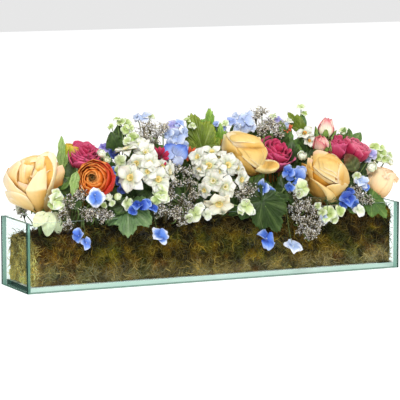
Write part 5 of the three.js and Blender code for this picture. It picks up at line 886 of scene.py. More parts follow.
            (1.3, -1, [(111.1, 20.4, 40.0), (111.3, 22.9, 53.5), (111.5, 26.2, 66.6), (111.9, 30.4, 79.1), (112.3, 35.5, 90.9), (112.7, 41.3, 102.0), (113.2, 47.4, 112.6)]),
            (0.91, 0, [(113.2, 47.4, 112.6), (124.1, 50.9, 115.4), (135.3, 54.3, 116.7), (146.6, 58.0, 116.8), (157.3, 62.2, 116.5), (167.1, 67.2, 116.7), (175.9, 73.0, 117.8)]),
            (0.91, 1, [(113.2, 47.4, 112.6), (126.7, 50.2, 116.0), (141.2, 52.5, 117.6), (155.3, 54.9, 121.3), (168.3, 58.2, 126.9), (180.6, 62.3, 131.8), (191.8, 67.2, 137.4)]),
            (0.91, 2, [(113.2, 47.4, 112.6), (98.5, 45.8, 121.0), (79.7, 51.0, 118.6), (62.0, 55.4, 115.8), (45.6, 60.1, 113.2), (30.9, 65.9, 111.7), (18.0, 73.0, 111.8)]),
            (0.91, 3, [(113.2, 47.4, 112.6), (96.8, 46.4, 121.9), (75.9, 50.5, 122.7), (55.7, 53.8, 122.9), (36.6, 57.5, 123.0), (19.5, 62.6, 124.4), (4.1, 69.1, 127.6)]),
            (0.91, 4, [(113.2, 47.4, 112.6), (139.1, 48.0, 115.9), (165.1, 47.7, 118.5), (191.3, 48.1, 117.2), (216.6, 50.3, 113.3), (241.7, 54.1, 112.6), (265.5, 57.2, 121.7)]),
            (0.91, 5, [(113.2, 47.4, 112.6), (99.1, 43.1, 118.8), (82.3, 46.7, 115.1), (68.5, 51.1, 110.5), (56.1, 54.0, 109.8), (44.4, 53.0, 120.7), (34.0, 43.0, 92.0)]),
        ],
    },
    "leaf_top_centre": {
        "heads": [
            {"t": "leaf", "P": [0.9, 6.0, 189.5], "T": [-15.0, 18.0, 246.3], "N": [-0.464, -0.884, 0.057], "W": 56.9, "shape": "lobed", "col": "olive"},
            {"t": "leaf", "P": [6.1, 10.0, 191.9], "T": [25.1, 22.0, 253.5], "N": [-0.177, -0.954, 0.24], "W": 40.7, "shape": "lobed", "col": "green"},
        ],
        "stalks": [
            (1.5, -1, [(3.4, 2.8, 40.0), (3.4, 3.2, 60.2), (3.4, 3.7, 79.8), (3.5, 4.4, 98.9), (3.5, 5.2, 118.0), (3.6, 6.0, 137.6), (3.6, 6.9, 157.8)]),
            (1.05, 0, [(3.6, 6.9, 157.8), (2.9, 6.9, 164.8), (2.1, 6.9, 171.7), (1.2, 7.0, 178.4), (0.0, 7.1, 184.9), (-1.7, 7.2, 191.3), (-1.5, 8.3, 198.9)]),
            (1.05, 1, [(3.6, 6.9, 157.8), (4.7, 7.7, 165.2), (6.0, 8.6, 172.3), (7.9, 9.9, 179.1), (11.4, 11.7, 185.6), (15.5, 13.9, 193.3), (9.0, 12.0, 201.3)]),
        ],
    },
    "leaf_front_left": {
        "heads": [
            {"t": "leaf", "P": [-144.7, -46.0, 117.3], "T": [-156.2, -72.0, 81.5], "N": [-0.313, -0.718, 0.621], "W": 72.5, "shape": "lobed", "col": "sage"},
        ],
        "stalks": [
            (1.5, 0, [(-158.5, -18.5, 40.0), (-159.1, -22.4, 57.9), (-158.8, -27.3, 75.6), (-157.4, -32.9, 91.2), (-154.1, -38.8, 102.7), (-148.5, -44.2, 108.5), (-140.4, -48.8, 108.7)]),
        ],
    },
    "leaf_front_right": {
        "heads": [
            {"t": "leaf", "P": [69.0, -56.0, 115.9], "T": [97.2, -70.0, 69.3], "N": [-0.232, -0.961, 0.148], "W": 62.8, "shape": "lobed", "col": "dark"},
            {"t": "leaf", "P": [84.4, -52.0, 117.6], "T": [116.6, -58.0, 119.6], "N": [-0.189, -0.853, 0.487], "W": 29.9, "shape": "lobed", "col": "dark"},
        ],
        "stalks": [
            (1.5, -1, [(73.9, -20.6, 40.0), (74.3, -22.2, 53.2), (74.8, -24.3, 66.1), (75.4, -27.1, 78.5), (76.3, -30.7, 90.2), (77.3, -35.1, 101.4), (78.5, -40.0, 112.0)]),
            (1.05, 0, [(78.5, -40.0, 112.0), (77.4, -43.4, 112.3), (76.4, -46.7, 112.2), (75.3, -50.0, 111.6), (74.5, -53.1, 110.5), (73.9, -56.0, 109.1), (73.7, -58.6, 107.4)]),
            (1.05, 1, [(78.5, -40.0, 112.0), (80.8, -41.5, 113.9), (83.0, -43.4, 115.4), (85.1, -45.7, 116.5), (86.9, -48.3, 117.2), (88.7, -50.9, 117.5), (90.8, -53.2, 118.0)]),
        ],
    },
    "leaf_sprig_left": {
        "heads": [
            {"t": "leaf", "P": [-231.2, -8.0, 169.0], "T": [-230.7, -4.0, 221.3], "N": [-0.234, -0.969, 0.076], "W": 16.0, "shape": "ridged", "col": "light"},
            {"t": "leaf", "P": [-220.7, -36.0, 171.4], "T": [-236.0, -50.0, 141.7], "N": [-0.547, -0.613, 0.57], "W": 14.5, "shape": "ridged", "col": "light"},
            {"t": "leaf", "P": [-133.7, 8.0, 195.4], "T": [-134.3, 12.0, 232.9], "N": [-0.417, -0.904, 0.091], "W": 20.7, "shape": "oval", "col": "dark"},
        ],
        "stalks": [
            (1.5, -1, [(-188.3, -5.3, 40.0), (-188.8, -5.7, 58.6), (-189.5, -6.1, 76.6), (-190.3, -6.8, 94.2), (-191.3, -7.5, 111.8), (-192.4, -8.3, 129.8), (-193.5, -9.2, 148.3)]),
            (1.05, 0, [(-193.5, -9.2, 148.3), (-199.7, -8.9, 154.0), (-206.4, -8.7, 159.1), (-213.2, -8.4, 163.7), (-219.8, -8.0, 168.3), (-225.8, -7.7, 173.4), (-231.1, -7.2, 179.0)]),
            (1.05, 1, [(-193.5, -9.2, 148.3), (-198.8, -13.3, 153.4), (-204.6, -17.3, 158.0), (-210.9, -21.1, 161.9), (-216.3, -26.4, 164.4), (-220.3, -32.7, 165.5), (-223.8, -38.8, 165.5)]),
            (1.05, 2, [(-193.5, -9.2, 148.3), (-184.4, -6.1, 158.5), (-174.5, -2.8, 167.6), (-164.2, 1.1, 176.0), (-153.5, 4.7, 184.1), (-142.7, 8.0, 192.7), (-133.5, 8.8, 202.7)]),
        ],
    },
    "leaf_sprig_right": {
        "heads": [
            {"t": "leaf", "P": [260.2, -46.0, 107.6], "T": [280.1, -64.0, 82.4], "N": [-0.092, -0.843, 0.53], "W": 39.7, "shape": "lobed", "col": "mid"},
            {"t": "leaf", "P": [244.3, -30.0, 149.8], "T": [229.3, -22.0, 175.8], "N": [-0.244, -0.958, 0.154], "W": 24.5, "shape": "round", "col": "darkr"},
            {"t": "leaf", "P": [248.9, 8.0, 192.1], "T": [252.9, 14.0, 211.6], "N": [-0.568, -0.747, 0.347], "W": 13.9, "shape": "oval", "col": "mid"},
        ],
        "stalks": [
            (1.4, -1, [(240.2, -11.1, 40.0), (240.6, -11.6, 55.7), (241.2, -12.4, 70.9), (241.9, -13.4, 85.8), (242.9, -14.6, 100.5), (244.1, -16.1, 115.6), (245.4, -17.8, 131.0)]),
            (0.98, 0, [(245.4, -17.8, 131.0), (247.6, -24.3, 128.3), (250.1, -30.4, 124.5), (253.2, -35.7, 119.7), (256.9, -40.5, 114.3), (261.7, -44.8, 108.5), (267.8, -48.8, 102.9)]),
            (0.98, 1, [(245.4, -17.8, 131.0), (245.0, -19.2, 135.5), (244.5, -21.4, 139.5), (244.0, -23.6, 143.3), (243.3, -25.6, 147.1), (242.4, -27.2, 151.0), (241.3, -28.4, 155.0)]),
            (0.98, 2, [(245.4, -17.8, 131.0), (244.4, -12.9, 142.1), (242.6, -7.3, 152.5), (238.5, -0.3, 162.0), (237.4, 7.0, 173.0), (240.8, 12.1, 186.7), (249.7, 9.2, 196.0)]),
        ],
    },
    "leaf_sprig_top_right": {
        "heads": [
            {"t": "leaf", "P": [173.1, 16.0, 211.6], "T": [152.0, 22.0, 239.6], "N": [-0.324, -0.945, -0.042], "W": 23.0, "shape": "lobed", "col": "olive"},
            {"t": "leaf", "P": [174.9, 16.0, 210.0], "T": [176.1, 22.0, 237.1], "N": [-0.224, -0.949, 0.22], "W": 12.2, "shape": "oval", "col": "mid"},
            {"t": "leaf", "P": [157.2, -2.0, 168.0], "T": [148.1, 4.0, 201.5], "N": [-0.408, -0.912, 0.053], "W": 22.9, "shape": "lobed", "col": "mid"},
        ],
        "stalks": [
            (1.4, -1, [(160.1, 2.2, 40.0), (160.5, 2.7, 60.4), (160.9, 3.4, 80.2), (161.5, 4.2, 99.6), (162.2, 5.1, 118.9), (162.9, 6.1, 138.7), (163.6, 7.2, 159.0)]),
            (0.98, 0, [(163.6, 7.2, 159.0), (165.2, 8.8, 169.2), (166.9, 10.7, 179.0), (168.7, 12.9, 188.4), (170.1, 15.9, 197.3), (170.4, 18.8, 207.2), (168.9, 17.2, 217.2)]),
            (0.98, 1, [(163.6, 7.2, 159.0), (165.5, 8.7, 168.7), (167.5, 10.5, 177.9), (169.7, 12.6, 186.7), (171.9, 15.4, 195.1), (174.3, 19.8, 202.8), (175.1, 17.2, 215.4)]),
            (0.98, 2, [(163.6, 7.2, 159.0), (162.3, 5.8, 161.8), (161.0, 4.3, 164.4), (159.6, 2.8, 166.9), (158.1, 1.4, 169.4), (156.7, 0.2, 171.9), (155.3, -0.8, 174.7)]),
        ],
    },
    "leaf_sprig_back": {
        "heads": [
            {"t": "leaf", "P": [-60.0, 46.0, 132.0], "T": [-74.0, 84.0, 86.0], "N": [0.062, 0.779, 0.624], "W": 52, "shape": "lobed", "col": "dark"},
            {"t": "leaf", "P": [96.0, 50.0, 112.0], "T": [112.0, 84.0, 82.0], "N": [-0.084, 0.681, 0.727], "W": 50, "shape": "lobed", "col": "mid"},
            {"t": "leaf", "P": [-130.0, 40.0, 128.0], "T": [-132.0, 62.0, 170.0], "N": [0.044, 0.886, -0.462], "W": 38, "shape": "lobed", "col": "olive"},
        ],
        "stalks": [
            (1.5, -1, [(-33.2, 15.8, 40.0), (-33.2, 17.1, 53.4), (-33.1, 18.9, 66.5), (-32.9, 21.4, 79.1), (-32.7, 24.7, 91.2), (-32.5, 28.8, 102.9), (-32.2, 33.5, 114.1)]),
            (1.05, 0, [(-32.2, 33.5, 114.1), (-37.2, 36.3, 117.7), (-42.4, 39.1, 120.7), (-47.7, 42.1, 122.9), (-52.9, 45.3, 124.3), (-57.8, 48.7, 124.7), (-62.3, 52.2, 124.5)]),
            (1.05, 1, [(-32.2, 33.5, 114.1), (-7.0, 33.4, 119.3), (14.2, 37.7, 121.9), (36.6, 41.2, 121.7), (58.6, 46.4, 118.1), (80.2, 52.2, 112.6), (99.2, 56.8, 106.0)]),
            (1.05, 2, [(-32.2, 33.5, 114.1), (-49.2, 34.3, 119.8), (-66.8, 34.9, 123.5), (-84.4, 36.3, 125.7), (-101.3, 38.2, 127.8), (-116.7, 40.9, 131.2), (-130.4, 44.4, 136.4)]),
        ],
    },
    "filler_left": {
        "heads": [
            {"t": "puff", "P": [-235.2, -44.0, 122.1], "R": 14.5, "H": 17.3, "D": [0.0, 0.0, 1.0]},
            {"t": "puff", "P": [-216.1, -58.0, 112.4], "R": 15.9, "H": 13.0, "D": [0.0, 0.0, 1.0]},
            {"t": "puff", "P": [-192.6, -58.0, 106.7], "R": 11.6, "H": 8.7, "D": [0.0, 0.0, 1.0]},
            {"t": "puff", "P": [-243.5, -56.0, 96.3], "R": 8.6, "H": 11.5, "D": [0.0, 0.0, 1.0]},
            {"t": "puff", "P": [-221.2, -48.0, 139.2], "R": 10.1, "H": 11.6, "D": [0.0, 0.0, 1.0]},
        ],
        "stalks": [
            (1.2, -1, [(-220.7, -16.8, 40.0), (-220.7, -18.4, 53.2), (-220.8, -20.5, 66.1), (-220.9, -23.3, 78.5), (-221.0, -27.0, 90.2), (-221.1, -31.5, 101.4), (-221.3, -36.6, 112.0)]),
            (0.9, 0, [(-221.3, -36.6, 112.0), (-223.7, -37.9, 113.1), (-226.2, -39.2, 113.9), (-228.7, -40.5, 114.4), (-231.1, -41.8, 115.0), (-233.3, -43.0, 115.7), (-235.2, -44.0, 116.8)]),
            (0.9, 1, [(-221.3, -36.6, 112.0), (-220.4, -40.6, 112.2), (-219.7, -44.7, 112.1), (-219.1, -48.9, 112.1), (-218.0, -52.8, 111.4), (-216.6, -55.7, 110.0), (-216.1, -58.0, 108.5)]),
            (0.9, 2, [(-221.3, -36.6, 112.0), (-215.1, -37.8, 111.7), (-209.7, -41.4, 110.3), (-205.1, -46.9, 108.4), (-200.5, -51.3, 107.0), (-196.4, -54.9, 107.2), (-192.6, -58.0, 104.1)]),
            (0.9, 3, [(-221.3, -36.6, 112.0), (-225.7, -40.5, 110.4), (-230.0, -44.2, 108.1), (-234.0, -47.7, 106.3), (-237.5, -50.8, 107.5), (-240.7, -53.6, 119.3), (-243.5, -56.0, 92.8)]),
            (0.9, 4, [(-221.3, -36.6, 112.0), (-221.2, -38.4, 116.1), (-221.2, -40.4, 120.1), (-221.2, -42.5, 123.9), (-221.2, -44.5, 127.7), (-221.2, -46.4, 131.6), (-221.2, -48.0, 135.8)]),
        ],
    },
    "filler_top_left": {
        "heads": [
            {"t": "puff", "P": [-94.0, 10.0, 224.7], "R": 14.8, "H": 13.3, "D": [0.0, 0.0, 1.0]},
            {"t": "puff", "P": [-74.7, 6.0, 218.3], "R": 13.4, "H": 13.4, "D": [0.0, 0.0, 1.0]},
            {"t": "puff", "P": [-85.5, 0.0, 204.4], "R": 13.3, "H": 7.4, "D": [0.0, 0.0, 1.0]},
        ],
        "stalks": [
            (1.2, -1, [(-82.2, 1.9, 40.0), (-82.3, 2.1, 61.3), (-82.5, 2.3, 82.0), (-82.7, 2.6, 102.3), (-83.0, 3.0, 122.5), (-83.3, 3.4, 143.2), (-83.6, 3.8, 164.5)]),
            (0.9, 0, [(-83.6, 3.8, 164.5), (-85.3, 4.8, 174.2), (-87.1, 5.9, 183.5), (-89.0, 7.0, 192.6), (-90.8, 8.1, 201.7), (-92.5, 9.1, 211.0), (-94.0, 10.0, 220.7)]),
            (0.9, 1, [(-83.6, 3.8, 164.5), (-82.1, 4.1, 173.1), (-80.6, 4.5, 181.3), (-79.0, 4.9, 189.4), (-77.4, 5.3, 197.5), (-75.9, 5.6, 205.7), (-74.7, 6.0, 214.3)]),
            (0.9, 2, [(-83.6, 3.8, 164.5), (-83.9, 3.2, 171.0), (-84.2, 2.5, 177.2), (-84.6, 1.8, 183.3), (-84.9, 1.1, 189.5), (-85.2, 0.5, 195.7), (-85.5, 0.0, 202.2)]),
        ],
    },
    "filler_centre": {
        "heads": [
            {"t": "puff", "P": [-74.0, -46.0, 149.1], "R": 17.6, "H": 17.6, "D": [0.0, 0.0, 1.0]},
            {"t": "puff", "P": [-43.0, -42.0, 148.6], "R": 14.8, "H": 17.7, "D": [0.0, 0.0, 1.0]},
            {"t": "puff", "P": [-65.7, -56.0, 120.1], "R": 19.1, "H": 17.6, "D": [0.0, 0.0, 1.0]},
            {"t": "puff", "P": [-90.2, -60.0, 105.7], "R": 17.6, "H": 14.6, "D": [0.0, 0.0, 1.0]},
            {"t": "puff", "P": [-39.5, -52.0, 128.7], "R": 11.8, "H": 11.8, "D": [0.0, 0.0, 1.0]},
            {"t": "puff", "P": [-63.7, -62.0, 97.0], "R": 13.2, "H": 10.3, "D": [0.0, 0.0, 1.0]},
        ],
        "stalks": [
            (1.2, -1, [(-64.3, -17.9, 40.0), (-64.3, -19.4, 53.5), (-64.2, -21.4, 66.6), (-64.0, -24.2, 79.2), (-63.9, -27.8, 91.2), (-63.7, -32.2, 102.7), (-63.4, -37.2, 113.9)]),
            (0.9, 0, [(-63.4, -37.2, 113.9), (-65.1, -38.6, 119.1), (-67.0, -40.2, 124.1), (-68.9, -41.8, 128.8), (-70.8, -43.3, 133.6), (-72.5, -44.7, 138.6), (-74.0, -46.0, 143.8)]),
            (0.9, 1, [(-63.4, -37.2, 113.9), (-60.1, -38.0, 119.1), (-56.5, -38.8, 124.0), (-52.8, -39.7, 128.6), (-49.2, -40.5, 133.2), (-45.9, -41.3, 138.1), (-43.0, -42.0, 143.2)]),
            (0.9, 2, [(-63.4, -37.2, 113.9), (-65.2, -40.0, 114.3), (-65.8, -43.4, 113.9), (-65.3, -47.1, 114.0), (-65.4, -50.4, 114.1), (-65.6, -53.4, 114.2), (-65.7, -56.0, 114.8)]),
            (0.9, 3, [(-63.4, -37.2, 113.9), (-68.5, -41.5, 112.7), (-73.5, -45.8, 110.5), (-78.3, -49.9, 107.9), (-82.7, -53.7, 106.0), (-86.7, -57.0, 105.8), (-90.2, -60.0, 101.3)]),
            (0.9, 4, [(-63.4, -37.2, 113.9), (-59.5, -39.2, 116.8), (-55.3, -41.8, 118.7), (-50.8, -44.8, 119.8), (-46.6, -47.5, 121.1), (-42.8, -49.9, 122.8), (-39.5, -52.0, 125.1)]),
            (0.9, 5, [(-63.4, -37.2, 113.9), (-64.0, -42.1, 111.1), (-63.8, -47.1, 108.8), (-63.7, -51.5, 106.8), (-63.7, -55.5, 107.6), (-63.7, -58.9, 103.4), (-63.7, -62.0, 93.9)]),
        ],
    },
    "filler_top_right": {
        "heads": [
            {"t": "puff", "P": [95.4, 18.0, 236.0], "R": 12.1, "H": 13.7, "D": [0.0, 0.0, 1.0]},
            {"t": "puff", "P": [113.8, 14.0, 228.0], "R": 15.2, "H": 15.2, "D": [0.0, 0.0, 1.0]},
            {"t": "puff", "P": [128.9, 10.0, 212.4], "R": 12.2, "H": 10.6, "D": [0.0, 0.0, 1.0]},
            {"t": "puff", "P": [100.3, 14.0, 216.3], "R": 12.1, "H": 10.6, "D": [0.0, 0.0, 1.0]},
        ],
        "stalks": [
            (1.2, -1, [(100.8, 4.2, 40.0), (101.1, 4.7, 61.9), (101.5, 5.3, 83.1), (101.8, 6.1, 103.6), (101.7, 6.9, 123.6), (100.3, 7.4, 143.2), (105.7, 9.6, 168.4)]),
            (0.9, 0, [(105.7, 9.6, 168.4), (91.1, 14.6, 176.6), (96.3, 14.1, 188.7), (97.6, 14.7, 199.6), (97.2, 15.8, 210.2), (96.4, 16.9, 220.9), (95.4, 18.0, 231.9)]),
            (0.9, 1, [(105.7, 9.6, 168.4), (91.9, 14.9, 175.5), (98.4, 14.4, 187.9), (104.4, 13.8, 197.0), (108.8, 13.5, 205.3), (111.6, 13.7, 214.1), (113.8, 14.0, 223.4)]),
            (0.9, 2, [(105.7, 9.6, 168.4), (92.7, 16.0, 174.6), (99.5, 16.7, 187.9), (107.4, 16.2, 196.8), (116.3, 14.4, 201.5), (123.4, 12.0, 204.9), (128.9, 10.0, 209.3)]),
            (0.9, 3, [(105.7, 9.6, 168.4), (91.7, 13.8, 172.7), (95.9, 13.2, 182.7), (98.6, 13.0, 190.6), (100.0, 13.1, 197.9), (100.3, 13.6, 205.4), (100.3, 14.0, 213.1)]),
        ],
    },
    "filler_right": {
        "heads": [
            {"t": "puff", "P": [127.2, -54.0, 101.9], "R": 13.5, "H": 15.0, "D": [0.0, 0.0, 1.0]},
            {"t": "puff", "P": [147.2, -58.0, 95.2], "R": 13.5, "H": 16.6, "D": [0.0, 0.0, 1.0]},
            {"t": "puff", "P": [130.6, -64.0, 72.6], "R": 13.5, "H": 15.0, "D": [0.0, 0.0, 1.0]},
            {"t": "puff", "P": [154.4, -64.0, 71.2], "R": 10.5, "H": 12.0, "D": [0.0, 0.0, 1.0]},
            {"t": "puff", "P": [238.8, -50.0, 113.8], "R": 12.2, "H": 12.2, "D": [0.0, 0.0, 1.0]},
            {"t": "puff", "P": [34.4, -52.0, 129.3], "R": 11.9, "H": 11.9, "D": [0.0, 0.0, 1.0]},
        ],
        "stalks": [
            (1.2, -1, [(134.6, -20.0, 40.0), (134.8, -21.6, 53.2), (135.0, -23.8, 66.1), (135.4, -26.8, 78.5), (135.8, -30.6, 90.3), (136.3, -35.2, 101.4), (136.9, -40.3, 112.0)]),
            (0.9, 0, [(136.9, -40.3, 112.0), (134.8, -43.2, 110.5), (132.9, -45.9, 108.6), (131.2, -48.3, 107.0), (129.7, -50.5, 107.4), (128.4, -52.3, 126.9), (127.2, -54.0, 97.4)]),
            (0.9, 1, [(136.9, -40.3, 112.0), (139.1, -44.2, 109.8), (141.2, -47.8, 107.3), (143.0, -50.9, 105.9), (144.6, -53.6, 107.5), (146.0, -55.9, 117.8), (147.2, -58.0, 90.3)]),
            (0.9, 2, [(136.9, -40.3, 112.0), (135.3, -46.2, 108.2), (134.0, -51.3, 105.9), (132.9, -55.5, 109.3), (132.0, -58.8, 100.7), (131.3, -61.5, 80.6), (130.6, -64.0, 68.1)]),
            (0.9, 3, [(136.9, -40.3, 112.0), (141.1, -46.0, 108.3), (144.7, -50.9, 105.9), (147.8, -55.1, 109.3), (150.3, -58.5, 100.6), (152.5, -61.4, 80.4), (154.4, -64.0, 67.6)]),
            (0.9, 4, [(136.9, -40.3, 112.0), (155.0, -42.3, 114.1), (173.5, -44.4, 113.8), (191.8, -45.6, 111.9), (208.9, -47.0, 108.8), (224.2, -48.4, 108.6), (238.8, -50.0, 110.1)]),
            (0.9, 5, [(136.9, -40.3, 112.0), (120.1, -42.2, 116.7), (103.3, -44.2, 119.5), (83.6, -44.0, 120.3), (65.4, -45.8, 121.4), (48.9, -49.4, 122.1), (34.4, -52.0, 125.7)]),
        ],
    },
    "filler_back": {
        "heads": [
            {"t": "puff", "P": [-196.0, 66.0, 104.0], "R": 20, "H": 16, "D": [0.0, 0.0, 1.0]},
            {"t": "puff", "P": [-150.0, 58.0, 148.0], "R": 20, "H": 16, "D": [0.0, 0.0, 1.0]},
            {"t": "puff", "P": [-48.0, 70.0, 112.0], "R": 18, "H": 16, "D": [0.0, 0.0, 1.0]},
            {"t": "puff", "P": [150.0, 70.0, 100.0], "R": 20, "H": 16, "D": [0.0, 0.0, 1.0]},
            {"t": "puff", "P": [214.0, 66.0, 104.0], "R": 20, "H": 16, "D": [0.0, 0.0, 1.0]},
            {"t": "puff", "P": [110.0, 44.0, 172.0], "R": 18, "H": 16, "D": [0.0, 0.0, 1.0]},
        ],
        "stalks": [
            (1.2, -1, [(12.9, 20.0, 40.0), (13.0, 22.0, 53.4), (13.0, 24.7, 66.5), (13.0, 28.2, 79.0), (13.1, 32.6, 90.9), (13.1, 37.7, 102.1), (13.2, 43.3, 112.9)]),
            (0.9, 0, [(13.2, 43.3, 112.9), (-24.0, 45.1, 114.1), (-61.5, 45.5, 109.4), (-99.8, 50.6, 106.8), (-135.6, 52.5, 105.8), (-167.8, 50.1, 110.2), (-196.0, 43.0, 99.2)]),
            (0.9, 1, [(13.2, 43.3, 112.9), (-15.1, 43.5, 123.9), (-42.4, 41.2, 133.3), (-71.8, 42.9, 136.2), (-101.3, 50.7, 133.1), (-127.4, 56.2, 134.7), (-150.0, 58.0, 143.2)]),
            (0.9, 2, [(13.2, 43.3, 112.9), (2.1, 48.1, 113.3), (-9.1, 53.0, 112.1), (-20.1, 57.8, 109.7), (-30.5, 62.3, 107.4), (-39.8, 66.4, 106.4), (-48.0, 70.0, 107.2)]),
            (0.9, 3, [(13.2, 43.3, 112.9), (37.9, 45.7, 113.0), (62.8, 46.8, 109.5), (87.0, 44.1, 102.1), (110.6, 43.0, 94.3), (131.5, 43.0, 93.2), (150.0, 43.0, 95.2)]),
            (0.9, 4, [(13.2, 43.3, 112.9), (49.0, 42.5, 115.3), (87.7, 40.8, 114.1), (124.5, 44.4, 109.3), (157.1, 49.8, 105.9), (187.1, 50.2, 110.5), (214.0, 43.0, 99.2)]),
            (0.9, 5, [(13.2, 43.3, 112.9), (29.4, 43.4, 123.5), (46.6, 43.6, 132.4), (64.2, 43.7, 140.1), (81.1, 43.8, 147.7), (96.4, 43.9, 156.6), (110.0, 44.0, 167.2)]),
        ],
    },
}

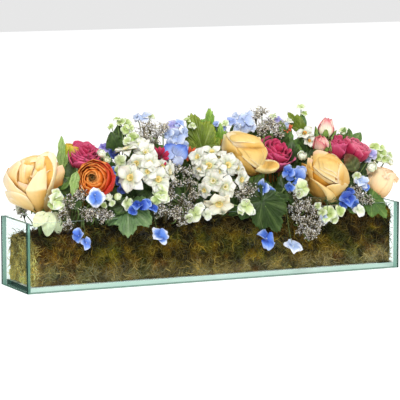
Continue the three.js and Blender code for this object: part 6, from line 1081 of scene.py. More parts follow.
# Smaller leaves, florets and sprays that fill the bunch, in millimetres.
FILL = {
    "foliage_front": {
        "heads": [
            {"t": "leaf", "P": [-230.8, -18.0, 134.9], "T": [-234.3, -13.7, 163.5], "N": [-0.187, -0.975, 0.123], "W": 20.4, "shape": "oval", "col": "dark"},
            {"t": "leaf", "P": [-238.5, -14.0, 143.7], "T": [-227.0, -17.0, 163.7], "N": [-0.689, -0.662, 0.295], "W": 17.5, "shape": "oval", "col": "mid"},
            {"t": "leaf", "P": [-219.6, -14.0, 154.4], "T": [-222.9, -15.3, 186.8], "N": [-0.618, -0.781, -0.094], "W": 21.9, "shape": "oval", "col": "dark"},
            {"t": "leaf", "P": [-207.4, -30.0, 143.8], "T": [-194.6, -23.0, 167.2], "N": [-0.319, -0.846, 0.427], "W": 20.4, "shape": "oval", "col": "dark"},
            {"t": "leaf", "P": [-167.2, -10.0, 157.3], "T": [-160.3, -10.9, 194.8], "N": [-0.286, -0.958, 0.03], "W": 35.2, "shape": "lobed", "col": "dark"},
            {"t": "leaf", "P": [-167.5, -40.0, 134.1], "T": [-198.2, -35.2, 152.7], "N": [0.026, -0.956, 0.291], "W": 35.0, "shape": "lobed", "col": "dark"},
            {"t": "leaf", "P": [-151.0, -24.0, 140.3], "T": [-130.6, -21.5, 169.7], "N": [-0.588, -0.663, 0.463], "W": 32.2, "shape": "lobed", "col": "dark"},
            {"t": "leaf", "P": [-142.8, 2.0, 187.5], "T": [-150.7, -1.2, 223.1], "N": [-0.108, -0.988, -0.113], "W": 26.5, "shape": "oval", "col": "dark"},
            {"t": "leaf", "P": [-170.8, 4.0, 173.8], "T": [-174.6, 6.5, 199.9], "N": [-0.159, -0.985, 0.071], "W": 20.6, "shape": "oval", "col": "mid"},
            {"t": "leaf", "P": [-129.8, -34.0, 131.4], "T": [-106.4, -28.5, 162.9], "N": [-0.241, -0.909, 0.339], "W": 38.1, "shape": "lobed", "col": "dark"},
            {"t": "leaf", "P": [-149.6, -50.0, 122.5], "T": [-179.6, -47.1, 118.7], "N": [-0.153, -0.768, 0.622], "W": 29.2, "shape": "lobed", "col": "dark"},
            {"t": "leaf", "P": [-113.3, -40.0, 128.2], "T": [-84.0, -40.9, 149.6], "N": [-0.417, -0.731, 0.54], "W": 32.3, "shape": "lobed", "col": "dark"},
            {"t": "leaf", "P": [-108.8, 6.0, 182.5], "T": [-109.9, 10.3, 214.8], "N": [-0.487, -0.868, 0.099], "W": 26.7, "shape": "lobed", "col": "mid"},
            {"t": "leaf", "P": [-95.1, -14.0, 154.1], "T": [-86.5, -11.2, 191.5], "N": [-0.516, -0.837, 0.182], "W": 32.5, "shape": "lobed", "col": "dark"},
            {"t": "leaf", "P": [-73.1, 6.0, 177.9], "T": [-80.9, 2.3, 210.9], "N": [-0.377, -0.906, -0.191], "W": 26.8, "shape": "lobed", "col": "mid"},
            {"t": "leaf", "P": [-76.0, -36.0, 122.8], "T": [-62.6, -35.9, 155.6], "N": [-0.499, -0.842, 0.206], "W": 32.4, "shape": "lobed", "col": "dark"},
            {"t": "leaf", "P": [-57.6, -10.0, 154.8], "T": [-53.8, -16.8, 190.6], "N": [-0.274, -0.95, -0.152], "W": 32.7, "shape": "lobed", "col": "dark"},
            {"t": "leaf", "P": [-33.8, 6.0, 170.0], "T": [-19.1, 10.8, 200.0], "N": [-0.533, -0.755, 0.383], "W": 26.9, "shape": "lobed", "col": "olive"},
            {"t": "leaf", "P": [-33.7, -22.0, 134.0], "T": [-30.6, -23.4, 172.7], "N": [-0.237, -0.971, -0.017], "W": 32.7, "shape": "lobed", "col": "dark"},
            {"t": "leaf", "P": [-16.8, -14.0, 147.2], "T": [-26.5, -17.6, 189.4], "N": [-0.128, -0.985, -0.115], "W": 35.8, "shape": "lobed", "col": "dark"},
            {"t": "leaf", "P": [-8.8, 10.0, 174.5], "T": [-21.2, 12.6, 208.8], "N": [-0.265, -0.964, -0.023], "W": 33.0, "shape": "lobed", "col": "olive"},
            {"t": "leaf", "P": [-17.8, -44.0, 111.7], "T": [-10.6, -42.0, 143.4], "N": [-0.652, -0.733, 0.193], "W": 29.6, "shape": "lobed", "col": "dark"},
            {"t": "leaf", "P": [12.5, 6.0, 173.9], "T": [28.2, 7.9, 209.9], "N": [-0.569, -0.77, 0.288], "W": 33.0, "shape": "lobed", "col": "olive"},
            {"t": "leaf", "P": [36.3, 14.0, 193.2], "T": [31.0, 9.7, 227.0], "N": [-0.407, -0.896, -0.178], "W": 24.1, "shape": "lobed", "col": "green"},
            {"t": "leaf", "P": [3.9, -26.0, 138.5], "T": [23.0, -27.7, 168.9], "N": [-0.48, -0.84, 0.254], "W": 35.8, "shape": "lobed", "col": "dark"},
            {"t": "leaf", "P": [17.5, -46.0, 110.0], "T": [14.1, -39.8, 142.0], "N": [-0.094, -0.979, 0.179], "W": 32.7, "shape": "lobed", "col": "dark"},
            {"t": "leaf", "P": [40.3, -40.0, 123.1], "T": [62.3, -35.7, 152.8], "N": [-0.543, -0.674, 0.501], "W": 32.8, "shape": "lobed", "col": "dark"},
            {"t": "leaf", "P": [61.2, -38.0, 130.8], "T": [82.0, -33.1, 158.0], "N": [-0.447, -0.757, 0.477], "W": 32.9, "shape": "lobed", "col": "dark"},
            {"t": "leaf", "P": [54.0, -46.0, 108.0], "T": [19.6, -46.3, 98.6], "N": [-0.12, -0.875, 0.469], "W": 32.9, "shape": "lobed", "col": "dark"},
            {"t": "leaf", "P": [62.7, 20.0, 200.6], "T": [67.9, 18.6, 230.5], "N": [-0.712, -0.697, 0.09], "W": 24.2, "shape": "oval", "col": "mid"},
            {"t": "leaf", "P": [89.8, 20.0, 196.4], "T": [84.7, 21.8, 226.5], "N": [-0.064, -0.997, 0.05], "W": 21.3, "shape": "oval", "col": "dark"},
            {"t": "leaf", "P": [105.8, 18.0, 189.8], "T": [117.2, 15.6, 221.1], "N": [-0.314, -0.948, 0.042], "W": 27.4, "shape": "lobed", "col": "mid"},
            {"t": "leaf", "P": [130.0, 12.0, 183.2], "T": [137.4, 6.0, 218.8], "N": [-0.415, -0.907, -0.066], "W": 30.5, "shape": "lobed", "col": "dark"},
            {"t": "leaf", "P": [143.7, 12.0, 188.7], "T": [133.8, 7.0, 225.7], "N": [-0.264, -0.944, -0.199], "W": 30.5, "shape": "lobed", "col": "mid"},
            {"t": "leaf", "P": [142.5, -4.0, 162.7], "T": [146.1, -4.1, 202.1], "N": [-0.429, -0.902, 0.037], "W": 30.4, "shape": "lobed", "col": "dark"},
            {"t": "leaf", "P": [159.9, 10.0, 182.0], "T": [179.6, 15.1, 207.3], "N": [-0.462, -0.728, 0.507], "W": 27.5, "shape": "lobed", "col": "mid"},
            {"t": "leaf", "P": [117.0, -34.0, 130.5], "T": [126.4, -40.2, 162.1], "N": [-0.749, -0.656, 0.094], "W": 33.2, "shape": "lobed", "col": "dark"},
            {"t": "leaf", "P": [136.7, -42.0, 112.2], "T": [121.5, -44.2, 147.4], "N": [0.138, -0.99, -0.003], "W": 33.2, "shape": "lobed", "col": "dark"},
            {"t": "leaf", "P": [176.4, 2.0, 172.8], "T": [168.9, 1.7, 209.4], "N": [-0.318, -0.945, -0.072], "W": 27.5, "shape": "lobed", "col": "dark"},
            {"t": "leaf", "P": [161.6, -20.0, 142.0], "T": [164.0, -15.0, 181.1], "N": [-0.501, -0.854, 0.14], "W": 30.4, "shape": "lobed", "col": "dark"},
            {"t": "leaf", "P": [194.3, 10.0, 186.6], "T": [209.8, 10.0, 210.0], "N": [-0.466, -0.829, 0.309], "W": 21.5, "shape": "oval", "col": "mid"},
            {"t": "leaf", "P": [237.2, 12.0, 181.4], "T": [239.3, 5.1, 212.5], "N": [-0.726, -0.68, -0.103], "W": 24.7, "shape": "lobed", "col": "mid"},
            {"t": "leaf", "P": [257.1, 10.0, 183.9], "T": [268.8, 6.0, 205.2], "N": [-0.643, -0.735, 0.214], "W": 18.5, "shape": "oval", "col": "mid"},
            {"t": "leaf", "P": [233.9, -14.0, 140.9], "T": [238.7, -18.0, 177.5], "N": [-0.488, -0.872, -0.03], "W": 30.7, "shape": "lobed", "col": "dark"},
            {"t": "leaf", "P": [233.7, -34.0, 118.4], "T": [251.4, -36.1, 147.0], "N": [-0.574, -0.762, 0.299], "W": 30.5, "shape": "lobed", "col": "dark"},
            {"t": "leaf", "P": [261.9, -14.0, 136.4], "T": [269.7, -11.5, 169.3], "N": [-0.368, -0.916, 0.157], "W": 27.7, "shape": "lobed", "col": "dark"},
            {"t": "leaf", "P": [280.0, 0.0, 152.7], "T": [294.7, -1.7, 176.4], "N": [-0.461, -0.859, 0.223], "W": 21.6, "shape": "oval", "col": "mid"},
            {"t": "leaf", "P": [207.6, -44.0, 102.5], "T": [242.5, -39.5, 110.6], "N": [-0.085, -0.668, 0.739], "W": 27.4, "shape": "lobed", "col": "dark"},
            {"t": "leaf", "P": [234.2, -46.0, 101.3], "T": [271.9, -45.9, 105.1], "N": [-0.055, -0.831, 0.554], "W": 30.5, "shape": "lobed", "col": "mid"},
            {"t": "leaf", "P": [274.3, -30.0, 112.8], "T": [288.4, -32.6, 136.4], "N": [-0.517, -0.828, 0.218], "W": 24.6, "shape": "lobed", "col": "dark"},
            {"t": "leaf", "P": [-202.5, -48.0, 122.2], "T": [-196.4, -54.4, 144.5], "N": [-0.625, -0.779, -0.055], "W": 20.3, "shape": "oval", "col": "dark"},
            {"t": "leaf", "P": [-225.3, -50.0, 117.8], "T": [-230.7, -45.3, 136.8], "N": [-0.496, -0.866, 0.071], "W": 17.3, "shape": "oval", "col": "dark"},
            {"t": "leaf", "P": [83.1, -48.0, 106.7], "T": [61.4, -48.1, 130.9], "N": [0.147, -0.981, 0.126], "W": 30.0, "shape": "lobed", "col": "dark"},
        ],
        "stalks": [
            (1.0, None, [(-227.3, -8.1, 86.0), (-227.5, -9.4, 96.0), (-227.9, -12.3, 105.7), (-228.7, -15.6, 115.2), (-229.6, -18.0, 124.9), (-230.8, -18.0, 134.9)]),
            (1.0, None, [(-234.9, -6.3, 86.0), (-236.2, -6.9, 98.3), (-238.7, -8.3, 110.6), (-241.1, -10.3, 122.5), (-241.5, -12.3, 133.7), (-238.5, -14.0, 143.7)]),
            (1.0, None, [(-216.3, -6.3, 86.0), (-216.5, -7.0, 100.6), (-216.9, -8.8, 115.3), (-217.6, -11.0, 129.5), (-218.5, -12.9, 142.8), (-219.6, -14.0, 154.4)]),
            (1.0, None, [(-204.3, -13.5, 86.0), (-205.4, -15.7, 98.3), (-207.8, -20.6, 110.7), (-209.9, -26.2, 122.7), (-210.3, -30.0, 133.9), (-207.4, -30.0, 143.8)]),
            (1.0, None, [(-164.7, -4.5, 86.0), (-165.3, -5.0, 101.3), (-166.6, -6.3, 116.8), (-167.8, -7.9, 131.7), (-168.2, -9.3, 145.5), (-167.2, -10.0, 157.3)]),
            (1.0, None, [(-164.9, -18.0, 86.0), (-163.7, -20.5, 96.6), (-161.4, -26.4, 107.5), (-160.0, -33.3, 118.0), (-161.3, -38.6, 127.1), (-167.5, -40.0, 134.1)]),
            (1.0, None, [(-148.7, -10.8, 86.0), (-150.0, -12.3, 97.5), (-152.5, -15.8, 109.0), (-154.6, -19.9, 120.2), (-154.7, -23.1, 130.8), (-151.0, -24.0, 140.3)]),
            (1.0, None, [(-140.6, 0.9, 86.0), (-140.5, 1.2, 108.5), (-140.3, 1.7, 132.0), (-140.4, 2.3, 154.4), (-141.1, 2.5, 173.6), (-142.8, 2.0, 187.5)]),
            (1.0, None, [(-168.2, 1.8, 86.0), (-168.2, 1.9, 105.2), (-168.4, 2.1, 125.1), (-168.8, 2.5, 144.0), (-169.5, 3.1, 160.8), (-170.8, 4.0, 173.8)]),
            (1.0, None, [(-127.9, -15.3, 86.0), (-129.1, -17.5, 95.5), (-131.5, -22.6, 104.9), (-133.5, -28.5, 114.1), (-133.5, -33.0, 123.0), (-129.8, -34.0, 131.4)]),
            (1.0, None, [(-147.4, -22.5, 86.0), (-146.1, -25.5, 94.9), (-143.6, -32.6, 104.9), (-142.0, -41.0, 114.2), (-143.3, -47.7, 120.7), (-149.6, -50.0, 122.5)]),
            (1.0, None, [(-111.6, -18.0, 86.0), (-113.0, -20.2, 95.1), (-116.0, -25.6, 104.4), (-118.5, -32.1, 113.4), (-118.2, -37.6, 121.5), (-113.3, -40.0, 128.2)]),
            (1.0, None, [(-107.2, 2.7, 86.0), (-107.3, 2.8, 107.3), (-107.6, 3.2, 129.4), (-108.0, 3.8, 150.6), (-108.4, 4.7, 168.9), (-108.8, 6.0, 182.5)]),
            (1.0, None, [(-93.7, -6.3, 86.0), (-94.3, -7.2, 100.6), (-95.4, -9.4, 115.2), (-96.4, -11.9, 129.5), (-96.5, -13.7, 142.6), (-95.1, -14.0, 154.1)]),
            (1.0, None, [(-72.0, 2.7, 86.0), (-71.7, 3.2, 106.2), (-71.2, 4.4, 127.2), (-71.0, 5.7, 147.3), (-71.4, 6.4, 164.7), (-73.1, 6.0, 177.9)]),
            (1.0, None, [(-74.8, -16.2, 86.0), (-75.5, -18.3, 93.5), (-76.8, -23.2, 100.6), (-78.0, -29.0, 107.7), (-78.0, -34.0, 115.0), (-76.0, -36.0, 122.8)]),
            (1.0, None, [(-56.7, -4.5, 86.0), (-57.0, -4.8, 100.7), (-57.5, -5.5, 115.6), (-58.1, -6.6, 129.9), (-58.2, -8.1, 143.2), (-57.6, -10.0, 154.8)]),
            (1.0, None, [(-33.3, 2.7, 86.0), (-34.1, 2.8, 104.5), (-35.7, 3.1, 123.7), (-37.0, 3.7, 142.0), (-36.8, 4.7, 158.0), (-33.8, 6.0, 170.0)]),
            (1.0, None, [(-33.2, -9.9, 86.0), (-33.4, -11.1, 95.8), (-33.7, -14.0, 105.2), (-34.1, -17.5, 114.5), (-34.1, -20.5, 124.0), (-33.7, -22.0, 134.0)]),
            (1.0, None, [(-16.5, -6.3, 86.0), (-16.2, -7.0, 98.9), (-15.5, -8.6, 111.8), (-15.0, -10.6, 124.3), (-15.2, -12.6, 136.2), (-16.8, -14.0, 147.2)]),
            (1.0, None, [(-8.7, 4.5, 86.0), (-8.1, 4.9, 105.5), (-7.0, 6.1, 125.7), (-6.1, 7.5, 145.0), (-6.5, 8.9, 161.8), (-8.8, 10.0, 174.5)]),
            (1.0, None, [(-17.5, -19.8, 86.0), (-17.8, -22.4, 91.0), (-18.4, -28.5, 95.5), (-18.9, -35.8, 100.0), (-18.8, -41.8, 105.3), (-17.8, -44.0, 111.7)]),
            (1.0, None, [(12.3, 2.7, 86.0), (11.7, 3.0, 105.4), (10.3, 3.6, 125.5), (9.4, 4.5, 144.7), (9.7, 5.3, 161.4), (12.5, 6.0, 173.9)]),
            (1.0, None, [(35.8, 6.3, 86.0), (36.1, 7.3, 109.9), (36.8, 9.7, 134.9), (37.3, 12.3, 158.7), (37.3, 14.1, 178.9), (36.3, 14.0, 193.2)]),
            (1.0, None, [(3.9, -11.7, 86.0), (3.0, -13.1, 97.0), (1.2, -16.5, 108.0), (-0.2, -20.6, 118.7), (0.3, -24.2, 128.9), (3.9, -26.0, 138.5)]),
            (1.0, None, [(17.2, -20.7, 86.0), (17.4, -23.6, 90.6), (17.7, -30.3, 94.6), (17.9, -38.1, 98.8), (17.9, -44.3, 103.7), (17.5, -46.0, 110.0)]),
            (1.0, None, [(39.7, -18.0, 86.0), (38.9, -20.5, 93.7), (37.3, -26.2, 101.2), (36.2, -33.0, 108.6), (36.8, -38.4, 115.9), (40.3, -40.0, 123.1)]),
            (1.0, None, [(60.3, -17.1, 86.0), (59.4, -19.5, 95.4), (57.6, -25.2, 104.6), (56.4, -31.7, 113.7), (57.1, -36.8, 122.4), (61.2, -38.0, 130.8)]),
            (1.0, None, [(53.2, -20.7, 86.0), (54.4, -23.3, 91.5), (56.7, -29.6, 98.0), (58.6, -37.1, 103.8), (58.3, -43.3, 107.6), (54.0, -46.0, 108.0)]),
            (1.0, None, [(61.8, 9.0, 86.0), (61.6, 10.2, 111.6), (61.3, 13.1, 138.6), (61.1, 16.5, 164.2), (61.5, 19.2, 185.8), (62.7, 20.0, 200.6)]),
            (1.0, None, [(88.4, 9.0, 86.0), (88.9, 10.0, 110.6), (89.8, 12.6, 136.5), (90.6, 15.7, 161.0), (90.8, 18.4, 181.8), (89.8, 20.0, 196.4)]),
            (1.0, None, [(104.2, 8.1, 86.0), (103.8, 9.3, 109.1), (103.0, 12.0, 133.4), (102.5, 15.1, 156.4), (103.2, 17.5, 176.0), (105.8, 18.0, 189.8)]),
            (1.0, None, [(128.1, 5.4, 86.0), (127.9, 6.4, 107.5), (127.7, 8.6, 129.9), (127.8, 10.9, 151.2), (128.5, 12.4, 169.6), (130.0, 12.0, 183.2)]),
            (1.0, None, [(141.5, 5.4, 86.0), (142.2, 6.3, 108.8), (143.6, 8.4, 132.7), (144.9, 10.7, 155.4), (145.2, 12.2, 174.8), (143.7, 12.0, 188.7)]),
            (1.0, None, [(140.3, -1.8, 86.0), (140.4, -2.0, 102.6), (140.6, -2.6, 119.4), (141.0, -3.2, 135.7), (141.6, -3.8, 150.4), (142.5, -4.0, 162.7)]),
            (1.0, None, [(157.5, 4.5, 86.0), (156.7, 4.8, 107.5), (155.2, 5.6, 130.3), (154.3, 6.8, 151.8), (155.4, 8.3, 169.9), (159.9, 10.0, 182.0)]),
            (1.0, None, [(115.3, -15.3, 86.0), (115.0, -16.9, 95.1), (114.5, -21.0, 103.8), (114.4, -26.1, 112.5), (115.0, -30.9, 121.3), (117.0, -34.0, 130.5)]),
            (1.0, None, [(134.7, -18.9, 86.0), (135.4, -21.2, 91.2), (136.8, -26.8, 95.9), (138.1, -33.6, 100.8), (138.4, -39.3, 106.0), (136.7, -42.0, 112.2)]),
            (1.0, None, [(173.7, 0.9, 86.0), (174.4, 1.0, 105.0), (175.7, 1.3, 124.6), (177.0, 1.7, 143.4), (177.5, 1.9, 159.9), (176.4, 2.0, 172.8)]),
            (1.0, None, [(159.2, -9.0, 86.0), (159.4, -10.4, 97.6), (159.8, -13.5, 109.1), (160.3, -17.1, 120.3), (161.0, -19.7, 131.2), (161.6, -20.0, 142.0)]),
            (1.0, None, [(191.4, 4.5, 86.0), (190.8, 5.1, 108.5), (189.6, 6.4, 132.3), (189.0, 8.1, 154.9), (190.2, 9.4, 173.8), (194.3, 10.0, 186.6)]),
            (1.0, None, [(233.6, 5.4, 86.0), (233.9, 6.5, 107.1), (234.5, 8.9, 129.0), (235.4, 11.4, 149.9), (236.4, 12.8, 168.0), (237.2, 12.0, 181.4)]),
            (1.0, None, [(253.2, 4.5, 86.0), (252.8, 5.4, 107.8), (252.1, 7.3, 130.8), (252.1, 9.3, 152.5), (253.4, 10.6, 171.0), (257.1, 10.0, 183.9)]),
            (1.0, None, [(230.4, -6.3, 86.0), (230.5, -6.9, 97.4), (231.0, -8.5, 108.5), (231.7, -10.5, 119.4), (232.7, -12.5, 130.2), (233.9, -14.0, 140.9)]),
            (1.0, None, [(230.2, -15.3, 86.0), (229.9, -17.2, 92.7), (229.4, -21.6, 99.1), (229.4, -27.1, 105.4), (230.6, -31.7, 111.8), (233.7, -34.0, 118.4)]),
            (1.0, None, [(258.0, -6.3, 86.0), (258.0, -7.2, 96.4), (258.2, -9.4, 106.4), (258.7, -11.9, 116.2), (259.9, -13.7, 126.2), (261.9, -14.0, 136.4)]),
            (1.0, None, [(275.8, 0.0, 86.0), (275.3, 0.1, 100.4), (274.6, 0.3, 115.2), (274.5, 0.5, 129.4), (276.0, 0.4, 142.2), (280.0, 0.0, 152.7)]),
            (1.0, None, [(204.5, -19.8, 86.0), (203.9, -22.4, 89.7), (202.7, -28.7, 93.6), (202.2, -36.0, 97.3), (203.5, -42.0, 100.4), (207.6, -44.0, 102.5)]),
            (1.0, None, [(230.7, -20.7, 86.0), (230.0, -23.3, 89.5), (228.9, -29.6, 93.4), (228.5, -37.1, 97.0), (229.8, -43.4, 99.8), (234.2, -46.0, 101.3)]),
            (1.0, None, [(270.2, -13.5, 86.0), (270.1, -15.1, 91.5), (270.0, -19.0, 96.7), (270.4, -23.7, 101.9), (271.7, -27.9, 107.2), (274.3, -30.0, 112.8)]),
            (1.0, None, [(-199.4, -21.6, 86.0), (-200.1, -23.9, 93.2), (-201.6, -29.7, 100.0), (-203.1, -36.9, 106.8), (-203.7, -43.6, 114.0), (-202.5, -48.0, 122.2)]),
            (1.0, None, [(-221.9, -22.5, 86.0), (-221.8, -25.7, 92.3), (-221.9, -33.2, 98.0), (-222.4, -41.8, 103.9), (-223.4, -48.4, 110.3), (-225.3, -50.0, 117.8)]),
            (1.0, None, [(81.8, -21.6, 86.0), (82.7, -24.3, 90.1), (84.5, -30.9, 93.9), (86.0, -38.7, 97.7), (85.9, -45.2, 101.8), (83.1, -48.0, 106.7)]),
        ],
    },
    "narcissus_extra": {
        "heads": [
            {"t": "narc", "P": [-109.5, -14.0, 202.3], "D": [-0.19, -0.404, 0.895], "R": 14.0, "col": "w"},
            {"t": "narc", "P": [-113.4, -46.0, 167.3], "D": [-0.308, -0.895, 0.324], "R": 13.9, "col": "w"},
            {"t": "narc", "P": [-84.7, -34.0, 172.0], "D": [0.132, -0.906, 0.401], "R": 12.4, "col": "w"},
            {"t": "narc", "P": [-22.9, -34.0, 164.6], "D": [-0.823, -0.558, 0.107], "R": 13.3, "col": "w"},
            {"t": "narc", "P": [13.1, -24.0, 179.8], "D": [-0.106, -0.704, 0.702], "R": 14.2, "col": "w"},
            {"t": "narc", "P": [35.5, -36.0, 165.0], "D": [0.271, -0.877, 0.397], "R": 14.2, "col": "w"},
            {"t": "narc", "P": [-21.3, -48.0, 136.2], "D": [-0.814, -0.545, -0.2], "R": 12.4, "col": "w"},
            {"t": "narc", "P": [1.9, -44.0, 161.4], "D": [-0.415, -0.882, 0.223], "R": 13.3, "col": "w"},
        ],
        "stalks": [
            (0.9, None, [(-107.9, -6.3, 86.0), (-107.7, -6.4, 112.2), (-107.5, -6.9, 139.9), (-107.5, -8.1, 166.1), (-108.0, -10.4, 187.9), (-109.5, -14.0, 202.3)]),
            (0.9, None, [(-111.7, -20.7, 86.0), (-111.4, -21.8, 104.8), (-110.7, -25.0, 125.2), (-110.4, -30.1, 144.3), (-111.1, -37.2, 159.3), (-113.4, -46.0, 167.3)]),
            (0.9, None, [(-83.4, -15.3, 86.0), (-83.8, -15.7, 105.8), (-84.6, -17.2, 127.2), (-85.3, -20.4, 147.3), (-85.5, -25.8, 163.2), (-84.7, -34.0, 172.0)]),
            (0.9, None, [(-22.5, -15.3, 86.0), (-21.2, -16.3, 104.6), (-18.4, -19.0, 125.0), (-16.4, -23.1, 144.0), (-17.2, -28.2, 158.3), (-22.9, -34.0, 164.6)]),
            (0.9, None, [(12.9, -10.8, 86.0), (13.1, -11.0, 107.2), (13.5, -11.8, 129.6), (13.9, -13.9, 150.8), (13.8, -17.8, 168.4), (13.1, -24.0, 179.8)]),
            (0.9, None, [(35.0, -16.2, 86.0), (34.5, -16.7, 104.1), (33.7, -18.6, 123.7), (33.2, -22.2, 142.1), (33.6, -27.9, 156.7), (35.5, -36.0, 165.0)]),
            (0.9, None, [(-21.0, -21.6, 86.0), (-19.6, -23.4, 98.3), (-16.9, -28.1, 112.3), (-14.9, -34.5, 125.1), (-15.6, -41.5, 134.0), (-21.3, -48.0, 136.2)]),
            (0.9, None, [(1.9, -19.8, 86.0), (2.6, -20.8, 103.6), (4.0, -23.7, 122.8), (5.1, -28.6, 140.8), (4.8, -35.4, 154.6), (1.9, -44.0, 161.4)]),
        ],
    },
    "florets_green": {
        "heads": [
            {"t": "floret", "P": [-123.0, 10.0, 234.8], "D": [-0.106, -0.704, 0.702], "R": 8.1, "col": "g"},
            {"t": "floret", "P": [-118.4, 6.0, 227.5], "D": [0.159, -0.853, 0.497], "R": 8.1, "col": "gw"},
            {"t": "floret", "P": [-113.7, 2.0, 214.4], "D": [-0.093, -0.907, 0.412], "R": 8.9, "col": "g"},
            {"t": "floret", "P": [-108.3, -4.0, 208.7], "D": [-0.135, -0.775, 0.618], "R": 8.1, "col": "g"},
            {"t": "floret", "P": [-136.6, 12.0, 241.1], "D": [-0.363, -0.284, 0.888], "R": 6.6, "col": "g"},
            {"t": "floret", "P": [-128.5, -6.0, 209.8], "D": [-0.364, -0.775, 0.517], "R": 7.4, "col": "gw"},
            {"t": "floret", "P": [-81.5, 16.0, 243.1], "D": [0.057, -0.606, 0.793], "R": 8.2, "col": "gw"},
            {"t": "floret", "P": [-12.8, 12.0, 225.7], "D": [-0.106, -0.704, 0.702], "R": 7.5, "col": "gw"},
            {"t": "floret", "P": [-21.8, 14.0, 234.9], "D": [-0.179, -0.38, 0.907], "R": 6.7, "col": "g"},
            {"t": "floret", "P": [41.3, 14.0, 226.3], "D": [-0.475, -0.531, 0.702], "R": 7.5, "col": "gw"},
            {"t": "floret", "P": [125.3, 20.0, 234.6], "D": [-0.3, -0.404, 0.864], "R": 7.6, "col": "gw"},
            {"t": "floret", "P": [151.7, 18.0, 226.1], "D": [0.145, -0.627, 0.765], "R": 7.6, "col": "w"},
            {"t": "floret", "P": [173.3, 20.0, 246.6], "D": [-0.211, -0.449, 0.868], "R": 7.7, "col": "gw"},
            {"t": "floret", "P": [179.2, 18.0, 237.3], "D": [-0.013, -0.729, 0.684], "R": 6.1, "col": "g"},
            {"t": "floret", "P": [132.8, -56.0, 124.6], "D": [-0.424, -0.902, -0.077], "R": 9.0, "col": "gw"},
            {"t": "floret", "P": [299.8, -2.0, 180.0], "D": [-0.077, -0.629, 0.774], "R": 8.5, "col": "g"},
            {"t": "floret", "P": [309.0, -8.0, 161.5], "D": [0.132, -0.906, 0.401], "R": 7.7, "col": "gw"},
            {"t": "floret", "P": [292.0, -10.0, 165.6], "D": [-0.387, -0.822, 0.417], "R": 7.7, "col": "g"},
            {"t": "floret", "P": [315.4, -6.0, 168.8], "D": [0.267, -0.835, 0.482], "R": 6.2, "col": "gw"},
            {"t": "floret", "P": [241.0, -36.0, 142.8], "D": [-0.618, -0.599, 0.51], "R": 8.4, "col": "gw"},
            {"t": "floret", "P": [187.8, -62.0, 82.8], "D": [-0.219, -0.934, -0.284], "R": 8.3, "col": "gw"},
            {"t": "floret", "P": [168.2, -60.0, 94.3], "D": [-0.813, -0.544, 0.207], "R": 8.3, "col": "gw"},
            {"t": "floret", "P": [163.5, -56.0, 103.2], "D": [-0.693, -0.513, 0.507], "R": 6.8, "col": "gw"},
            {"t": "floret", "P": [-200.5, -66.0, 144.5], "D": [0.132, -0.906, 0.401], "R": 7.2, "col": "w"},
            {"t": "floret", "P": [-54.2, -66.0, 98.4], "D": [-0.747, -0.635, -0.195], "R": 8.8, "col": "gw"},
            {"t": "floret", "P": [-36.1, -62.0, 113.3], "D": [-0.135, -0.775, 0.618], "R": 8.8, "col": "w"},
            {"t": "floret", "P": [31.2, -62.0, 103.6], "D": [-0.747, -0.635, -0.195], "R": 7.4, "col": "gw"},
            {"t": "floret", "P": [49.4, -62.0, 101.1], "D": [-0.013, -0.981, -0.195], "R": 6.7, "col": "w"},
            {"t": "floret", "P": [-256.9, -44.0, 143.6], "D": [-0.271, -0.814, 0.514], "R": 7.9, "col": "gw"},
            {"t": "floret", "P": [-264.0, -46.0, 126.8], "D": [-0.755, -0.656, 0.013], "R": 7.9, "col": "g"},
            {"t": "floret", "P": [-250.1, -46.0, 123.1], "D": [-0.029, -0.996, -0.086], "R": 7.2, "col": "gw"},
            {"t": "floret", "P": [-178.0, -50.0, 144.5], "D": [-0.364, -0.775, 0.517], "R": 5.8, "col": "g"},
            {"t": "floret", "P": [-175.2, -58.0, 126.2], "D": [-0.125, -0.974, -0.187], "R": 6.5, "col": "gw"},
            {"t": "floret", "P": [-188.7, -60.0, 124.3], "D": [-0.595, -0.78, -0.192], "R": 5.8, "col": "g"},
            {"t": "floret", "P": [-167.3, -14.0, 175.4], "D": [-0.189, -0.886, 0.422], "R": 6.6, "col": "g"},
            {"t": "floret", "P": [-104.6, -60.0, 128.6], "D": [-0.671, -0.718, -0.187], "R": 9.5, "col": "g"},
            {"t": "floret", "P": [-91.7, -60.0, 129.4], "D": [-0.029, -0.996, -0.086], "R": 8.8, "col": "gw"},
            {"t": "floret", "P": [-266.6, 69.7, 107.2], "D": [0.062, 0.939, 0.338], "R": 10.6, "col": "w"},
            {"t": "floret", "P": [-248.1, 60.4, 117.7], "D": [0.092, 0.741, 0.666], "R": 10.8, "col": "gw"},
            {"t": "floret", "P": [-224.5, 59.6, 122.4], "D": [-0.021, 0.69, 0.723], "R": 12.6, "col": "w"},
            {"t": "floret", "P": [-140.6, 63.2, 123.7], "D": [-0.147, 0.834, 0.532], "R": 10.6, "col": "gw"},
            {"t": "floret", "P": [-135.9, 52.6, 149.2], "D": [-0.174, 0.546, 0.819], "R": 11.4, "col": "w"},
            {"t": "floret", "P": [-112.7, 65.6, 127.5], "D": [-0.084, 0.839, 0.538], "R": 11.8, "col": "g"},
            {"t": "floret", "P": [-106.9, 65.4, 122.8], "D": [-0.247, 0.857, 0.453], "R": 10.3, "col": "w"},
            {"t": "floret", "P": [-81.2, 47.6, 174.3], "D": [-0.184, 0.463, 0.867], "R": 10.2, "col": "w"},
            {"t": "floret", "P": [-38.9, 70.8, 114.6], "D": [0.259, 0.914, 0.312], "R": 12.8, "col": "w"},
            {"t": "floret", "P": [12.8, 61.5, 155.5], "D": [-0.22, 0.72, 0.658], "R": 12.7, "col": "w"},
            {"t": "floret", "P": [19.2, 58.3, 157.6], "D": [-0.041, 0.723, 0.69], "R": 12.9, "col": "g"},
            {"t": "floret", "P": [37.9, 45.2, 203.4], "D": [0.202, 0.388, 0.899], "R": 11.5, "col": "gw"},
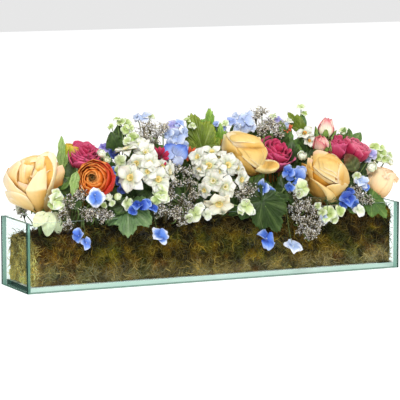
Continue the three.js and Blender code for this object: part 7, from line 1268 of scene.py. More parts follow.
            {"t": "floret", "P": [43.5, 75.3, 106.8], "D": [-0.236, 0.943, 0.236], "R": 10.9, "col": "w"},
            {"t": "floret", "P": [91.8, 43.2, 192.2], "D": [0.07, 0.4, 0.914], "R": 10.4, "col": "w"},
            {"t": "floret", "P": [102.2, 73.5, 109.2], "D": [-0.151, 0.951, 0.269], "R": 11.7, "col": "w"},
            {"t": "floret", "P": [132.6, 74.2, 110.5], "D": [-0.104, 0.95, 0.295], "R": 11.5, "col": "g"},
            {"t": "floret", "P": [155.7, 73.0, 115.1], "D": [0.261, 0.896, 0.36], "R": 11.9, "col": "w"},
            {"t": "floret", "P": [167.5, 40.6, 167.0], "D": [0.212, 0.375, 0.903], "R": 13.6, "col": "w"},
            {"t": "floret", "P": [190.2, 62.6, 130.1], "D": [0.051, 0.755, 0.654], "R": 13.7, "col": "gw"},
            {"t": "floret", "P": [206.4, 72.7, 110.7], "D": [-0.235, 0.912, 0.337], "R": 12.4, "col": "gw"},
            {"t": "floret", "P": [222.8, 68.5, 114.7], "D": [0.194, 0.876, 0.442], "R": 13.3, "col": "w"},
            {"t": "floret", "P": [278.3, 64.8, 116.1], "D": [0.088, 0.797, 0.598], "R": 12.3, "col": "gw"},
            {"t": "floret", "P": [8.0, 24.0, 196.0], "D": [0.021, 0.316, 0.948], "R": 12, "col": "gw"},
            {"t": "floret", "P": [120.0, 30.0, 168.0], "D": [0.097, 0.315, 0.944], "R": 12, "col": "g"},
            {"t": "floret", "P": [-84.0, 28.0, 174.0], "D": [-0.074, 0.315, 0.946], "R": 12, "col": "g"},
            {"t": "floret", "P": [-160.0, 26.0, 142.0], "D": [0.156, 0.312, 0.937], "R": 12, "col": "gw"},
            {"t": "floret", "P": [204.0, 26.0, 136.0], "D": [0.013, 0.316, 0.949], "R": 12, "col": "gw"},
            {"t": "floret", "P": [-246.0, 20.0, 118.0], "D": [0.126, 0.314, 0.941], "R": 12, "col": "g"},
        ],
        "stalks": [
            (0.8, None, [(-121.2, 4.5, 86.0), (-121.2, 6.3, 120.3), (-121.3, 10.1, 157.2), (-121.6, 13.5, 192.0), (-122.1, 14.3, 219.5), (-123.0, 10.0, 234.8)]),
            (0.8, None, [(-116.6, 2.7, 86.0), (-117.1, 4.5, 118.9), (-118.0, 8.3, 154.6), (-119.0, 11.5, 188.1), (-119.3, 11.6, 214.1), (-118.4, 6.0, 227.5)]),
            (0.8, None, [(-112.0, 0.9, 86.0), (-112.0, 2.6, 115.9), (-112.1, 6.0, 148.5), (-112.4, 8.7, 178.9), (-112.9, 8.2, 202.5), (-113.7, 2.0, 214.4)]),
            (0.8, None, [(-106.7, -1.8, 86.0), (-106.6, -0.7, 114.2), (-106.6, 1.4, 144.6), (-106.7, 2.8, 173.1), (-107.2, 1.6, 195.8), (-108.3, -4.0, 208.7)]),
            (0.8, None, [(-134.6, 5.4, 86.0), (-134.2, 6.6, 121.4), (-133.4, 9.2, 159.4), (-133.1, 11.9, 195.2), (-133.9, 13.3, 224.1), (-136.6, 12.0, 241.1)]),
            (0.8, None, [(-126.6, -2.7, 86.0), (-126.1, -1.7, 114.6), (-125.4, 0.2, 145.6), (-125.0, 1.2, 174.7), (-125.8, -0.3, 197.5), (-128.5, -6.0, 209.8)]),
            (0.8, None, [(-80.3, 7.2, 86.0), (-80.5, 9.2, 122.1), (-81.0, 13.4, 160.9), (-81.5, 17.6, 197.4), (-81.8, 19.3, 226.5), (-81.5, 16.0, 243.1)]),
            (0.8, None, [(-12.6, 5.4, 86.0), (-12.5, 7.3, 118.1), (-12.2, 11.4, 152.7), (-11.9, 15.2, 185.1), (-12.1, 16.2, 211.0), (-12.8, 12.0, 225.7)]),
            (0.8, None, [(-21.5, 6.3, 86.0), (-21.2, 7.8, 119.9), (-20.7, 11.0, 156.2), (-20.3, 14.2, 190.4), (-20.5, 15.8, 218.1), (-21.8, 14.0, 234.9)]),
            (0.8, None, [(40.7, 6.3, 86.0), (41.6, 8.0, 118.2), (43.4, 11.8, 153.0), (44.8, 15.4, 185.6), (44.5, 16.9, 211.6), (41.3, 14.0, 226.3)]),
            (0.8, None, [(123.5, 9.0, 86.0), (124.2, 10.8, 119.9), (125.7, 15.0, 156.3), (127.0, 19.3, 190.6), (127.2, 21.6, 218.2), (125.3, 20.0, 234.6)]),
            (0.8, None, [(149.5, 8.1, 86.0), (149.4, 10.2, 118.1), (149.5, 14.8, 152.5), (149.8, 19.4, 185.0), (150.5, 21.3, 211.0), (151.7, 18.0, 226.1)]),
            (0.8, None, [(170.7, 9.0, 86.0), (171.3, 10.9, 122.8), (172.7, 15.2, 162.3), (174.0, 19.6, 199.5), (174.5, 22.0, 229.3), (173.3, 20.0, 246.6)]),
            (0.8, None, [(176.5, 8.1, 86.0), (176.8, 10.4, 120.9), (177.5, 15.4, 158.6), (178.4, 20.2, 194.0), (179.0, 22.0, 221.9), (179.2, 18.0, 237.3)]),
            (0.8, None, [(130.8, -25.2, 86.0), (131.7, -26.9, 95.3), (133.6, -31.5, 105.8), (135.3, -38.4, 115.5), (135.4, -46.8, 122.4), (132.8, -56.0, 124.6)]),
            (0.8, None, [(280.7, -0.9, 86.0), (282.8, 0.1, 107.1), (287.8, 2.0, 129.3), (293.7, 3.3, 150.4), (298.4, 2.5, 168.0), (299.8, -2.0, 180.0)]),
            (0.8, None, [(280.7, -3.6, 86.0), (283.4, -2.5, 103.3), (290.0, -0.4, 121.9), (298.0, 0.6, 139.4), (305.2, -1.3, 153.4), (309.0, -8.0, 161.5)]),
            (0.8, None, [(280.7, -4.5, 86.0), (282.6, -3.7, 104.3), (286.7, -2.2, 123.9), (291.0, -1.7, 142.3), (293.5, -3.7, 157.1), (292.0, -10.0, 165.6)]),
            (0.8, None, [(280.7, -2.7, 86.0), (283.9, -1.6, 104.9), (291.5, 0.5, 125.2), (301.1, 1.7, 144.2), (309.9, 0.1, 159.6), (315.4, -6.0, 168.8)]),
            (0.8, None, [(237.4, -16.2, 86.0), (238.9, -17.2, 98.7), (241.9, -20.1, 112.0), (244.6, -24.4, 124.6), (244.9, -29.8, 135.3), (241.0, -36.0, 142.8)]),
            (0.8, None, [(184.9, -27.9, 86.0), (185.5, -30.4, 85.6), (186.7, -36.7, 85.4), (187.9, -45.1, 85.1), (188.5, -54.1, 84.3), (187.8, -62.0, 82.8)]),
            (0.8, None, [(165.7, -27.0, 86.0), (166.9, -29.8, 87.7), (169.4, -36.7, 89.5), (171.5, -45.6, 91.1), (171.7, -54.1, 92.8), (168.2, -60.0, 94.3)]),
            (0.8, None, [(161.0, -25.2, 86.0), (162.1, -27.8, 89.5), (164.4, -34.2, 92.9), (166.3, -42.4, 96.2), (166.5, -50.4, 99.6), (163.5, -56.0, 103.2)]),
            (0.8, None, [(-197.5, -29.7, 86.0), (-198.1, -31.9, 99.3), (-199.3, -37.8, 113.4), (-200.5, -46.2, 126.7), (-201.1, -56.0, 137.6), (-200.5, -66.0, 144.5)]),
            (0.8, None, [(-53.4, -29.7, 86.0), (-52.5, -32.7, 89.2), (-50.8, -40.0, 93.0), (-49.6, -49.5, 96.4), (-50.2, -58.9, 98.6), (-54.2, -66.0, 98.4)]),
            (0.8, None, [(-35.5, -27.9, 86.0), (-35.4, -30.3, 91.6), (-35.1, -36.5, 97.0), (-35.0, -44.9, 102.3), (-35.2, -53.9, 107.7), (-36.1, -62.0, 113.3)]),
            (0.8, None, [(30.7, -27.9, 86.0), (31.7, -30.6, 90.5), (33.8, -37.4, 95.6), (35.4, -46.3, 100.3), (35.0, -55.2, 103.4), (31.2, -62.0, 103.6)]),
            (0.8, None, [(48.7, -27.9, 86.0), (48.8, -30.2, 89.8), (49.0, -36.2, 94.3), (49.2, -44.5, 98.4), (49.4, -53.5, 101.0), (49.4, -62.0, 101.1)]),
            (0.8, None, [(-253.0, -19.8, 86.0), (-252.9, -20.9, 98.8), (-253.0, -24.1, 112.3), (-253.4, -29.2, 125.1), (-254.6, -35.9, 136.0), (-256.9, -44.0, 143.6)]),
            (0.8, None, [(-260.0, -20.7, 86.0), (-259.2, -22.3, 95.7), (-257.8, -26.4, 106.4), (-257.1, -32.3, 116.4), (-258.7, -39.1, 123.8), (-264.0, -46.0, 126.8)]),
            (0.8, None, [(-246.3, -20.7, 86.0), (-246.7, -21.8, 95.0), (-247.5, -25.1, 105.1), (-248.6, -30.3, 114.4), (-249.5, -37.3, 121.0), (-250.1, -46.0, 123.1)]),
            (0.8, None, [(-175.3, -22.5, 86.0), (-175.0, -24.0, 99.1), (-174.4, -28.2, 112.8), (-174.2, -34.3, 125.8), (-175.2, -41.8, 136.8), (-178.0, -50.0, 144.5)]),
            (0.8, None, [(-172.6, -26.1, 86.0), (-172.6, -27.7, 95.9), (-172.9, -32.3, 107.2), (-173.3, -39.2, 117.6), (-174.1, -47.9, 124.7), (-175.2, -58.0, 126.2)]),
            (0.8, None, [(-185.8, -27.0, 86.0), (-185.1, -29.1, 95.5), (-183.8, -34.6, 106.2), (-183.1, -42.4, 116.1), (-184.3, -51.3, 122.9), (-188.7, -60.0, 124.3)]),
            (0.8, None, [(-164.8, -6.3, 86.0), (-164.7, -5.6, 106.6), (-164.7, -4.4, 128.8), (-164.9, -4.4, 149.7), (-165.7, -7.1, 166.2), (-167.3, -14.0, 175.4)]),
            (0.8, None, [(-103.0, -27.0, 86.0), (-102.0, -29.2, 96.5), (-100.1, -34.9, 108.4), (-98.8, -42.8, 119.3), (-99.8, -51.6, 126.9), (-104.6, -60.0, 128.6)]),
            (0.8, None, [(-90.3, -27.0, 86.0), (-90.4, -28.7, 96.5), (-90.7, -33.5, 108.3), (-91.0, -40.6, 119.1), (-91.4, -49.7, 126.9), (-91.7, -60.0, 129.4)]),
            (0.8, None, [(-262.6, 31.4, 86.0), (-263.1, 34.0, 90.5), (-264.3, 40.7, 95.2), (-265.6, 50.0, 99.6), (-266.6, 60.2, 103.7), (-266.6, 69.7, 107.2)]),
            (0.8, None, [(-244.4, 27.2, 86.0), (-244.9, 29.5, 92.5), (-246.1, 35.5, 98.8), (-247.4, 43.6, 105.1), (-248.3, 52.4, 111.3), (-248.1, 60.4, 117.7)]),
            (0.8, None, [(-221.1, 26.8, 86.0), (-221.4, 29.1, 93.5), (-222.2, 35.0, 100.7), (-223.1, 43.0, 107.9), (-224.0, 51.7, 115.1), (-224.5, 59.6, 122.4)]),
            (0.8, None, [(-138.5, 28.4, 86.0), (-138.5, 30.6, 94.1), (-138.5, 36.4, 102.2), (-138.7, 44.5, 110.1), (-139.4, 53.8, 117.4), (-140.6, 63.2, 123.7)]),
            (0.8, None, [(-133.8, 23.7, 86.0), (-133.8, 25.7, 99.6), (-133.7, 31.0, 113.5), (-133.8, 38.2, 126.9), (-134.5, 45.8, 139.1), (-135.9, 52.6, 149.2)]),
            (0.8, None, [(-111.0, 29.5, 86.0), (-111.1, 31.8, 95.0), (-111.2, 37.9, 104.1), (-111.5, 46.4, 112.9), (-112.0, 56.0, 120.9), (-112.7, 65.6, 127.5)]),
            (0.8, None, [(-105.3, 29.4, 86.0), (-105.0, 31.7, 94.0), (-104.6, 37.6, 102.2), (-104.4, 46.1, 110.0), (-105.0, 55.7, 117.0), (-106.9, 65.4, 122.8)]),
            (0.8, None, [(-80.0, 21.4, 86.0), (-79.8, 23.4, 105.6), (-79.4, 28.3, 126.0), (-79.3, 34.8, 145.4), (-79.8, 41.7, 162.1), (-81.2, 47.6, 174.3)]),
            (0.8, None, [(-38.4, 31.9, 86.0), (-38.8, 34.4, 92.3), (-39.8, 41.1, 98.9), (-40.6, 50.4, 105.1), (-40.6, 60.8, 110.6), (-38.9, 70.8, 114.6)]),
            (0.8, None, [(12.6, 27.7, 86.0), (13.0, 29.9, 101.4), (13.8, 35.8, 117.5), (14.4, 44.0, 132.9), (14.3, 53.0, 146.0), (12.8, 61.5, 155.5)]),
            (0.8, None, [(18.9, 26.2, 86.0), (19.0, 28.3, 101.9), (19.2, 33.8, 118.5), (19.4, 41.4, 134.3), (19.4, 50.0, 147.8), (19.2, 58.3, 157.6)]),
            (0.8, None, [(37.3, 20.3, 86.0), (37.0, 22.2, 112.4), (36.4, 27.1, 140.4), (36.1, 33.4, 166.9), (36.4, 39.9, 188.9), (37.9, 45.2, 203.4)]),
            (0.8, None, [(42.8, 33.9, 86.0), (43.3, 36.7, 90.6), (44.2, 44.1, 95.4), (44.9, 54.1, 100.0), (44.9, 65.1, 103.9), (43.5, 75.3, 106.8)]),
            (0.8, None, [(90.4, 19.4, 86.0), (90.4, 21.2, 109.7), (90.5, 25.7, 134.7), (90.8, 31.7, 158.4), (91.2, 37.9, 178.4), (91.8, 43.2, 192.2)]),
            (0.8, None, [(100.6, 33.1, 86.0), (101.0, 35.8, 91.1), (101.9, 42.8, 96.4), (102.7, 52.5, 101.4), (102.9, 63.3, 105.8), (102.2, 73.5, 109.2)]),
            (0.8, None, [(130.6, 33.4, 86.0), (131.0, 36.1, 91.4), (131.8, 43.2, 96.9), (132.7, 53.0, 102.2), (133.1, 63.9, 106.9), (132.6, 74.2, 110.5)]),
            (0.8, None, [(153.4, 32.9, 86.0), (153.2, 35.5, 92.3), (152.9, 42.5, 98.8), (153.0, 52.2, 105.1), (153.8, 62.9, 110.7), (155.7, 73.0, 115.1)]),
            (0.8, None, [(164.9, 18.3, 86.0), (164.8, 20.0, 103.8), (164.7, 24.2, 122.1), (164.9, 29.9, 139.6), (165.7, 35.7, 155.1), (167.5, 40.6, 167.0)]),
            (0.8, None, [(187.4, 28.2, 86.0), (187.6, 30.4, 95.4), (188.1, 36.4, 104.8), (188.8, 44.6, 113.9), (189.6, 53.8, 122.5), (190.2, 62.6, 130.1)]),
            (0.8, None, [(203.3, 32.7, 86.0), (204.0, 35.4, 91.3), (205.5, 42.4, 96.8), (207.0, 52.1, 102.1), (207.5, 62.7, 106.8), (206.4, 72.7, 110.7)]),
            (0.8, None, [(219.5, 30.8, 86.0), (219.5, 33.4, 92.1), (219.7, 39.9, 98.3), (220.3, 49.0, 104.3), (221.3, 59.0, 109.8), (222.8, 68.5, 114.7)]),
            (0.8, None, [(274.2, 29.2, 86.0), (274.5, 31.6, 92.2), (275.2, 38.0, 98.3), (276.2, 46.6, 104.3), (277.3, 56.1, 110.2), (278.3, 64.8, 116.1)]),
            (0.8, None, [(7.9, 10.8, 86.0), (7.9, 11.6, 110.6), (7.8, 13.8, 136.4), (7.8, 16.9, 161.0), (7.8, 20.4, 181.7), (8.0, 24.0, 196.0)]),
            (0.8, None, [(118.2, 13.5, 86.0), (118.2, 14.7, 103.9), (118.3, 17.7, 122.4), (118.6, 21.7, 140.1), (119.1, 26.1, 155.7), (120.0, 30.0, 168.0)]),
            (0.8, None, [(-82.7, 12.6, 86.0), (-82.7, 13.7, 105.3), (-82.8, 16.4, 125.4), (-83.0, 20.1, 144.5), (-83.4, 24.2, 161.3), (-84.0, 28.0, 174.0)]),
            (0.8, None, [(-157.6, 11.7, 86.0), (-158.1, 12.6, 97.7), (-159.3, 15.1, 109.3), (-160.4, 18.5, 120.6), (-160.8, 22.4, 131.6), (-160.0, 26.0, 142.0)]),
            (0.8, None, [(200.9, 11.7, 86.0), (201.2, 12.6, 96.3), (202.0, 15.1, 106.2), (202.8, 18.5, 116.1), (203.6, 22.3, 125.9), (204.0, 26.0, 136.0)]),
            (0.8, None, [(-242.3, 9.0, 86.0), (-242.8, 9.8, 92.6), (-244.0, 11.8, 98.9), (-245.3, 14.5, 105.1), (-246.2, 17.4, 111.4), (-246.0, 20.0, 118.0)]),
        ],
    },
    "florets_blue": {
        "heads": [
            {"t": "floret", "P": [-58.5, 2.0, 216.5], "D": [-0.782, -0.476, 0.401], "R": 10.4, "col": "lb"},
            {"t": "floret", "P": [-32.3, 2.0, 216.9], "D": [0.271, -0.877, 0.397], "R": 10.4, "col": "lb"},
            {"t": "floret", "P": [-36.8, 10.0, 229.8], "D": [0.057, -0.606, 0.793], "R": 9.0, "col": "bl"},
            {"t": "floret", "P": [-59.8, -8.0, 202.5], "D": [-0.809, -0.501, 0.309], "R": 8.9, "col": "lb"},
            {"t": "floret", "P": [-36.0, -6.0, 198.3], "D": [0.209, -0.958, 0.198], "R": 8.9, "col": "lb"},
            {"t": "floret", "P": [-102.6, 16.0, 242.4], "D": [-0.782, -0.231, 0.58], "R": 7.4, "col": "lw"},
            {"t": "floret", "P": [27.2, 16.0, 226.7], "D": [-0.623, -0.389, 0.679], "R": 6.8, "col": "bl"},
            {"t": "floret", "P": [60.2, 8.0, 220.0], "D": [-0.728, -0.612, 0.309], "R": 9.0, "col": "lw"},
            {"t": "floret", "P": [82.1, 8.0, 219.1], "D": [-0.008, -0.951, 0.309], "R": 9.1, "col": "lw"},
            {"t": "floret", "P": [81.9, 18.0, 238.0], "D": [0.013, -0.46, 0.888], "R": 9.8, "col": "lw"},
            {"t": "floret", "P": [62.7, 20.0, 237.1], "D": [-0.565, -0.211, 0.798], "R": 7.6, "col": "lw"},
            {"t": "floret", "P": [143.9, 16.0, 220.5], "D": [0.184, -0.789, 0.586], "R": 8.4, "col": "lw"},
            {"t": "floret", "P": [119.6, -42.0, 155.5], "D": [-0.782, -0.476, 0.401], "R": 11.3, "col": "b"},
            {"t": "floret", "P": [142.6, -40.0, 155.7], "D": [0.159, -0.853, 0.497], "R": 10.6, "col": "bl"},
            {"t": "floret", "P": [120.0, -48.0, 133.4], "D": [-0.747, -0.635, -0.195], "R": 9.8, "col": "b"},
            {"t": "floret", "P": [83.3, -54.0, 128.4], "D": [-0.233, -0.969, -0.081], "R": 9.0, "col": "b"},
            {"t": "floret", "P": [272.2, -14.0, 163.8], "D": [-0.562, -0.711, 0.422], "R": 6.9, "col": "lw"},
            {"t": "floret", "P": [208.0, -56.0, 105.4], "D": [-0.749, -0.657, -0.086], "R": 9.1, "col": "db"},
            {"t": "floret", "P": [225.2, -56.0, 104.4], "D": [-0.029, -0.996, -0.086], "R": 9.1, "col": "b"},
            {"t": "floret", "P": [221.4, -50.0, 122.3], "D": [-0.337, -0.717, 0.61], "R": 8.4, "col": "db"},
            {"t": "floret", "P": [251.3, -46.0, 126.5], "D": [-0.018, -0.993, 0.114], "R": 7.6, "col": "b"},
            {"t": "floret", "P": [-121.5, -62.0, 123.8], "D": [-0.31, -0.895, 0.321], "R": 8.7, "col": "b"},
            {"t": "floret", "P": [-144.6, -64.0, 115.0], "D": [-0.749, -0.657, -0.086], "R": 8.0, "col": "db"},
            {"t": "floret", "P": [-237.8, 62.5, 116.3], "D": [-0.139, 0.788, 0.6], "R": 11.8, "col": "lb"},
            {"t": "floret", "P": [-228.0, 61.2, 118.7], "D": [0.145, 0.756, 0.638], "R": 11.6, "col": "lb"},
            {"t": "floret", "P": [-209.2, 73.1, 107.8], "D": [-0.229, 0.924, 0.308], "R": 10.3, "col": "b"},
            {"t": "floret", "P": [-200.1, 70.5, 110.9], "D": [-0.16, 0.91, 0.383], "R": 14.0, "col": "bl"},
            {"t": "floret", "P": [-189.4, 48.2, 139.2], "D": [0.14, 0.481, 0.866], "R": 13.5, "col": "lb"},
            {"t": "floret", "P": [-173.9, 73.4, 110.9], "D": [0.131, 0.925, 0.356], "R": 10.2, "col": "bl"},
            {"t": "floret", "P": [-168.7, 72.6, 110.4], "D": [-0.104, 0.934, 0.342], "R": 12.3, "col": "lb"},
            {"t": "floret", "P": [-158.9, 64.9, 124.9], "D": [-0.008, 0.803, 0.596], "R": 12.9, "col": "lw"},
            {"t": "floret", "P": [-120.9, 60.2, 136.3], "D": [-0.118, 0.741, 0.661], "R": 12.2, "col": "lb"},
            {"t": "floret", "P": [-88.6, 52.0, 162.2], "D": [-0.168, 0.554, 0.815], "R": 11.4, "col": "bl"},
            {"t": "floret", "P": [-76.1, 52.8, 167.6], "D": [0.159, 0.537, 0.828], "R": 10.2, "col": "l"},
            {"t": "floret", "P": [-57.5, 52.5, 167.6], "D": [-0.012, 0.585, 0.811], "R": 10.9, "col": "lb"},
            {"t": "floret", "P": [-45.9, 66.1, 129.6], "D": [0.044, 0.877, 0.479], "R": 12.1, "col": "bl"},
            {"t": "floret", "P": [-27.9, 56.1, 159.3], "D": [0.047, 0.69, 0.722], "R": 10.0, "col": "lb"},
            {"t": "floret", "P": [-23.2, 65.3, 138.2], "D": [0.24, 0.813, 0.53], "R": 11.8, "col": "lb"},
            {"t": "floret", "P": [-9.8, 43.0, 201.2], "D": [-0.011, 0.402, 0.916], "R": 10.2, "col": "lb"},
            {"t": "floret", "P": [-1.2, 77.7, 104.8], "D": [-0.065, 0.972, 0.224], "R": 12.7, "col": "db"},
            {"t": "floret", "P": [54.8, 63.8, 145.6], "D": [0.117, 0.79, 0.602], "R": 10.1, "col": "bl"},
            {"t": "floret", "P": [68.4, 48.2, 179.0], "D": [-0.077, 0.538, 0.839], "R": 12.5, "col": "db"},
            {"t": "floret", "P": [73.2, 51.5, 182.5], "D": [0.061, 0.506, 0.86], "R": 13.1, "col": "lw"},
            {"t": "floret", "P": [107.1, 53.9, 162.2], "D": [0.175, 0.602, 0.779], "R": 12.5, "col": "bl"},
            {"t": "floret", "P": [121.4, 76.8, 105.3], "D": [-0.195, 0.954, 0.228], "R": 13.1, "col": "b"},
            {"t": "floret", "P": [145.3, 57.0, 145.6], "D": [-0.06, 0.682, 0.729], "R": 10.5, "col": "bl"},
            {"t": "floret", "P": [157.7, 61.1, 135.3], "D": [0.273, 0.733, 0.622], "R": 11.0, "col": "lw"},
            {"t": "floret", "P": [186.7, 61.3, 126.8], "D": [-0.039, 0.801, 0.598], "R": 12.8, "col": "lb"},
            {"t": "floret", "P": [209.6, 74.2, 106.6], "D": [-0.173, 0.949, 0.263], "R": 12.7, "col": "lw"},
            {"t": "floret", "P": [240.0, 70.5, 108.3], "D": [0.14, 0.937, 0.321], "R": 11.6, "col": "bl"},
            {"t": "floret", "P": [241.8, 57.6, 124.4], "D": [0.092, 0.71, 0.698], "R": 12.9, "col": "lw"},
            {"t": "floret", "P": [254.4, 52.5, 127.4], "D": [0.204, 0.599, 0.774], "R": 11.6, "col": "lw"},
            {"t": "floret", "P": [267.1, 70.6, 109.4], "D": [0.159, 0.914, 0.374], "R": 10.5, "col": "lb"},
            {"t": "floret", "P": [-40.0, 26.0, 188.0], "D": [0.09, 0.315, 0.945], "R": 12, "col": "lb"},
            {"t": "floret", "P": [48.0, 30.0, 192.0], "D": [0.021, 0.316, 0.948], "R": 12, "col": "b"},
            {"t": "floret", "P": [84.0, 30.0, 182.0], "D": [0.03, 0.316, 0.948], "R": 12, "col": "lw"},
            {"t": "floret", "P": [160.0, 26.0, 152.0], "D": [0.088, 0.315, 0.945], "R": 12, "col": "lb"},
            {"t": "floret", "P": [-120.0, 30.0, 160.0], "D": [-0.043, 0.316, 0.948], "R": 12, "col": "bl"},
            {"t": "floret", "P": [-212.0, 26.0, 128.0], "D": [0.106, 0.314, 0.943], "R": 12, "col": "b"},
            {"t": "floret", "P": [240.0, 24.0, 124.0], "D": [-0.057, 0.316, 0.947], "R": 12, "col": "lb"},
        ],
        "stalks": [
            (0.8, None, [(-57.7, 0.9, 86.0), (-56.4, 1.8, 116.4), (-53.9, 3.8, 149.6), (-52.1, 5.3, 180.6), (-53.0, 5.2, 204.5), (-58.5, 2.0, 216.5)]),
            (0.8, None, [(-31.8, 0.9, 86.0), (-32.4, 2.5, 116.5), (-33.4, 5.8, 149.8), (-34.3, 8.4, 180.9), (-34.1, 7.9, 204.9), (-32.3, 2.0, 216.9)]),
            (0.8, None, [(-36.3, 4.5, 86.0), (-36.4, 6.1, 118.9), (-36.8, 9.6, 154.3), (-37.1, 12.8, 187.5), (-37.2, 13.6, 214.2), (-36.8, 10.0, 229.8)]),
            (0.8, None, [(-58.9, -3.6, 86.0), (-57.6, -3.2, 113.2), (-55.1, -2.6, 143.0), (-53.2, -2.6, 170.9), (-54.2, -4.1, 192.2), (-59.8, -8.0, 202.5)]),
            (0.8, None, [(-35.5, -2.7, 86.0), (-35.9, -1.4, 112.4), (-36.8, 1.1, 141.5), (-37.5, 2.6, 168.6), (-37.4, 1.0, 189.0), (-36.0, -6.0, 198.3)]),
            (0.8, None, [(-101.1, 7.2, 86.0), (-99.9, 8.5, 122.3), (-97.6, 11.5, 161.7), (-96.0, 14.7, 198.6), (-97.1, 16.7, 227.4), (-102.6, 16.0, 242.4)]),
            (0.8, None, [(26.8, 7.2, 86.0), (28.0, 8.8, 118.4), (30.2, 12.3, 153.3), (31.9, 15.9, 186.1), (31.5, 17.8, 212.1), (27.2, 16.0, 226.7)]),
            (0.8, None, [(59.3, 3.6, 86.0), (60.7, 5.1, 117.4), (63.4, 8.3, 151.8), (65.5, 11.2, 184.0), (65.1, 11.8, 208.5), (60.2, 8.0, 220.0)]),
            (0.8, None, [(80.8, 3.6, 86.0), (81.0, 5.7, 117.2), (81.3, 10.1, 151.4), (81.7, 13.8, 183.3), (82.0, 14.1, 207.6), (82.1, 8.0, 219.1)]),
            (0.8, None, [(80.7, 8.1, 86.0), (80.8, 9.9, 120.7), (81.0, 14.0, 157.9), (81.4, 18.1, 192.9), (81.7, 20.2, 221.2), (81.9, 18.0, 238.0)]),
            (0.8, None, [(61.7, 9.0, 86.0), (62.8, 10.5, 120.6), (65.0, 14.0, 157.9), (66.7, 17.8, 192.9), (66.5, 20.3, 220.9), (62.7, 20.0, 237.1)]),
            (0.8, None, [(141.7, 7.2, 86.0), (141.6, 9.5, 117.0), (141.5, 14.4, 150.6), (141.7, 19.0, 182.1), (142.4, 20.5, 207.0), (143.9, 16.0, 220.5)]),
            (0.8, None, [(117.8, -18.9, 86.0), (119.3, -20.5, 101.9), (122.5, -24.6, 118.9), (125.0, -30.2, 134.9), (124.8, -36.3, 147.8), (119.6, -42.0, 155.5)]),
            (0.8, None, [(140.5, -18.0, 86.0), (140.4, -18.8, 101.8), (140.4, -21.3, 118.5), (140.6, -25.6, 134.3), (141.3, -31.8, 147.4), (142.6, -40.0, 155.7)]),
            (0.8, None, [(118.2, -21.6, 86.0), (119.7, -23.2, 97.6), (122.7, -27.6, 110.9), (125.2, -33.8, 123.0), (125.0, -40.9, 131.4), (120.0, -48.0, 133.4)]),
            (0.8, None, [(82.1, -24.3, 86.0), (82.6, -25.7, 96.3), (83.7, -29.7, 107.8), (84.7, -36.0, 118.4), (84.8, -44.2, 126.0), (83.3, -54.0, 128.4)]),
            (0.8, None, [(268.1, -6.3, 86.0), (269.5, -5.9, 103.8), (272.4, -5.3, 123.0), (275.1, -5.8, 141.0), (275.6, -8.3, 155.4), (272.2, -14.0, 163.8)]),
            (0.8, None, [(204.9, -25.2, 86.0), (206.1, -27.6, 90.7), (208.7, -33.6, 96.1), (211.0, -41.5, 101.0), (211.3, -49.6, 104.4), (208.0, -56.0, 105.4)]),
            (0.8, None, [(221.9, -25.2, 86.0), (222.2, -27.2, 90.5), (223.2, -32.4, 95.6), (224.2, -39.7, 100.3), (225.0, -48.0, 103.6), (225.2, -56.0, 104.4)]),
            (0.8, None, [(218.1, -22.5, 86.0), (219.0, -24.3, 93.7), (220.8, -28.9, 101.5), (222.6, -35.4, 109.0), (223.2, -42.7, 116.0), (221.4, -50.0, 122.3)]),
            (0.8, None, [(247.6, -20.7, 86.0), (248.0, -21.7, 95.5), (249.0, -24.8, 105.8), (250.1, -29.9, 115.5), (251.1, -37.0, 122.9), (251.3, -46.0, 126.5)]),
            (0.8, None, [(-119.6, -27.9, 86.0), (-119.3, -29.9, 94.5), (-118.7, -35.3, 103.4), (-118.4, -43.1, 111.8), (-119.1, -52.3, 119.0), (-121.5, -62.0, 123.8)]),
            (0.8, None, [(-142.5, -28.8, 86.0), (-141.6, -31.5, 93.1), (-139.8, -38.2, 101.0), (-138.7, -47.1, 108.3), (-139.8, -56.3, 113.5), (-144.6, -64.0, 115.0)]),
            (0.8, None, [(-234.2, 28.1, 86.0), (-234.4, 30.5, 92.3), (-234.8, 36.6, 98.5), (-235.6, 44.9, 104.5), (-236.6, 54.1, 110.5), (-237.8, 62.5, 116.3)]),
            (0.8, None, [(-224.6, 27.6, 86.0), (-225.2, 29.9, 92.8), (-226.5, 35.8, 99.4), (-227.8, 44.0, 105.9), (-228.6, 53.0, 112.3), (-228.0, 61.2, 118.7)]),
            (0.8, None, [(-206.0, 32.9, 86.0), (-206.0, 35.6, 90.7), (-206.1, 42.8, 95.5), (-206.5, 52.5, 100.2), (-207.4, 63.2, 104.4), (-209.2, 73.1, 107.8)]),
            (0.8, None, [(-197.1, 31.7, 86.0), (-197.2, 34.3, 91.3), (-197.4, 41.1, 96.8), (-197.9, 50.5, 102.0), (-198.8, 60.8, 106.8), (-200.1, 70.5, 110.9)]),
            (0.8, None, [(-186.5, 21.7, 86.0), (-187.1, 23.6, 97.2), (-188.3, 28.5, 108.3), (-189.5, 35.1, 119.1), (-190.1, 42.1, 129.5), (-189.4, 48.2, 139.2)]),
            (0.8, None, [(-171.3, 33.0, 86.0), (-171.7, 35.8, 91.4), (-172.8, 42.8, 96.8), (-173.9, 52.6, 102.1), (-174.4, 63.3, 106.9), (-173.9, 73.4, 110.9)]),
            (0.8, None, [(-166.2, 32.7, 86.0), (-166.3, 35.4, 91.3), (-166.6, 42.3, 96.7), (-167.1, 51.9, 101.9), (-167.8, 62.6, 106.6), (-168.7, 72.6, 110.4)]),
            (0.8, None, [(-156.5, 29.2, 86.0), (-156.8, 31.5, 94.2), (-157.3, 37.6, 102.5), (-158.0, 46.1, 110.5), (-158.6, 55.7, 118.0), (-158.9, 64.9, 124.9)]),
            (0.8, None, [(-119.1, 27.1, 86.0), (-119.1, 29.3, 96.9), (-119.1, 34.9, 107.9), (-119.4, 42.8, 118.5), (-119.9, 51.7, 128.2), (-120.9, 60.2, 136.3)]),
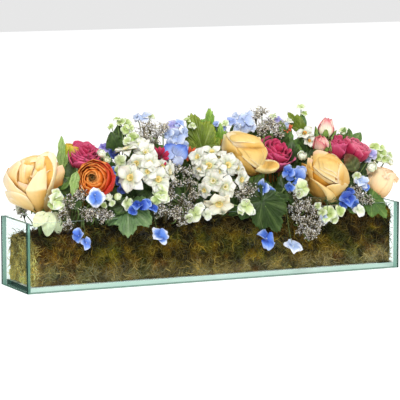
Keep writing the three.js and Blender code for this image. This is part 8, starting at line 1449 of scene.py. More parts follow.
            (0.8, None, [(-87.3, 23.4, 86.0), (-87.1, 25.4, 102.8), (-86.9, 30.6, 120.1), (-86.8, 37.6, 136.7), (-87.3, 45.2, 151.2), (-88.6, 52.0, 162.2)]),
            (0.8, None, [(-74.9, 23.7, 86.0), (-75.3, 25.8, 104.0), (-76.1, 31.2, 122.8), (-76.9, 38.4, 140.7), (-77.0, 46.0, 156.2), (-76.1, 52.8, 167.6)]),
            (0.8, None, [(-56.6, 23.6, 86.0), (-56.7, 25.6, 104.0), (-56.9, 30.8, 122.8), (-57.1, 37.8, 140.8), (-57.3, 45.4, 156.2), (-57.5, 52.5, 167.6)]),
            (0.8, None, [(-45.2, 29.7, 86.0), (-45.4, 32.0, 95.6), (-45.7, 38.0, 105.4), (-46.0, 46.5, 114.9), (-46.2, 56.2, 123.2), (-45.9, 66.1, 129.6)]),
            (0.8, None, [(-27.5, 25.2, 86.0), (-27.6, 27.3, 102.2), (-27.9, 32.5, 119.1), (-28.1, 39.9, 135.3), (-28.2, 48.1, 149.1), (-27.9, 56.1, 159.3)]),
            (0.8, None, [(-22.8, 29.4, 86.0), (-23.3, 31.7, 97.5), (-24.2, 37.8, 109.5), (-24.9, 46.3, 120.9), (-24.8, 55.9, 130.8), (-23.2, 65.3, 138.2)]),
            (0.8, None, [(-9.7, 19.4, 86.0), (-9.7, 21.1, 111.9), (-9.7, 25.6, 139.2), (-9.7, 31.6, 165.2), (-9.7, 37.8, 186.8), (-9.8, 43.0, 201.2)]),
            (0.8, None, [(-1.2, 35.0, 86.0), (-1.1, 37.9, 90.1), (-0.9, 45.4, 94.4), (-0.8, 55.8, 98.5), (-0.8, 67.1, 102.1), (-1.2, 77.7, 104.8)]),
            (0.8, None, [(54.0, 28.7, 86.0), (53.8, 31.0, 99.2), (53.6, 37.0, 112.9), (53.6, 45.3, 126.0), (53.9, 54.7, 137.3), (54.8, 63.8, 145.6)]),
            (0.8, None, [(67.4, 21.7, 86.0), (67.7, 23.5, 106.7), (68.2, 28.2, 128.4), (68.7, 34.7, 149.1), (68.9, 41.7, 166.6), (68.4, 48.2, 179.0)]),
            (0.8, None, [(72.1, 23.2, 86.0), (72.1, 25.2, 107.5), (72.2, 30.5, 130.1), (72.3, 37.6, 151.6), (72.7, 45.0, 169.7), (73.2, 51.5, 182.5)]),
            (0.8, None, [(105.5, 24.3, 86.0), (105.4, 26.3, 102.8), (105.1, 31.6, 120.3), (105.2, 38.8, 137.0), (105.7, 46.7, 151.5), (107.1, 53.9, 162.2)]),
            (0.8, None, [(119.6, 34.6, 86.0), (120.1, 37.5, 90.3), (121.1, 45.0, 94.7), (122.1, 55.2, 98.9), (122.4, 66.5, 102.5), (121.4, 76.8, 105.3)]),
            (0.8, None, [(143.1, 25.6, 86.0), (143.4, 27.7, 99.0), (144.2, 33.1, 112.2), (145.0, 40.6, 125.0), (145.5, 49.0, 136.4), (145.3, 57.0, 145.6)]),
            (0.8, None, [(155.4, 27.5, 86.0), (155.1, 29.7, 96.7), (154.8, 35.5, 107.6), (154.8, 43.5, 118.1), (155.6, 52.5, 127.5), (157.7, 61.1, 135.3)]),
            (0.8, None, [(183.9, 27.6, 86.0), (184.3, 29.7, 94.7), (185.1, 35.3, 103.5), (186.0, 43.2, 111.9), (186.7, 52.3, 119.8), (186.7, 61.3, 126.8)]),
            (0.8, None, [(206.4, 33.4, 86.0), (207.0, 36.2, 90.5), (208.3, 43.4, 95.1), (209.7, 53.2, 99.6), (210.3, 64.1, 103.5), (209.6, 74.2, 106.6)]),
            (0.8, None, [(236.4, 31.7, 86.0), (236.5, 34.3, 90.8), (237.0, 41.1, 95.8), (237.8, 50.5, 100.6), (238.8, 60.8, 104.8), (240.0, 70.5, 108.3)]),
            (0.8, None, [(238.1, 25.9, 86.0), (238.4, 28.0, 94.0), (239.0, 33.5, 101.8), (239.8, 41.1, 109.5), (240.8, 49.5, 117.0), (241.8, 57.6, 124.4)]),
            (0.8, None, [(250.6, 23.6, 86.0), (250.7, 25.6, 94.6), (250.9, 30.7, 102.9), (251.5, 37.7, 111.1), (252.6, 45.4, 119.3), (254.4, 52.5, 127.4)]),
            (0.8, None, [(263.1, 31.8, 86.0), (263.3, 34.4, 91.0), (263.8, 41.3, 96.1), (264.6, 50.7, 101.0), (265.8, 61.0, 105.5), (267.1, 70.6, 109.4)]),
            (0.8, None, [(-39.4, 11.7, 86.0), (-39.6, 12.6, 108.7), (-40.1, 15.1, 132.4), (-40.5, 18.5, 155.0), (-40.6, 22.3, 174.3), (-40.0, 26.0, 188.0)]),
            (0.8, None, [(47.3, 13.5, 86.0), (47.3, 14.7, 109.6), (47.4, 17.7, 134.4), (47.6, 21.7, 158.0), (47.8, 26.1, 178.0), (48.0, 30.0, 192.0)]),
            (0.8, None, [(82.7, 13.5, 86.0), (82.8, 14.7, 107.2), (83.0, 17.7, 129.4), (83.3, 21.7, 150.5), (83.7, 26.1, 168.7), (84.0, 30.0, 182.0)]),
            (0.8, None, [(157.6, 11.7, 86.0), (157.7, 12.6, 100.1), (158.0, 15.1, 114.3), (158.5, 18.5, 128.1), (159.1, 22.3, 140.8), (160.0, 26.0, 152.0)]),
            (0.8, None, [(-118.2, 13.5, 86.0), (-118.3, 14.7, 102.0), (-118.6, 17.7, 118.3), (-119.0, 21.7, 134.0), (-119.5, 26.1, 148.2), (-120.0, 30.0, 160.0)]),
            (0.8, None, [(-208.8, 11.7, 86.0), (-209.3, 12.7, 94.6), (-210.4, 15.3, 102.9), (-211.6, 18.9, 111.1), (-212.3, 22.6, 119.4), (-212.0, 26.0, 128.0)]),
            (0.8, None, [(236.4, 10.8, 86.0), (236.9, 11.7, 93.8), (237.9, 14.2, 101.3), (239.1, 17.4, 108.7), (239.9, 20.9, 116.2), (240.0, 24.0, 124.0)]),
        ],
    },
    "filler_front": {
        "heads": [
            {"t": "puff", "P": [-248.6, -46.0, 112.8], "R": 10.1, "H": 11.5, "D": [0.0, 0.0, 1.0]},
            {"t": "puff", "P": [-225.0, -42.0, 131.5], "R": 11.6, "H": 11.6, "D": [0.0, 0.0, 1.0]},
            {"t": "puff", "P": [-203.6, -58.0, 114.7], "R": 11.6, "H": 10.1, "D": [0.0, 0.0, 1.0]},
            {"t": "puff", "P": [-179.9, -54.0, 109.9], "R": 8.7, "H": 8.7, "D": [0.0, 0.0, 1.0]},
            {"t": "puff", "P": [-87.8, 2.0, 226.6], "R": 13.3, "H": 11.8, "D": [0.0, 0.0, 1.0]},
            {"t": "puff", "P": [-64.0, 8.0, 225.1], "R": 10.4, "H": 11.9, "D": [0.0, 0.0, 1.0]},
            {"t": "puff", "P": [-96.1, -2.0, 212.5], "R": 10.4, "H": 8.9, "D": [0.0, 0.0, 1.0]},
            {"t": "puff", "P": [-63.4, -30.0, 166.1], "R": 11.8, "H": 11.8, "D": [0.0, 0.0, 1.0]},
            {"t": "puff", "P": [-43.9, -30.0, 165.2], "R": 13.3, "H": 13.3, "D": [0.0, 0.0, 1.0]},
            {"t": "puff", "P": [-23.4, -28.0, 161.0], "R": 10.4, "H": 11.9, "D": [0.0, 0.0, 1.0]},
            {"t": "puff", "P": [-79.1, -50.0, 130.5], "R": 13.2, "H": 14.7, "D": [0.0, 0.0, 1.0]},
            {"t": "puff", "P": [-45.3, -54.0, 111.4], "R": 11.8, "H": 11.8, "D": [0.0, 0.0, 1.0]},
            {"t": "puff", "P": [-74.0, -60.0, 107.7], "R": 11.7, "H": 11.7, "D": [0.0, 0.0, 1.0]},
            {"t": "puff", "P": [-98.0, -56.0, 117.4], "R": 10.2, "H": 10.2, "D": [0.0, 0.0, 1.0]},
            {"t": "puff", "P": [106.6, 20.0, 241.5], "R": 10.6, "H": 9.1, "D": [0.0, 0.0, 1.0]},
            {"t": "puff", "P": [119.6, 12.0, 223.3], "R": 12.2, "H": 12.2, "D": [0.0, 0.0, 1.0]},
            {"t": "puff", "P": [104.1, 8.0, 218.2], "R": 12.1, "H": 10.6, "D": [0.0, 0.0, 1.0]},
            {"t": "puff", "P": [138.8, 16.0, 219.2], "R": 10.7, "H": 10.7, "D": [0.0, 0.0, 1.0]},
            {"t": "puff", "P": [52.9, -48.0, 132.4], "R": 11.9, "H": 11.9, "D": [0.0, 0.0, 1.0]},
            {"t": "puff", "P": [40.0, -54.0, 118.7], "R": 8.9, "H": 8.9, "D": [0.0, 0.0, 1.0]},
            {"t": "puff", "P": [125.8, -50.0, 119.7], "R": 10.5, "H": 12.0, "D": [0.0, 0.0, 1.0]},
            {"t": "puff", "P": [139.7, -56.0, 107.5], "R": 12.0, "H": 12.0, "D": [0.0, 0.0, 1.0]},
            {"t": "puff", "P": [143.5, -62.0, 80.7], "R": 12.0, "H": 13.5, "D": [0.0, 0.0, 1.0]},
            {"t": "puff", "P": [128.6, -58.0, 87.2], "R": 10.5, "H": 10.5, "D": [0.0, 0.0, 1.0]},
            {"t": "puff", "P": [144.9, -66.0, 62.9], "R": 9.0, "H": 9.0, "D": [0.0, 0.0, 1.0]},
            {"t": "puff", "P": [252.8, -50.0, 106.9], "R": 9.2, "H": 9.2, "D": [0.0, 0.0, 1.0]},
            {"t": "puff", "P": [234.0, -46.0, 125.9], "R": 9.1, "H": 9.1, "D": [0.0, 0.0, 1.0]},
            {"t": "puff", "P": [28.5, -30.0, 140.7], "R": 9.0, "H": 10.5, "D": [0.0, 0.0, 1.0]},
            {"t": "puff", "P": [161.5, -60.0, 79.5], "R": 9.0, "H": 9.0, "D": [0.0, 0.0, 1.0]},
        ],
        "stalks": [
            (0.9, None, [(-244.9, -20.7, 86.0), (-245.2, -23.3, 89.2), (-246.2, -29.6, 91.7), (-247.3, -37.1, 94.5), (-248.2, -43.4, 98.2), (-248.6, -46.0, 103.6)]),
            (0.9, None, [(-221.6, -18.9, 86.0), (-222.0, -21.3, 93.2), (-222.8, -27.0, 99.9), (-223.8, -33.9, 106.6), (-224.6, -39.6, 113.9), (-225.0, -42.0, 122.2)]),
            (0.9, None, [(-200.5, -26.1, 86.0), (-200.8, -29.4, 89.6), (-201.6, -37.3, 92.5), (-202.5, -46.8, 95.6), (-203.3, -54.7, 100.0), (-203.6, -58.0, 106.6)]),
            (0.9, None, [(-177.2, -24.3, 86.0), (-177.5, -27.4, 88.9), (-178.1, -34.8, 91.1), (-178.9, -43.5, 93.5), (-179.6, -50.9, 97.2), (-179.9, -54.0, 103.0)]),
            (0.9, None, [(-86.5, 0.9, 86.0), (-86.6, 1.0, 115.5), (-86.9, 1.3, 146.8), (-87.3, 1.6, 176.4), (-87.7, 1.9, 201.0), (-87.8, 2.0, 217.2)]),
            (0.9, None, [(-63.0, 3.6, 86.0), (-63.1, 4.1, 115.2), (-63.3, 5.1, 146.0), (-63.6, 6.5, 175.3), (-63.9, 7.5, 199.6), (-64.0, 8.0, 215.6)]),
            (0.9, None, [(-94.7, -0.9, 86.0), (-94.8, -1.0, 112.7), (-95.2, -1.3, 140.9), (-95.6, -1.6, 167.6), (-96.0, -1.9, 190.1), (-96.1, -2.0, 205.4)]),
            (0.9, None, [(-62.5, -13.5, 86.0), (-62.6, -15.2, 101.1), (-62.8, -19.3, 116.4), (-63.1, -24.2, 131.2), (-63.3, -28.3, 144.8), (-63.4, -30.0, 156.7)]),
            (0.9, None, [(-43.3, -13.5, 86.0), (-43.3, -15.2, 100.6), (-43.5, -19.3, 115.3), (-43.7, -24.2, 129.5), (-43.8, -28.3, 142.8), (-43.9, -30.0, 154.5)]),
            (0.9, None, [(-23.0, -12.6, 86.0), (-23.0, -14.2, 99.9), (-23.1, -18.0, 113.8), (-23.2, -22.6, 127.3), (-23.3, -26.4, 140.0), (-23.4, -28.0, 151.5)]),
            (0.9, None, [(-77.9, -22.5, 86.0), (-78.1, -25.4, 92.4), (-78.3, -32.2, 98.2), (-78.7, -40.3, 104.1), (-79.0, -47.1, 110.7), (-79.1, -50.0, 118.8)]),
            (0.9, None, [(-44.7, -24.3, 86.0), (-44.7, -27.4, 88.7), (-44.9, -34.8, 90.6), (-45.1, -43.5, 92.8), (-45.3, -50.9, 96.3), (-45.3, -54.0, 101.9)]),
            (0.9, None, [(-72.9, -27.0, 86.0), (-73.0, -30.4, 87.8), (-73.3, -38.6, 88.6), (-73.6, -48.4, 89.9), (-73.9, -56.6, 92.7), (-74.0, -60.0, 98.3)]),
            (0.9, None, [(-96.5, -25.2, 86.0), (-96.7, -28.4, 90.2), (-97.0, -36.0, 93.8), (-97.5, -45.2, 97.6), (-97.8, -52.8, 102.4), (-98.0, -56.0, 109.2)]),
            (0.9, None, [(105.0, 9.0, 86.0), (105.2, 10.1, 119.6), (105.6, 12.9, 155.4), (106.0, 16.1, 189.2), (106.4, 18.9, 216.8), (106.6, 20.0, 234.2)]),
            (0.9, None, [(117.8, 5.4, 86.0), (118.0, 6.1, 114.7), (118.5, 7.7, 145.0), (119.0, 9.7, 173.8), (119.5, 11.3, 197.7), (119.6, 12.0, 213.6)]),
            (0.9, None, [(102.5, 3.6, 86.0), (102.7, 4.1, 113.8), (103.1, 5.1, 143.1), (103.5, 6.5, 170.9), (103.9, 7.5, 194.1), (104.1, 8.0, 209.7)]),
            (0.9, None, [(136.7, 7.2, 86.0), (136.9, 8.1, 114.0), (137.4, 10.3, 143.5), (138.0, 12.9, 171.5), (138.5, 15.1, 194.9), (138.8, 16.0, 210.6)]),
            (0.9, None, [(52.1, -21.6, 86.0), (52.2, -24.3, 93.3), (52.4, -30.9, 100.0), (52.7, -38.7, 106.7), (52.9, -45.3, 114.1), (52.9, -48.0, 122.8)]),
            (0.9, None, [(39.4, -24.3, 86.0), (39.5, -27.4, 90.8), (39.7, -34.8, 94.9), (39.8, -43.5, 99.2), (40.0, -50.9, 104.5), (40.0, -54.0, 111.5)]),
            (0.9, None, [(123.9, -22.5, 86.0), (124.1, -25.4, 90.5), (124.6, -32.2, 94.4), (125.1, -40.3, 98.5), (125.6, -47.1, 103.5), (125.8, -50.0, 110.1)]),
            (0.9, None, [(137.6, -25.2, 86.0), (137.8, -28.4, 87.7), (138.3, -36.0, 88.7), (138.9, -45.2, 89.9), (139.4, -52.8, 92.6), (139.7, -56.0, 97.9)]),
            (0.9, None, [(141.3, -27.9, 86.0), (141.5, -31.4, 80.9), (142.1, -39.9, 74.1), (142.7, -50.0, 68.2), (143.2, -58.5, 66.0), (143.5, -62.0, 69.9)]),
            (0.9, None, [(126.6, -26.1, 86.0), (126.8, -29.4, 83.2), (127.3, -37.3, 79.0), (127.9, -46.8, 75.6), (128.4, -54.7, 74.8), (128.6, -58.0, 78.7)]),
            (0.9, None, [(142.7, -29.7, 86.0), (142.9, -33.5, 77.2), (143.5, -42.5, 66.0), (144.1, -53.2, 56.2), (144.6, -62.2, 51.5), (144.9, -66.0, 55.7)]),
            (0.9, None, [(249.0, -22.5, 86.0), (249.4, -25.4, 88.2), (250.3, -32.2, 89.7), (251.4, -40.3, 91.5), (252.4, -47.1, 94.5), (252.8, -50.0, 99.6)]),
            (0.9, None, [(230.5, -20.7, 86.0), (230.8, -23.3, 92.4), (231.7, -29.6, 98.2), (232.7, -37.1, 104.1), (233.6, -43.4, 110.7), (234.0, -46.0, 118.5)]),
            (0.9, None, [(28.1, -13.5, 86.0), (28.1, -15.2, 95.4), (28.2, -19.3, 104.3), (28.3, -24.2, 113.2), (28.5, -28.3, 122.4), (28.5, -30.0, 132.3)]),
            (0.9, None, [(159.1, -27.0, 86.0), (159.3, -30.4, 81.5), (160.0, -38.6, 75.5), (160.7, -48.4, 70.3), (161.3, -56.6, 68.4), (161.5, -60.0, 72.2)]),
        ],
    },
    "trim_flowers": {
        "heads": [
            {"t": "cup", "P": [-81.8, -20.2, 182.4], "D": [-0.508, -0.726, 0.464], "R": 15, "H": 16, "kind": "star"},
            {"t": "cup", "P": [-27.6, -1.5, 179.9], "D": [0.054, -0.72, 0.692], "R": 13, "H": 18, "kind": "orange"},
            {"t": "cup", "P": [147.9, 11.9, 211.2], "D": [-0.503, -0.343, 0.793], "R": 8, "H": 11, "kind": "orange"},
        ],
        "stalks": [
            (1.2, None, [(-80.6, -9.1, 86.0), (-79.9, -9.0, 108.2), (-78.4, -9.2, 132.1), (-77.4, -10.6, 154.6), (-78.2, -14.0, 172.4), (-81.8, -20.2, 182.4)]),
            (1.2, None, [(-27.2, -0.7, 86.0), (-27.3, 0.5, 107.2), (-27.6, 2.8, 129.7), (-27.9, 4.4, 150.9), (-27.9, 3.5, 168.5), (-27.6, -1.5, 179.9)]),
            (1.0, None, [(145.7, 5.3, 86.0), (146.8, 6.6, 114.5), (149.0, 9.4, 144.9), (151.0, 12.2, 173.6), (151.1, 13.6, 196.9), (147.9, 11.9, 211.2)]),
        ],
    },
    "foliage_back": {
        "heads": [
            {"t": "leaf", "P": [-227.8, 50.3, 115.7], "T": [-235.4, 60.2, 142.1], "N": [0.318, 0.914, -0.251], "W": 33.7, "shape": "oval", "col": "dark"},
            {"t": "leaf", "P": [-212.6, 57.0, 108.3], "T": [-199.0, 65.6, 87.7], "N": [-0.082, 0.938, 0.338], "W": 26.2, "shape": "lobed", "col": "mid"},
            {"t": "leaf", "P": [-202.9, 55.9, 107.3], "T": [-180.1, 58.7, 82.9], "N": [0.138, 0.962, 0.237], "W": 33.0, "shape": "lobed", "col": "mid"},
            {"t": "leaf", "P": [-189.3, 61.2, 106.3], "T": [-174.1, 70.5, 84.4], "N": [-0.037, 0.928, 0.37], "W": 30.5, "shape": "lobed", "col": "olive"},
            {"t": "leaf", "P": [-183.5, 62.4, 98.0], "T": [-164.4, 64.8, 75.1], "N": [0.163, 0.958, 0.238], "W": 34.4, "shape": "oval", "col": "olive"},
            {"t": "leaf", "P": [-165.8, 64.5, 102.9], "T": [-157.0, 69.6, 69.1], "N": [-0.065, 0.989, 0.131], "W": 30.5, "shape": "lobed", "col": "mid"},
            {"t": "leaf", "P": [-155.3, 43.5, 141.0], "T": [-145.2, 47.2, 176.9], "N": [-0.184, 0.982, -0.051], "W": 31.2, "shape": "oval", "col": "green"},
            {"t": "leaf", "P": [-149.1, 56.2, 113.1], "T": [-121.5, 57.7, 97.9], "N": [0.151, 0.917, 0.369], "W": 32.2, "shape": "lobed", "col": "olive"},
            {"t": "leaf", "P": [-136.8, 58.0, 120.0], "T": [-112.7, 67.3, 102.6], "N": [-0.025, 0.896, 0.444], "W": 37.2, "shape": "lobed", "col": "dark"},
            {"t": "leaf", "P": [-124.0, 51.0, 128.7], "T": [-154.5, 52.8, 150.1], "N": [0.215, 0.951, 0.224], "W": 27.0, "shape": "lobed", "col": "dark"},
            {"t": "leaf", "P": [-108.4, 44.6, 147.8], "T": [-96.5, 47.9, 175.3], "N": [-0.217, 0.976, -0.025], "W": 31.4, "shape": "oval", "col": "mid"},
            {"t": "leaf", "P": [-102.0, 58.1, 124.5], "T": [-102.2, 66.2, 92.7], "N": [-0.08, 0.966, 0.245], "W": 34.5, "shape": "lobed", "col": "dark"},
            {"t": "leaf", "P": [-88.3, 41.9, 166.7], "T": [-111.7, 50.8, 177.9], "N": [0.422, 0.888, 0.182], "W": 37.0, "shape": "lobed", "col": "olive"},
            {"t": "leaf", "P": [-74.9, 57.6, 118.5], "T": [-95.6, 67.6, 97.4], "N": [0.108, 0.935, 0.337], "W": 37.0, "shape": "lobed", "col": "olive"},
            {"t": "leaf", "P": [-61.8, 60.8, 115.0], "T": [-41.8, 62.6, 93.8], "N": [0.209, 0.937, 0.278], "W": 26.5, "shape": "lobed", "col": "green"},
            {"t": "leaf", "P": [-53.5, 40.6, 171.6], "T": [-31.6, 40.7, 183.3], "N": [-0.137, 0.96, 0.244], "W": 39.0, "shape": "oval", "col": "dark"},
            {"t": "leaf", "P": [-41.9, 58.6, 122.5], "T": [-17.0, 61.4, 94.2], "N": [0.188, 0.947, 0.26], "W": 31.1, "shape": "lobed", "col": "mid"},
            {"t": "leaf", "P": [-24.0, 47.0, 155.5], "T": [-46.8, 49.6, 179.8], "N": [0.221, 0.97, 0.103], "W": 32.9, "shape": "oval", "col": "green"},
            {"t": "leaf", "P": [-16.1, 63.7, 104.7], "T": [3.2, 70.7, 85.0], "N": [0.111, 0.897, 0.428], "W": 38.6, "shape": "lobed", "col": "olive"},
            {"t": "leaf", "P": [-1.2, 43.2, 177.8], "T": [-7.7, 48.4, 209.4], "N": [0.128, 0.982, -0.136], "W": 27.2, "shape": "oval", "col": "mid"},
            {"t": "leaf", "P": [9.2, 61.3, 105.8], "T": [-16.9, 66.9, 95.4], "N": [0.013, 0.894, 0.448], "W": 29.6, "shape": "lobed", "col": "dark"},
            {"t": "leaf", "P": [17.4, 56.3, 123.9], "T": [-7.1, 56.9, 95.6], "N": [-0.212, 0.955, 0.206], "W": 38.8, "shape": "lobed", "col": "mid"},
            {"t": "leaf", "P": [31.1, 56.5, 136.3], "T": [10.6, 65.3, 106.0], "N": [-0.133, 0.923, 0.36], "W": 32.6, "shape": "lobed", "col": "green"},
            {"t": "leaf", "P": [40.3, 49.8, 164.0], "T": [18.4, 55.3, 174.5], "N": [0.355, 0.895, 0.271], "W": 28.6, "shape": "lobed", "col": "mid"},
            {"t": "leaf", "P": [54.9, 50.0, 148.9], "T": [43.3, 53.5, 178.9], "N": [0.127, 0.99, -0.068], "W": 39.2, "shape": "lobed", "col": "green"},
            {"t": "leaf", "P": [65.8, 61.8, 114.5], "T": [48.7, 64.8, 97.5], "N": [-0.109, 0.953, 0.281], "W": 38.7, "shape": "lobed", "col": "dark"},
            {"t": "leaf", "P": [77.3, 60.8, 118.2], "T": [57.3, 70.2, 99.8], "N": [0.099, 0.926, 0.365], "W": 28.3, "shape": "lobed", "col": "mid"},
            {"t": "leaf", "P": [92.4, 56.0, 134.8], "T": [100.4, 62.7, 105.5], "N": [-0.053, 0.977, 0.209], "W": 27.5, "shape": "lobed", "col": "dark"},
            {"t": "leaf", "P": [105.1, 50.8, 146.3], "T": [82.0, 52.3, 162.4], "N": [0.206, 0.957, 0.206], "W": 26.2, "shape": "lobed", "col": "dark"},
            {"t": "leaf", "P": [115.2, 54.2, 129.0], "T": [134.2, 62.7, 104.0], "N": [0.09, 0.921, 0.379], "W": 39.9, "shape": "lobed", "col": "olive"},
            {"t": "leaf", "P": [125.8, 51.0, 140.5], "T": [152.2, 55.4, 158.6], "N": [-0.262, 0.953, 0.149], "W": 39.8, "shape": "oval", "col": "mid"},
            {"t": "leaf", "P": [132.8, 62.5, 113.1], "T": [119.8, 67.9, 80.0], "N": [-0.041, 0.984, 0.176], "W": 33.5, "shape": "lobed", "col": "olive"},
            {"t": "leaf", "P": [145.3, 55.2, 132.1], "T": [166.9, 56.7, 144.0], "N": [-0.195, 0.953, 0.23], "W": 27.4, "shape": "oval", "col": "olive"},
            {"t": "leaf", "P": [158.1, 52.6, 133.6], "T": [182.8, 60.6, 151.8], "N": [-0.398, 0.906, 0.142], "W": 38.1, "shape": "lobed", "col": "mid"},
            {"t": "leaf", "P": [175.6, 56.5, 121.8], "T": [200.4, 58.9, 107.2], "N": [0.093, 0.945, 0.313], "W": 28.0, "shape": "lobed", "col": "dark"},
            {"t": "leaf", "P": [185.3, 48.4, 130.3], "T": [168.6, 50.2, 159.8], "N": [0.282, 0.954, 0.104], "W": 31.9, "shape": "lobed", "col": "olive"},
            {"t": "leaf", "P": [194.5, 60.0, 113.4], "T": [206.7, 63.9, 89.6], "N": [0.14, 0.962, 0.233], "W": 31.4, "shape": "lobed", "col": "dark"},
            {"t": "leaf", "P": [203.6, 40.7, 143.8], "T": [207.4, 45.2, 173.8], "N": [-0.22, 0.968, -0.118], "W": 29.9, "shape": "oval", "col": "green"},
            {"t": "leaf", "P": [218.0, 51.5, 119.7], "T": [248.1, 56.5, 140.2], "N": [-0.278, 0.944, 0.179], "W": 28.1, "shape": "oval", "col": "dark"},
            {"t": "leaf", "P": [227.1, 52.0, 118.5], "T": [231.2, 56.6, 142.2], "N": [-0.17, 0.973, -0.158], "W": 26.2, "shape": "lobed", "col": "olive"},
            {"t": "leaf", "P": [239.6, 56.6, 112.0], "T": [215.2, 64.7, 87.3], "N": [-0.025, 0.942, 0.335], "W": 26.0, "shape": "lobed", "col": "green"},
            {"t": "leaf", "P": [256.9, 44.5, 121.4], "T": [227.5, 53.5, 133.7], "N": [0.391, 0.872, 0.294], "W": 34.5, "shape": "lobed", "col": "olive"},
            {"t": "leaf", "P": [265.0, 49.7, 113.7], "T": [245.2, 59.0, 140.1], "N": [0.435, 0.9, 0.01], "W": 29.3, "shape": "oval", "col": "mid"},
            {"t": "leaf", "P": [274.8, 60.9, 105.1], "T": [298.3, 63.5, 94.5], "N": [0.05, 0.941, 0.336], "W": 38.9, "shape": "oval", "col": "green"},
            {"t": "leaf", "P": [-60.0, 20.0, 176.0], "T": [-64.5, 35.6, 184.0], "N": [0.14, -0.42, 0.897], "W": 26, "shape": "lobed", "col": "dark"},
            {"t": "leaf", "P": [-20.0, 12.0, 182.0], "T": [-39.4, 15.9, 190.0], "N": [0.388, 0.04, 0.921], "W": 26, "shape": "lobed", "col": "mid"},
            {"t": "leaf", "P": [30.0, 18.0, 186.0], "T": [11.3, 12.3, 194.0], "N": [0.334, 0.198, 0.922], "W": 26, "shape": "lobed", "col": "dark"},
            {"t": "leaf", "P": [66.0, 24.0, 182.0], "T": [47.0, 29.0, 190.0], "N": [0.392, 0.017, 0.92], "W": 26, "shape": "lobed", "col": "mid"},
            {"t": "leaf", "P": [100.0, 16.0, 172.0], "T": [107.7, 30.8, 180.0], "N": [-0.175, -0.397, 0.901], "W": 26, "shape": "lobed", "col": "dark"},
            {"t": "leaf", "P": [140.0, 14.0, 154.0], "T": [150.6, 0.5, 162.0], "N": [-0.15, 0.412, 0.898], "W": 26, "shape": "lobed", "col": "mid"},
            {"t": "leaf", "P": [-100.0, 14.0, 162.0], "T": [-80.9, 9.1, 170.0], "N": [-0.333, 0.209, 0.92], "W": 26, "shape": "lobed", "col": "dark"},
            {"t": "leaf", "P": [-140.0, 18.0, 146.0], "T": [-145.0, 33.5, 154.0], "N": [0.254, -0.378, 0.89], "W": 26, "shape": "lobed", "col": "mid"},
            {"t": "leaf", "P": [180.0, 18.0, 136.0], "T": [187.4, 3.1, 144.0], "N": [-0.156, 0.407, 0.9], "W": 26, "shape": "lobed", "col": "dark"},
            {"t": "leaf", "P": [220.0, 14.0, 124.0], "T": [236.3, 23.3, 132.0], "N": [-0.364, -0.153, 0.919], "W": 26, "shape": "lobed", "col": "mid"},
            {"t": "leaf", "P": [-190.0, 20.0, 126.0], "T": [-185.5, 35.6, 134.0], "N": [-0.224, -0.393, 0.892], "W": 26, "shape": "lobed", "col": "dark"},
            {"t": "leaf", "P": [-226.0, 16.0, 114.0], "T": [-244.9, 10.7, 122.0], "N": [0.341, 0.179, 0.923], "W": 26, "shape": "lobed", "col": "mid"},
            {"t": "leaf", "P": [250.0, 12.0, 116.0], "T": [247.5, 27.9, 124.0], "N": [0.02, -0.447, 0.894], "W": 26, "shape": "lobed", "col": "dark"},
        ],
        "stalks": [
            (1.0, None, [(-224.4, 22.6, 86.0), (-224.4, 25.1, 91.9), (-224.5, 31.0, 97.3), (-225.0, 38.5, 102.7), (-226.0, 45.6, 108.7), (-227.8, 50.3, 115.7)]),
            (1.0, None, [(-209.4, 25.7, 86.0), (-210.4, 28.5, 92.3), (-212.5, 35.4, 100.3), (-214.5, 44.1, 107.3), (-215.0, 52.0, 110.8), (-212.6, 57.0, 108.3)]),
            (1.0, None, [(-199.9, 25.2, 86.0), (-201.1, 28.3, 92.0), (-203.6, 35.7, 99.5), (-205.7, 44.6, 106.1), (-206.1, 52.3, 109.5), (-202.9, 55.9, 107.3)]),
            (1.0, None, [(-186.5, 27.5, 86.0), (-187.5, 30.6, 91.9), (-189.6, 38.0, 99.3), (-191.5, 47.3, 105.8), (-191.9, 55.9, 109.0), (-189.3, 61.2, 106.3)]),
            (1.0, None, [(-180.8, 28.1, 86.0), (-181.8, 31.5, 89.8), (-184.1, 39.8, 94.8), (-186.1, 49.8, 99.2), (-186.4, 58.4, 100.9), (-183.5, 62.4, 98.0)]),
            (1.0, None, [(-163.3, 29.0, 86.0), (-163.9, 32.5, 91.3), (-165.2, 40.9, 98.3), (-166.4, 51.1, 104.4), (-166.8, 60.0, 106.8), (-165.8, 64.5, 102.9)]),
            (1.0, None, [(-153.0, 19.6, 86.0), (-153.7, 21.9, 97.5), (-155.2, 27.5, 108.7), (-156.6, 34.3, 119.8), (-156.9, 40.3, 130.5), (-155.3, 43.5, 141.0)]),
            (1.0, None, [(-146.9, 25.3, 86.0), (-148.4, 28.4, 93.1), (-151.3, 35.9, 101.6), (-153.8, 45.0, 109.3), (-153.8, 52.7, 113.9), (-149.1, 56.2, 113.1)]),
            (1.0, None, [(-134.7, 26.1, 86.0), (-136.2, 28.9, 95.0), (-139.1, 35.9, 105.8), (-141.5, 44.7, 115.4), (-141.4, 52.8, 121.1), (-136.8, 58.0, 120.0)]),
            (1.0, None, [(-122.1, 23.0, 86.0), (-120.9, 25.8, 95.2), (-118.6, 32.6, 104.5), (-117.0, 40.8, 113.5), (-118.2, 47.8, 121.7), (-124.0, 51.0, 128.7)]),
            (1.0, None, [(-106.8, 20.1, 86.0), (-107.6, 22.4, 99.2), (-109.4, 28.1, 112.4), (-110.9, 35.1, 125.2), (-111.0, 41.3, 137.2), (-108.4, 44.6, 147.8)]),
            (1.0, None, [(-100.5, 26.2, 86.0), (-100.6, 29.1, 96.8), (-101.0, 36.2, 110.3), (-101.4, 45.0, 122.2), (-101.8, 53.2, 128.3), (-102.0, 58.1, 124.5)]),
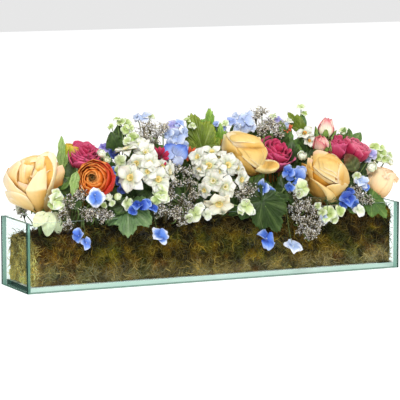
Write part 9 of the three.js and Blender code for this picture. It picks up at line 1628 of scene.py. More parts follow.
            (1.0, None, [(-86.9, 18.9, 86.0), (-85.6, 20.7, 104.5), (-83.0, 25.3, 124.5), (-81.2, 31.3, 143.2), (-82.2, 37.3, 158.2), (-88.3, 41.9, 166.7)]),
            (1.0, None, [(-73.8, 25.9, 86.0), (-72.9, 28.7, 94.8), (-71.1, 35.6, 105.5), (-70.0, 44.2, 115.0), (-70.7, 52.3, 120.4), (-74.9, 57.6, 118.5)]),
            (1.0, None, [(-60.9, 27.4, 86.0), (-62.0, 30.8, 94.0), (-64.3, 38.9, 103.9), (-66.1, 48.6, 112.6), (-65.8, 57.0, 117.3), (-61.8, 60.8, 115.0)]),
            (1.0, None, [(-52.7, 18.3, 86.0), (-54.3, 20.6, 105.6), (-57.6, 26.1, 126.6), (-60.1, 32.7, 146.4), (-59.5, 38.2, 162.3), (-53.5, 40.6, 171.6)]),
            (1.0, None, [(-41.3, 26.4, 86.0), (-42.4, 29.6, 95.9), (-44.7, 37.4, 108.0), (-46.5, 46.7, 118.8), (-46.2, 54.8, 124.8), (-41.9, 58.6, 122.5)]),
            (1.0, None, [(-23.7, 21.2, 86.0), (-22.5, 23.7, 101.3), (-20.2, 29.9, 117.2), (-18.6, 37.3, 132.4), (-19.3, 43.8, 145.6), (-24.0, 47.0, 155.5)]),
            (1.0, None, [(-15.8, 28.7, 86.0), (-16.8, 32.0, 91.4), (-18.6, 40.0, 98.2), (-20.1, 49.9, 104.2), (-19.7, 58.8, 107.1), (-16.1, 63.7, 104.7)]),
            (1.0, None, [(-1.2, 19.5, 86.0), (-0.9, 21.6, 106.2), (-0.2, 27.0, 127.2), (0.3, 33.6, 147.2), (0.1, 39.6, 164.7), (-1.2, 43.2, 177.8)]),
            (1.0, None, [(9.1, 27.6, 86.0), (10.3, 30.8, 91.2), (12.7, 38.7, 97.4), (14.6, 48.3, 103.0), (14.0, 56.7, 106.3), (9.2, 61.3, 105.8)]),
            (1.0, None, [(17.2, 25.3, 86.0), (18.3, 28.5, 96.3), (20.5, 36.1, 108.8), (22.2, 45.2, 120.0), (21.7, 52.9, 126.2), (17.4, 56.3, 123.9)]),
            (1.0, None, [(30.6, 25.4, 86.0), (31.6, 28.3, 99.4), (33.6, 35.1, 115.5), (35.1, 43.7, 129.9), (34.8, 51.6, 138.3), (31.1, 56.5, 136.3)]),
            (1.0, None, [(39.7, 22.4, 86.0), (41.3, 24.9, 103.9), (44.5, 30.9, 123.1), (47.0, 38.4, 141.2), (46.4, 45.4, 155.6), (40.3, 49.8, 164.0)]),
            (1.0, None, [(54.0, 22.5, 86.0), (54.8, 25.1, 99.4), (56.2, 31.6, 112.9), (57.4, 39.4, 125.9), (57.3, 46.3, 138.1), (54.9, 50.0, 148.9)]),
            (1.0, None, [(64.8, 27.8, 86.0), (66.0, 31.1, 93.8), (68.3, 39.2, 103.5), (70.2, 49.0, 112.0), (69.9, 57.5, 116.7), (65.8, 61.8, 114.5)]),
            (1.0, None, [(76.2, 27.3, 86.0), (77.4, 30.3, 94.7), (79.9, 37.6, 105.2), (81.8, 46.7, 114.6), (81.6, 55.3, 119.9), (77.3, 60.8, 118.2)]),
            (1.0, None, [(91.0, 25.2, 86.0), (90.7, 28.0, 99.3), (90.2, 34.9, 115.5), (89.9, 43.5, 129.9), (90.5, 51.3, 137.9), (92.4, 56.0, 134.8)]),
            (1.0, None, [(103.6, 22.8, 86.0), (105.1, 25.7, 99.4), (108.4, 32.4, 113.4), (111.0, 40.5, 126.7), (110.6, 47.5, 138.1), (105.1, 50.8, 146.3)]),
            (1.0, None, [(113.4, 24.4, 86.0), (112.6, 27.1, 97.6), (111.0, 33.6, 111.6), (110.0, 41.7, 124.1), (110.9, 49.4, 131.2), (115.2, 54.2, 129.0)]),
            (1.0, None, [(123.9, 23.0, 86.0), (122.7, 25.6, 98.0), (120.4, 32.1, 110.5), (118.8, 40.1, 122.5), (120.0, 47.1, 132.8), (125.8, 51.0, 140.5)]),
            (1.0, None, [(130.8, 28.1, 86.0), (131.6, 31.5, 93.8), (133.2, 39.6, 103.7), (134.5, 49.4, 112.4), (134.8, 58.1, 116.7), (132.8, 62.5, 113.1)]),
            (1.0, None, [(143.1, 24.8, 86.0), (141.8, 27.9, 96.2), (139.3, 35.2, 106.7), (137.7, 44.0, 116.8), (139.0, 51.6, 125.6), (145.3, 55.2, 132.1)]),
            (1.0, None, [(155.7, 23.7, 86.0), (154.6, 26.2, 96.4), (152.5, 32.5, 107.0), (151.2, 40.5, 117.2), (152.5, 47.8, 126.3), (158.1, 52.6, 133.6)]),
            (1.0, None, [(173.0, 25.4, 86.0), (171.9, 28.5, 95.3), (169.8, 36.0, 106.4), (168.6, 45.0, 116.5), (169.9, 52.8, 122.5), (175.6, 56.5, 121.8)]),
            (1.0, None, [(182.5, 21.8, 86.0), (183.7, 24.5, 95.1), (186.1, 30.9, 103.8), (188.2, 38.7, 112.4), (188.4, 45.3, 121.1), (185.3, 48.4, 130.3)]),
            (1.0, None, [(191.6, 27.0, 86.0), (191.2, 30.2, 93.8), (190.6, 37.9, 103.6), (190.5, 47.4, 112.2), (191.6, 55.7, 116.6), (194.5, 60.0, 113.4)]),
            (1.0, None, [(200.5, 18.3, 86.0), (200.6, 20.4, 98.1), (201.0, 25.4, 110.0), (201.5, 31.7, 121.6), (202.4, 37.3, 132.9), (203.6, 40.7, 143.8)]),
            (1.0, None, [(214.7, 23.2, 86.0), (213.8, 25.9, 93.2), (212.2, 32.6, 100.5), (211.4, 40.7, 107.5), (212.8, 47.8, 114.0), (218.0, 51.5, 119.7)]),
            (1.0, None, [(223.7, 23.4, 86.0), (223.8, 26.1, 92.3), (224.1, 32.7, 98.1), (224.8, 40.7, 104.0), (225.7, 48.0, 110.6), (227.1, 52.0, 118.5)]),
            (1.0, None, [(236.0, 25.5, 86.0), (237.3, 28.4, 93.1), (240.1, 35.5, 101.9), (242.6, 44.2, 109.7), (243.0, 52.1, 113.9), (239.6, 56.6, 112.0)]),
            (1.0, None, [(253.0, 20.0, 86.0), (254.7, 22.2, 93.9), (258.3, 27.5, 102.2), (261.3, 34.1, 110.1), (261.6, 40.4, 116.8), (256.9, 44.5, 121.4)]),
            (1.0, None, [(261.0, 22.3, 86.0), (262.2, 24.8, 91.6), (264.7, 30.9, 96.9), (267.0, 38.4, 102.2), (267.6, 45.4, 107.7), (265.0, 49.7, 113.7)]),
            (1.0, None, [(270.7, 27.4, 86.0), (269.9, 30.8, 91.1), (268.6, 38.8, 97.2), (268.0, 48.5, 102.7), (269.6, 56.9, 105.9), (274.8, 60.9, 105.1)]),
            (1.0, None, [(-59.1, 9.0, 86.0), (-58.8, 8.7, 106.7), (-58.1, 8.4, 129.0), (-57.7, 9.4, 150.0), (-58.2, 12.9, 166.6), (-60.0, 20.0, 176.0)]),
            (1.0, None, [(-19.7, 5.4, 86.0), (-18.2, 5.8, 108.2), (-15.1, 6.8, 132.4), (-12.8, 8.3, 155.0), (-13.7, 10.1, 172.7), (-20.0, 12.0, 182.0)]),
            (1.0, None, [(29.6, 8.1, 86.0), (31.1, 9.6, 109.2), (34.3, 13.0, 134.4), (36.7, 16.6, 157.9), (36.1, 18.9, 176.3), (30.0, 18.0, 186.0)]),
            (1.0, None, [(65.0, 10.8, 86.0), (66.7, 11.8, 108.2), (70.0, 14.2, 132.4), (72.6, 17.5, 155.0), (72.1, 21.0, 172.6), (66.0, 24.0, 182.0)]),
            (1.0, None, [(98.5, 7.2, 86.0), (97.9, 6.7, 105.8), (96.9, 6.2, 127.0), (96.2, 6.7, 147.0), (97.0, 9.6, 163.0), (100.0, 16.0, 172.0)]),
            (1.0, None, [(137.9, 6.3, 86.0), (137.2, 8.3, 101.5), (135.7, 12.7, 118.0), (134.9, 16.8, 133.6), (135.9, 18.1, 146.3), (140.0, 14.0, 154.0)]),
            (1.0, None, [(-98.5, 6.3, 86.0), (-100.2, 7.5, 103.5), (-103.7, 10.2, 122.3), (-106.5, 13.1, 140.0), (-106.0, 14.8, 154.0), (-100.0, 14.0, 162.0)]),
            (1.0, None, [(-137.9, 8.1, 86.0), (-137.6, 7.7, 99.5), (-137.2, 7.2, 113.9), (-137.1, 7.9, 127.5), (-137.9, 11.1, 138.7), (-140.0, 18.0, 146.0)]),
            (1.0, None, [(177.3, 8.1, 86.0), (176.9, 10.5, 97.2), (176.2, 15.7, 108.9), (175.9, 20.7, 120.1), (177.0, 22.5, 129.5), (180.0, 18.0, 136.0)]),
            (1.0, None, [(216.7, 6.3, 86.0), (216.0, 6.5, 94.5), (214.7, 7.2, 103.6), (214.1, 8.6, 112.1), (215.5, 10.8, 119.3), (220.0, 14.0, 124.0)]),
            (1.0, None, [(-187.2, 9.0, 86.0), (-187.8, 8.9, 94.9), (-189.2, 9.3, 104.3), (-190.6, 10.7, 113.2), (-191.1, 14.0, 120.7), (-190.0, 20.0, 126.0)]),
            (1.0, None, [(-222.6, 7.2, 86.0), (-222.1, 8.4, 92.3), (-221.1, 11.0, 99.0), (-220.8, 14.0, 105.3), (-222.1, 16.1, 110.5), (-226.0, 16.0, 114.0)]),
            (1.0, None, [(246.2, 5.4, 86.0), (246.8, 5.2, 92.7), (248.0, 5.0, 99.7), (249.3, 5.5, 106.4), (250.2, 7.6, 112.0), (250.0, 12.0, 116.0)]),
        ],
    },
    "filler_rear": {
        "heads": [
            {"t": "puff", "P": [-240.0, 66.2, 112.0], "R": 15.6, "H": 14, "D": [0.0, 0.0, 1.0]},
            {"t": "puff", "P": [-205.0, 57.2, 140.0], "R": 15.4, "H": 14, "D": [0.0, 0.0, 1.0]},
            {"t": "puff", "P": [-170.0, 66.8, 110.0], "R": 17.4, "H": 14, "D": [0.0, 0.0, 1.0]},
            {"t": "puff", "P": [-128.0, 50.8, 160.0], "R": 18.7, "H": 14, "D": [0.0, 0.0, 1.0]},
            {"t": "puff", "P": [-92.0, 61.0, 128.0], "R": 15.3, "H": 14, "D": [0.0, 0.0, 1.0]},
            {"t": "puff", "P": [-60.0, 48.2, 168.0], "R": 16.7, "H": 14, "D": [0.0, 0.0, 1.0]},
            {"t": "puff", "P": [-20.0, 45.7, 176.0], "R": 16.5, "H": 14, "D": [0.0, 0.0, 1.0]},
            {"t": "puff", "P": [24.0, 54.0, 150.0], "R": 15.1, "H": 14, "D": [0.0, 0.0, 1.0]},
            {"t": "puff", "P": [60.0, 41.2, 190.0], "R": 17.5, "H": 14, "D": [0.0, 0.0, 1.0]},
            {"t": "puff", "P": [100.0, 63.6, 120.0], "R": 16.9, "H": 14, "D": [0.0, 0.0, 1.0]},
            {"t": "puff", "P": [134.0, 48.2, 168.0], "R": 16.9, "H": 14, "D": [0.0, 0.0, 1.0]},
            {"t": "puff", "P": [170.0, 54.0, 150.0], "R": 18.3, "H": 14, "D": [0.0, 0.0, 1.0]},
            {"t": "puff", "P": [196.0, 66.2, 112.0], "R": 17.5, "H": 14, "D": [0.0, 0.0, 1.0]},
            {"t": "puff", "P": [238.0, 58.5, 136.0], "R": 16.0, "H": 14, "D": [0.0, 0.0, 1.0]},
            {"t": "puff", "P": [262.0, 68.7, 104.0], "R": 18.8, "H": 14, "D": [0.0, 0.0, 1.0]},
            {"t": "puff", "P": [-262.0, 68.7, 104.0], "R": 18.7, "H": 14, "D": [0.0, 0.0, 1.0]},
            {"t": "puff", "P": [0.0, 66.8, 110.0], "R": 17.8, "H": 14, "D": [0.0, 0.0, 1.0]},
            {"t": "puff", "P": [40.0, 66.2, 112.0], "R": 15.5, "H": 14, "D": [0.0, 0.0, 1.0]},
            {"t": "puff", "P": [-110.0, 68.7, 104.0], "R": 17.5, "H": 14, "D": [0.0, 0.0, 1.0]},
            {"t": "puff", "P": [150.0, 68.7, 104.0], "R": 15.0, "H": 14, "D": [0.0, 0.0, 1.0]},
        ],
        "stalks": [
            (0.9, None, [(-236.4, 29.8, 86.0), (-236.8, 33.6, 88.2), (-237.7, 42.6, 89.5), (-238.7, 53.4, 91.1), (-239.6, 62.4, 94.5), (-240.0, 66.2, 100.8)]),
            (0.9, None, [(-201.9, 25.7, 86.0), (-202.2, 29.0, 94.5), (-203.0, 36.8, 102.4), (-203.9, 46.1, 110.3), (-204.7, 53.9, 118.9), (-205.0, 57.2, 128.8)]),
            (0.9, None, [(-167.4, 30.1, 86.0), (-167.7, 33.9, 87.7), (-168.3, 43.0, 88.5), (-169.1, 53.9, 89.7), (-169.7, 63.0, 92.7), (-170.0, 66.8, 98.8)]),
            (0.9, None, [(-126.1, 22.9, 86.0), (-126.3, 25.8, 99.2), (-126.8, 32.7, 112.4), (-127.3, 41.0, 125.2), (-127.8, 47.9, 137.5), (-128.0, 50.8, 148.8)]),
            (0.9, None, [(-90.6, 27.5, 86.0), (-90.8, 31.0, 91.8), (-91.1, 39.3, 96.9), (-91.5, 49.2, 102.2), (-91.9, 57.5, 108.5), (-92.0, 61.0, 116.8)]),
            (0.9, None, [(-59.1, 21.7, 86.0), (-59.2, 24.5, 101.2), (-59.4, 31.0, 116.4), (-59.7, 38.9, 131.2), (-59.9, 45.5, 144.9), (-60.0, 48.2, 156.8)]),
            (0.9, None, [(-19.7, 20.6, 86.0), (-19.7, 23.2, 103.1), (-19.8, 29.4, 120.5), (-19.9, 36.8, 137.2), (-20.0, 43.1, 152.3), (-20.0, 45.7, 164.8)]),
            (0.9, None, [(23.6, 24.3, 86.0), (23.7, 27.4, 96.9), (23.8, 34.8, 107.4), (23.9, 43.5, 117.8), (24.0, 50.9, 128.2), (24.0, 54.0, 138.8)]),
            (0.9, None, [(59.1, 18.5, 86.0), (59.2, 20.9, 106.4), (59.4, 26.5, 127.5), (59.7, 33.2, 147.7), (59.9, 38.8, 165.4), (60.0, 41.2, 178.8)]),
            (0.9, None, [(98.5, 28.6, 86.0), (98.7, 32.3, 90.0), (99.0, 40.9, 93.3), (99.5, 51.3, 96.8), (99.8, 60.0, 101.6), (100.0, 63.6, 108.8)]),
            (0.9, None, [(132.0, 21.7, 86.0), (132.2, 24.5, 101.2), (132.7, 31.0, 116.4), (133.3, 38.9, 131.2), (133.8, 45.5, 144.9), (134.0, 48.2, 156.8)]),
            (0.9, None, [(167.4, 24.3, 86.0), (167.7, 27.4, 96.9), (168.3, 34.8, 107.4), (169.1, 43.5, 117.8), (169.7, 50.9, 128.2), (170.0, 54.0, 138.8)]),
            (0.9, None, [(193.1, 29.8, 86.0), (193.4, 33.6, 88.2), (194.1, 42.6, 89.5), (195.0, 53.4, 91.1), (195.7, 62.4, 94.5), (196.0, 66.2, 100.8)]),
            (0.9, None, [(234.4, 26.3, 86.0), (234.8, 29.7, 93.6), (235.7, 37.6, 100.4), (236.7, 47.2, 107.4), (237.6, 55.1, 115.3), (238.0, 58.5, 124.8)]),
            (0.9, None, [(258.1, 30.9, 86.0), (258.5, 34.9, 86.3), (259.5, 44.2, 85.5), (260.6, 55.4, 85.3), (261.6, 64.8, 87.1), (262.0, 68.7, 92.8)]),
            (0.9, None, [(-258.1, 30.9, 86.0), (-258.5, 34.9, 86.3), (-259.5, 44.2, 85.5), (-260.6, 55.4, 85.3), (-261.6, 64.8, 87.1), (-262.0, 68.7, 92.8)]),
            (0.9, None, [(0.0, 30.1, 86.0), (0.0, 33.9, 87.7), (0.0, 43.0, 88.5), (0.0, 53.9, 89.7), (0.0, 63.0, 92.7), (0.0, 66.8, 98.8)]),
            (0.9, None, [(39.4, 29.8, 86.0), (39.5, 33.6, 88.2), (39.6, 42.6, 89.5), (39.8, 53.4, 91.1), (39.9, 62.4, 94.5), (40.0, 66.2, 100.8)]),
            (0.9, None, [(-108.3, 30.9, 86.0), (-108.5, 34.9, 86.3), (-108.9, 44.2, 85.5), (-109.4, 55.4, 85.3), (-109.8, 64.8, 87.2), (-110.0, 68.7, 92.8)]),
            (0.9, None, [(147.8, 30.9, 86.0), (148.0, 34.9, 86.3), (148.5, 44.2, 85.5), (149.2, 55.4, 85.3), (149.8, 64.8, 87.2), (150.0, 68.7, 92.8)]),
        ],
    },
}

# Petals listed one by one on the front of the three open roses: rows from base to lip, in millimetres
# to the right, up and toward the front of the flower's base.
PETALS = {
    "rose_left": (
        ("front", (((2, -9.1, -3.3), (4, -10.1, -3.8), (6.4, -9.6, -3.9), (9.3, -7.7, -3.8)), ((-5.3, 5.4, 28.7), (0.6, 2.5, 25.8), (7.8, 2.5, 22.3), (12.2, 6.9, 23.7)), ((-11.1, 18.5, 44.5), (-3.8, 17.1, 45.9), (7.8, 18.5, 44.2), (16.6, 21.5, 38.9)), ((-11.8, 26.6, 52.7), (-2.4, 25.8, 54.8), (7.8, 27.3, 53.3), (17.3, 28.7, 46.1)), ((-5.3, 37.5, 58.1), (0.6, 38.9, 61), (9.3, 40.4, 59.1), (18, 41.9, 51.5)), ((2.7, 49.1, 60.2), (7.1, 51.3, 61.6), (12.2, 52.8, 59.4), (17.3, 52.8, 53.4)), ((10, 59.3, 56.5), (12, 61.3, 56), (13.9, 61.8, 54.3), (15.8, 60.8, 51.6)))),
        ("deepface", (((-18.4, 49.1, 48.7), (-6.7, 49.1, 51.4), (6.4, 50.6, 49.3)), ((-16.9, 60.8, 51.8), (-6.7, 60.8, 54.3), (7.8, 62.2, 50.4)), ((-14, 69.5, 47.5), (-3.8, 71.7, 46.9), (9.3, 73.2, 33)))),
        ("deepface", (((-14, 31.7, 46), (-8.2, 30.2, 45.4), (-2.4, 31.7, 46)), ((-12.6, 46.2, 54.1), (-6.7, 46.2, 54.9), (0.6, 47.7, 54.6)), ((-9.6, 57.9, 57.6), (-3.8, 57.9, 58.1), (3.5, 59.3, 56.6)))),
        ("deepface", (((-15.5, 59.3, 56.4), (-6.7, 58.6, 58.4), (2, 59.3, 55.6)), ((-14, 65.2, 58.2), (-6.7, 65.2, 59.6), (2, 65.9, 56.8)), ((-12.6, 68.8, 55.1), (-5.3, 69.5, 55.6), (2, 69.5, 52.7)))),
        ("face", (((0.6, 49.1, 57.8), (6.4, 47.7, 57.8), (13.7, 52, 55.4)), ((2, 58.6, 61.4), (7.1, 57.1, 62.2), (13.7, 60.1, 58.2)), ((2.7, 66.6, 59.6), (7.8, 67.3, 59.1), (14.4, 67.3, 52)), ((3.5, 72.4, 49.5), (8.6, 73.9, 39.1), (14.4, 72.4, 37.8)))),
        ("blush", (((2.7, 53.5, 61.6), (5.7, 52.8, 62.6), (8.6, 55, 61.9)), ((2.7, 58.6, 63.1), (5.7, 58.6, 64.5), (9.3, 60.1, 62.8)), ((4.2, 63, 61.6), (7.1, 63.7, 62.3), (10, 64.4, 60.3)))),
        ("outer", (((-3.1, 34.6, 51), (0.6, 34.6, 51.8), (4.9, 38.9, 53.4)), ((-2.4, 44.8, 58), (2, 46.2, 60), (6.4, 49.9, 59.3)), ((-0.2, 53.5, 60.1), (3.5, 54.2, 62.3), (8.6, 57.9, 60.1)), ((2, 59.3, 58.6), (5.7, 60.8, 59.5), (10, 63, 57)))),
        ("inside", (((-9.6, 11.3, 32.8), (-5.3, 8.3, 30.1), (0.6, 5.4, 25.5)), ((-30, 20, 33.8), (-21.3, 16.4, 37.4), (-9.6, 12, 35.8)), ((-38.8, 27.3, 31.2), (-28.6, 22.2, 39.6), (-15.5, 17.1, 40.4)))),
        ("inside", (((6.4, 55, 61.4), (10, 55.7, 60.5), (14.4, 53.5, 56.6)), ((6.4, 60.8, 59.9), (10.7, 65.2, 56.6), (15.1, 60.8, 53.8)), ((9.3, 69.5, 48.5), (13.7, 71.7, 35.9), (18, 68.1, 35.8)))),
        ("side", (((4.9, -7.7, -4.7), (10.7, -7.7, -5.4), (18, -4.8, -7.5)), ((6.4, 2.5, 19.6), (15.1, 6.9, 19.4), (22.4, 11.3, 10.9)), ((18, 25.8, 40.2), (22.4, 28.7, 37.5), (26.8, 34.6, 30.1)), ((23.9, 38.9, 43.9), (26.8, 43.3, 39.7), (30.4, 52, 27.8)), ((26, 53.5, 37.1), (29, 59.3, 37.8), (31.1, 68.1, 32.3)), ((24.6, 65.2, 43.2), (26.8, 71, 38.9), (26.8, 78.3, 29.8)), ((18, 75.4, 40), (19.5, 78.3, 37.5), (19.5, 81.2, 30.8)))),
        ("inside", (((4.9, 11.3, 23.2), (10.7, 12.7, 22.1), (18, 22.9, 31.8)), ((7.8, 25.8, 36.1), (15.1, 28.7, 36), (22.4, 31.7, 39)), ((9.3, 40.4, 45.2), (18, 44.8, 43.2), (26, 43.3, 41.3)), ((9.3, 53.5, 50.3), (18, 57.9, 43.9), (26.8, 55, 36.9)), ((7.8, 63.7, 51.7), (15.1, 66.6, 42.6), (25.3, 65.2, 42.3)), ((6.4, 71, 47.5), (12.2, 73.9, 34.2), (19.5, 75.4, 39)))),
        ("outer", (((-15.5, 43.3, 54.1), (-11.1, 41.9, 55.4), (-5.3, 43.3, 54.6)), ((-14.7, 52, 59.2), (-9.6, 51.3, 62.4), (-2.4, 52.8, 61)), ((-13.3, 59.3, 59.6), (-8.2, 57.1, 63.3), (-0.2, 57.1, 60.2)), ((-11.8, 64.4, 57.1), (-6.7, 61.5, 60.2), (-0.2, 60.1, 59.2)))),
        ("facedown", (((10.7, 71, 40.9), (4.9, 73.9, 41.8), (-2.4, 74.6, 43.7), (-11.1, 71.7, 47.1)), ((11.5, 68.1, 48.3), (4.9, 70.3, 52.5), (-3.8, 70.3, 55.1), (-12.6, 67.3, 55.6)), ((10, 63.7, 53.9), (4.2, 65.9, 58.9), (-3.8, 65.9, 60.4), (-11.8, 63, 58.6)))),
        ("deepface", (((-8.2, 55, 57.7), (-3.8, 53.5, 57.8), (0.6, 55, 56.7)), ((-8.9, 59.3, 58.8), (-3.8, 58.2, 59.3), (1.3, 59.3, 57.6)), ((-8.2, 63, 58.8), (-3.8, 63, 59.1), (0.6, 63, 57.7)))),
        ("outer", (((0.6, 55, 58.2), (4.2, 54.2, 57.7), (7.8, 57.9, 56.1)), ((2, 60.8, 60.9), (5.7, 60.8, 61), (9.3, 63.7, 57.3)), ((2.7, 66.6, 59.6), (6.4, 68.1, 57.8), (10, 68.8, 51.8)), ((2.7, 71.7, 50.3), (5.7, 73.9, 44.6), (8.6, 73.2, 41.2)))),
        ("outer", (((-9.6, 4, 23.9), (-6.7, 2.5, 22.6), (-3.8, 1.1, 20.9), (-0.9, -0.4, 18.2), (2, -1.8, 15.5)), ((-33, 15.6, 27), (-27.1, 14.2, 31.7), (-21.3, 12.7, 35), (-15.5, 12, 36.6), (-9.6, 11.3, 37.2)), ((-44.6, 31.7, 24.4), (-35.9, 25.1, 36.8), (-27.1, 21.5, 42), (-18.9, 19.6, 44.2), (-11.8, 18.5, 44.4)), ((-46.8, 41.9, 20.6), (-37.3, 34.6, 44.1), (-28.6, 28.7, 48), (-22.8, 24.4, 47.1), (-14, 20.7, 46.2)), ((-41.7, 52, 33.7), (-37.3, 44.8, 47.7), (-31.5, 37.5, 52.8), (-26.4, 30.2, 51.6), (-18.4, 23.6, 49.3)))),
        ("inside", (((-33, 25.8, 31.2), (-24.2, 17.1, 31.2), (-12.6, 15.6, 35.7)), ((-38.8, 40.4, 34.1), (-27.1, 31.7, 39.2), (-12.6, 25.8, 41.9)), ((-41.7, 50.6, 30), (-30, 44.8, 45), (-15.5, 37.5, 46.6)), ((-38.8, 57.9, 33.4), (-30, 55, 47.9), (-18.4, 52, 52.6)))),
        ("outer", (((-35.9, 25.8, 28.7), (-25.7, 27.3, 39.6), (-14, 24.4, 42)), ((-43.1, 40.4, 28.7), (-34.4, 38.9, 44.9), (-24.2, 36, 49.2)), ((-40.2, 52, 34.4), (-33, 50.6, 50.7), (-24.9, 46.2, 55.6)), ((-33, 60.8, 42), (-27.1, 59.3, 54.6), (-22.8, 55, 59.2)), ((-22.8, 68.1, 45.4), (-20.6, 66.6, 53.9), (-18.4, 63.7, 58.7)))),
        ("cup", (((-21.3, 25.8, 37.2), (-15.5, 24.4, 38.9), (-6.7, 25.8, 42.1)), ((-22, 37.5, 47.9), (-16.9, 36, 50.6), (-8.2, 36, 50.7)), ((-21.3, 49.1, 53.7), (-16.9, 49.1, 57.8), (-9.6, 49.1, 57.3)), ((-20.6, 59.3, 54.9), (-16.2, 59.3, 59.1), (-10.4, 59.3, 58.5)), ((-16.9, 68.1, 49.6), (-12.6, 68.1, 53.5), (-8.2, 65.9, 55.6)))),
        ("blush", (((-24.2, 20, 32.5), (-16.9, 17.1, 33.5), (-8.2, 17.1, 35.9)), ((-24.2, 27.3, 41.6), (-16.9, 22.9, 41.7), (-8.9, 22.9, 44.1)), ((-23.5, 33.1, 47.6), (-16.9, 29.5, 49.1), (-9.6, 27.3, 49)), ((-23.5, 38.2, 49.3), (-16.2, 35.3, 51.7), (-8.9, 33.1, 51.8)))),
        ("low", (((-0.9, -6.2, 8.3), (2, -8.2, -1.6), (4.4, -9.6, -2.2), (6.4, -10.6, -2.7)), ((-21.3, 4, 21.1), (-15.5, 1.1, 20.8), (-9.2, -1.8, 19.2), (-2.4, -4.8, 14.5)), ((-40.2, 12.7, 8.2), (-27.1, 10.5, 29.6), (-14, 6.9, 32.4), (-2.4, 1.1, 23.6)), ((-44.6, 20, 6.8), (-33, 17.8, 33.8), (-21.3, 14.9, 40.3), (-6.7, 9.1, 36.2)), ((-44.6, 24.4, 13), (-35.9, 24.4, 36.2), (-24.2, 21.5, 45.5), (-11.1, 15.6, 44.6)))),
        ("low", (((-3.8, -6.2, 6.5), (-0.9, -7.2, 2.8), (2, -8.2, -4.5), (4.9, -9.1, -5.1)), ((-24.2, 2.5, 15.8), (-17.4, 0.6, 17), (-10.6, -1.4, 16.7), (-3.8, -3.3, 14.1)), ((-38.8, 9.8, 5.7), (-32, 8.3, 19.3), (-24.2, 6.4, 24.8), (-15.5, 4, 25.3)), ((-43.1, 15.6, 2.5), (-34.4, 14.2, 26), (-21.3, 11.3, 33.1), (-8.2, 5.4, 28.1)))),
        ("lowpink", (((-9.6, -3.3, 11.6), (-3.8, -6.2, 6.5), (0.6, -7.7, -0.8)), ((-25.7, 2.5, 11.8), (-18.4, -0.4, 14.3), (-8.2, -3.3, 13.1)), ((-37.3, 6.9, -0.2), (-27.1, 5.4, 18.3), (-14, 2.5, 21.4)), ((-42.4, 12.7, -1), (-33, 11.3, 21.5), (-18.4, 8.3, 28)))),
        ("side", (((4.9, -9.1, -5.1), (12.2, -9.1, -6.1), (20.9, -6.2, -8.5)), ((6.4, -1.8, 13.5), (15.1, -0.4, 0.6), (22.4, 2.5, -2.4)), ((7.1, 5.4, 25.7), (13.7, 11.3, 28.5), (20.9, 15.6, 22.1)), ((13.7, 15.6, 35.1), (18, 21.5, 36.2), (22.4, 25.8, 31.4)))),
        ("blushback", (((25.3, 22.9, 18.2), (31.1, 22.9, 3.6), (37, 28.7, 2.7)), ((26.8, 36, 28), (32.6, 37.5, 15), (39.9, 43.3, 12.3)), ((28.2, 47.7, 23.1), (34.1, 49.1, 22.1), (42.1, 52.8, 16.7)), ((29.7, 57.9, 26.6), (34.1, 60.8, 25.2), (38.4, 62.2, 19.9)))),
        ("back", (((2, 46.2, 30.1), (10.7, 49.1, 27.9), (22.4, 49.1, 17.9)), ((0.6, 63.7, 35.8), (10.7, 66.6, 29.1), (26.8, 63.7, 12.8)), ((2, 73.9, 26.8), (13.7, 78.3, 15.3), (29, 73.9, 12.8)), ((9.3, 78.3, 16), (16.6, 81.9, 15.2), (25.3, 79.7, 13.8)))),
        ("outer", (((-18.4, 55, 44.7), (-9.6, 55, 44.6), (2, 55, 43.2)), ((-22.8, 65.2, 43.5), (-11.1, 68.1, 46.4), (3.5, 69.5, 42.5)), ((-18.4, 70.3, 42.4), (-8.2, 73.2, 42.5), (6.4, 74.6, 31)), ((-11.1, 72.4, 43.3), (-2.4, 75.6, 38.7), (7.8, 76.1, 28.5)))),
    ),
    "rose_right": (
        ("low_shaded", (((9.9, -18.1, -5.7), (13.9, -18.1, -4.3), (18.5, -17.6, -3.4), (23.6, -16.6, -3.1)), ((-5.4, 1.8, 7.3), (1.7, -1.3, 16.2), (9.3, -4.9, 20.9), (17.5, -8.9, 20.5)), ((-10, 15.5, 20.2), (0.7, 10.9, 34.8), (12.9, 3.3, 33), (26.7, -7.4, 23.8)), ((-8.5, 24.7, 32.8), (2.2, 18.6, 44.3), (14.4, 9.4, 42.2), (29.7, -5.1, 27.5)))),
        ("pinklip", (((-2.4, 23.9, 46.4), (6.8, 18.6, 48.9), (17.5, 11.7, 46.7), (31.2, 1.8, 35.6), (42.7, -15, 7.7)), ((-3.1, 23.5, 45.7), (6, 17, 48.7), (16.7, 7.9, 44.7), (25.9, -4.3, 34.3), (35.8, -18.1, 9.4)), ((-3.9, 24.7, 44.9), (4.5, 16.7, 46.1), (15.2, 5.6, 41), (22.1, -7.4, 31), (27.4, -17.3, 9.6)))),
        ("inside", (((-3.9, 15.5, 28.3), (9.9, 6.3, 28.2), (28.2, 0.2, 23.6)), ((-3.9, 24.7, 38), (11.4, 14.7, 38.6), (32.8, 8.6, 32.9)), ((-3.9, 36.9, 43.6), (9.9, 26.2, 46.3), (29.7, 17, 40.7)), ((-3.9, 47.6, 43.3), (6.8, 38.4, 50.1), (23.6, 26.2, 45.9)))),
        ("facedown", (((41.9, 50.6, 51.6), (32.8, 58.3, 48.2), (20.5, 62.1, 40.8), (8.3, 62.9, 25.2)), ((45, 43, 54.4), (34.3, 50.6, 62.6), (22.1, 55.2, 60), (6.8, 56.8, 48.7)), ((43.5, 33.8, 53.6), (32.8, 39.9, 64.7), (20.5, 45.3, 68.2), (4.5, 50.6, 56.5)), ((41.9, 24.7, 47.1), (29.7, 30, 60.1), (16, 35.4, 64.3), (1.5, 44.5, 56.6)), ((37.3, 15.5, 43), (25.1, 21.6, 54.5), (11.4, 30, 59.4), (-0.1, 41.5, 56.2)))),
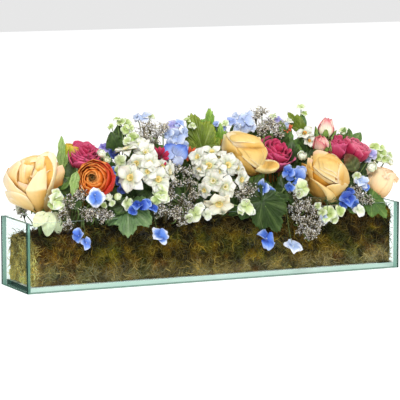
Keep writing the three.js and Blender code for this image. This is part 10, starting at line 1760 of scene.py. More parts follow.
        ("facedown", (((40.4, 46.1, 60), (29.7, 52.2, 63.8), (19, 55.2, 61.4), (8.3, 56, 53.8)), ((41.9, 38.4, 57.6), (29.7, 44.5, 68.7), (19, 48.4, 70.4), (6.8, 51.4, 60.4)), ((41.2, 29.3, 53.1), (29.7, 36.1, 66), (19, 39.9, 68.5), (8.3, 43.8, 63.5)), ((38.9, 21.6, 49.3), (28.2, 28, 61.3), (18.3, 32.3, 64.4), (9.9, 37.7, 63.2)))),
        ("facedown", (((35.8, 47.6, 64.3), (28.2, 50.6, 66.8), (20.5, 52.2, 65.5), (12.9, 52.2, 62.6)), ((38.1, 41.5, 63.2), (29.7, 46.1, 70.7), (20.5, 47.6, 71.9), (12.9, 48.4, 67.7)), ((37.3, 35.4, 60.9), (29.7, 39.9, 69.3), (21.3, 42.2, 71.1), (13.7, 44.5, 68.6)), ((35.1, 29.3, 58.9), (28.2, 33.8, 66.5), (22.1, 36.1, 68.3), (16, 39.9, 68.9)))),
        ("outer", (((38.9, 15.5, 41.5), (41.9, 17, 42.1), (46.5, 17.8, 38)), ((36.6, 24.7, 53.5), (41.2, 27.7, 54.3), (48, 30, 47.8)), ((37.3, 35.4, 60.9), (41.9, 38.4, 59.9), (47.3, 38.4, 52.6)), ((35.8, 44.5, 62.9), (40.4, 46.1, 60), (44.2, 44.5, 53.8)))),
        ("inside", (((37.3, 6.3, 20.8), (25.1, 9.4, 26), (9.9, 18.6, 33.3), (-2.4, 33.8, 39.1)), ((37.3, 14, 38.4), (25.9, 20.1, 48.6), (12.1, 28.5, 54), (0.7, 39.9, 53.3)))),
        ("outer", (((35.8, -4.3, 17.2), (41.9, -2.8, 12.6), (48, 3.3, 11)), ((37.3, 9.4, 35.8), (45, 10.9, 32.1), (54.1, 14, 18.3)), ((35.8, 21.6, 49.1), (45, 24.7, 45.8), (57.2, 18.6, 14.8)), ((35.8, 35.4, 58.5), (43.5, 39.9, 54.8), (53.4, 34.6, 34.3)), ((31.2, 49.1, 63.2), (37.3, 52.2, 55.2), (45, 46.8, 45.6)), ((23.6, 59.8, 47.4), (29.7, 60.6, 43.3), (35.8, 57.5, 41.2)))),
        ("crease_shadow", (((32.8, 21.6, 50.9), (34.3, 20.9, 50.5), (35.8, 21.6, 49.9)), ((33.4, 27.7, 56.1), (35.2, 27.7, 56.3), (37, 27.7, 54.8)), ((34.7, 33.1, 58.3), (36.3, 33.1, 58.5), (37.8, 33.1, 57.1)))),
        ("frontfold", (((34.3, -13.5, 4.4), (37.3, -13.5, -1.7), (41.9, -7.4, 6.1)), ((28.2, -4.3, 26.3), (37.3, -4.3, 22.4), (48, 1.8, 12.9)), ((22.1, 6.3, 39.5), (35.8, 5.6, 36.6), (51.1, 9.4, 22)), ((20.5, 10.9, 45.3), (35.8, 11.7, 44.3), (54.9, 14, 21.3)), ((29.7, 14.7, 46.2), (38.9, 15.5, 43.8), (49.6, 17, 32.8)))),
        ("low_shaded", (((-5.4, 3.3, 8.7), (0.7, 6.3, 23.1), (8.3, 6.3, 29.1)), ((-13.1, 24.7, 19.3), (-5.4, 21.6, 37.1), (2.2, 18.6, 43.5)), ((-16.1, 39.9, 18.5), (-9.2, 35.4, 40.6), (-0.8, 27.7, 48.8)), ((-16.1, 47.6, 21.7), (-8.5, 43.8, 40.5), (-0.8, 35.4, 51.8)))),
        ("blush", (((-5.4, 32.3, 41.4), (-2.4, 33.8, 46.7), (2.2, 35.4, 50.8)), ((-8.5, 44.5, 38.6), (-5.4, 43.8, 47.8), (-1.6, 43, 50.7)), ((-6.9, 55.2, 28.7), (-3.9, 54.5, 32.7), (-0.1, 52.2, 46)))),
        ("blush", (((-0.8, 35.4, 47.2), (2.2, 36.9, 51.6), (6.8, 36.9, 54)), ((-0.1, 47.6, 51.7), (3, 49.1, 56.6), (6.8, 49.1, 57.6)), ((0.7, 58.3, 29.8), (6.8, 59.8, 44.3), (19, 59, 51.2)), ((1.5, 63.6, 24), (9.1, 67.1, 27.1), (23.6, 62.6, 41.5)))),
        ("blush", (((-6.9, 7.9, 15.2), (0.7, 4.8, 24.1), (12.9, -1.3, 26.2)), ((-5.4, -4.3, -4.9), (2.2, -8.9, 6.9), (14.4, -13.5, 13.6)), ((0.7, -15.8, -4.9), (6.8, -18.9, -3.3), (17.5, -18.9, 0.7)))),
    ),
    "rose_centre": (
        ("facedown", (((18.6, 44.3, 35.9), (5, 45.8, 44.7), (-10.1, 45, 46.9), (-23.7, 45.8, 43.6)), ((21.6, 36, 32.4), (8, 39, 44.3), (-8.6, 39.8, 48.4), (-24.4, 42.8, 44.7)), ((18.6, 26.9, 31.7), (8, 30, 42.7), (-5.6, 33, 48.4), (-20.7, 38.3, 47)), ((14.1, 16.4, 27.7), (6.5, 20.9, 38.8), (-4.1, 25.4, 45.5), (-16.1, 32.2, 47.3)), ((10.3, 8.1, 21.2), (2, 14.1, 35.5), (-7.1, 20.9, 43.8), (-17.6, 30.7, 47.2)))),
        ("inside", (((8, -1.7, -11.3), (-4.1, 4.3, 8.9), (-14.6, 13.3, 19.6), (-22.2, 25.4, 27.1)), ((9.5, 7.3, 18.3), (0.5, 12.6, 30), (-9.3, 20.1, 38.1), (-19.2, 29.2, 41.8)))),
        ("facedown", (((14.1, 39, 40.7), (3.5, 40.5, 47.5), (-7.1, 40.8, 49.3), (-17.6, 41.3, 47.4)), ((15.6, 31.5, 38.3), (6.5, 33.7, 47), (-4.1, 35.2, 50.6), (-13.1, 37.5, 50)), ((12.5, 22.4, 35.7), (6.5, 25.4, 44), (-1, 28.4, 48.2), (-8.6, 32.2, 49.8)), ((9.5, 14.9, 31.9), (5, 18.6, 39.9), (0.5, 22.4, 45), (-4.1, 26.2, 47.5)))),
        ("deepface", (((-31.2, 23.9, 32.2), (-23.7, 22.4, 35.5), (-14.6, 22.4, 37.1)), ((-32, 36, 38.1), (-23.7, 34.5, 42.9), (-14.6, 32.2, 43.6)), ((-32.7, 46.6, 38.4), (-25.2, 45, 43.9), (-16.1, 42.8, 45.6)))),
        ("outer", (((-25.2, 40.5, 38.1), (-8.6, 40.5, 41.7), (5, 42, 39.8), (17.1, 40.5, 32.3)), ((-29.7, 47.3, 44.4), (-11.6, 45, 51.4), (3.5, 45.3, 50.4), (17.1, 45, 37.1)), ((-35.8, 55.6, 37.9), (-19.2, 54.1, 50), (-2.6, 53.3, 50.4), (13.3, 51.1, 38.8)), ((-41, 62.4, 19.9), (-25.2, 63.2, 35.9), (-8.6, 60.9, 42.7), (7.3, 55.6, 37.7)), ((-38.8, 66.9, 10), (-25.2, 69.2, 12.9), (-11.6, 65.4, 27.1), (2, 59.4, 30.8)))),
        ("facedown", (((5, 60.1, 34.8), (-8.6, 63.9, 36.9), (-22.2, 66.2, 29.4), (-35.8, 66.2, 16.8)), ((9.5, 55.6, 41), (-4.1, 59.4, 46), (-17.6, 61.6, 44.1), (-32.7, 61.6, 30.5)), ((11.8, 51.1, 42), (-1, 54.1, 50.7), (-13.1, 55.6, 51.9), (-28.2, 56.4, 43.7)), ((9.5, 47.3, 44.4), (0.5, 49.6, 51.9), (-10.1, 50.6, 53.7), (-22.2, 51.1, 49.8)))),
        ("facedown", (((-11.6, 60.9, 43.5), (-20.7, 63.2, 39), (-29.7, 63.9, 28.7), (-37.3, 63.2, 18.9)), ((-5.6, 57.1, 50.3), (-16.1, 59.4, 49), (-26.7, 60.1, 43), (-35.8, 59.4, 31.6)), ((-3.3, 53.3, 52.8), (-14.6, 54.9, 53.5), (-25.2, 54.9, 50.3), (-34.2, 54.9, 41.3)), ((-8.6, 50.8, 53.7), (-16.1, 51.1, 54.8), (-23.7, 51.1, 52.4), (-29.7, 51.7, 46.9)))),
        ("outer", (((-37.3, 28.4, 29.9), (-28.2, 30, 36.7), (-19.2, 28.4, 38.4)), ((-46.3, 38.3, 26), (-35.8, 38.3, 39.7), (-23.7, 36.7, 45.1)), ((-47.8, 46.6, 15.9), (-37.3, 46.6, 39.2), (-25.9, 43.5, 45.8)), ((-45.6, 55.6, 14), (-38.8, 55.6, 31.1), (-31.2, 50.3, 41.8)), ((-44.8, 64.7, 6.2), (-39.5, 63.2, 15.4), (-35, 58.6, 30.4)))),
        ("crease_shadow", (((-46.3, 37.5, 16.9), (-40.3, 36, 24.6), (-34.2, 36, 30.2)), ((-53.1, 46.6, 2.4), (-47.8, 46.6, 8.3), (-40.3, 46.6, 26.8)), ((-52.4, 56.4, 1.6), (-47.8, 57.1, 5.9), (-40.3, 57.1, 14.7)))),
        ("blush", (((-53.9, 39, 0), (-51.6, 38.3, 2), (-47.8, 37.5, 14.3)), ((-55.4, 48.1, 0.5), (-53.1, 48.1, 2.8), (-50.1, 47.3, 3.5)), ((-53.9, 57.1, -0.4), (-51.6, 57.9, 1.6), (-48.6, 57.9, 2.5)))),
        ("crease_shadow", (((-46.3, 22.4, 8.5), (-37.3, 23.2, 20.6), (-25.2, 25.4, 30.9)), ((-52.4, 29.2, -1.6), (-40.3, 28.4, 23.1), (-26.7, 30, 35.7)), ((-50.8, 35.2, 2.7), (-38.8, 35.2, 30.1), (-25.2, 35.2, 39.7)))),
        ("deepface", (((-19.2, -1.7, -3.6), (-8.6, -4.8, -8.1), (5, -1.7, -7.9)), ((-25.2, 13.3, 23.3), (-11.6, 8.8, 25.8), (3.5, 6.6, 22)), ((-31.2, 28.4, 34.7), (-17.6, 22.4, 39), (-1, 14.1, 33.2)), ((-32.7, 36.7, 37.2), (-20.7, 32.2, 42.8), (-7.1, 22.4, 39.5)))),
        ("deepface", (((-25.2, 7.3, 10.3), (-16.1, 1.3, 6.8), (-8.6, -3.3, -7.6)), ((-34.2, 20.9, 20.9), (-23.7, 16.4, 26.5), (-13.1, 10.3, 25.8)), ((-37.3, 30, 27.6), (-26.7, 26.9, 35.7), (-16.1, 20.9, 36)))),
        ("crease_shadow", (((5, 1.3, 3.9), (9.5, -1.7, -6.9), (15.6, -0.2, -9)), ((3.5, 10.3, 25.2), (9.5, 7.3, 18.3), (17.1, 7.3, 8.2)))),
        ("lobe", (((2, 9.6, 27.9), (11, 5.8, 20.6), (21.6, 4.6, 6.4), (30.7, 6.1, 3.5), (35.2, 8.8, 0.7)), ((6.5, 13.3, 33.3), (15.6, 9.1, 25.7), (24.6, 8.8, 12.1), (33.7, 10.6, 8.3), (39, 12.9, 3.3)), ((11, 17.9, 31.5), (18.6, 14.9, 23.1), (26.1, 14.9, 7.6), (33.7, 15.6, 5.1), (40.2, 16.4, 1.7)), ((14.1, 21.6, 27.5), (20.8, 20.4, 19.8), (27.6, 20.4, 7.8), (33.7, 20.4, 2.3), (39.4, 19.7, 0.7)), ((14.1, 25.4, 29.3), (20.1, 25.4, 25.1), (26.9, 25.4, 16.8), (32.2, 24.7, 4.7), (35.9, 23, 2)))),
    ),
}


# ------------------------------------------------------------- flower parts
def grid(nt, ns):
    t = np.linspace(0, 1, nt)[:, None] * np.ones(ns)[None]
    s = np.linspace(-1, 1, ns)[None] * np.ones(nt)[:, None]
    return t, s


def curve(pts, t):
    """A smooth curve through pts, at t from 0 to 1."""
    p = np.asarray(pts, float)
    p = np.vstack([2 * p[0] - p[1], p, 2 * p[-1] - p[-2]])
    n = len(p) - 3
    x = np.clip(t, 0, 1) * n
    i = np.minimum(x.astype(int), n - 1)
    f = (x - i)[..., None]
    a, b, c, d = p[i], p[i + 1], p[i + 2], p[i + 3]
    return 0.5 * (2 * b + (c - a) * f + (2 * a - 5 * b + 4 * c - d) * f ** 2 + (3 * b - a - 3 * c + d) * f ** 3)


def put(B, p, fr, base, thick, col, rn, t, s, flip=False, coarse=False, c2=None):
    """Places a petal grid given in its own frame: rows of fr are its x, y and z."""
    u = np.stack([t, s, np.full(t.shape, rn)], -1)
    B.sheet(p @ fr + np.asarray(base), thick, col, u, flip=flip, coarse=coarse, c2=c2)


def wrap_petal(B, fr, base, phi, half, prof, R, H, colour, rn, thick=0.55, roll=0.0, drop=0.12, tuck=1.2, wave=0.0, nt=11, ns=13, tip=0.0, narrow=0.45, notch=0.0, lean=0.0, skew=0.0, coarse=False, inner=None, close=0.0):
    """One petal wrapped about the flower's axis. prof gives (radius/R, height/H) from base to lip."""
    t, s = grid(nt, ns)
    rz = curve(prof, t)
    r, z = rz[..., 0] * R, rz[..., 1] * H
    w = (narrow + (1 - narrow) * smooth(0, 0.6, t)) * (1 - close * smooth(0.55, 1.02, t) ** 1.5)
    ang = phi + s * half * w
    top = smooth(0.4, 1, t)
    lip = smooth(0.7, 1, t)
    z = z - drop * H * np.abs(s) ** 2.4 * top + skew * H * s * top + tip * H * (1 - np.abs(s)) ** 2 * lip - notch * H * np.exp(-(s / 0.16) ** 2) * lip
    r = r + tuck * s * (0.3 + 0.7 * top) + roll * np.abs(s) ** 3 * top * (1 - 0.65 * lip)
    z = z - 0.5 * roll * np.abs(s) ** 3 * lip
    if wave:
        k = wave * lip * np.sin(s * (5 + 3 * math.sin(9 * rn)) + 11 * rn)
        r = r + k
        z = z + 0.7 * wave * lip * np.sin(s * 4.3 + 17 * rn)
    r = r + 0.35 * wob(s * 2.0 + rn * 9, t * 3.0, rn * 5) * top
    p = np.stack([r * np.cos(ang), r * np.sin(ang), z], -1)
    if lean:
        p = p + np.array([math.cos(phi), math.sin(phi), 0.0]) * (lean * R * t ** 2)[..., None]
    c = colour(t, s, rn)
    put(B, p, fr, base, thick * (1 - 0.35 * top), c, rn, t, s, coarse=coarse, c2=None if inner is None else inner(t, s, c))


def mixprof(a, b, f):
    return (1 - f) * np.asarray(a, float) + f * np.asarray(b, float)


CAM_RIGHT = np.array([0.90489, -0.42566, 0.0])


def facing(D):
    """Axes for a bloom: x to the arrangement's front right, y away over the bloom, z along D."""
    d = unit(D)
    x = unit(CAM_RIGHT - d * (CAM_RIGHT @ d))
    return np.stack([x, np.cross(d, x), d])


ROSE_BUD = [(0.08, 0.05), (0.22, 0.28), (0.27, 0.55), (0.22, 0.80), (0.11, 0.94), (0.12, 0.985), (0.17, 0.985)]
ROSE_CUP = [(0.08, 0.02), (0.50, 0.16), (0.66, 0.40), (0.67, 0.66), (0.56, 0.86), (0.61, 0.955), (0.70, 0.955)]
ROSE_OUT = [(0.08, 0.00), (0.60, 0.10), (0.88, 0.33), (0.94, 0.58), (0.88, 0.78), (1.00, 0.90), (1.11, 0.885)]
ROSE_LOW = [(0.08, 0.00), (0.62, 0.06), (0.95, 0.24), (1.03, 0.44), (1.08, 0.57), (1.22, 0.63), (1.35, 0.60)]


def rose(B, P, D, R, H, seed, pal, spin=0.0, hero=(), fine=True, shaped=()):
    """A full garden rose: a wound bud, broad cupped petals whose lips cross each other, and outer petals with turned
    lips.
    hero lists petals one by one: (direction in degrees, half width, radius scale, height scale, roll, kind -1 cup to 0
    outer to 1 low, skew)."""
    rg = np.random.default_rng(seed)
    P0 = np.asarray(P, float)
    fr = facing(D)
    hi, mid, deep, base_deep_and_crease_shade, blush = [hexc(h) for h in pal]
    spec = []
    for k in range(4):
        g = k / 3.0
        spec.append((spin + k * 2.5, 150 - 50 * g, mixprof(ROSE_BUD, ROSE_CUP, 0.05 + 0.62 * g), 0.05 + 0.25 * g, 0.3 + 1.2 * g, 0.05 + 0.09 * g, 0.5, 0.05 + 0.03 * g))
    for k in range(4):
        g = k / 3.0
        spec.append((spin + 1.3 + k * 1.95, 84 - 10 * g, mixprof(ROSE_CUP, ROSE_OUT, 0.10 + 0.50 * g), 0.35 + 0.3 * g, 1.6 + 1.4 * g, 0.17 + 0.05 * g, 1.0, 0.06 * (1 if k % 2 else -1)))
    for k in range(5):
        if shaped and math.sin(spin + 0.4 + k * 2 * math.pi / 5) < -0.25:
            continue
        spec.append((spin + 0.4 + k * 2 * math.pi / 5 + 0.2 * (rg.random() - 0.5), 57, mixprof(ROSE_OUT, ROSE_LOW, 0.05 + 0.30 * rg.random()), 0.8, 3.4, 0.22, 1.6, 0.05 * (rg.random() - 0.5)))
    for h in hero:
        phi, half, rs, hs, rl, kind = h[:6]
        pr = np.array(mixprof(ROSE_OUT, ROSE_LOW, kind) if kind >= 0 else mixprof(ROSE_OUT, ROSE_CUP, -kind))
        pr[:, 0] *= rs
        pr[:, 1] *= hs
        spec.append((math.radians(phi), half, pr, 1.0 if kind >= 0 else 0.75, rl, 0.20, 1.3, h[6] if len(h) > 6 else 0.0))
    for phi, half, prof, f, roll, drop, wave, skew in spec:
        rn = rg.random()
        prof = np.array(prof)
        prof[1:, 0] *= 0.97 + 0.05 * rg.random()
        prof[:, 1] *= 0.985 + 0.03 * rg.random()

        def colour(t, s, rn, f=f):
            # painted crease shade: each petal starts from its darkest orange at the base, partly the rose's own deeper
            # colour
            c = mixc(base_deep_and_crease_shade, deep, smooth(0.0, 0.30, t))
            c = mixc(c, mid, smooth(0.12, 0.60 - 0.15 * f, t))
            # paler toward the lip, more so on outer petals: partly the petal's own paler edge, partly painted highlight
            c = mixc(c, hi, smooth(0.42, 0.95, t) * (0.40 + 0.55 * f))
            # inner petals deeper below the lip: the rose's deeper heart and painted shade inside it
            c = mixc(c, deep, 0.35 * smooth(0.4, 0.0, f) * (1 - smooth(0.8, 1.0, t)))
            # painted highlight along the petal's side edges
            e = smooth(0.72, 1.0, np.abs(s)) * smooth(0.4, 0.9, t)
            c = mixc(c, hi, 0.5 * e)
            c = mixc(c, blush, (0.05 + 0.22 * f) * smooth(0.86, 1.0, t) * (rn > 0.3) + 0.26 * f * (rn > 0.6) * smooth(0.35, 0.8, t) * smooth(0.1, 0.9, -s * (1 if rn > 0.8 else -1)))
            return mixc(c, mid, 0.28 * (0.5 + 0.5 * wob(s * 1.3 + 7 * rn, t * 1.5, rn * 3)))

        def inner(t, s, c, f=f):
            # inner face deeper and darker toward its base: painted shade inside the cup over its deeper colour
            c = mixc(c, deep, 0.55 * (1 - smooth(0.55, 0.98, t)) + 0.10)
            return mixc(c, base_deep_and_crease_shade, 0.55 * smooth(0.75, 0.35, t))

        nt, ns = (15, 19) if fine else (11, 13)
        if f < 0.35:
            nt, ns = (11, 17) if fine else (9, 13)
        wrap_petal(B, fr, P, phi, math.radians(half), prof, R, H, colour, rn, thick=0.75, roll=roll * R / 36, drop=drop, tuck=1.6, wave=wave, nt=nt, ns=ns, tip=0.02 + 0.03 * f, narrow=0.5, skew=skew, coarse=True, inner=inner, close=0.10 + 0.26 * f)
    for kind, net in shaped:
        shaped_petal(B, P0, kind, net, (hi, mid, deep, base_deep_and_crease_shade, blush), rg.random())


FRONT = np.array([-0.42235, -0.89779, 0.12439])
LOOK = np.stack([CAM_RIGHT, np.cross(FRONT, CAM_RIGHT), FRONT])


def shaped_petal(B, P, kind, net, pal, rn):
    """A petal laid through a net of points: each row runs across the petal, and the rows run from its base to its lip.
    Its colour mixes the petal's own colours with painted crease shade at the base, painted shade under folds and
    painted highlights along lips.
    """
    hi, mid, deep, base_deep_and_crease_shade, blush = pal
    net = np.asarray(net, float)
    t, s = grid(15, 15)
    rows = [curve(r, (s[0] + 1) / 2) for r in net]
    p = np.stack([curve(np.array([r[j] for r in rows]), t[:, 0]) for j in range(15)], 1)
    edge = smooth(0.72, 1.0, np.abs(s))
    lip = smooth(0.80, 1.0, t)
    c = mixc(deep, mid, smooth(0.0, 0.35, t))
    if kind == "front":
        c = mixc(mixc(deep, mid, 0.35 + 0 * t), mid, smooth(0.1, 0.45, t))
        # painted shade below the fold; the top, which faces up, painted pale as lit, with a painted highlight line
        # along the fold
        c = mixc(c, deep, 0.75 * smooth(-0.4, 0.7, s) * (1 - smooth(0.47, 0.51, t)))
        c = mixc(c, hi, smooth(0.44, 0.52, t) * (0.85 + 0.15 * smooth(0.6, -0.4, s)))
        c = mixc(c, hi * 1.06, 0.8 * np.exp(-((t - 0.52) / 0.03) ** 2))
        c = mixc(c, mid, 0.7 * smooth(0.45, 1.0, s) * smooth(0.5, 0.7, t) + 0.25 * smooth(0.85, 0.55, t) * smooth(0.5, 0.6, t))
    elif kind in ("face", "outer", "cup", "frontfold"):
        c = mixc(mid, hi, smooth(0.25, 0.95, t) * 0.55)
        # painted crease shade at the base and down one side, then a painted highlight along the lip and edges
        c = mixc(c, deep, 0.70 * smooth(0.60, 0.10, t) + (0.30 if kind == "cup" else 0.14) * smooth(0.2, 1.0, s * (1 if rn > 0.5 else -1)))
        c = mixc(c, hi, 0.85 * np.maximum(lip, 0.6 * edge))
    elif kind == "facedown":
        # darker under the fold as painted shade, then a painted highlight along the lip and one edge
        c = mixc(mixc(deep, mid, 0.50 + 0 * t), mid, smooth(0.05, 0.35, t)) * 0.98
        c = mixc(c, hi, 0.45 * smooth(0.30, 0.9, t))
        c = mixc(c, hi * 1.05, 0.95 * np.maximum(smooth(0.90, 0.97, t), 0.7 * smooth(-0.86, -0.97, s)))
    elif kind == "side":
        c = mixc(mid, hi, smooth(0.2, 0.6, t))
        # painted crease shade at the base
        c = mixc(c, deep, 0.5 * smooth(0.3, 0.0, t))
    elif kind == "back":
        c = mixc(hi, hi * 1.08, t)
    elif kind == "inside":
        # painted shade inside the flower, darkest at the base
        c = mixc(base_deep_and_crease_shade, deep, smooth(0.0, 0.5, t))
        c = mixc(c, mid, 0.15 * smooth(0.5, 1.0, t) + 0.20 * edge)
    elif kind == "crease_shadow":
        # a dark sheet that paints the shadow in a crease between petals
        c = mixc(base_deep_and_crease_shade * 0.9, mixc(base_deep_and_crease_shade, deep, 0.4 + 0 * t), smooth(0.0, 0.5, t))
        c = mixc(c, deep, 0.7 * lip)
    elif kind in ("blush", "blushback"):
        # painted crease shade at the base, pink toward the lip, and a painted highlight on the lip itself
        c = mixc(deep if kind == "blush" else base_deep_and_crease_shade, mid, smooth(0.1, 0.6, t))
        c = mixc(c, blush, 0.9 * smooth(0.55, 0.9, t))
        c = mixc(c, hi, 0.6 * smooth(0.92, 1.0, t))
    elif kind == "low":
        # painted crease shade at the base, painted highlight toward the lip
        c = mixc(deep, mid, smooth(0.0, 0.5, t))
        c = mixc(c, hi, 0.8 * smooth(0.6, 1.0, t))
    elif kind == "lowpink":
        c = mixc(mid, mixc(hi, blush, np.full(t.shape, 0.35)), smooth(0.2, 0.8, t))
    elif kind == "low_shaded":
        # painted shade: a low petal whose outer face lies in shadow
        c = mixc(mixc(base_deep_and_crease_shade, deep, np.full(t.shape, 0.45)) * 0.88, mixc(deep, mid, np.full(t.shape, 0.4)) * 0.94, smooth(0.0, 0.9, t))
        c = mixc(c, mid, 0.45 * smooth(0.0, 1.0, s))
    elif kind == "pinklip":
        c = mixc(hi, mixc(hi, blush, np.full(t.shape, 0.30)), smooth(0.1, 0.8, t)) * 1.02
    elif kind == "deepface":
        c = mixc(deep, mid, smooth(0.15, 0.95, t) * 0.75)
        # painted crease shade at the base
        c = mixc(c, base_deep_and_crease_shade, 0.35 * smooth(0.3, 0.0, t))
    elif kind == "lobe":
        # pale rims at both ends as painted highlights
        c = mixc(hi * 1.04, mixc(deep, mid, 0.45 + 0 * t), smooth(0.28, 0.45, t) * (1 - 0.9 * smooth(0.78, 0.95, np.abs(s))))
        c = mixc(c, hi * 1.04, smooth(0.84, 0.97, t))
    q = wob(s * 2.1 + 7 * rn, t * 1.6, rn * 5)
    fold = smooth(0.25, 1.0, np.sin(3.4 * s * (0.8 + 0.5 * rn) + 2.5 * t * (rn - 0.5) + 17 * rn))
    # painted shade along the petal's folds; the same folds dent its surface below
    c = mixc(c, deep, 0.09 * fold * (1 - lip))
    c = mixc(c, deep if kind in ("face", "outer", "cup", "front", "frontfold", "low") else mid, 0.10 * (0.5 + 0.5 * q))
    p = p + (0.8 * (1 - lip) * q)[..., None] * np.array([0.0, 0.0, 1.0])
    # painted highlight: a pale cream line along the lips
    c = mixc(c, hexc("fff1d2"), (0.55 if kind in ("facedown", "face", "outer", "low", "frontfold", "lobe", "side", "pinklip") else 0.0) * smooth(0.90, 0.98, t))
    p = p + (0.7 * (fold - 0.4) * (1 - lip))[..., None] * np.array([0.0, 0.0, -1.0])
    if kind in ("outer", "low", "lowpink"):
        c = mixc(c, hexc("f8eedd"), 0.45 * smooth(-0.1, -1.0, s))
    put(B, p, LOOK, P, 0.7, c, rn, t, s, c2=mixc(mid, hi, 0.25 + 0.5 * t))


def sepals(B, P, D, R, L, n, col, seed, droop=0.4, width=0.26):
    """Narrow green sepals under a flower."""
    rg = np.random.default_rng(seed)
    fr = basis(D, rg.random() * 6)
    dark = col * 0.55
    for k in range(n):
        phi = 2 * math.pi * (k + 0.2 * rg.random()) / n
        t, s = grid(9, 5)
        w = width * L * np.sin(math.pi * np.clip(t * 0.86 + 0.14, 0, 1)) ** 0.8
        r = R * 0.10 + L * t * (0.55 + 0.35 * t)
        z = R * 0.02 + L * (0.42 * np.sin(t * 1.7) - droop * t ** 2)
        x = np.stack([r * math.cos(phi) - s * w * math.sin(phi), r * math.sin(phi) + s * w * math.cos(phi), z + 0.12 * w * s ** 2], -1)
        put(B, x, fr, P, 0.6, mixc(dark, col, 0.3 + 0.7 * t * (1 - 0.3 * np.abs(s))), rg.random(), t, s, coarse=True)


def cup_base(B, P, D, r, h, col):
    """The swollen green base of a flower."""
    d = unit(D)
    P = np.asarray(P, float)
    q = [P - d * h * 0.9, P - d * h * 0.55, P - d * h * 0.1, P + d * h * 0.35, P + d * h * 0.7]
    B.tube(q, [r * 0.35, r * 0.8, r, r * 0.8, r * 0.3], mixc(col * 0.7, col, np.linspace(0, 1, 5)), sides=10)


RAN_IN = [(0.05, 0.05), (0.20, 0.30), (0.24, 0.60), (0.19, 0.82), (0.08, 0.90)]
RAN_MID = [(0.05, 0.02), (0.50, 0.18), (0.62, 0.48), (0.56, 0.80), (0.40, 0.96)]
RAN_OUT = [(0.05, 0.00), (0.60, 0.08), (0.90, 0.30), (1.00, 0.62), (0.96, 0.92)]


def star(B, P, D, R, H, seed, pal):
    """A loose flower of narrow pointed petals."""
    rg = np.random.default_rng(seed)
    fr = facing(D)
    light, mid, dark = [hexc(h) for h in pal]
    for k in range(13):
        f = (k % 2) * 0.5 + 0.5 * rg.random()
        rn = rg.random()
        pr = [(0.06, 0.0), (0.35, 0.2 + 0.2 * (1 - f)), (0.65 + 0.1 * f, 0.5 - 0.2 * f), (0.85 + 0.2 * f, 0.75 - 0.45 * f), (1.0 + 0.15 * f, 0.9 - 0.7 * f)]

        def colour(t, s, rn):
            return mixc(mixc(dark, mid, smooth(0.1, 0.7, t)), light, smooth(0.6, 1, t) * rn)

        wrap_petal(B, fr, P, k * 2 * math.pi / 13 + 0.3 * rg.random(), math.radians(15), pr, R, H, colour, rn, thick=0.5, roll=0.3, drop=0.06, tuck=0.3, wave=0.6, nt=9, ns=7, narrow=1.0, tip=0.2, coarse=True, close=0.85)
    B.blob(np.asarray(P) + unit(D) * H * 0.2, R * 0.16, D, H * 0.2, dark, rows=5, cols=8)
    cup_base(B, P, D, R * 0.2, R * 0.3, hexc("5f7a3a"))


def ranunculus(B, P, D, R, H, seed, pal, rings=7, centre=None, ruffle=0.6, spin=0.0, side=None, shift=0.0):
    """Many thin petals in close rings round a small dark eye."""
    rg = np.random.default_rng(seed)
    fr = basis(D, spin)
    light, mid, dark, edge = [hexc(h) for h in pal]
    eye = hexc(centre or "3a3a12")
    for k in range(rings):
        f = k / (rings - 1.0)
        prof = mixprof(RAN_IN, RAN_MID, f * 2) if f < 0.5 else mixprof(RAN_MID, RAN_OUT, f * 2 - 1)
        m = 5 + int(3 * f)
        for j in range(m):
            phi = 2 * math.pi * (j + 0.5 * (k % 2) + 0.5 * rg.random()) / m
            rn = rg.random()
            pr = np.array(prof)
            pr[:, 0] *= 0.90 + 0.17 * rg.random() + 0.05 * math.cos(phi - 1.0) * f
            pr[:, 1] *= 0.87 + 0.16 * rg.random()

            def colour(t, s, rn, f=f, phi=phi):
                c = mixc(dark, mid, smooth(0.1, 0.75, t))
                c = mixc(c, light, smooth(0.75, 1.0, t) * (0.35 + 0.4 * rn))
                c = mixc(c, edge, smooth(0.9, 1.0, t) * 0.5)
                if side is not None:
                    w = 0.5 + 0.5 * math.cos(phi - side[0])
                    c = mixc(c, hexc(side[1]), smooth(0.45, 0.9, w) * smooth(0.35, 1.0, f) * (0.4 + 0.6 * smooth(0.2, 0.9, t)))
                if f < 0.3:
                    c = mixc(c, eye, 0.75 * (1 - f / 0.3) + 0.1)
                c = mixc(c, dark, 0.50 * smooth(0.40, 0.0, t) + 0.40 * (rn > 0.72) * smooth(1.0, 0.7, t))
                return c

            wrap_petal(B, fr, np.asarray(P) + (1 - f) * shift * (np.array([0.0, 0.0, 0.8]) - CAM_RIGHT), phi, math.radians(62 - 14 * f), pr, R, H, colour, rn, thick=0.5, roll=0.6 + 1.6 * f, drop=0.06 + 0.06 * f, tuck=1.0, wave=ruffle * (0.4 + 1.1 * f), nt=9, ns=9, narrow=0.5, coarse=True, skew=0.05 * (rn - 0.5))
    B.blob(np.asarray(P) + unit(D) * H * 0.62 + shift * (np.array([0.0, 0.0, 0.8]) - CAM_RIGHT), R * 0.16, D, H * 0.14, eye, rows=6, cols=10)


PEO_IN = [(0.05, 0.05), (0.22, 0.30), (0.30, 0.58), (0.30, 0.82), (0.26, 0.98)]
PEO_MID = [(0.05, 0.03), (0.48, 0.18), (0.62, 0.48), (0.66, 0.76), (0.74, 0.94)]
PEO_OUT = [(0.05, 0.00), (0.58, 0.06), (0.88, 0.26), (1.00, 0.52), (1.10, 0.74)]


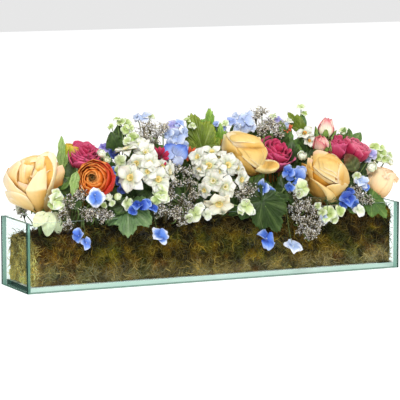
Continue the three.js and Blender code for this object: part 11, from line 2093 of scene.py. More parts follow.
def peony(B, P, D, R, H, seed, pal, rings=6, ruffle=1.6, spin=0.0):
    """A ruffled double flower: crowded, notched, uneven petals."""
    rg = np.random.default_rng(seed)
    fr = basis(D, spin)
    light, mid, dark = [hexc(h) for h in pal]
    for k in range(rings):
        f = k / (rings - 1.0)
        prof = mixprof(PEO_IN, PEO_MID, f * 2) if f < 0.5 else mixprof(PEO_MID, PEO_OUT, f * 2 - 1)
        m = 4 + int(3 * f)
        for j in range(m):
            phi = 2 * math.pi * (j + 0.5 * (k % 2) + 0.5 * rg.random()) / m
            rn = rg.random()
            pr = np.array(prof)
            pr[:, 0] *= 0.88 + 0.22 * rg.random()
            pr[:, 1] *= 0.88 + 0.17 * rg.random()

            def colour(t, s, rn, f=f):
                c = mixc(dark, mid, smooth(0.15, 0.8, t))
                c = mixc(c, light, smooth(0.55, 1.0, t) * (0.30 + 0.70 * rn) * (0.4 + 0.6 * f))
                return mixc(c, dark, 0.28 * (0.5 + 0.5 * wob(s * 2 + 9 * rn, t * 2, rn)))

            wrap_petal(B, fr, P, phi, math.radians(66 - 10 * f), pr, R, H, colour, rn, thick=0.55, close=0.1, roll=1.0 + 2.2 * f, drop=0.08 + 0.06 * f, tuck=1.2, wave=ruffle * (0.6 + 0.7 * f), nt=9, ns=13, narrow=0.4, notch=0.03, coarse=True, skew=0.08 * (rn - 0.5))


def rosebud(B, P, D, R, H, seed, pal, green):
    rg = np.random.default_rng(seed)
    fr = basis(D, rg.random() * 6)
    pink, pale, gr = [hexc(h) for h in pal]
    a = [(0.10, 0.02), (0.50, 0.22), (0.62, 0.48), (0.40, 0.78), (0.12, 0.98)]
    b = [(0.10, 0.00), (0.78, 0.18), (1.00, 0.46), (0.84, 0.74), (0.58, 0.94)]
    for k in range(10):
        f = k / 9.0
        rn = rg.random()

        def colour(t, s, rn, f=f):
            c = mixc(gr, pale, smooth(0.05, 0.45, t))
            c = mixc(c, pink, smooth(0.55, 1.0, t) * (0.10 + 0.65 * rn))
            c = mixc(c, pink, 0.85 * smooth(0.62, 1.0, np.abs(s)) * smooth(0.15, 0.6, t))
            return mixc(c, pink * 0.8, 0.6 * smooth(0.92, 1, t))

        wrap_petal(B, fr, P, k * 2.4, math.radians(112 - 56 * f), mixprof(a, b, f), R, H, colour, rn, thick=0.5, roll=0.5 + 1.7 * f, drop=0.08 + 0.12 * f, tuck=1.2, wave=0.4 + 0.5 * f, nt=11, ns=11, narrow=0.5, tip=0.05, coarse=True)
    for k in range(5):
        rn = rg.random()
        pr = np.array([(0.10, -0.04), (0.82, 0.12), (1.05, 0.30), (1.03, 0.44), (1.08 + 0.2 * rn, 0.54 + 0.05 * rn)])

        def colour(t, s, rn):
            return mixc(mixc(green * 0.7, green * 1.25, smooth(0, 0.8, t)), hexc("c9d59a"), 0.5 * smooth(0.6, 1.0, np.abs(s)))

        t_half = math.radians(27)
        wrap_petal(B, fr, P, k * 2 * math.pi / 5 + 0.4, t_half, pr, R, H, colour, rn, thick=0.5, roll=0.2, drop=0.62, tuck=0.2, wave=0.3, nt=9, ns=7, narrow=1.0, coarse=True)
    cup_base(B, P, D, R * 0.36, R * 0.6, green)


FLORET = {
    # inner, outer, rim, bead
    "b": ("3a66cc", "688fe0", "b9cbf0", "9fb4d8"),
    "bl": ("567cd2", "8aa8e6", "cdd9f4", "b7c8dc"),
    "lb": ("8aa4da", "b4c6ea", "e8edf6", "c8d4d8"),
    "lw": ("a3b8e0", "d0daee", "f2f4f8", "d8dfd8"),
    "bw": ("4f7cd6", "86a9e8", "f6f8fb", "6f8fc8"),
    "h": ("b4c4ec", "668ada", "3458ba", "e0e6f2"),
    "db": ("1c40a8", "3c64c8", "86a4e2", "5f7cc0"),
    "v": ("7068bc", "948cd2", "c0bae6", "a09cc0"),
    "n": ("22306e", "384a96", "6a7ac0", "4c5a98"),
    "l": ("a09cda", "c6c6ec", "eaeaf8", "c6c8d8"),
    "w": ("dbe2c0", "ebeee2", "f5f5f0", "d4da9a"),
    "g": ("a9c06a", "cddba0", "eef3d8", "c4d084"),
    "gw": ("c0d08c", "e0e8c4", "f5f6ea", "ccd888"),
}


def floret(B, P, D, R, col, seed, n=4, wild=1.0, res=(9, 9), pale=0.0):
    """A hydrangea floret: broad, overlapping, uneven petals round a small bead."""
    rg = np.random.default_rng(seed)
    fr = basis(D, rg.random() * 6.28)
    inner, outer, rim, bead = [hexc(h) for h in FLORET[col]]
    cup = 0.10 + 0.30 * rg.random()
    if col == "h":
        fr = facing(D)
    for k in range(n):
        phi = 2 * math.pi * k / n + wild * 0.30 * (rg.random() - 0.5)
        rn = rg.random()
        L = R * (0.93 + wild * 0.22 * (rg.random() - 0.4))
        if col == "h":
            phi, L = ((math.radians(48), 1.22 * R), (math.radians(132), 1.22 * R), (math.radians(-118), 0.86 * R), (math.radians(-62), 0.86 * R))[k]
        pitch = wild * (rg.random() - 0.45) * 0.75
        twist = wild * (rg.random() - 0.5) * 0.7
        t, s = grid(*res)
        w = L * 0.60 * np.sin(math.pi * np.clip(0.07 + 0.78 * t ** 0.8, 0, 1)) ** 0.66 * (0.92 + 0.16 * rg.random())
        rho = 0.04 * R + L * 0.95 * (t - 0.17 * t * np.abs(s) ** 2.0 + 0.05 * t * np.exp(-(s / 0.5) ** 2))
        z = R * (cup * t ** 1.4 - 0.30 * smooth(0.5, 1.0, t) * t) + 0.16 * R * (np.abs(s) ** 2) * (0.9 if k % 2 else 0.25)
        z = z + 0.07 * R * np.sin(3.4 * s + 9 * rn) * t ** 1.5 + 0.05 * R * np.sin(5.5 * s - 7 * rn + 4 * t) * t ** 2 + (0.035 * R if k % 2 else -0.025 * R)
        z = z - 0.07 * R * np.exp(-(s / 0.16) ** 2) * t
        y = s * w
        x = rho
        x, z = x * math.cos(pitch) - z * math.sin(pitch), z * math.cos(pitch) + rho * math.sin(pitch)
        y, z = y * math.cos(twist), z + y * math.sin(twist)
        ca, sa = math.cos(phi), math.sin(phi)
        p = np.stack([x * ca - y * sa, x * sa + y * ca, z], -1)
        c = mixc(inner, outer, smooth(0.15, 0.85, t + 0.12 * wob(s * 3, t * 3, 9 * rn)))
        c = mixc(c, rim, smooth(0.62 if col != "bw" else 0.55, 0.98 if col != "bw" else 0.85, np.maximum(t, np.abs(s) * (0.35 + 0.65 * t))) * 0.9)
        c = mixc(c, inner, 0.4 * np.exp(-(s / 0.10) ** 2) * (1 - 0.7 * t))
        if col == "h" and k > 1:
            c = mixc(c, hexc("dfe3f2"), 0.55 + 0 * t)
        c = mixc(c, hexc("dde2ef"), pale + 0 * t)
        c = c * (0.82 + 0.24 * rg.random())
        put(B, p, fr, P, 0.42, c, rn, t, s, flip=True, coarse=True)
    q = np.asarray(P) + unit(D) * R * 0.05
    B.blob(q, R * 0.085, D, R * 0.09, bead, rows=4, cols=6)


def calyx_bud(B, P, D, R, col, seed):
    """A small half-open bud: six curved petals closed over its top."""
    rg = np.random.default_rng(seed)
    fr = basis(D, rg.random() * 6.28)
    inner, outer, rim, bead = [hexc(h) for h in FLORET[col]]
    P = np.asarray(P) - unit(D) * R * 0.5
    for k in range(6):
        rn = rg.random()
        f = k / 5.0

        def colour(t, s, rn):
            return mixc(mixc(inner * 0.8, outer, smooth(0.05, 0.7, t)), rim, smooth(0.7, 1, t))

        pr = mixprof([(0.10, 0.0), (0.45, 0.2), (0.62, 0.55), (0.40, 0.85), (0.16, 1.0)], [(0.10, 0.0), (0.62, 0.15), (0.90, 0.45), (0.86, 0.8), (0.80, 1.0)], f)
        wrap_petal(B, fr, P, k * 2.4, math.radians(80 - 25 * f), pr, R, R * 1.5, colour, rn, thick=0.45, roll=0.6, drop=0.14, tuck=0.5, wave=0.3, nt=7, ns=9, narrow=0.45, coarse=True)
    B.blob(P + unit(D) * R * 1.32, R * 0.30, D, R * 0.16, mixc(outer, rim, 0.4), rows=5, cols=8)


def narcissus(B, P, D, R, kind, seed):
    """Six broad pointed petals in two layers behind a small frilled cup with stamens."""
    rg = np.random.default_rng(seed)
    fr = basis(D, rg.random() * 6.28)
    white, shade = (hexc("e9e6da"), hexc("bcc0a4")) if kind != "c" else (hexc("f2ecd6"), hexc("e6dab0"))
    yel, org = (hexc("f2e2a4"), hexc("e8b450")) if rg.random() > 0.35 else (hexc("f0ead0"), hexc("e6cf94"))
    if kind == "o":
        yel, org = hexc("f2a93a"), hexc("df6f1c")
    for k in range(6):
        phi = math.pi / 3 * k + 0.22 * (rg.random() - 0.5)
        rn = rg.random()
        L = R * (1.00 + 0.20 * rg.random())
        t, s = grid(9, 7)
        w = L * 0.43 * np.sin(math.pi * (0.14 + 0.85 * t) ** 1.05) ** 0.95 * (1.08 if k % 2 else 0.94)
        rho = 0.08 * R + L * 0.92 * t
        bend = 0.75 * (rg.random() - 0.40)
        z = R * ((0.08 if k % 2 else 0.0) + 0.16 * np.sin(t * 2.6) - 0.12 * t ** 2 + bend * t ** 2 + 0.10 * np.sin(5 * rn + 3 * s) * t)
        z = z + 0.13 * R * s ** 2 * (1 - 0.4 * t) - 0.05 * R * np.exp(-(s / 0.25) ** 2) + 0.10 * R * (rn - 0.5) * s * t
        ca, sa = math.cos(phi), math.sin(phi)
        p = np.stack([rho * ca - s * w * sa, rho * sa + s * w * ca, z], -1)
        c = mixc(mixc(hexc("e3e6a0"), shade, smooth(0.02, 0.25, t)), white, smooth(0.12, 0.55, t))
        c = mixc(c, shade, 0.55 * smooth(0.5, 1.0, np.abs(s)) * (rn > 0.5) + 0.25 * np.exp(-(s / 0.12) ** 2) * (1 - t))
        put(B, p, fr, P, 0.5, c, rn, t, s, flip=True, coarse=True)
    # the cup
    m = 22
    t = np.linspace(0, 1, 6)[:, None] * np.ones(m)[None]
    a = np.arange(m)[None] * 2 * math.pi / m + 0 * t
    r = R * (0.10 + 0.085 * np.sin(t * 1.35) + 0.035 * smooth(0.75, 1, t) * (1 + 0.8 * np.sin(7 * a + seed)) + 0.03 * t ** 2)
    z = R * (0.03 + 0.24 * t + 0.018 * smooth(0.6, 1, t) * np.sin(7 * a + 1 + seed))
    p = np.stack([r * np.cos(a), r * np.sin(a), z], -1) @ fr + np.asarray(P)
    c = mixc(yel, org, smooth(0.65, 1.0, t) * 0.7)
    B.sheet(p, 0.5, c, np.stack([t, 0 * t, 0 * t + 0.3], -1), closed=True)
    B.blob(np.asarray(P) + unit(D) * R * 0.04, R * 0.11, D, R * 0.05, hexc("c2b04a"), rows=4, cols=8)
    for k in range(6):
        b = k * math.pi / 3 + 0.3
        q0 = np.array([0.04 * R * math.cos(b), 0.04 * R * math.sin(b), 0.05 * R]) @ fr + np.asarray(P)
        q1 = np.array([0.08 * R * math.cos(b), 0.08 * R * math.sin(b), 0.24 * R]) @ fr + np.asarray(P)
        B.twig(q0, q1, 0.22, 0.4, hexc("ead873"))


LEAFCOL = {
    # blade, lighter blade, vein, edge
    "olive": ("566c0e", "80921e", "9caa4a", "909c34"),
    "green": ("5e8c24", "90b43e", "b0c870", "98ba54"),
    "sage": ("3c5f2e", "66864c", "a2b888", "809c68"),
    "dark": ("21380f", "3a541d", "6c8446", "486428"),
    "darkr": ("2f3d18", "525a28", "868648", "6d3a24"),
    "mid": ("3c6020", "5c8034", "94ac5e", "688c3e"),
    "light": ("6c8c42", "98b468", "c6d69c", "aac27c"),
    "lime": ("dbe0ae", "e6eac8", "f2f4de", "eef0d4"),
}


def leaf(B, P, T, N, W, shape, col, seed, curl=1.0, fine=True):
    """A veined blade from P to its tip T, facing N, W wide."""
    rg = np.random.default_rng(seed)
    P, T = np.asarray(P, float), np.asarray(T, float)
    ax = T - P
    L = float(np.linalg.norm(ax))
    ax = ax / L
    N = unit(np.asarray(N, float) - ax * (np.asarray(N, float) @ ax))
    side = np.cross(N, ax)
    blade, lighter, vein, edge = [hexc(h) for h in LEAFCOL[col]]
    ph = rg.random() * 6
    if shape == "lobed":
        nth, nr = (101, 9) if fine else (49, 5)
        th = np.linspace(-1, 1, nth) * math.radians(148)
        lobes = [(0, 1.0, 36), (52, 0.92, 34), (-52, 0.92, 34), (106, 0.74, 34), (-106, 0.74, 34)]
        out = np.full(nth, 0.36)
        for a, ln, wd in lobes:
            dd = np.degrees(th) - a
            out = np.maximum(out, 0.52 + (ln - 0.52) * np.clip(1 - (np.abs(dd) / wd) ** 1.6, 0, 1) ** 0.7 - 0.16 * np.clip(np.abs(dd) / wd - 1, 0, 1))
        teeth = np.abs(((np.degrees(th) / 9.5 + 0.5) % 1) - 0.5) * 2
        out = out * (1 - 0.10 * teeth ** 1.3) * (1 + 0.03 * np.sin(5 * th + ph))
        rho = np.linspace(0, 1, nr)[:, None] ** 0.85
        r = rho * out[None]
        th2 = th[None] + 0 * r
        x = r * np.cos(th2)
        y = r * np.sin(th2)
        k = max(0.3, W / (2 * 0.80 * L))
        near = np.min(np.abs(np.degrees(th2)[..., None] - np.array([l[0] for l in lobes])), axis=-1)
        groove = np.exp(-(near / 6.0) ** 2)
        z = 0.10 * (1 - np.exp(-(near / 16.0) ** 2)) * r - 0.045 * groove * r
        z = z + 0.035 * np.sin(near * 0.62 + 4 * rho) * smooth(0.1, 0.5, r) * (1 - groove)
        z = z + curl * (-0.22 * r ** 2.2 + 0.05 * np.sin(3 * th2 + ph) * r)
        scale = L
        p = P + ax * (x * scale)[..., None] + side * (y * scale * k / 0.8 * 0.8)[..., None] + N * (z * scale)[..., None]
        t, s = rho + 0 * r, th2 / math.radians(148)
        vn = groove * smooth(0.02, 0.2, r)
        side_v = smooth(0.55, 1.0, np.abs(np.sin(near * 0.31 + rho * 9.0))) * (1 - groove)
        c = mixc(blade, lighter, 0.15 + 0.55 * (0.5 + 0.5 * wob(x * 4 + ph, y * 4, ph)) * r)
        c = mixc(c, vein, 0.42 * vn + 0.10 * side_v)
        c = mixc(c, edge, smooth(0.88, 1.0, rho) * 0.75)
    else:
        nt, ns = (21, 11) if fine else (11, 7)
        t, s = grid(nt, ns)
        full = {"oval": 0.42, "round": 0.5, "ridged": 0.40}[shape]
        w = W / 2 * np.sin(math.pi * np.clip(t, 0, 1) ** (0.86 if shape != "round" else 0.8)) ** (0.75 if shape != "round" else 0.6)
        w = np.maximum(w, 0.4 * (1 - t) + 0.15)
        w = w * (1 + 0.045 * np.abs(np.sin(t * 26)) * (shape == "oval") + (0.16 * np.sin(t * 17 + ph + 2 * np.sign(s)) - 0.10 * np.abs(np.sin(t * 31))) * (shape == "ridged") * smooth(0.1, 0.4, t))
        x = t * L
        y = s * w
        fold = {"oval": 0.22, "round": 0.16, "ridged": 0.10}[shape]
        z = fold * np.abs(s) * w - 0.05 * w * np.exp(-(s / 0.12) ** 2)
        if shape == "ridged":
            z = z + 0.13 * W * np.cos(s * 8 + t * 5) * np.sin(math.pi * t) + 0.10 * W * np.sin(t * 13 + ph) * s
        else:
            z = z + 0.03 * W * np.sin(t * 24 - np.abs(s) * 5) * (np.abs(s) > 0.08)
        z = z + curl * L * (-0.16 * t ** 2 + 0.05 * np.sin(4 * t + ph))
        p = P + ax * x[..., None] + side * y[..., None] + N * z[..., None]
        mid = np.exp(-(s / 0.10) ** 2)
        sv = smooth(0.80, 1.0, np.abs(np.sin(t * 12 - np.abs(s) * 2.6))) * (1 - mid)
        c = mixc(blade, lighter, 0.2 + 0.6 * (0.5 + 0.5 * wob(t * 3 + ph, s * 1.6, ph)))
        c = mixc(c, vein, 0.5 * mid * (1 - 0.6 * t) + 0.15 * sv)
        c = mixc(c, edge, smooth(0.82, 1.0, np.abs(s)) * 0.7)
        if col == "darkr":
            c = mixc(c, hexc("7c2a1e"), 0.7 * smooth(0.45, 0.9, t))
    B.sheet(p, 0.7, c, np.stack([t, s, np.full(t.shape, rg.random())], -1), flip=True, coarse=True)


def puff(B, P, R, H, seed, dens=1.0, light=0.0):
    """A loose spray: fine forking twigs set with tiny pale buds."""
    rg = np.random.default_rng(seed)
    P = np.asarray(P, float)
    greys = [hexc(h) for h in ("e2dccf", "fffdf4", "b5ac9c", "857a60", "ddd0b2", "cbc8d2", "6a6440", "a6a87c", "f6efda")]
    prob = np.array([.18, .17, .15, .11, .10, .10, .07, .06, .06])
    base = P - np.array([0, 0, H * 0.9])
    wood = [hexc(h) for h in ("4d4828", "35321a", "655838", "7d6e58")]
    ax3 = np.array([R, R, H])
    for k in range(int(11 * dens) + 1):
        d = unit(rg.normal(size=3) * [1, 1, 0.8] + [0, 0, 0.35])
        e = P + d * ax3 * (0.5 + 0.35 * rg.random())
        m = base + (P - base) * 0.75 + d * ax3 * 0.18
        q = curve([base, m, (m + e) / 2 + rg.normal(size=3) * 0.8, e], np.linspace(0, 1, 6))
        B.tube(q[::2] if k % 2 else q[[0, 2, 5]], [0.5, 0.38, 0.26], wood[k % 3], sides=3, u0=rg.random())
        for j in range(int((7 + 0.10 * R) * dens)):
            a = q[int(rg.integers(2, 6))]
            dd = unit(d * 0.9 + rg.normal(size=3) * 0.75)
            e2 = a + dd * (2.5 + 0.32 * R * rg.random())
            off = (e2 - P) / ax3
            rr = float(np.linalg.norm(off))
            if rr > 1.25:
                e2 = P + off / rr * 1.22 * ax3
            B.twig(a, e2, 0.24, 0.15, mixc(wood[int(rg.integers(4))], greys[4], 0.45 * light))
            for i in range(1 + int(rg.random() * 3.0)):
                f = 1 - 0.5 * rg.random() * (i > 0)
                b = a + (e2 - a) * f + rg.normal(size=3) * 1.1 * (i > 0)
                ax = unit(dd + rg.normal(size=3) * 0.6)
                # painted shade: buds nearer the middle of the spray are darker
                c = greys[rg.choice(len(greys), p=prob)] * (0.80 + 0.55 * rg.random() + 0.15 * light) * (0.45 + 0.6 * min(rr, 1.0))
                B.grain(b, 0.50 + 0.36 * rg.random(), ax, 0.95 + 0.8 * rg.random(), c, u0=rg.random())


# --------------------------------------------------------------- materials
MAT = {
    "rose_petal": petal_material("rose_petal_skin", vein=0.045, vein_n=9, rough=0.6, sss=0.15, bump=0.10, mottle=0.07),
    "ranunculus_petal": petal_material("ranunculus_petal_skin", vein=0.22, vein_n=22, rough=0.5, sss=0.10, bump=0.3, mottle=0.12),
    "yellow_petal": petal_material("yellow_petal_skin", vein=0.20, vein_n=20, rough=0.5, sss=0.10, bump=0.3, mottle=0.12),
    "crimson_petal": petal_material("crimson_petal_skin", vein=0.25, vein_n=24, rough=0.46, sheen=0.15, sss=0.08, bump=0.32, mottle=0.14),
    "pink_petal": petal_material("pink_petal_skin", vein=0.16, vein_n=18, rough=0.5, sss=0.15, bump=0.25, mottle=0.10),
    "white_petal": petal_material("white_petal_skin", vein=0.07, vein_n=14, rough=0.5, sss=0.2, bump=0.3, mottle=0.05),
    "blue_petal": petal_material("blue_petal_skin", vein=0.20, vein_n=18, rough=0.52, sss=0.12, bump=0.35, mottle=0.10),
    "lime_petal": petal_material("lime_petal_skin", vein=0.16, vein_n=18, rough=0.5, sss=0.15, bump=0.35, mottle=0.10),
    "leaf": leaf_material("leaf_skin"),
    "stem": stalk_material("stalk_bark"),
    "filler": petal_material("filler_bud_skin", vein=0.25, vein_n=6, rough=0.6, sss=0.05, bump=0.4, mottle=0.25),
    "moss": moss_material("matted_moss"),
    "moss_fibre": stalk_material("moss_fibre"),
}

# Rose palettes, in order: pale colour (also laid on lips as painted highlight), mid, deep, darkest orange (the deep
# base colour darkened into painted crease shade), blush.
ROSE_PAL = ("fdebbb", "f8d287", "eaa848", "d87a1c", "f6b89c")
LEAF_SIZE = {}
STALK = {"rose": "5f7a3a", "leaf": "6b8a3c", "filler": "66613c", "ranunculus": "6f8a44", "narcissus": "86a65a", "hydrangea": "7f9850", "peony": "64803c", "rosebud": "6d8a48", "lime": "9ab862"}


def slot_of(name):
    if name.startswith("rosebud"):
        return "pink_petal"
    if name.startswith("rose"):
        return "rose_petal"
    if name == "ranunculus_yellow":
        return "yellow_petal"
    if name == "ranunculus_crimson" or name.startswith("peony"):
        return "crimson_petal"
    if name.startswith("ranunculus"):
        return "ranunculus_petal"
    if name.startswith("narcissus"):
        return "white_petal"
    if name.startswith("hydrangea_green") or name.startswith("lime"):
        return "lime_petal"
    if name.startswith("hydrangea"):
        return "blue_petal"
    if name.startswith("leaf"):
        return "leaf"
    return "filler"


GREEN = hexc("6f9440")


def flower(B, name, i, h, fine=True):
    seed = sum(ord(ch) * (k + 3) for k, ch in enumerate(name)) % 9973 + 37 * i
    t = h["t"]
    if t == "cup":
        P, D, R, H = h["P"], h["D"], h["R"], h["H"]
        if h.get("kind") == "star":
            star(B, P, D, R, H, seed, ("e8487a", "c4174a", "6c0826"))
        elif h.get("kind") == "orange":
            star(B, P, D, R, H, seed, ("f79a4a", "e8561c", "8e2a08"))
        elif name.startswith("rosebud"):
            rosebud(B, P, D, R, H, seed, (("e04a6c", "f6ead0", "b4c87a"), ("cc1c4c", "f0c4b4", "b0c474"))[i % 2], GREEN)
        elif name.startswith("rose"):
            sp, pal = ROSE_SPIN.get(name, 0.0), ROSE_PAL
            if name == "rose_left":
                pal = ("f8e2b8", "f0cf90", "e4a848", "d8872a", "f2c2a4")
            if name == "rose_right":
                pal = ("f3d89e", "e4bc6e", "d8962c", "bc6a28", "f4c8a8")
            if name == "rose_centre":
                pal = ("efd596", "e2bc6c", "d29a38", "bc6e28", "f0bf94")
            if name == "rose_end":
                pal = ("fdebd0", "f8d6a8", "eeb674", "dc9648", "f4b69e")
            turn = unit(np.array(D) + ROSE_TURN.get(name, (0, 0, 0)))
            rose(B, P, turn, R * ROSE_FIT.get(name, (1, 1))[0], H * ROSE_FIT.get(name, (1, 1))[1], seed, pal, spin=sp, shaped=PETALS.get(name, ()))
            sepals(B, P, D, R, R * (0.42 if name in PETALS else 0.75), 5, GREEN * 0.8, seed, droop=0.5)
            cup_base(B, P, D, R * 0.22, R * 0.32, GREEN * 0.8)
        elif name == "ranunculus_yellow":
            ranunculus(B, P, D, R, H, seed, ("d9d24a", "b3b02c", "7a7c1c", "e08a34"), rings=5, centre="5c5a14", ruffle=0.4)
            cup_base(B, P, D, R * 0.3, R * 0.4, GREEN)
        elif name == "ranunculus_crimson":
            ranunculus(B, P, D, R, H, seed, ("e0567e", "b8174a", "7a0a2c", "e88aa0"), rings=7, centre="5a0a18", ruffle=0.9)
            sepals(B, P, D, R, R * 0.6, 5, GREEN * 0.8, seed)
            cup_base(B, P, D, R * 0.22, R * 0.3, GREEN * 0.8)
        elif name.startswith("ranunculus"):
            ranunculus(B, P, D, R, H, seed, ("f09838", "da6a14", "983406", "f4b060"), rings=7, centre="3f3812", ruffle=0.7, side=(RAN_SIDE.get(name, 0.0), "c22312"), shift=3.2 if name == "ranunculus_orange" else 0.0)
            sepals(B, P, D, R, R * 0.6, 5, GREEN * 0.8, seed)
            cup_base(B, P, D, R * 0.22, R * 0.3, GREEN * 0.8)
        else:
            peony(B, P, D, R, H, seed, ("f474a6" if name == "peony_centre" else "f06c9e", "cc1050" if name == "peony_centre" else "be0c46", "64031c"), spin=0.4, rings=5 if name == "peony_centre" else 6)
            sepals(B, P, D, R, R * 0.6, 5, GREEN * 0.8, seed)
            cup_base(B, P, D, R * 0.22, R * 0.3, GREEN * 0.8)
    elif t == "floret":
        floret(B, h["P"], h["D"], h["R"], h["col"], seed, res=(9, 9) if fine else (7, 7), pale=0.28 * smooth(185, 205, h["P"][2]) if h["col"] in ("bl", "lb", "lw", "b") else 0.0)
    elif t == "bud":
        calyx_bud(B, h["P"], h["D"], h["R"], h["col"], seed)
    elif t == "narc":
        narcissus(B, h["P"], h["D"], h["R"], h["col"], seed)
    elif t == "leaf":
        k = LEAF_SIZE.get(name, 1.0)
        P, T = np.array(h["P"]), np.array(h["T"])
        leaf(B, P, P + (T - P) * k, h["N"], h["W"] * k, h["shape"], h["col"], seed, fine=fine)
    elif t == "puff":
        up = smooth(150, 190, h["P"][2])
        puff(B, h["P"], h["R"], h["H"], seed, dens=1.0 - 0.06 * up, light=up)


ROSE_FIT = {"rose_left": (0.80, 0.95), "rose_right": (0.80, 0.93), "rose_centre": (0.80, 0.93), "rose_end": (0.90, 1.0)}
ROSE_TURN = {"rose_left": (0.09, -0.05, -0.02)}
ROSE_SPIN = {"rose_left": 0.6, "rose_centre": 2.2, "rose_right": 1.1, "rose_end": 0.2}
RAN_SIDE = {"ranunculus_orange": 0.0}

NODES = set(frame["nodes"]) if isinstance(frame["nodes"], dict) else {n["name"] if isinstance(n, dict) else n for n in frame["nodes"]}

for name, plant in PLANTS.items():
    node_head = name + "_bloom" if name + "_bloom" in NODES else name
    node_stem = name + "_stem" if name + "_stem" in NODES else name
    kind = slot_of(name)
    B = Build()
    for i, h in enumerate(plant["heads"]):
        flower(B, name, i, h)
    B.make(name + "_petals" if kind not in ("leaf", "filler") else name + "_sprig", MAT[kind], (node_head,))
    B = Build()
    sc = hexc(STALK[name.split("_")[0]])
    for k, (r, head, pts) in enumerate(plant["stalks"]):
        hang = plant["heads"][head]["P"][2] < 104 if head is not None and head < len(plant["heads"]) else False
        n = 13
        q = curve(pts, np.linspace(0, 1, n))
        cc = mixc(sc * 0.65, sc * 1.05, np.linspace(0, 1, n)) * (0.55 if hang else 1.0)
        B.tube(q, np.linspace(1.0, 0.78, n) * r * (0.55 if hang else 1.0), cc, sides=8 if r > 1.7 else 5, u0=0.1 * k)
    B.make(name + "_stalks", MAT["stem"], (node_stem,))

FILL_SLOT = {"foliage": "leaf", "narcissus": "white_petal", "florets_green": "lime_petal", "florets_blue": "blue_petal", "filler": "filler", "trim": "crimson_petal"}
for name, plant in FILL.items():
    kind = next(v for k, v in FILL_SLOT.items() if name.startswith(k))
    B = Build()
    for i, h in enumerate(plant["heads"]):
        flower(B, name, i, h, fine=False)
    B.make("fill_" + name, MAT[kind])
    B = Build()
    for k, (r, head, pts) in enumerate(plant["stalks"]):
        q = curve(pts, np.linspace(0, 1, 7))
        B.tube(q, r, mixc(hexc("566c30"), hexc("7a9450"), np.linspace(0, 1, 7)), sides=4, u0=0.1 * k)
    B.make("fill_" + name + "_stalks", MAT["stem"])

# -------------------------------------------------------------------- moss
X0, X1, Y1, ZB, ZT = -293.5, 293.5, 43.2, 8.8, 90.5


def moss_top(x):
    return ZT - 13.0 * smooth(-205, -285, x) - 4.0 * smooth(-130, -215, x) + 2.0 * smooth(100, 260, x)


def lumps(p):
    """The moss's lumpiness at p, about -1 to 1: cushions, tufts and crumbs."""
    return (1.25 * (fbm(p, 34.0, 3, 2) - 0.5) + 1.1 * (fbm(p, 13.0, 5, 3) - 0.5) + 0.5 * (fbm(p, 5.0, 9, 2) - 0.5)) * 1.6


# The moss's colour at p: its own browns, olives, greens and golds, with painted shade in the hollows and toward the top
# under the flowers, and a painted reflection haze low down and at the left end.
def moss_colour_and_painted_light(p, rn, low=None):
    dark, brown, olive, green, gold, tan = [hexc(h) for h in ("191203", "6e4a0a", "74600e", "5e6a16", "b08a24", "a39a7a")]
    a = smooth(0.30, 0.70, fbm(p, 60.0, 21, 3))
    b = smooth(0.32, 0.68, fbm(p, 24.0, 33, 3))
    e = smooth(0.30, 0.70, fbm(p, 9.0, 41, 2))
    g = smooth(0.28, 0.72, fbm(p, 17.0, 57, 3))
    c = mixc(brown, olive, a)
    c = mixc(c, green, smooth(0.62, 1.0, b) * 0.6)
    c = mixc(c, gold, smooth(0.55, 1.0, g) * 0.30)
    # painted shade: near-black brown where the moss's hollows fall in shadow
    c = mixc(c, dark, smooth(0.50, 0.05, e) * 0.80)
    c = mixc(c, gold, smooth(0.70, 1.0, rn) * 0.75)
    c = mixc(c, green, smooth(0.16, 0.0, rn) * 0.5)
    x, z = p[..., 0], p[..., 2]
    # painted reflection: a pale tan haze toward the bottom, standing in for what the glass mirrors there
    c = mixc(c, tan, smooth(50, 14, z + 18 * (a - 0.5)) * (0.50 + 0.14 * smooth(100, 280, x)) * (0.45 + 0.55 * e))
    c = mixc(c, hexc("8a4c0e"), smooth(0.60, 0.90, fbm(p, 11.0, 77, 2)) * 0.55 * smooth(70, 40, z))
    # painted reflection: the left end pale and brighter, standing in for light the glass reflects at that end
    c = mixc(c, hexc("b4a864"), 0.80 * smooth(-284, -293, x))
    # brightness: lumps of lighter and darker moss, lighter low down (painted reflection haze), darker toward the top
    # where the flowers shade it (painted shade), brighter at the left end (painted reflection)
    return c * ((0.50 + 0.85 * g + 0.58 * smooth(50, 12, z)) * (0.78 + 0.22 * smooth(92, 50, z + 26 * (a - 0.5)) + 0.62 * smooth(-284, -293, x)))[..., None]


B = Build()
step = 2.6
nx = int((X1 - X0) / step) // 2 * 2 + 1
xs = np.linspace(X0, X1, nx)
half = 1.0 * (ZT - ZB)
per = 2 * half + 2 * Y1
d = np.linspace(0, 1, int(per / step) // 2 * 2 + 1) * per
yy = np.where(d < half, -Y1, np.where(d < half + 2 * Y1, -Y1 + (d - half), Y1))
hh = np.where(d < half, d / half, np.where(d < half + 2 * Y1, 1.0, (per - d) / half))
ny_ = np.where(d < half, -1.0, np.where(d < half + 2 * Y1, 0.0, 1.0))
nz_ = np.where((d >= half) & (d < half + 2 * Y1), 1.0, 0.0)
x = xs[:, None] + 0 * d[None]
y = yy[None] + 0 * x
z = ZB + hh[None] * (moss_top(x) - ZB)
corner = np.minimum(np.abs(d - half), np.abs(d - half - 2 * Y1))[None] + 0 * x
rr = 6.0 * np.clip(1 - corner / 9.0, 0, 1) ** 2
push = lumps(np.stack([x, y, z], -1))
y = y - np.sign(y) * rr * 0.5 + ny_[None] * 2.6 * push
z = z - rr * 0.5 + nz_[None] * (5.5 * push)
y = np.clip(y, -46.7, 46.7)
z = np.maximum(z, ZB)
p = np.stack([x, y, z], -1)
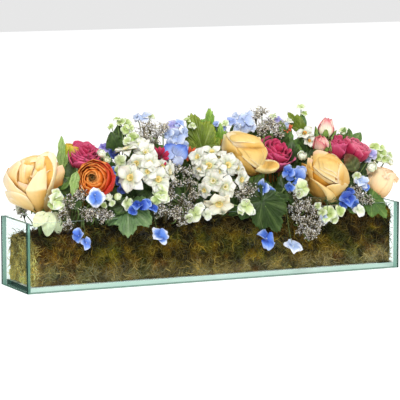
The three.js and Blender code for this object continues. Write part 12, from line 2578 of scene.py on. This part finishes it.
# painted shade: the bed's colour darkens where the lumps sink in and lightens where they swell out
B.sheet(p, 2.4, moss_colour_and_painted_light(p, 0.45 + 0 * x) * (0.50 + 0.70 * smooth(-0.6, 0.6, push))[..., None], np.stack([x * 0, y * 0, z * 0 + 0.5], -1), coarse=True)
for sx in (-1, 1):
    yv, hv = np.meshgrid(np.linspace(-Y1 + 0.8, Y1 - 0.8, 33), np.linspace(0, 1, 31))
    xe = (X1 if sx > 0 else X0)
    zv = ZB + hv * (moss_top(xe) - ZB - 2.5)
    pu = lumps(np.stack([xe + 0 * yv, yv, zv], -1))
    xv = xe + sx * np.minimum(0.8 + 2.6 * pu, 4.0)
    p = np.stack([xv + 0 * yv, yv, zv], -1)
    # painted shade: the end faces darken where the lumps sink in and lighten where they swell out
    B.sheet(p, 1.0, moss_colour_and_painted_light(p, 0.45 + 0 * yv) * (0.55 + 0.55 * smooth(-0.6, 0.6, pu))[..., None], np.zeros(p.shape) + 0.5, flip=sx < 0, coarse=True)
B.make("moss_mat", MAT["moss"], ("moss_bed",))


def strands(name, n, xa, xb, seed):
    """Curled fibres over the moss, laid against the glass at the sides and standing up on top."""
    rg = np.random.default_rng(seed)
    B = Build()
    left = xa < X0 + 5
    u = rg.random(n)
    face = np.where(u < 0.05, 0, np.where(u < 0.45, 1, np.where(u < 0.64, 2, 3)))
    x = xa + (xb - xa) * rg.random(n)
    hz = rg.random(n)
    P = np.zeros((n, 3)); N = np.zeros((n, 3))
    P[:, 0] = x
    P[:, 2] = ZB + hz * (moss_top(x) - ZB)
    P[:, 1] = (rg.random(n) * 2 - 1) * Y1
    sx = -1 if left else 1
    k = face == 0; P[k, 0] = X0 if left else X1; P[k, 2] = ZB + hz[k] * (moss_top(P[k, 0]) - ZB); N[k] = [sx, 0, 0]
    k = face == 1; P[k, 1] = -Y1; N[k] = [0, -1, 0]
    k = face == 2; P[k, 1] = Y1; N[k] = [0, 1, 0]
    k = face == 3; P[k, 2] = moss_top(P[k, 0]); N[k] = [0, 0, 1]
    pu = lumps(P)
    P = P + N * (pu * np.where(face == 3, 5.5, 2.6))[:, None]
    tan = rg.normal(size=(n, 3))
    tan -= N * (tan * N).sum(1)[:, None]
    tan /= np.linalg.norm(tan, axis=1)[:, None]
    turn = np.cross(N, tan) * (rg.random(n) * 2 - 1)[:, None]
    ln = 4 + 9 * rg.random(n)
    rise = rg.random(n) ** 1.3
    lift = (0.10 + 0.55 * rg.random(n)) * np.where(face == 3, 1.0, 0.35)
    t = np.linspace(0, 1, 4)
    q = (P - N * 0.8)[:, None] + tan[:, None] * (ln[:, None] * t)[..., None] + turn[:, None] * (ln[:, None] * 0.95 * t ** 2)[..., None]
    q = q + N[:, None] * ((ln * lift)[:, None] * np.sin(t * 2.3) + (0.5 + rise * np.where(face == 3, 1.6, 3.2))[:, None])[..., None]
    q += 0.5 * rg.normal(size=q.shape) * np.array([0, 1, 1, 1.0])[None, :, None]
    q[..., 1] = np.clip(q[..., 1], -47.2, 47.2)
    q[..., 0] = np.clip(q[..., 0], -298.2, 298.2)
    q[..., 2] = np.clip(q[..., 2], 8.9, 99)
    rn = rg.random(n)
    w = 0.30 + 0.38 * rg.random(n)
    # painted shade: fibres set low on the moss are darker, those standing off it lighter
    tint = moss_colour_and_painted_light(P, rn) * ((0.55 + 0.85 * rise) * (0.75 + 0.6 * rg.random(n)))[:, None]
    for i in range(n):
        # painted shade: each fibre darker at its root, lighter toward its tip
        B.wisp(q[i], w[i] * np.array([0.8, 1.0, 0.85]), tint[i] * np.linspace(0.7, 1.3, 4)[:, None], rn[i])
    B.make(name, MAT["moss_fibre"], ("moss_bed",))


NS = 6600
strands("moss_strands_left", NS, X0, 0.0, 11)
strands("moss_strands_right", NS, 0.0, X1, 12)


# --------------------------------------------------------- glass and foam
def glass_material(name, axis, e0, e1):
    """Clear float glass: the sheet's faces let everything through and mirror a little, its narrow polished edges show
    green. Its cut ends along x are painted near-black green and the base has a painted dark line along its foot, both
    painted shade for how light acts inside the glass.
    """
    m = bpy.data.materials.new(name)
    m.use_nodes = True
    nt = m.node_tree
    nt.nodes.clear()
    L = nt.links.new
    out = nt.nodes.new("ShaderNodeOutputMaterial")
    tex = nt.nodes.new("ShaderNodeTexCoord")
    n1 = node(nt, "ShaderNodeTexNoise", i_Scale=9.0, i_Detail=3.0)
    L(tex.outputs["Object"], n1.inputs["Vector"])
    clear = nt.nodes.new("ShaderNodeBsdfTransparent")
    cr = ramp(nt, [(0.3, (0.950, 0.985, 0.970)), (0.7, (0.965, 0.990, 0.980))], n1.outputs["Fac"])
    L(cr.outputs[0], clear.inputs[0])
    shine = nt.nodes.new("ShaderNodeBsdfPrincipled")
    shine.inputs["Base Color"].default_value = (0.95, 0.98, 0.97, 1)
    shine.inputs["Metallic"].default_value = 1.0
    shine.inputs["Roughness"].default_value = 0.03
    fr = node(nt, "ShaderNodeFresnel", i_IOR=1.5)
    geo = nt.nodes.new("ShaderNodeNewGeometry")
    inv = node(nt, "ShaderNodeMath", operation="SUBTRACT"); inv.inputs[0].default_value = 1.0; L(geo.outputs["Backfacing"], inv.inputs[1])
    mul = node(nt, "ShaderNodeMath", operation="MULTIPLY"); L(fr.outputs[0], mul.inputs[0]); L(inv.outputs[0], mul.inputs[1])
    mix1 = nt.nodes.new("ShaderNodeMixShader")
    L(mul.outputs[0], mix1.inputs[0]); L(clear.outputs[0], mix1.inputs[1]); L(shine.outputs[0], mix1.inputs[2])
    edge = nt.nodes.new("ShaderNodeBsdfPrincipled")
    er = ramp(nt, [(0.3, e0), (0.7, e1)], n1.outputs["Fac"])
    sep = nt.nodes.new("ShaderNodeSeparateXYZ"); L(tex.outputs["Normal"], sep.inputs[0])
    ax_ = node(nt, "ShaderNodeMath", operation="ABSOLUTE"); L(sep.outputs[0], ax_.inputs[0])
    gx = node(nt, "ShaderNodeMath", operation="GREATER_THAN"); gx.inputs[1].default_value = 0.6
    # painted shade: edge faces that point along x, the cut ends, are near-black green
    edge_colour_and_shade = node(nt, "ShaderNodeMix", data_type="RGBA"); edge_colour_and_shade.inputs[7].default_value = (0.014, 0.050, 0.036, 1)
    L(ax_.outputs[0], gx.inputs[0]); L(gx.outputs[0], edge_colour_and_shade.inputs[0]); L(er.outputs[0], edge_colour_and_shade.inputs[6])
    if name.endswith("base"):
        gz = nt.nodes.new("ShaderNodeSeparateXYZ"); L(tex.outputs["Generated"], gz.inputs[0])
        # painted shade: on the base only, a dark green line along the foot of its edges
        foot = node(nt, "ShaderNodeMapRange", i_From_Min=0.12, i_From_Max=0.24, i_To_Min=0.85, i_To_Max=0.0); L(gz.outputs[2], foot.inputs["Value"])
        foot_shade_line = node(nt, "ShaderNodeMix", data_type="RGBA"); foot_shade_line.inputs[7].default_value = (0.10, 0.20, 0.155, 1)
        L(foot.outputs[0], foot_shade_line.inputs[0]); L(edge_colour_and_shade.outputs[2], foot_shade_line.inputs[6])
        edge_colour_and_shade = foot_shade_line
    L(edge_colour_and_shade.outputs[2], edge.inputs["Base Color"])
    edge.inputs["Roughness"].default_value = 0.12
    edge.inputs["Transmission Weight"].default_value = 0.3
    edge.inputs["IOR"].default_value = 1.5
    ab = node(nt, "ShaderNodeMath", operation="ABSOLUTE"); L(sep.outputs[axis], ab.inputs[0])
    lt = node(nt, "ShaderNodeMath", operation="LESS_THAN"); lt.inputs[1].default_value = 0.6; L(ab.outputs[0], lt.inputs[0])
    mix2 = nt.nodes.new("ShaderNodeMixShader")
    L(lt.outputs[0], mix2.inputs[0]); L(mix1.outputs[0], mix2.inputs[1]); L(edge.outputs[0], mix2.inputs[2])
    L(mix2.outputs[0], out.inputs[0])
    return m


def repaint(node_name, mat):
    ob = bpy.data.objects[node_name]
    if not ob.material_slots:
        ob.data.materials.append(mat)
    for s in ob.material_slots:
        s.material = mat


PALE, TEAL = ((0.62, 0.79, 0.72), (0.72, 0.86, 0.80)), ((0.15, 0.33, 0.265), (0.25, 0.45, 0.375))
for n, ax, e in (("glass_front_panel", 1, PALE), ("glass_back_panel", 1, PALE), ("glass_left_end", 0, TEAL), ("glass_right_end", 0, TEAL), ("glass_base", 2, PALE)):
    repaint(n, glass_material("float_glass_" + n[6:], ax, *e))

m, nt, bs, out = nodes_of("floral_foam_cells")
tex = nt.nodes.new("ShaderNodeTexCoord")
n1 = node(nt, "ShaderNodeTexNoise", i_Scale=600.0, i_Detail=4.0)
nt.links.new(tex.outputs["Object"], n1.inputs["Vector"])
r1 = ramp(nt, [(0.3, hexc("1d3a1c")), (0.6, hexc("2f5a2c")), (0.8, hexc("477840"))], n1.outputs["Fac"])
nt.links.new(r1.outputs[0], bs.inputs["Base Color"])
bs.inputs["Roughness"].default_value = 0.95
b1 = node(nt, "ShaderNodeBump", i_Strength=0.8, i_Distance=0.001)
nt.links.new(n1.outputs["Fac"], b1.inputs["Height"]); nt.links.new(b1.outputs[0], bs.inputs["Normal"])
repaint("floral_foam", m)

# ------------------------------------------------------------------- stage
me = bpy.data.meshes.new("floor")
me.from_pydata([(-6, -6, -0.0005), (6, -6, -0.0005), (6, 6, -0.0005), (-6, 6, -0.0005)], [], [(0, 1, 2, 3)])
floor = bpy.data.objects.new("floor", me)
bpy.context.scene.collection.objects.link(floor)
m, nt, bs, out = nodes_of("floor_paint")
tex = nt.nodes.new("ShaderNodeTexCoord")
n1 = node(nt, "ShaderNodeTexNoise", i_Scale=3.0, i_Detail=2.0)
nt.links.new(tex.outputs["Object"], n1.inputs["Vector"])
r1 = ramp(nt, [(0.0, (0.66, 0.66, 0.66)), (1.0, (0.70, 0.70, 0.70))], n1.outputs["Fac"])
nt.links.new(r1.outputs[0], bs.inputs["Base Color"])
bs.inputs["Roughness"].default_value = 0.9
bs.inputs["Specular IOR Level"].default_value = 0.1
bs.inputs["Emission Color"].default_value = (1, 1, 1, 1)
bs.inputs["Emission Strength"].default_value = 0.62
me.materials.append(m)

scene = bpy.context.scene
world = bpy.data.worlds.new("studio")
scene.world = world
world.use_nodes = True
bg = world.node_tree.nodes["Background"]
bg.inputs[0].default_value = (1, 1, 1, 1)
bg.inputs[1].default_value = 0.62
wn = world.node_tree
lp = wn.nodes.new("ShaderNodeLightPath")
b2 = wn.nodes.new("ShaderNodeBackground")
b2.inputs[1].default_value = 1.0
mw = wn.nodes.new("ShaderNodeMixShader")
see = node(wn, "ShaderNodeMath", operation="MAXIMUM")
wn.links.new(lp.outputs["Is Camera Ray"], see.inputs[0])
wn.links.new(lp.outputs["Is Transmission Ray"], see.inputs[1])
wn.links.new(see.outputs[0], mw.inputs[0])
wn.links.new(bg.outputs[0], mw.inputs[1])
wn.links.new(b2.outputs[0], mw.inputs[2])
b3 = wn.nodes.new("ShaderNodeBackground")
b3.inputs[1].default_value = 0.06
mg = wn.nodes.new("ShaderNodeMixShader")
wn.links.new(lp.outputs["Is Glossy Ray"], mg.inputs[0])
wn.links.new(mw.outputs[0], mg.inputs[1])
wn.links.new(b3.outputs[0], mg.inputs[2])
wn.links.new(mg.outputs[0], wn.nodes["World Output"].inputs[0])
floor.visible_glossy = False


def area(name, loc, at, size, power, colour=(1, 1, 1)):
    d = bpy.data.lights.new(name, "AREA")
    d.shape = "RECTANGLE"
    d.size, d.size_y = size
    d.energy = power
    d.color = colour
    o = bpy.data.objects.new(name, d)
    o.location = loc
    o.rotation_euler = (Vector(at) - Vector(loc)).to_track_quat("-Z", "Y").to_euler()
    scene.collection.objects.link(o)


area("key", (-0.9, -1.6, 1.7), (0, 0, 0.12), (1.2, 0.9), 40)
area("fill", (1.6, -1.2, 0.9), (0, 0, 0.12), (1.2, 1.0), 7)
area("top", (0.2, 0.4, 1.8), (0, 0, 0.1), (1.4, 0.9), 11)

cam = bpy.data.cameras.new("camera")
cam.sensor_width = 36.0
cam.lens = 227.94
cam.clip_end = 60.0
co = bpy.data.objects.new("camera", cam)
scene.collection.objects.link(co)
az, el, dist = math.radians(-25.192), math.radians(7.146), 3.79742
target = Vector((-0.0069, 0.0, 0.11507))
back = Vector((math.sin(az) * math.cos(el), -math.cos(az) * math.cos(el), math.sin(el)))
co.location = target + back * dist
co.rotation_euler = (-back).to_track_quat("-Z", "Y").to_euler()
scene.camera = co
scene.view_settings.view_transform = "Standard"
scene.view_settings.look = "None"

print("triangles", sum(TRIS.values()), "most", sorted(TRIS.items(), key=lambda kv: -kv[1])[:5])
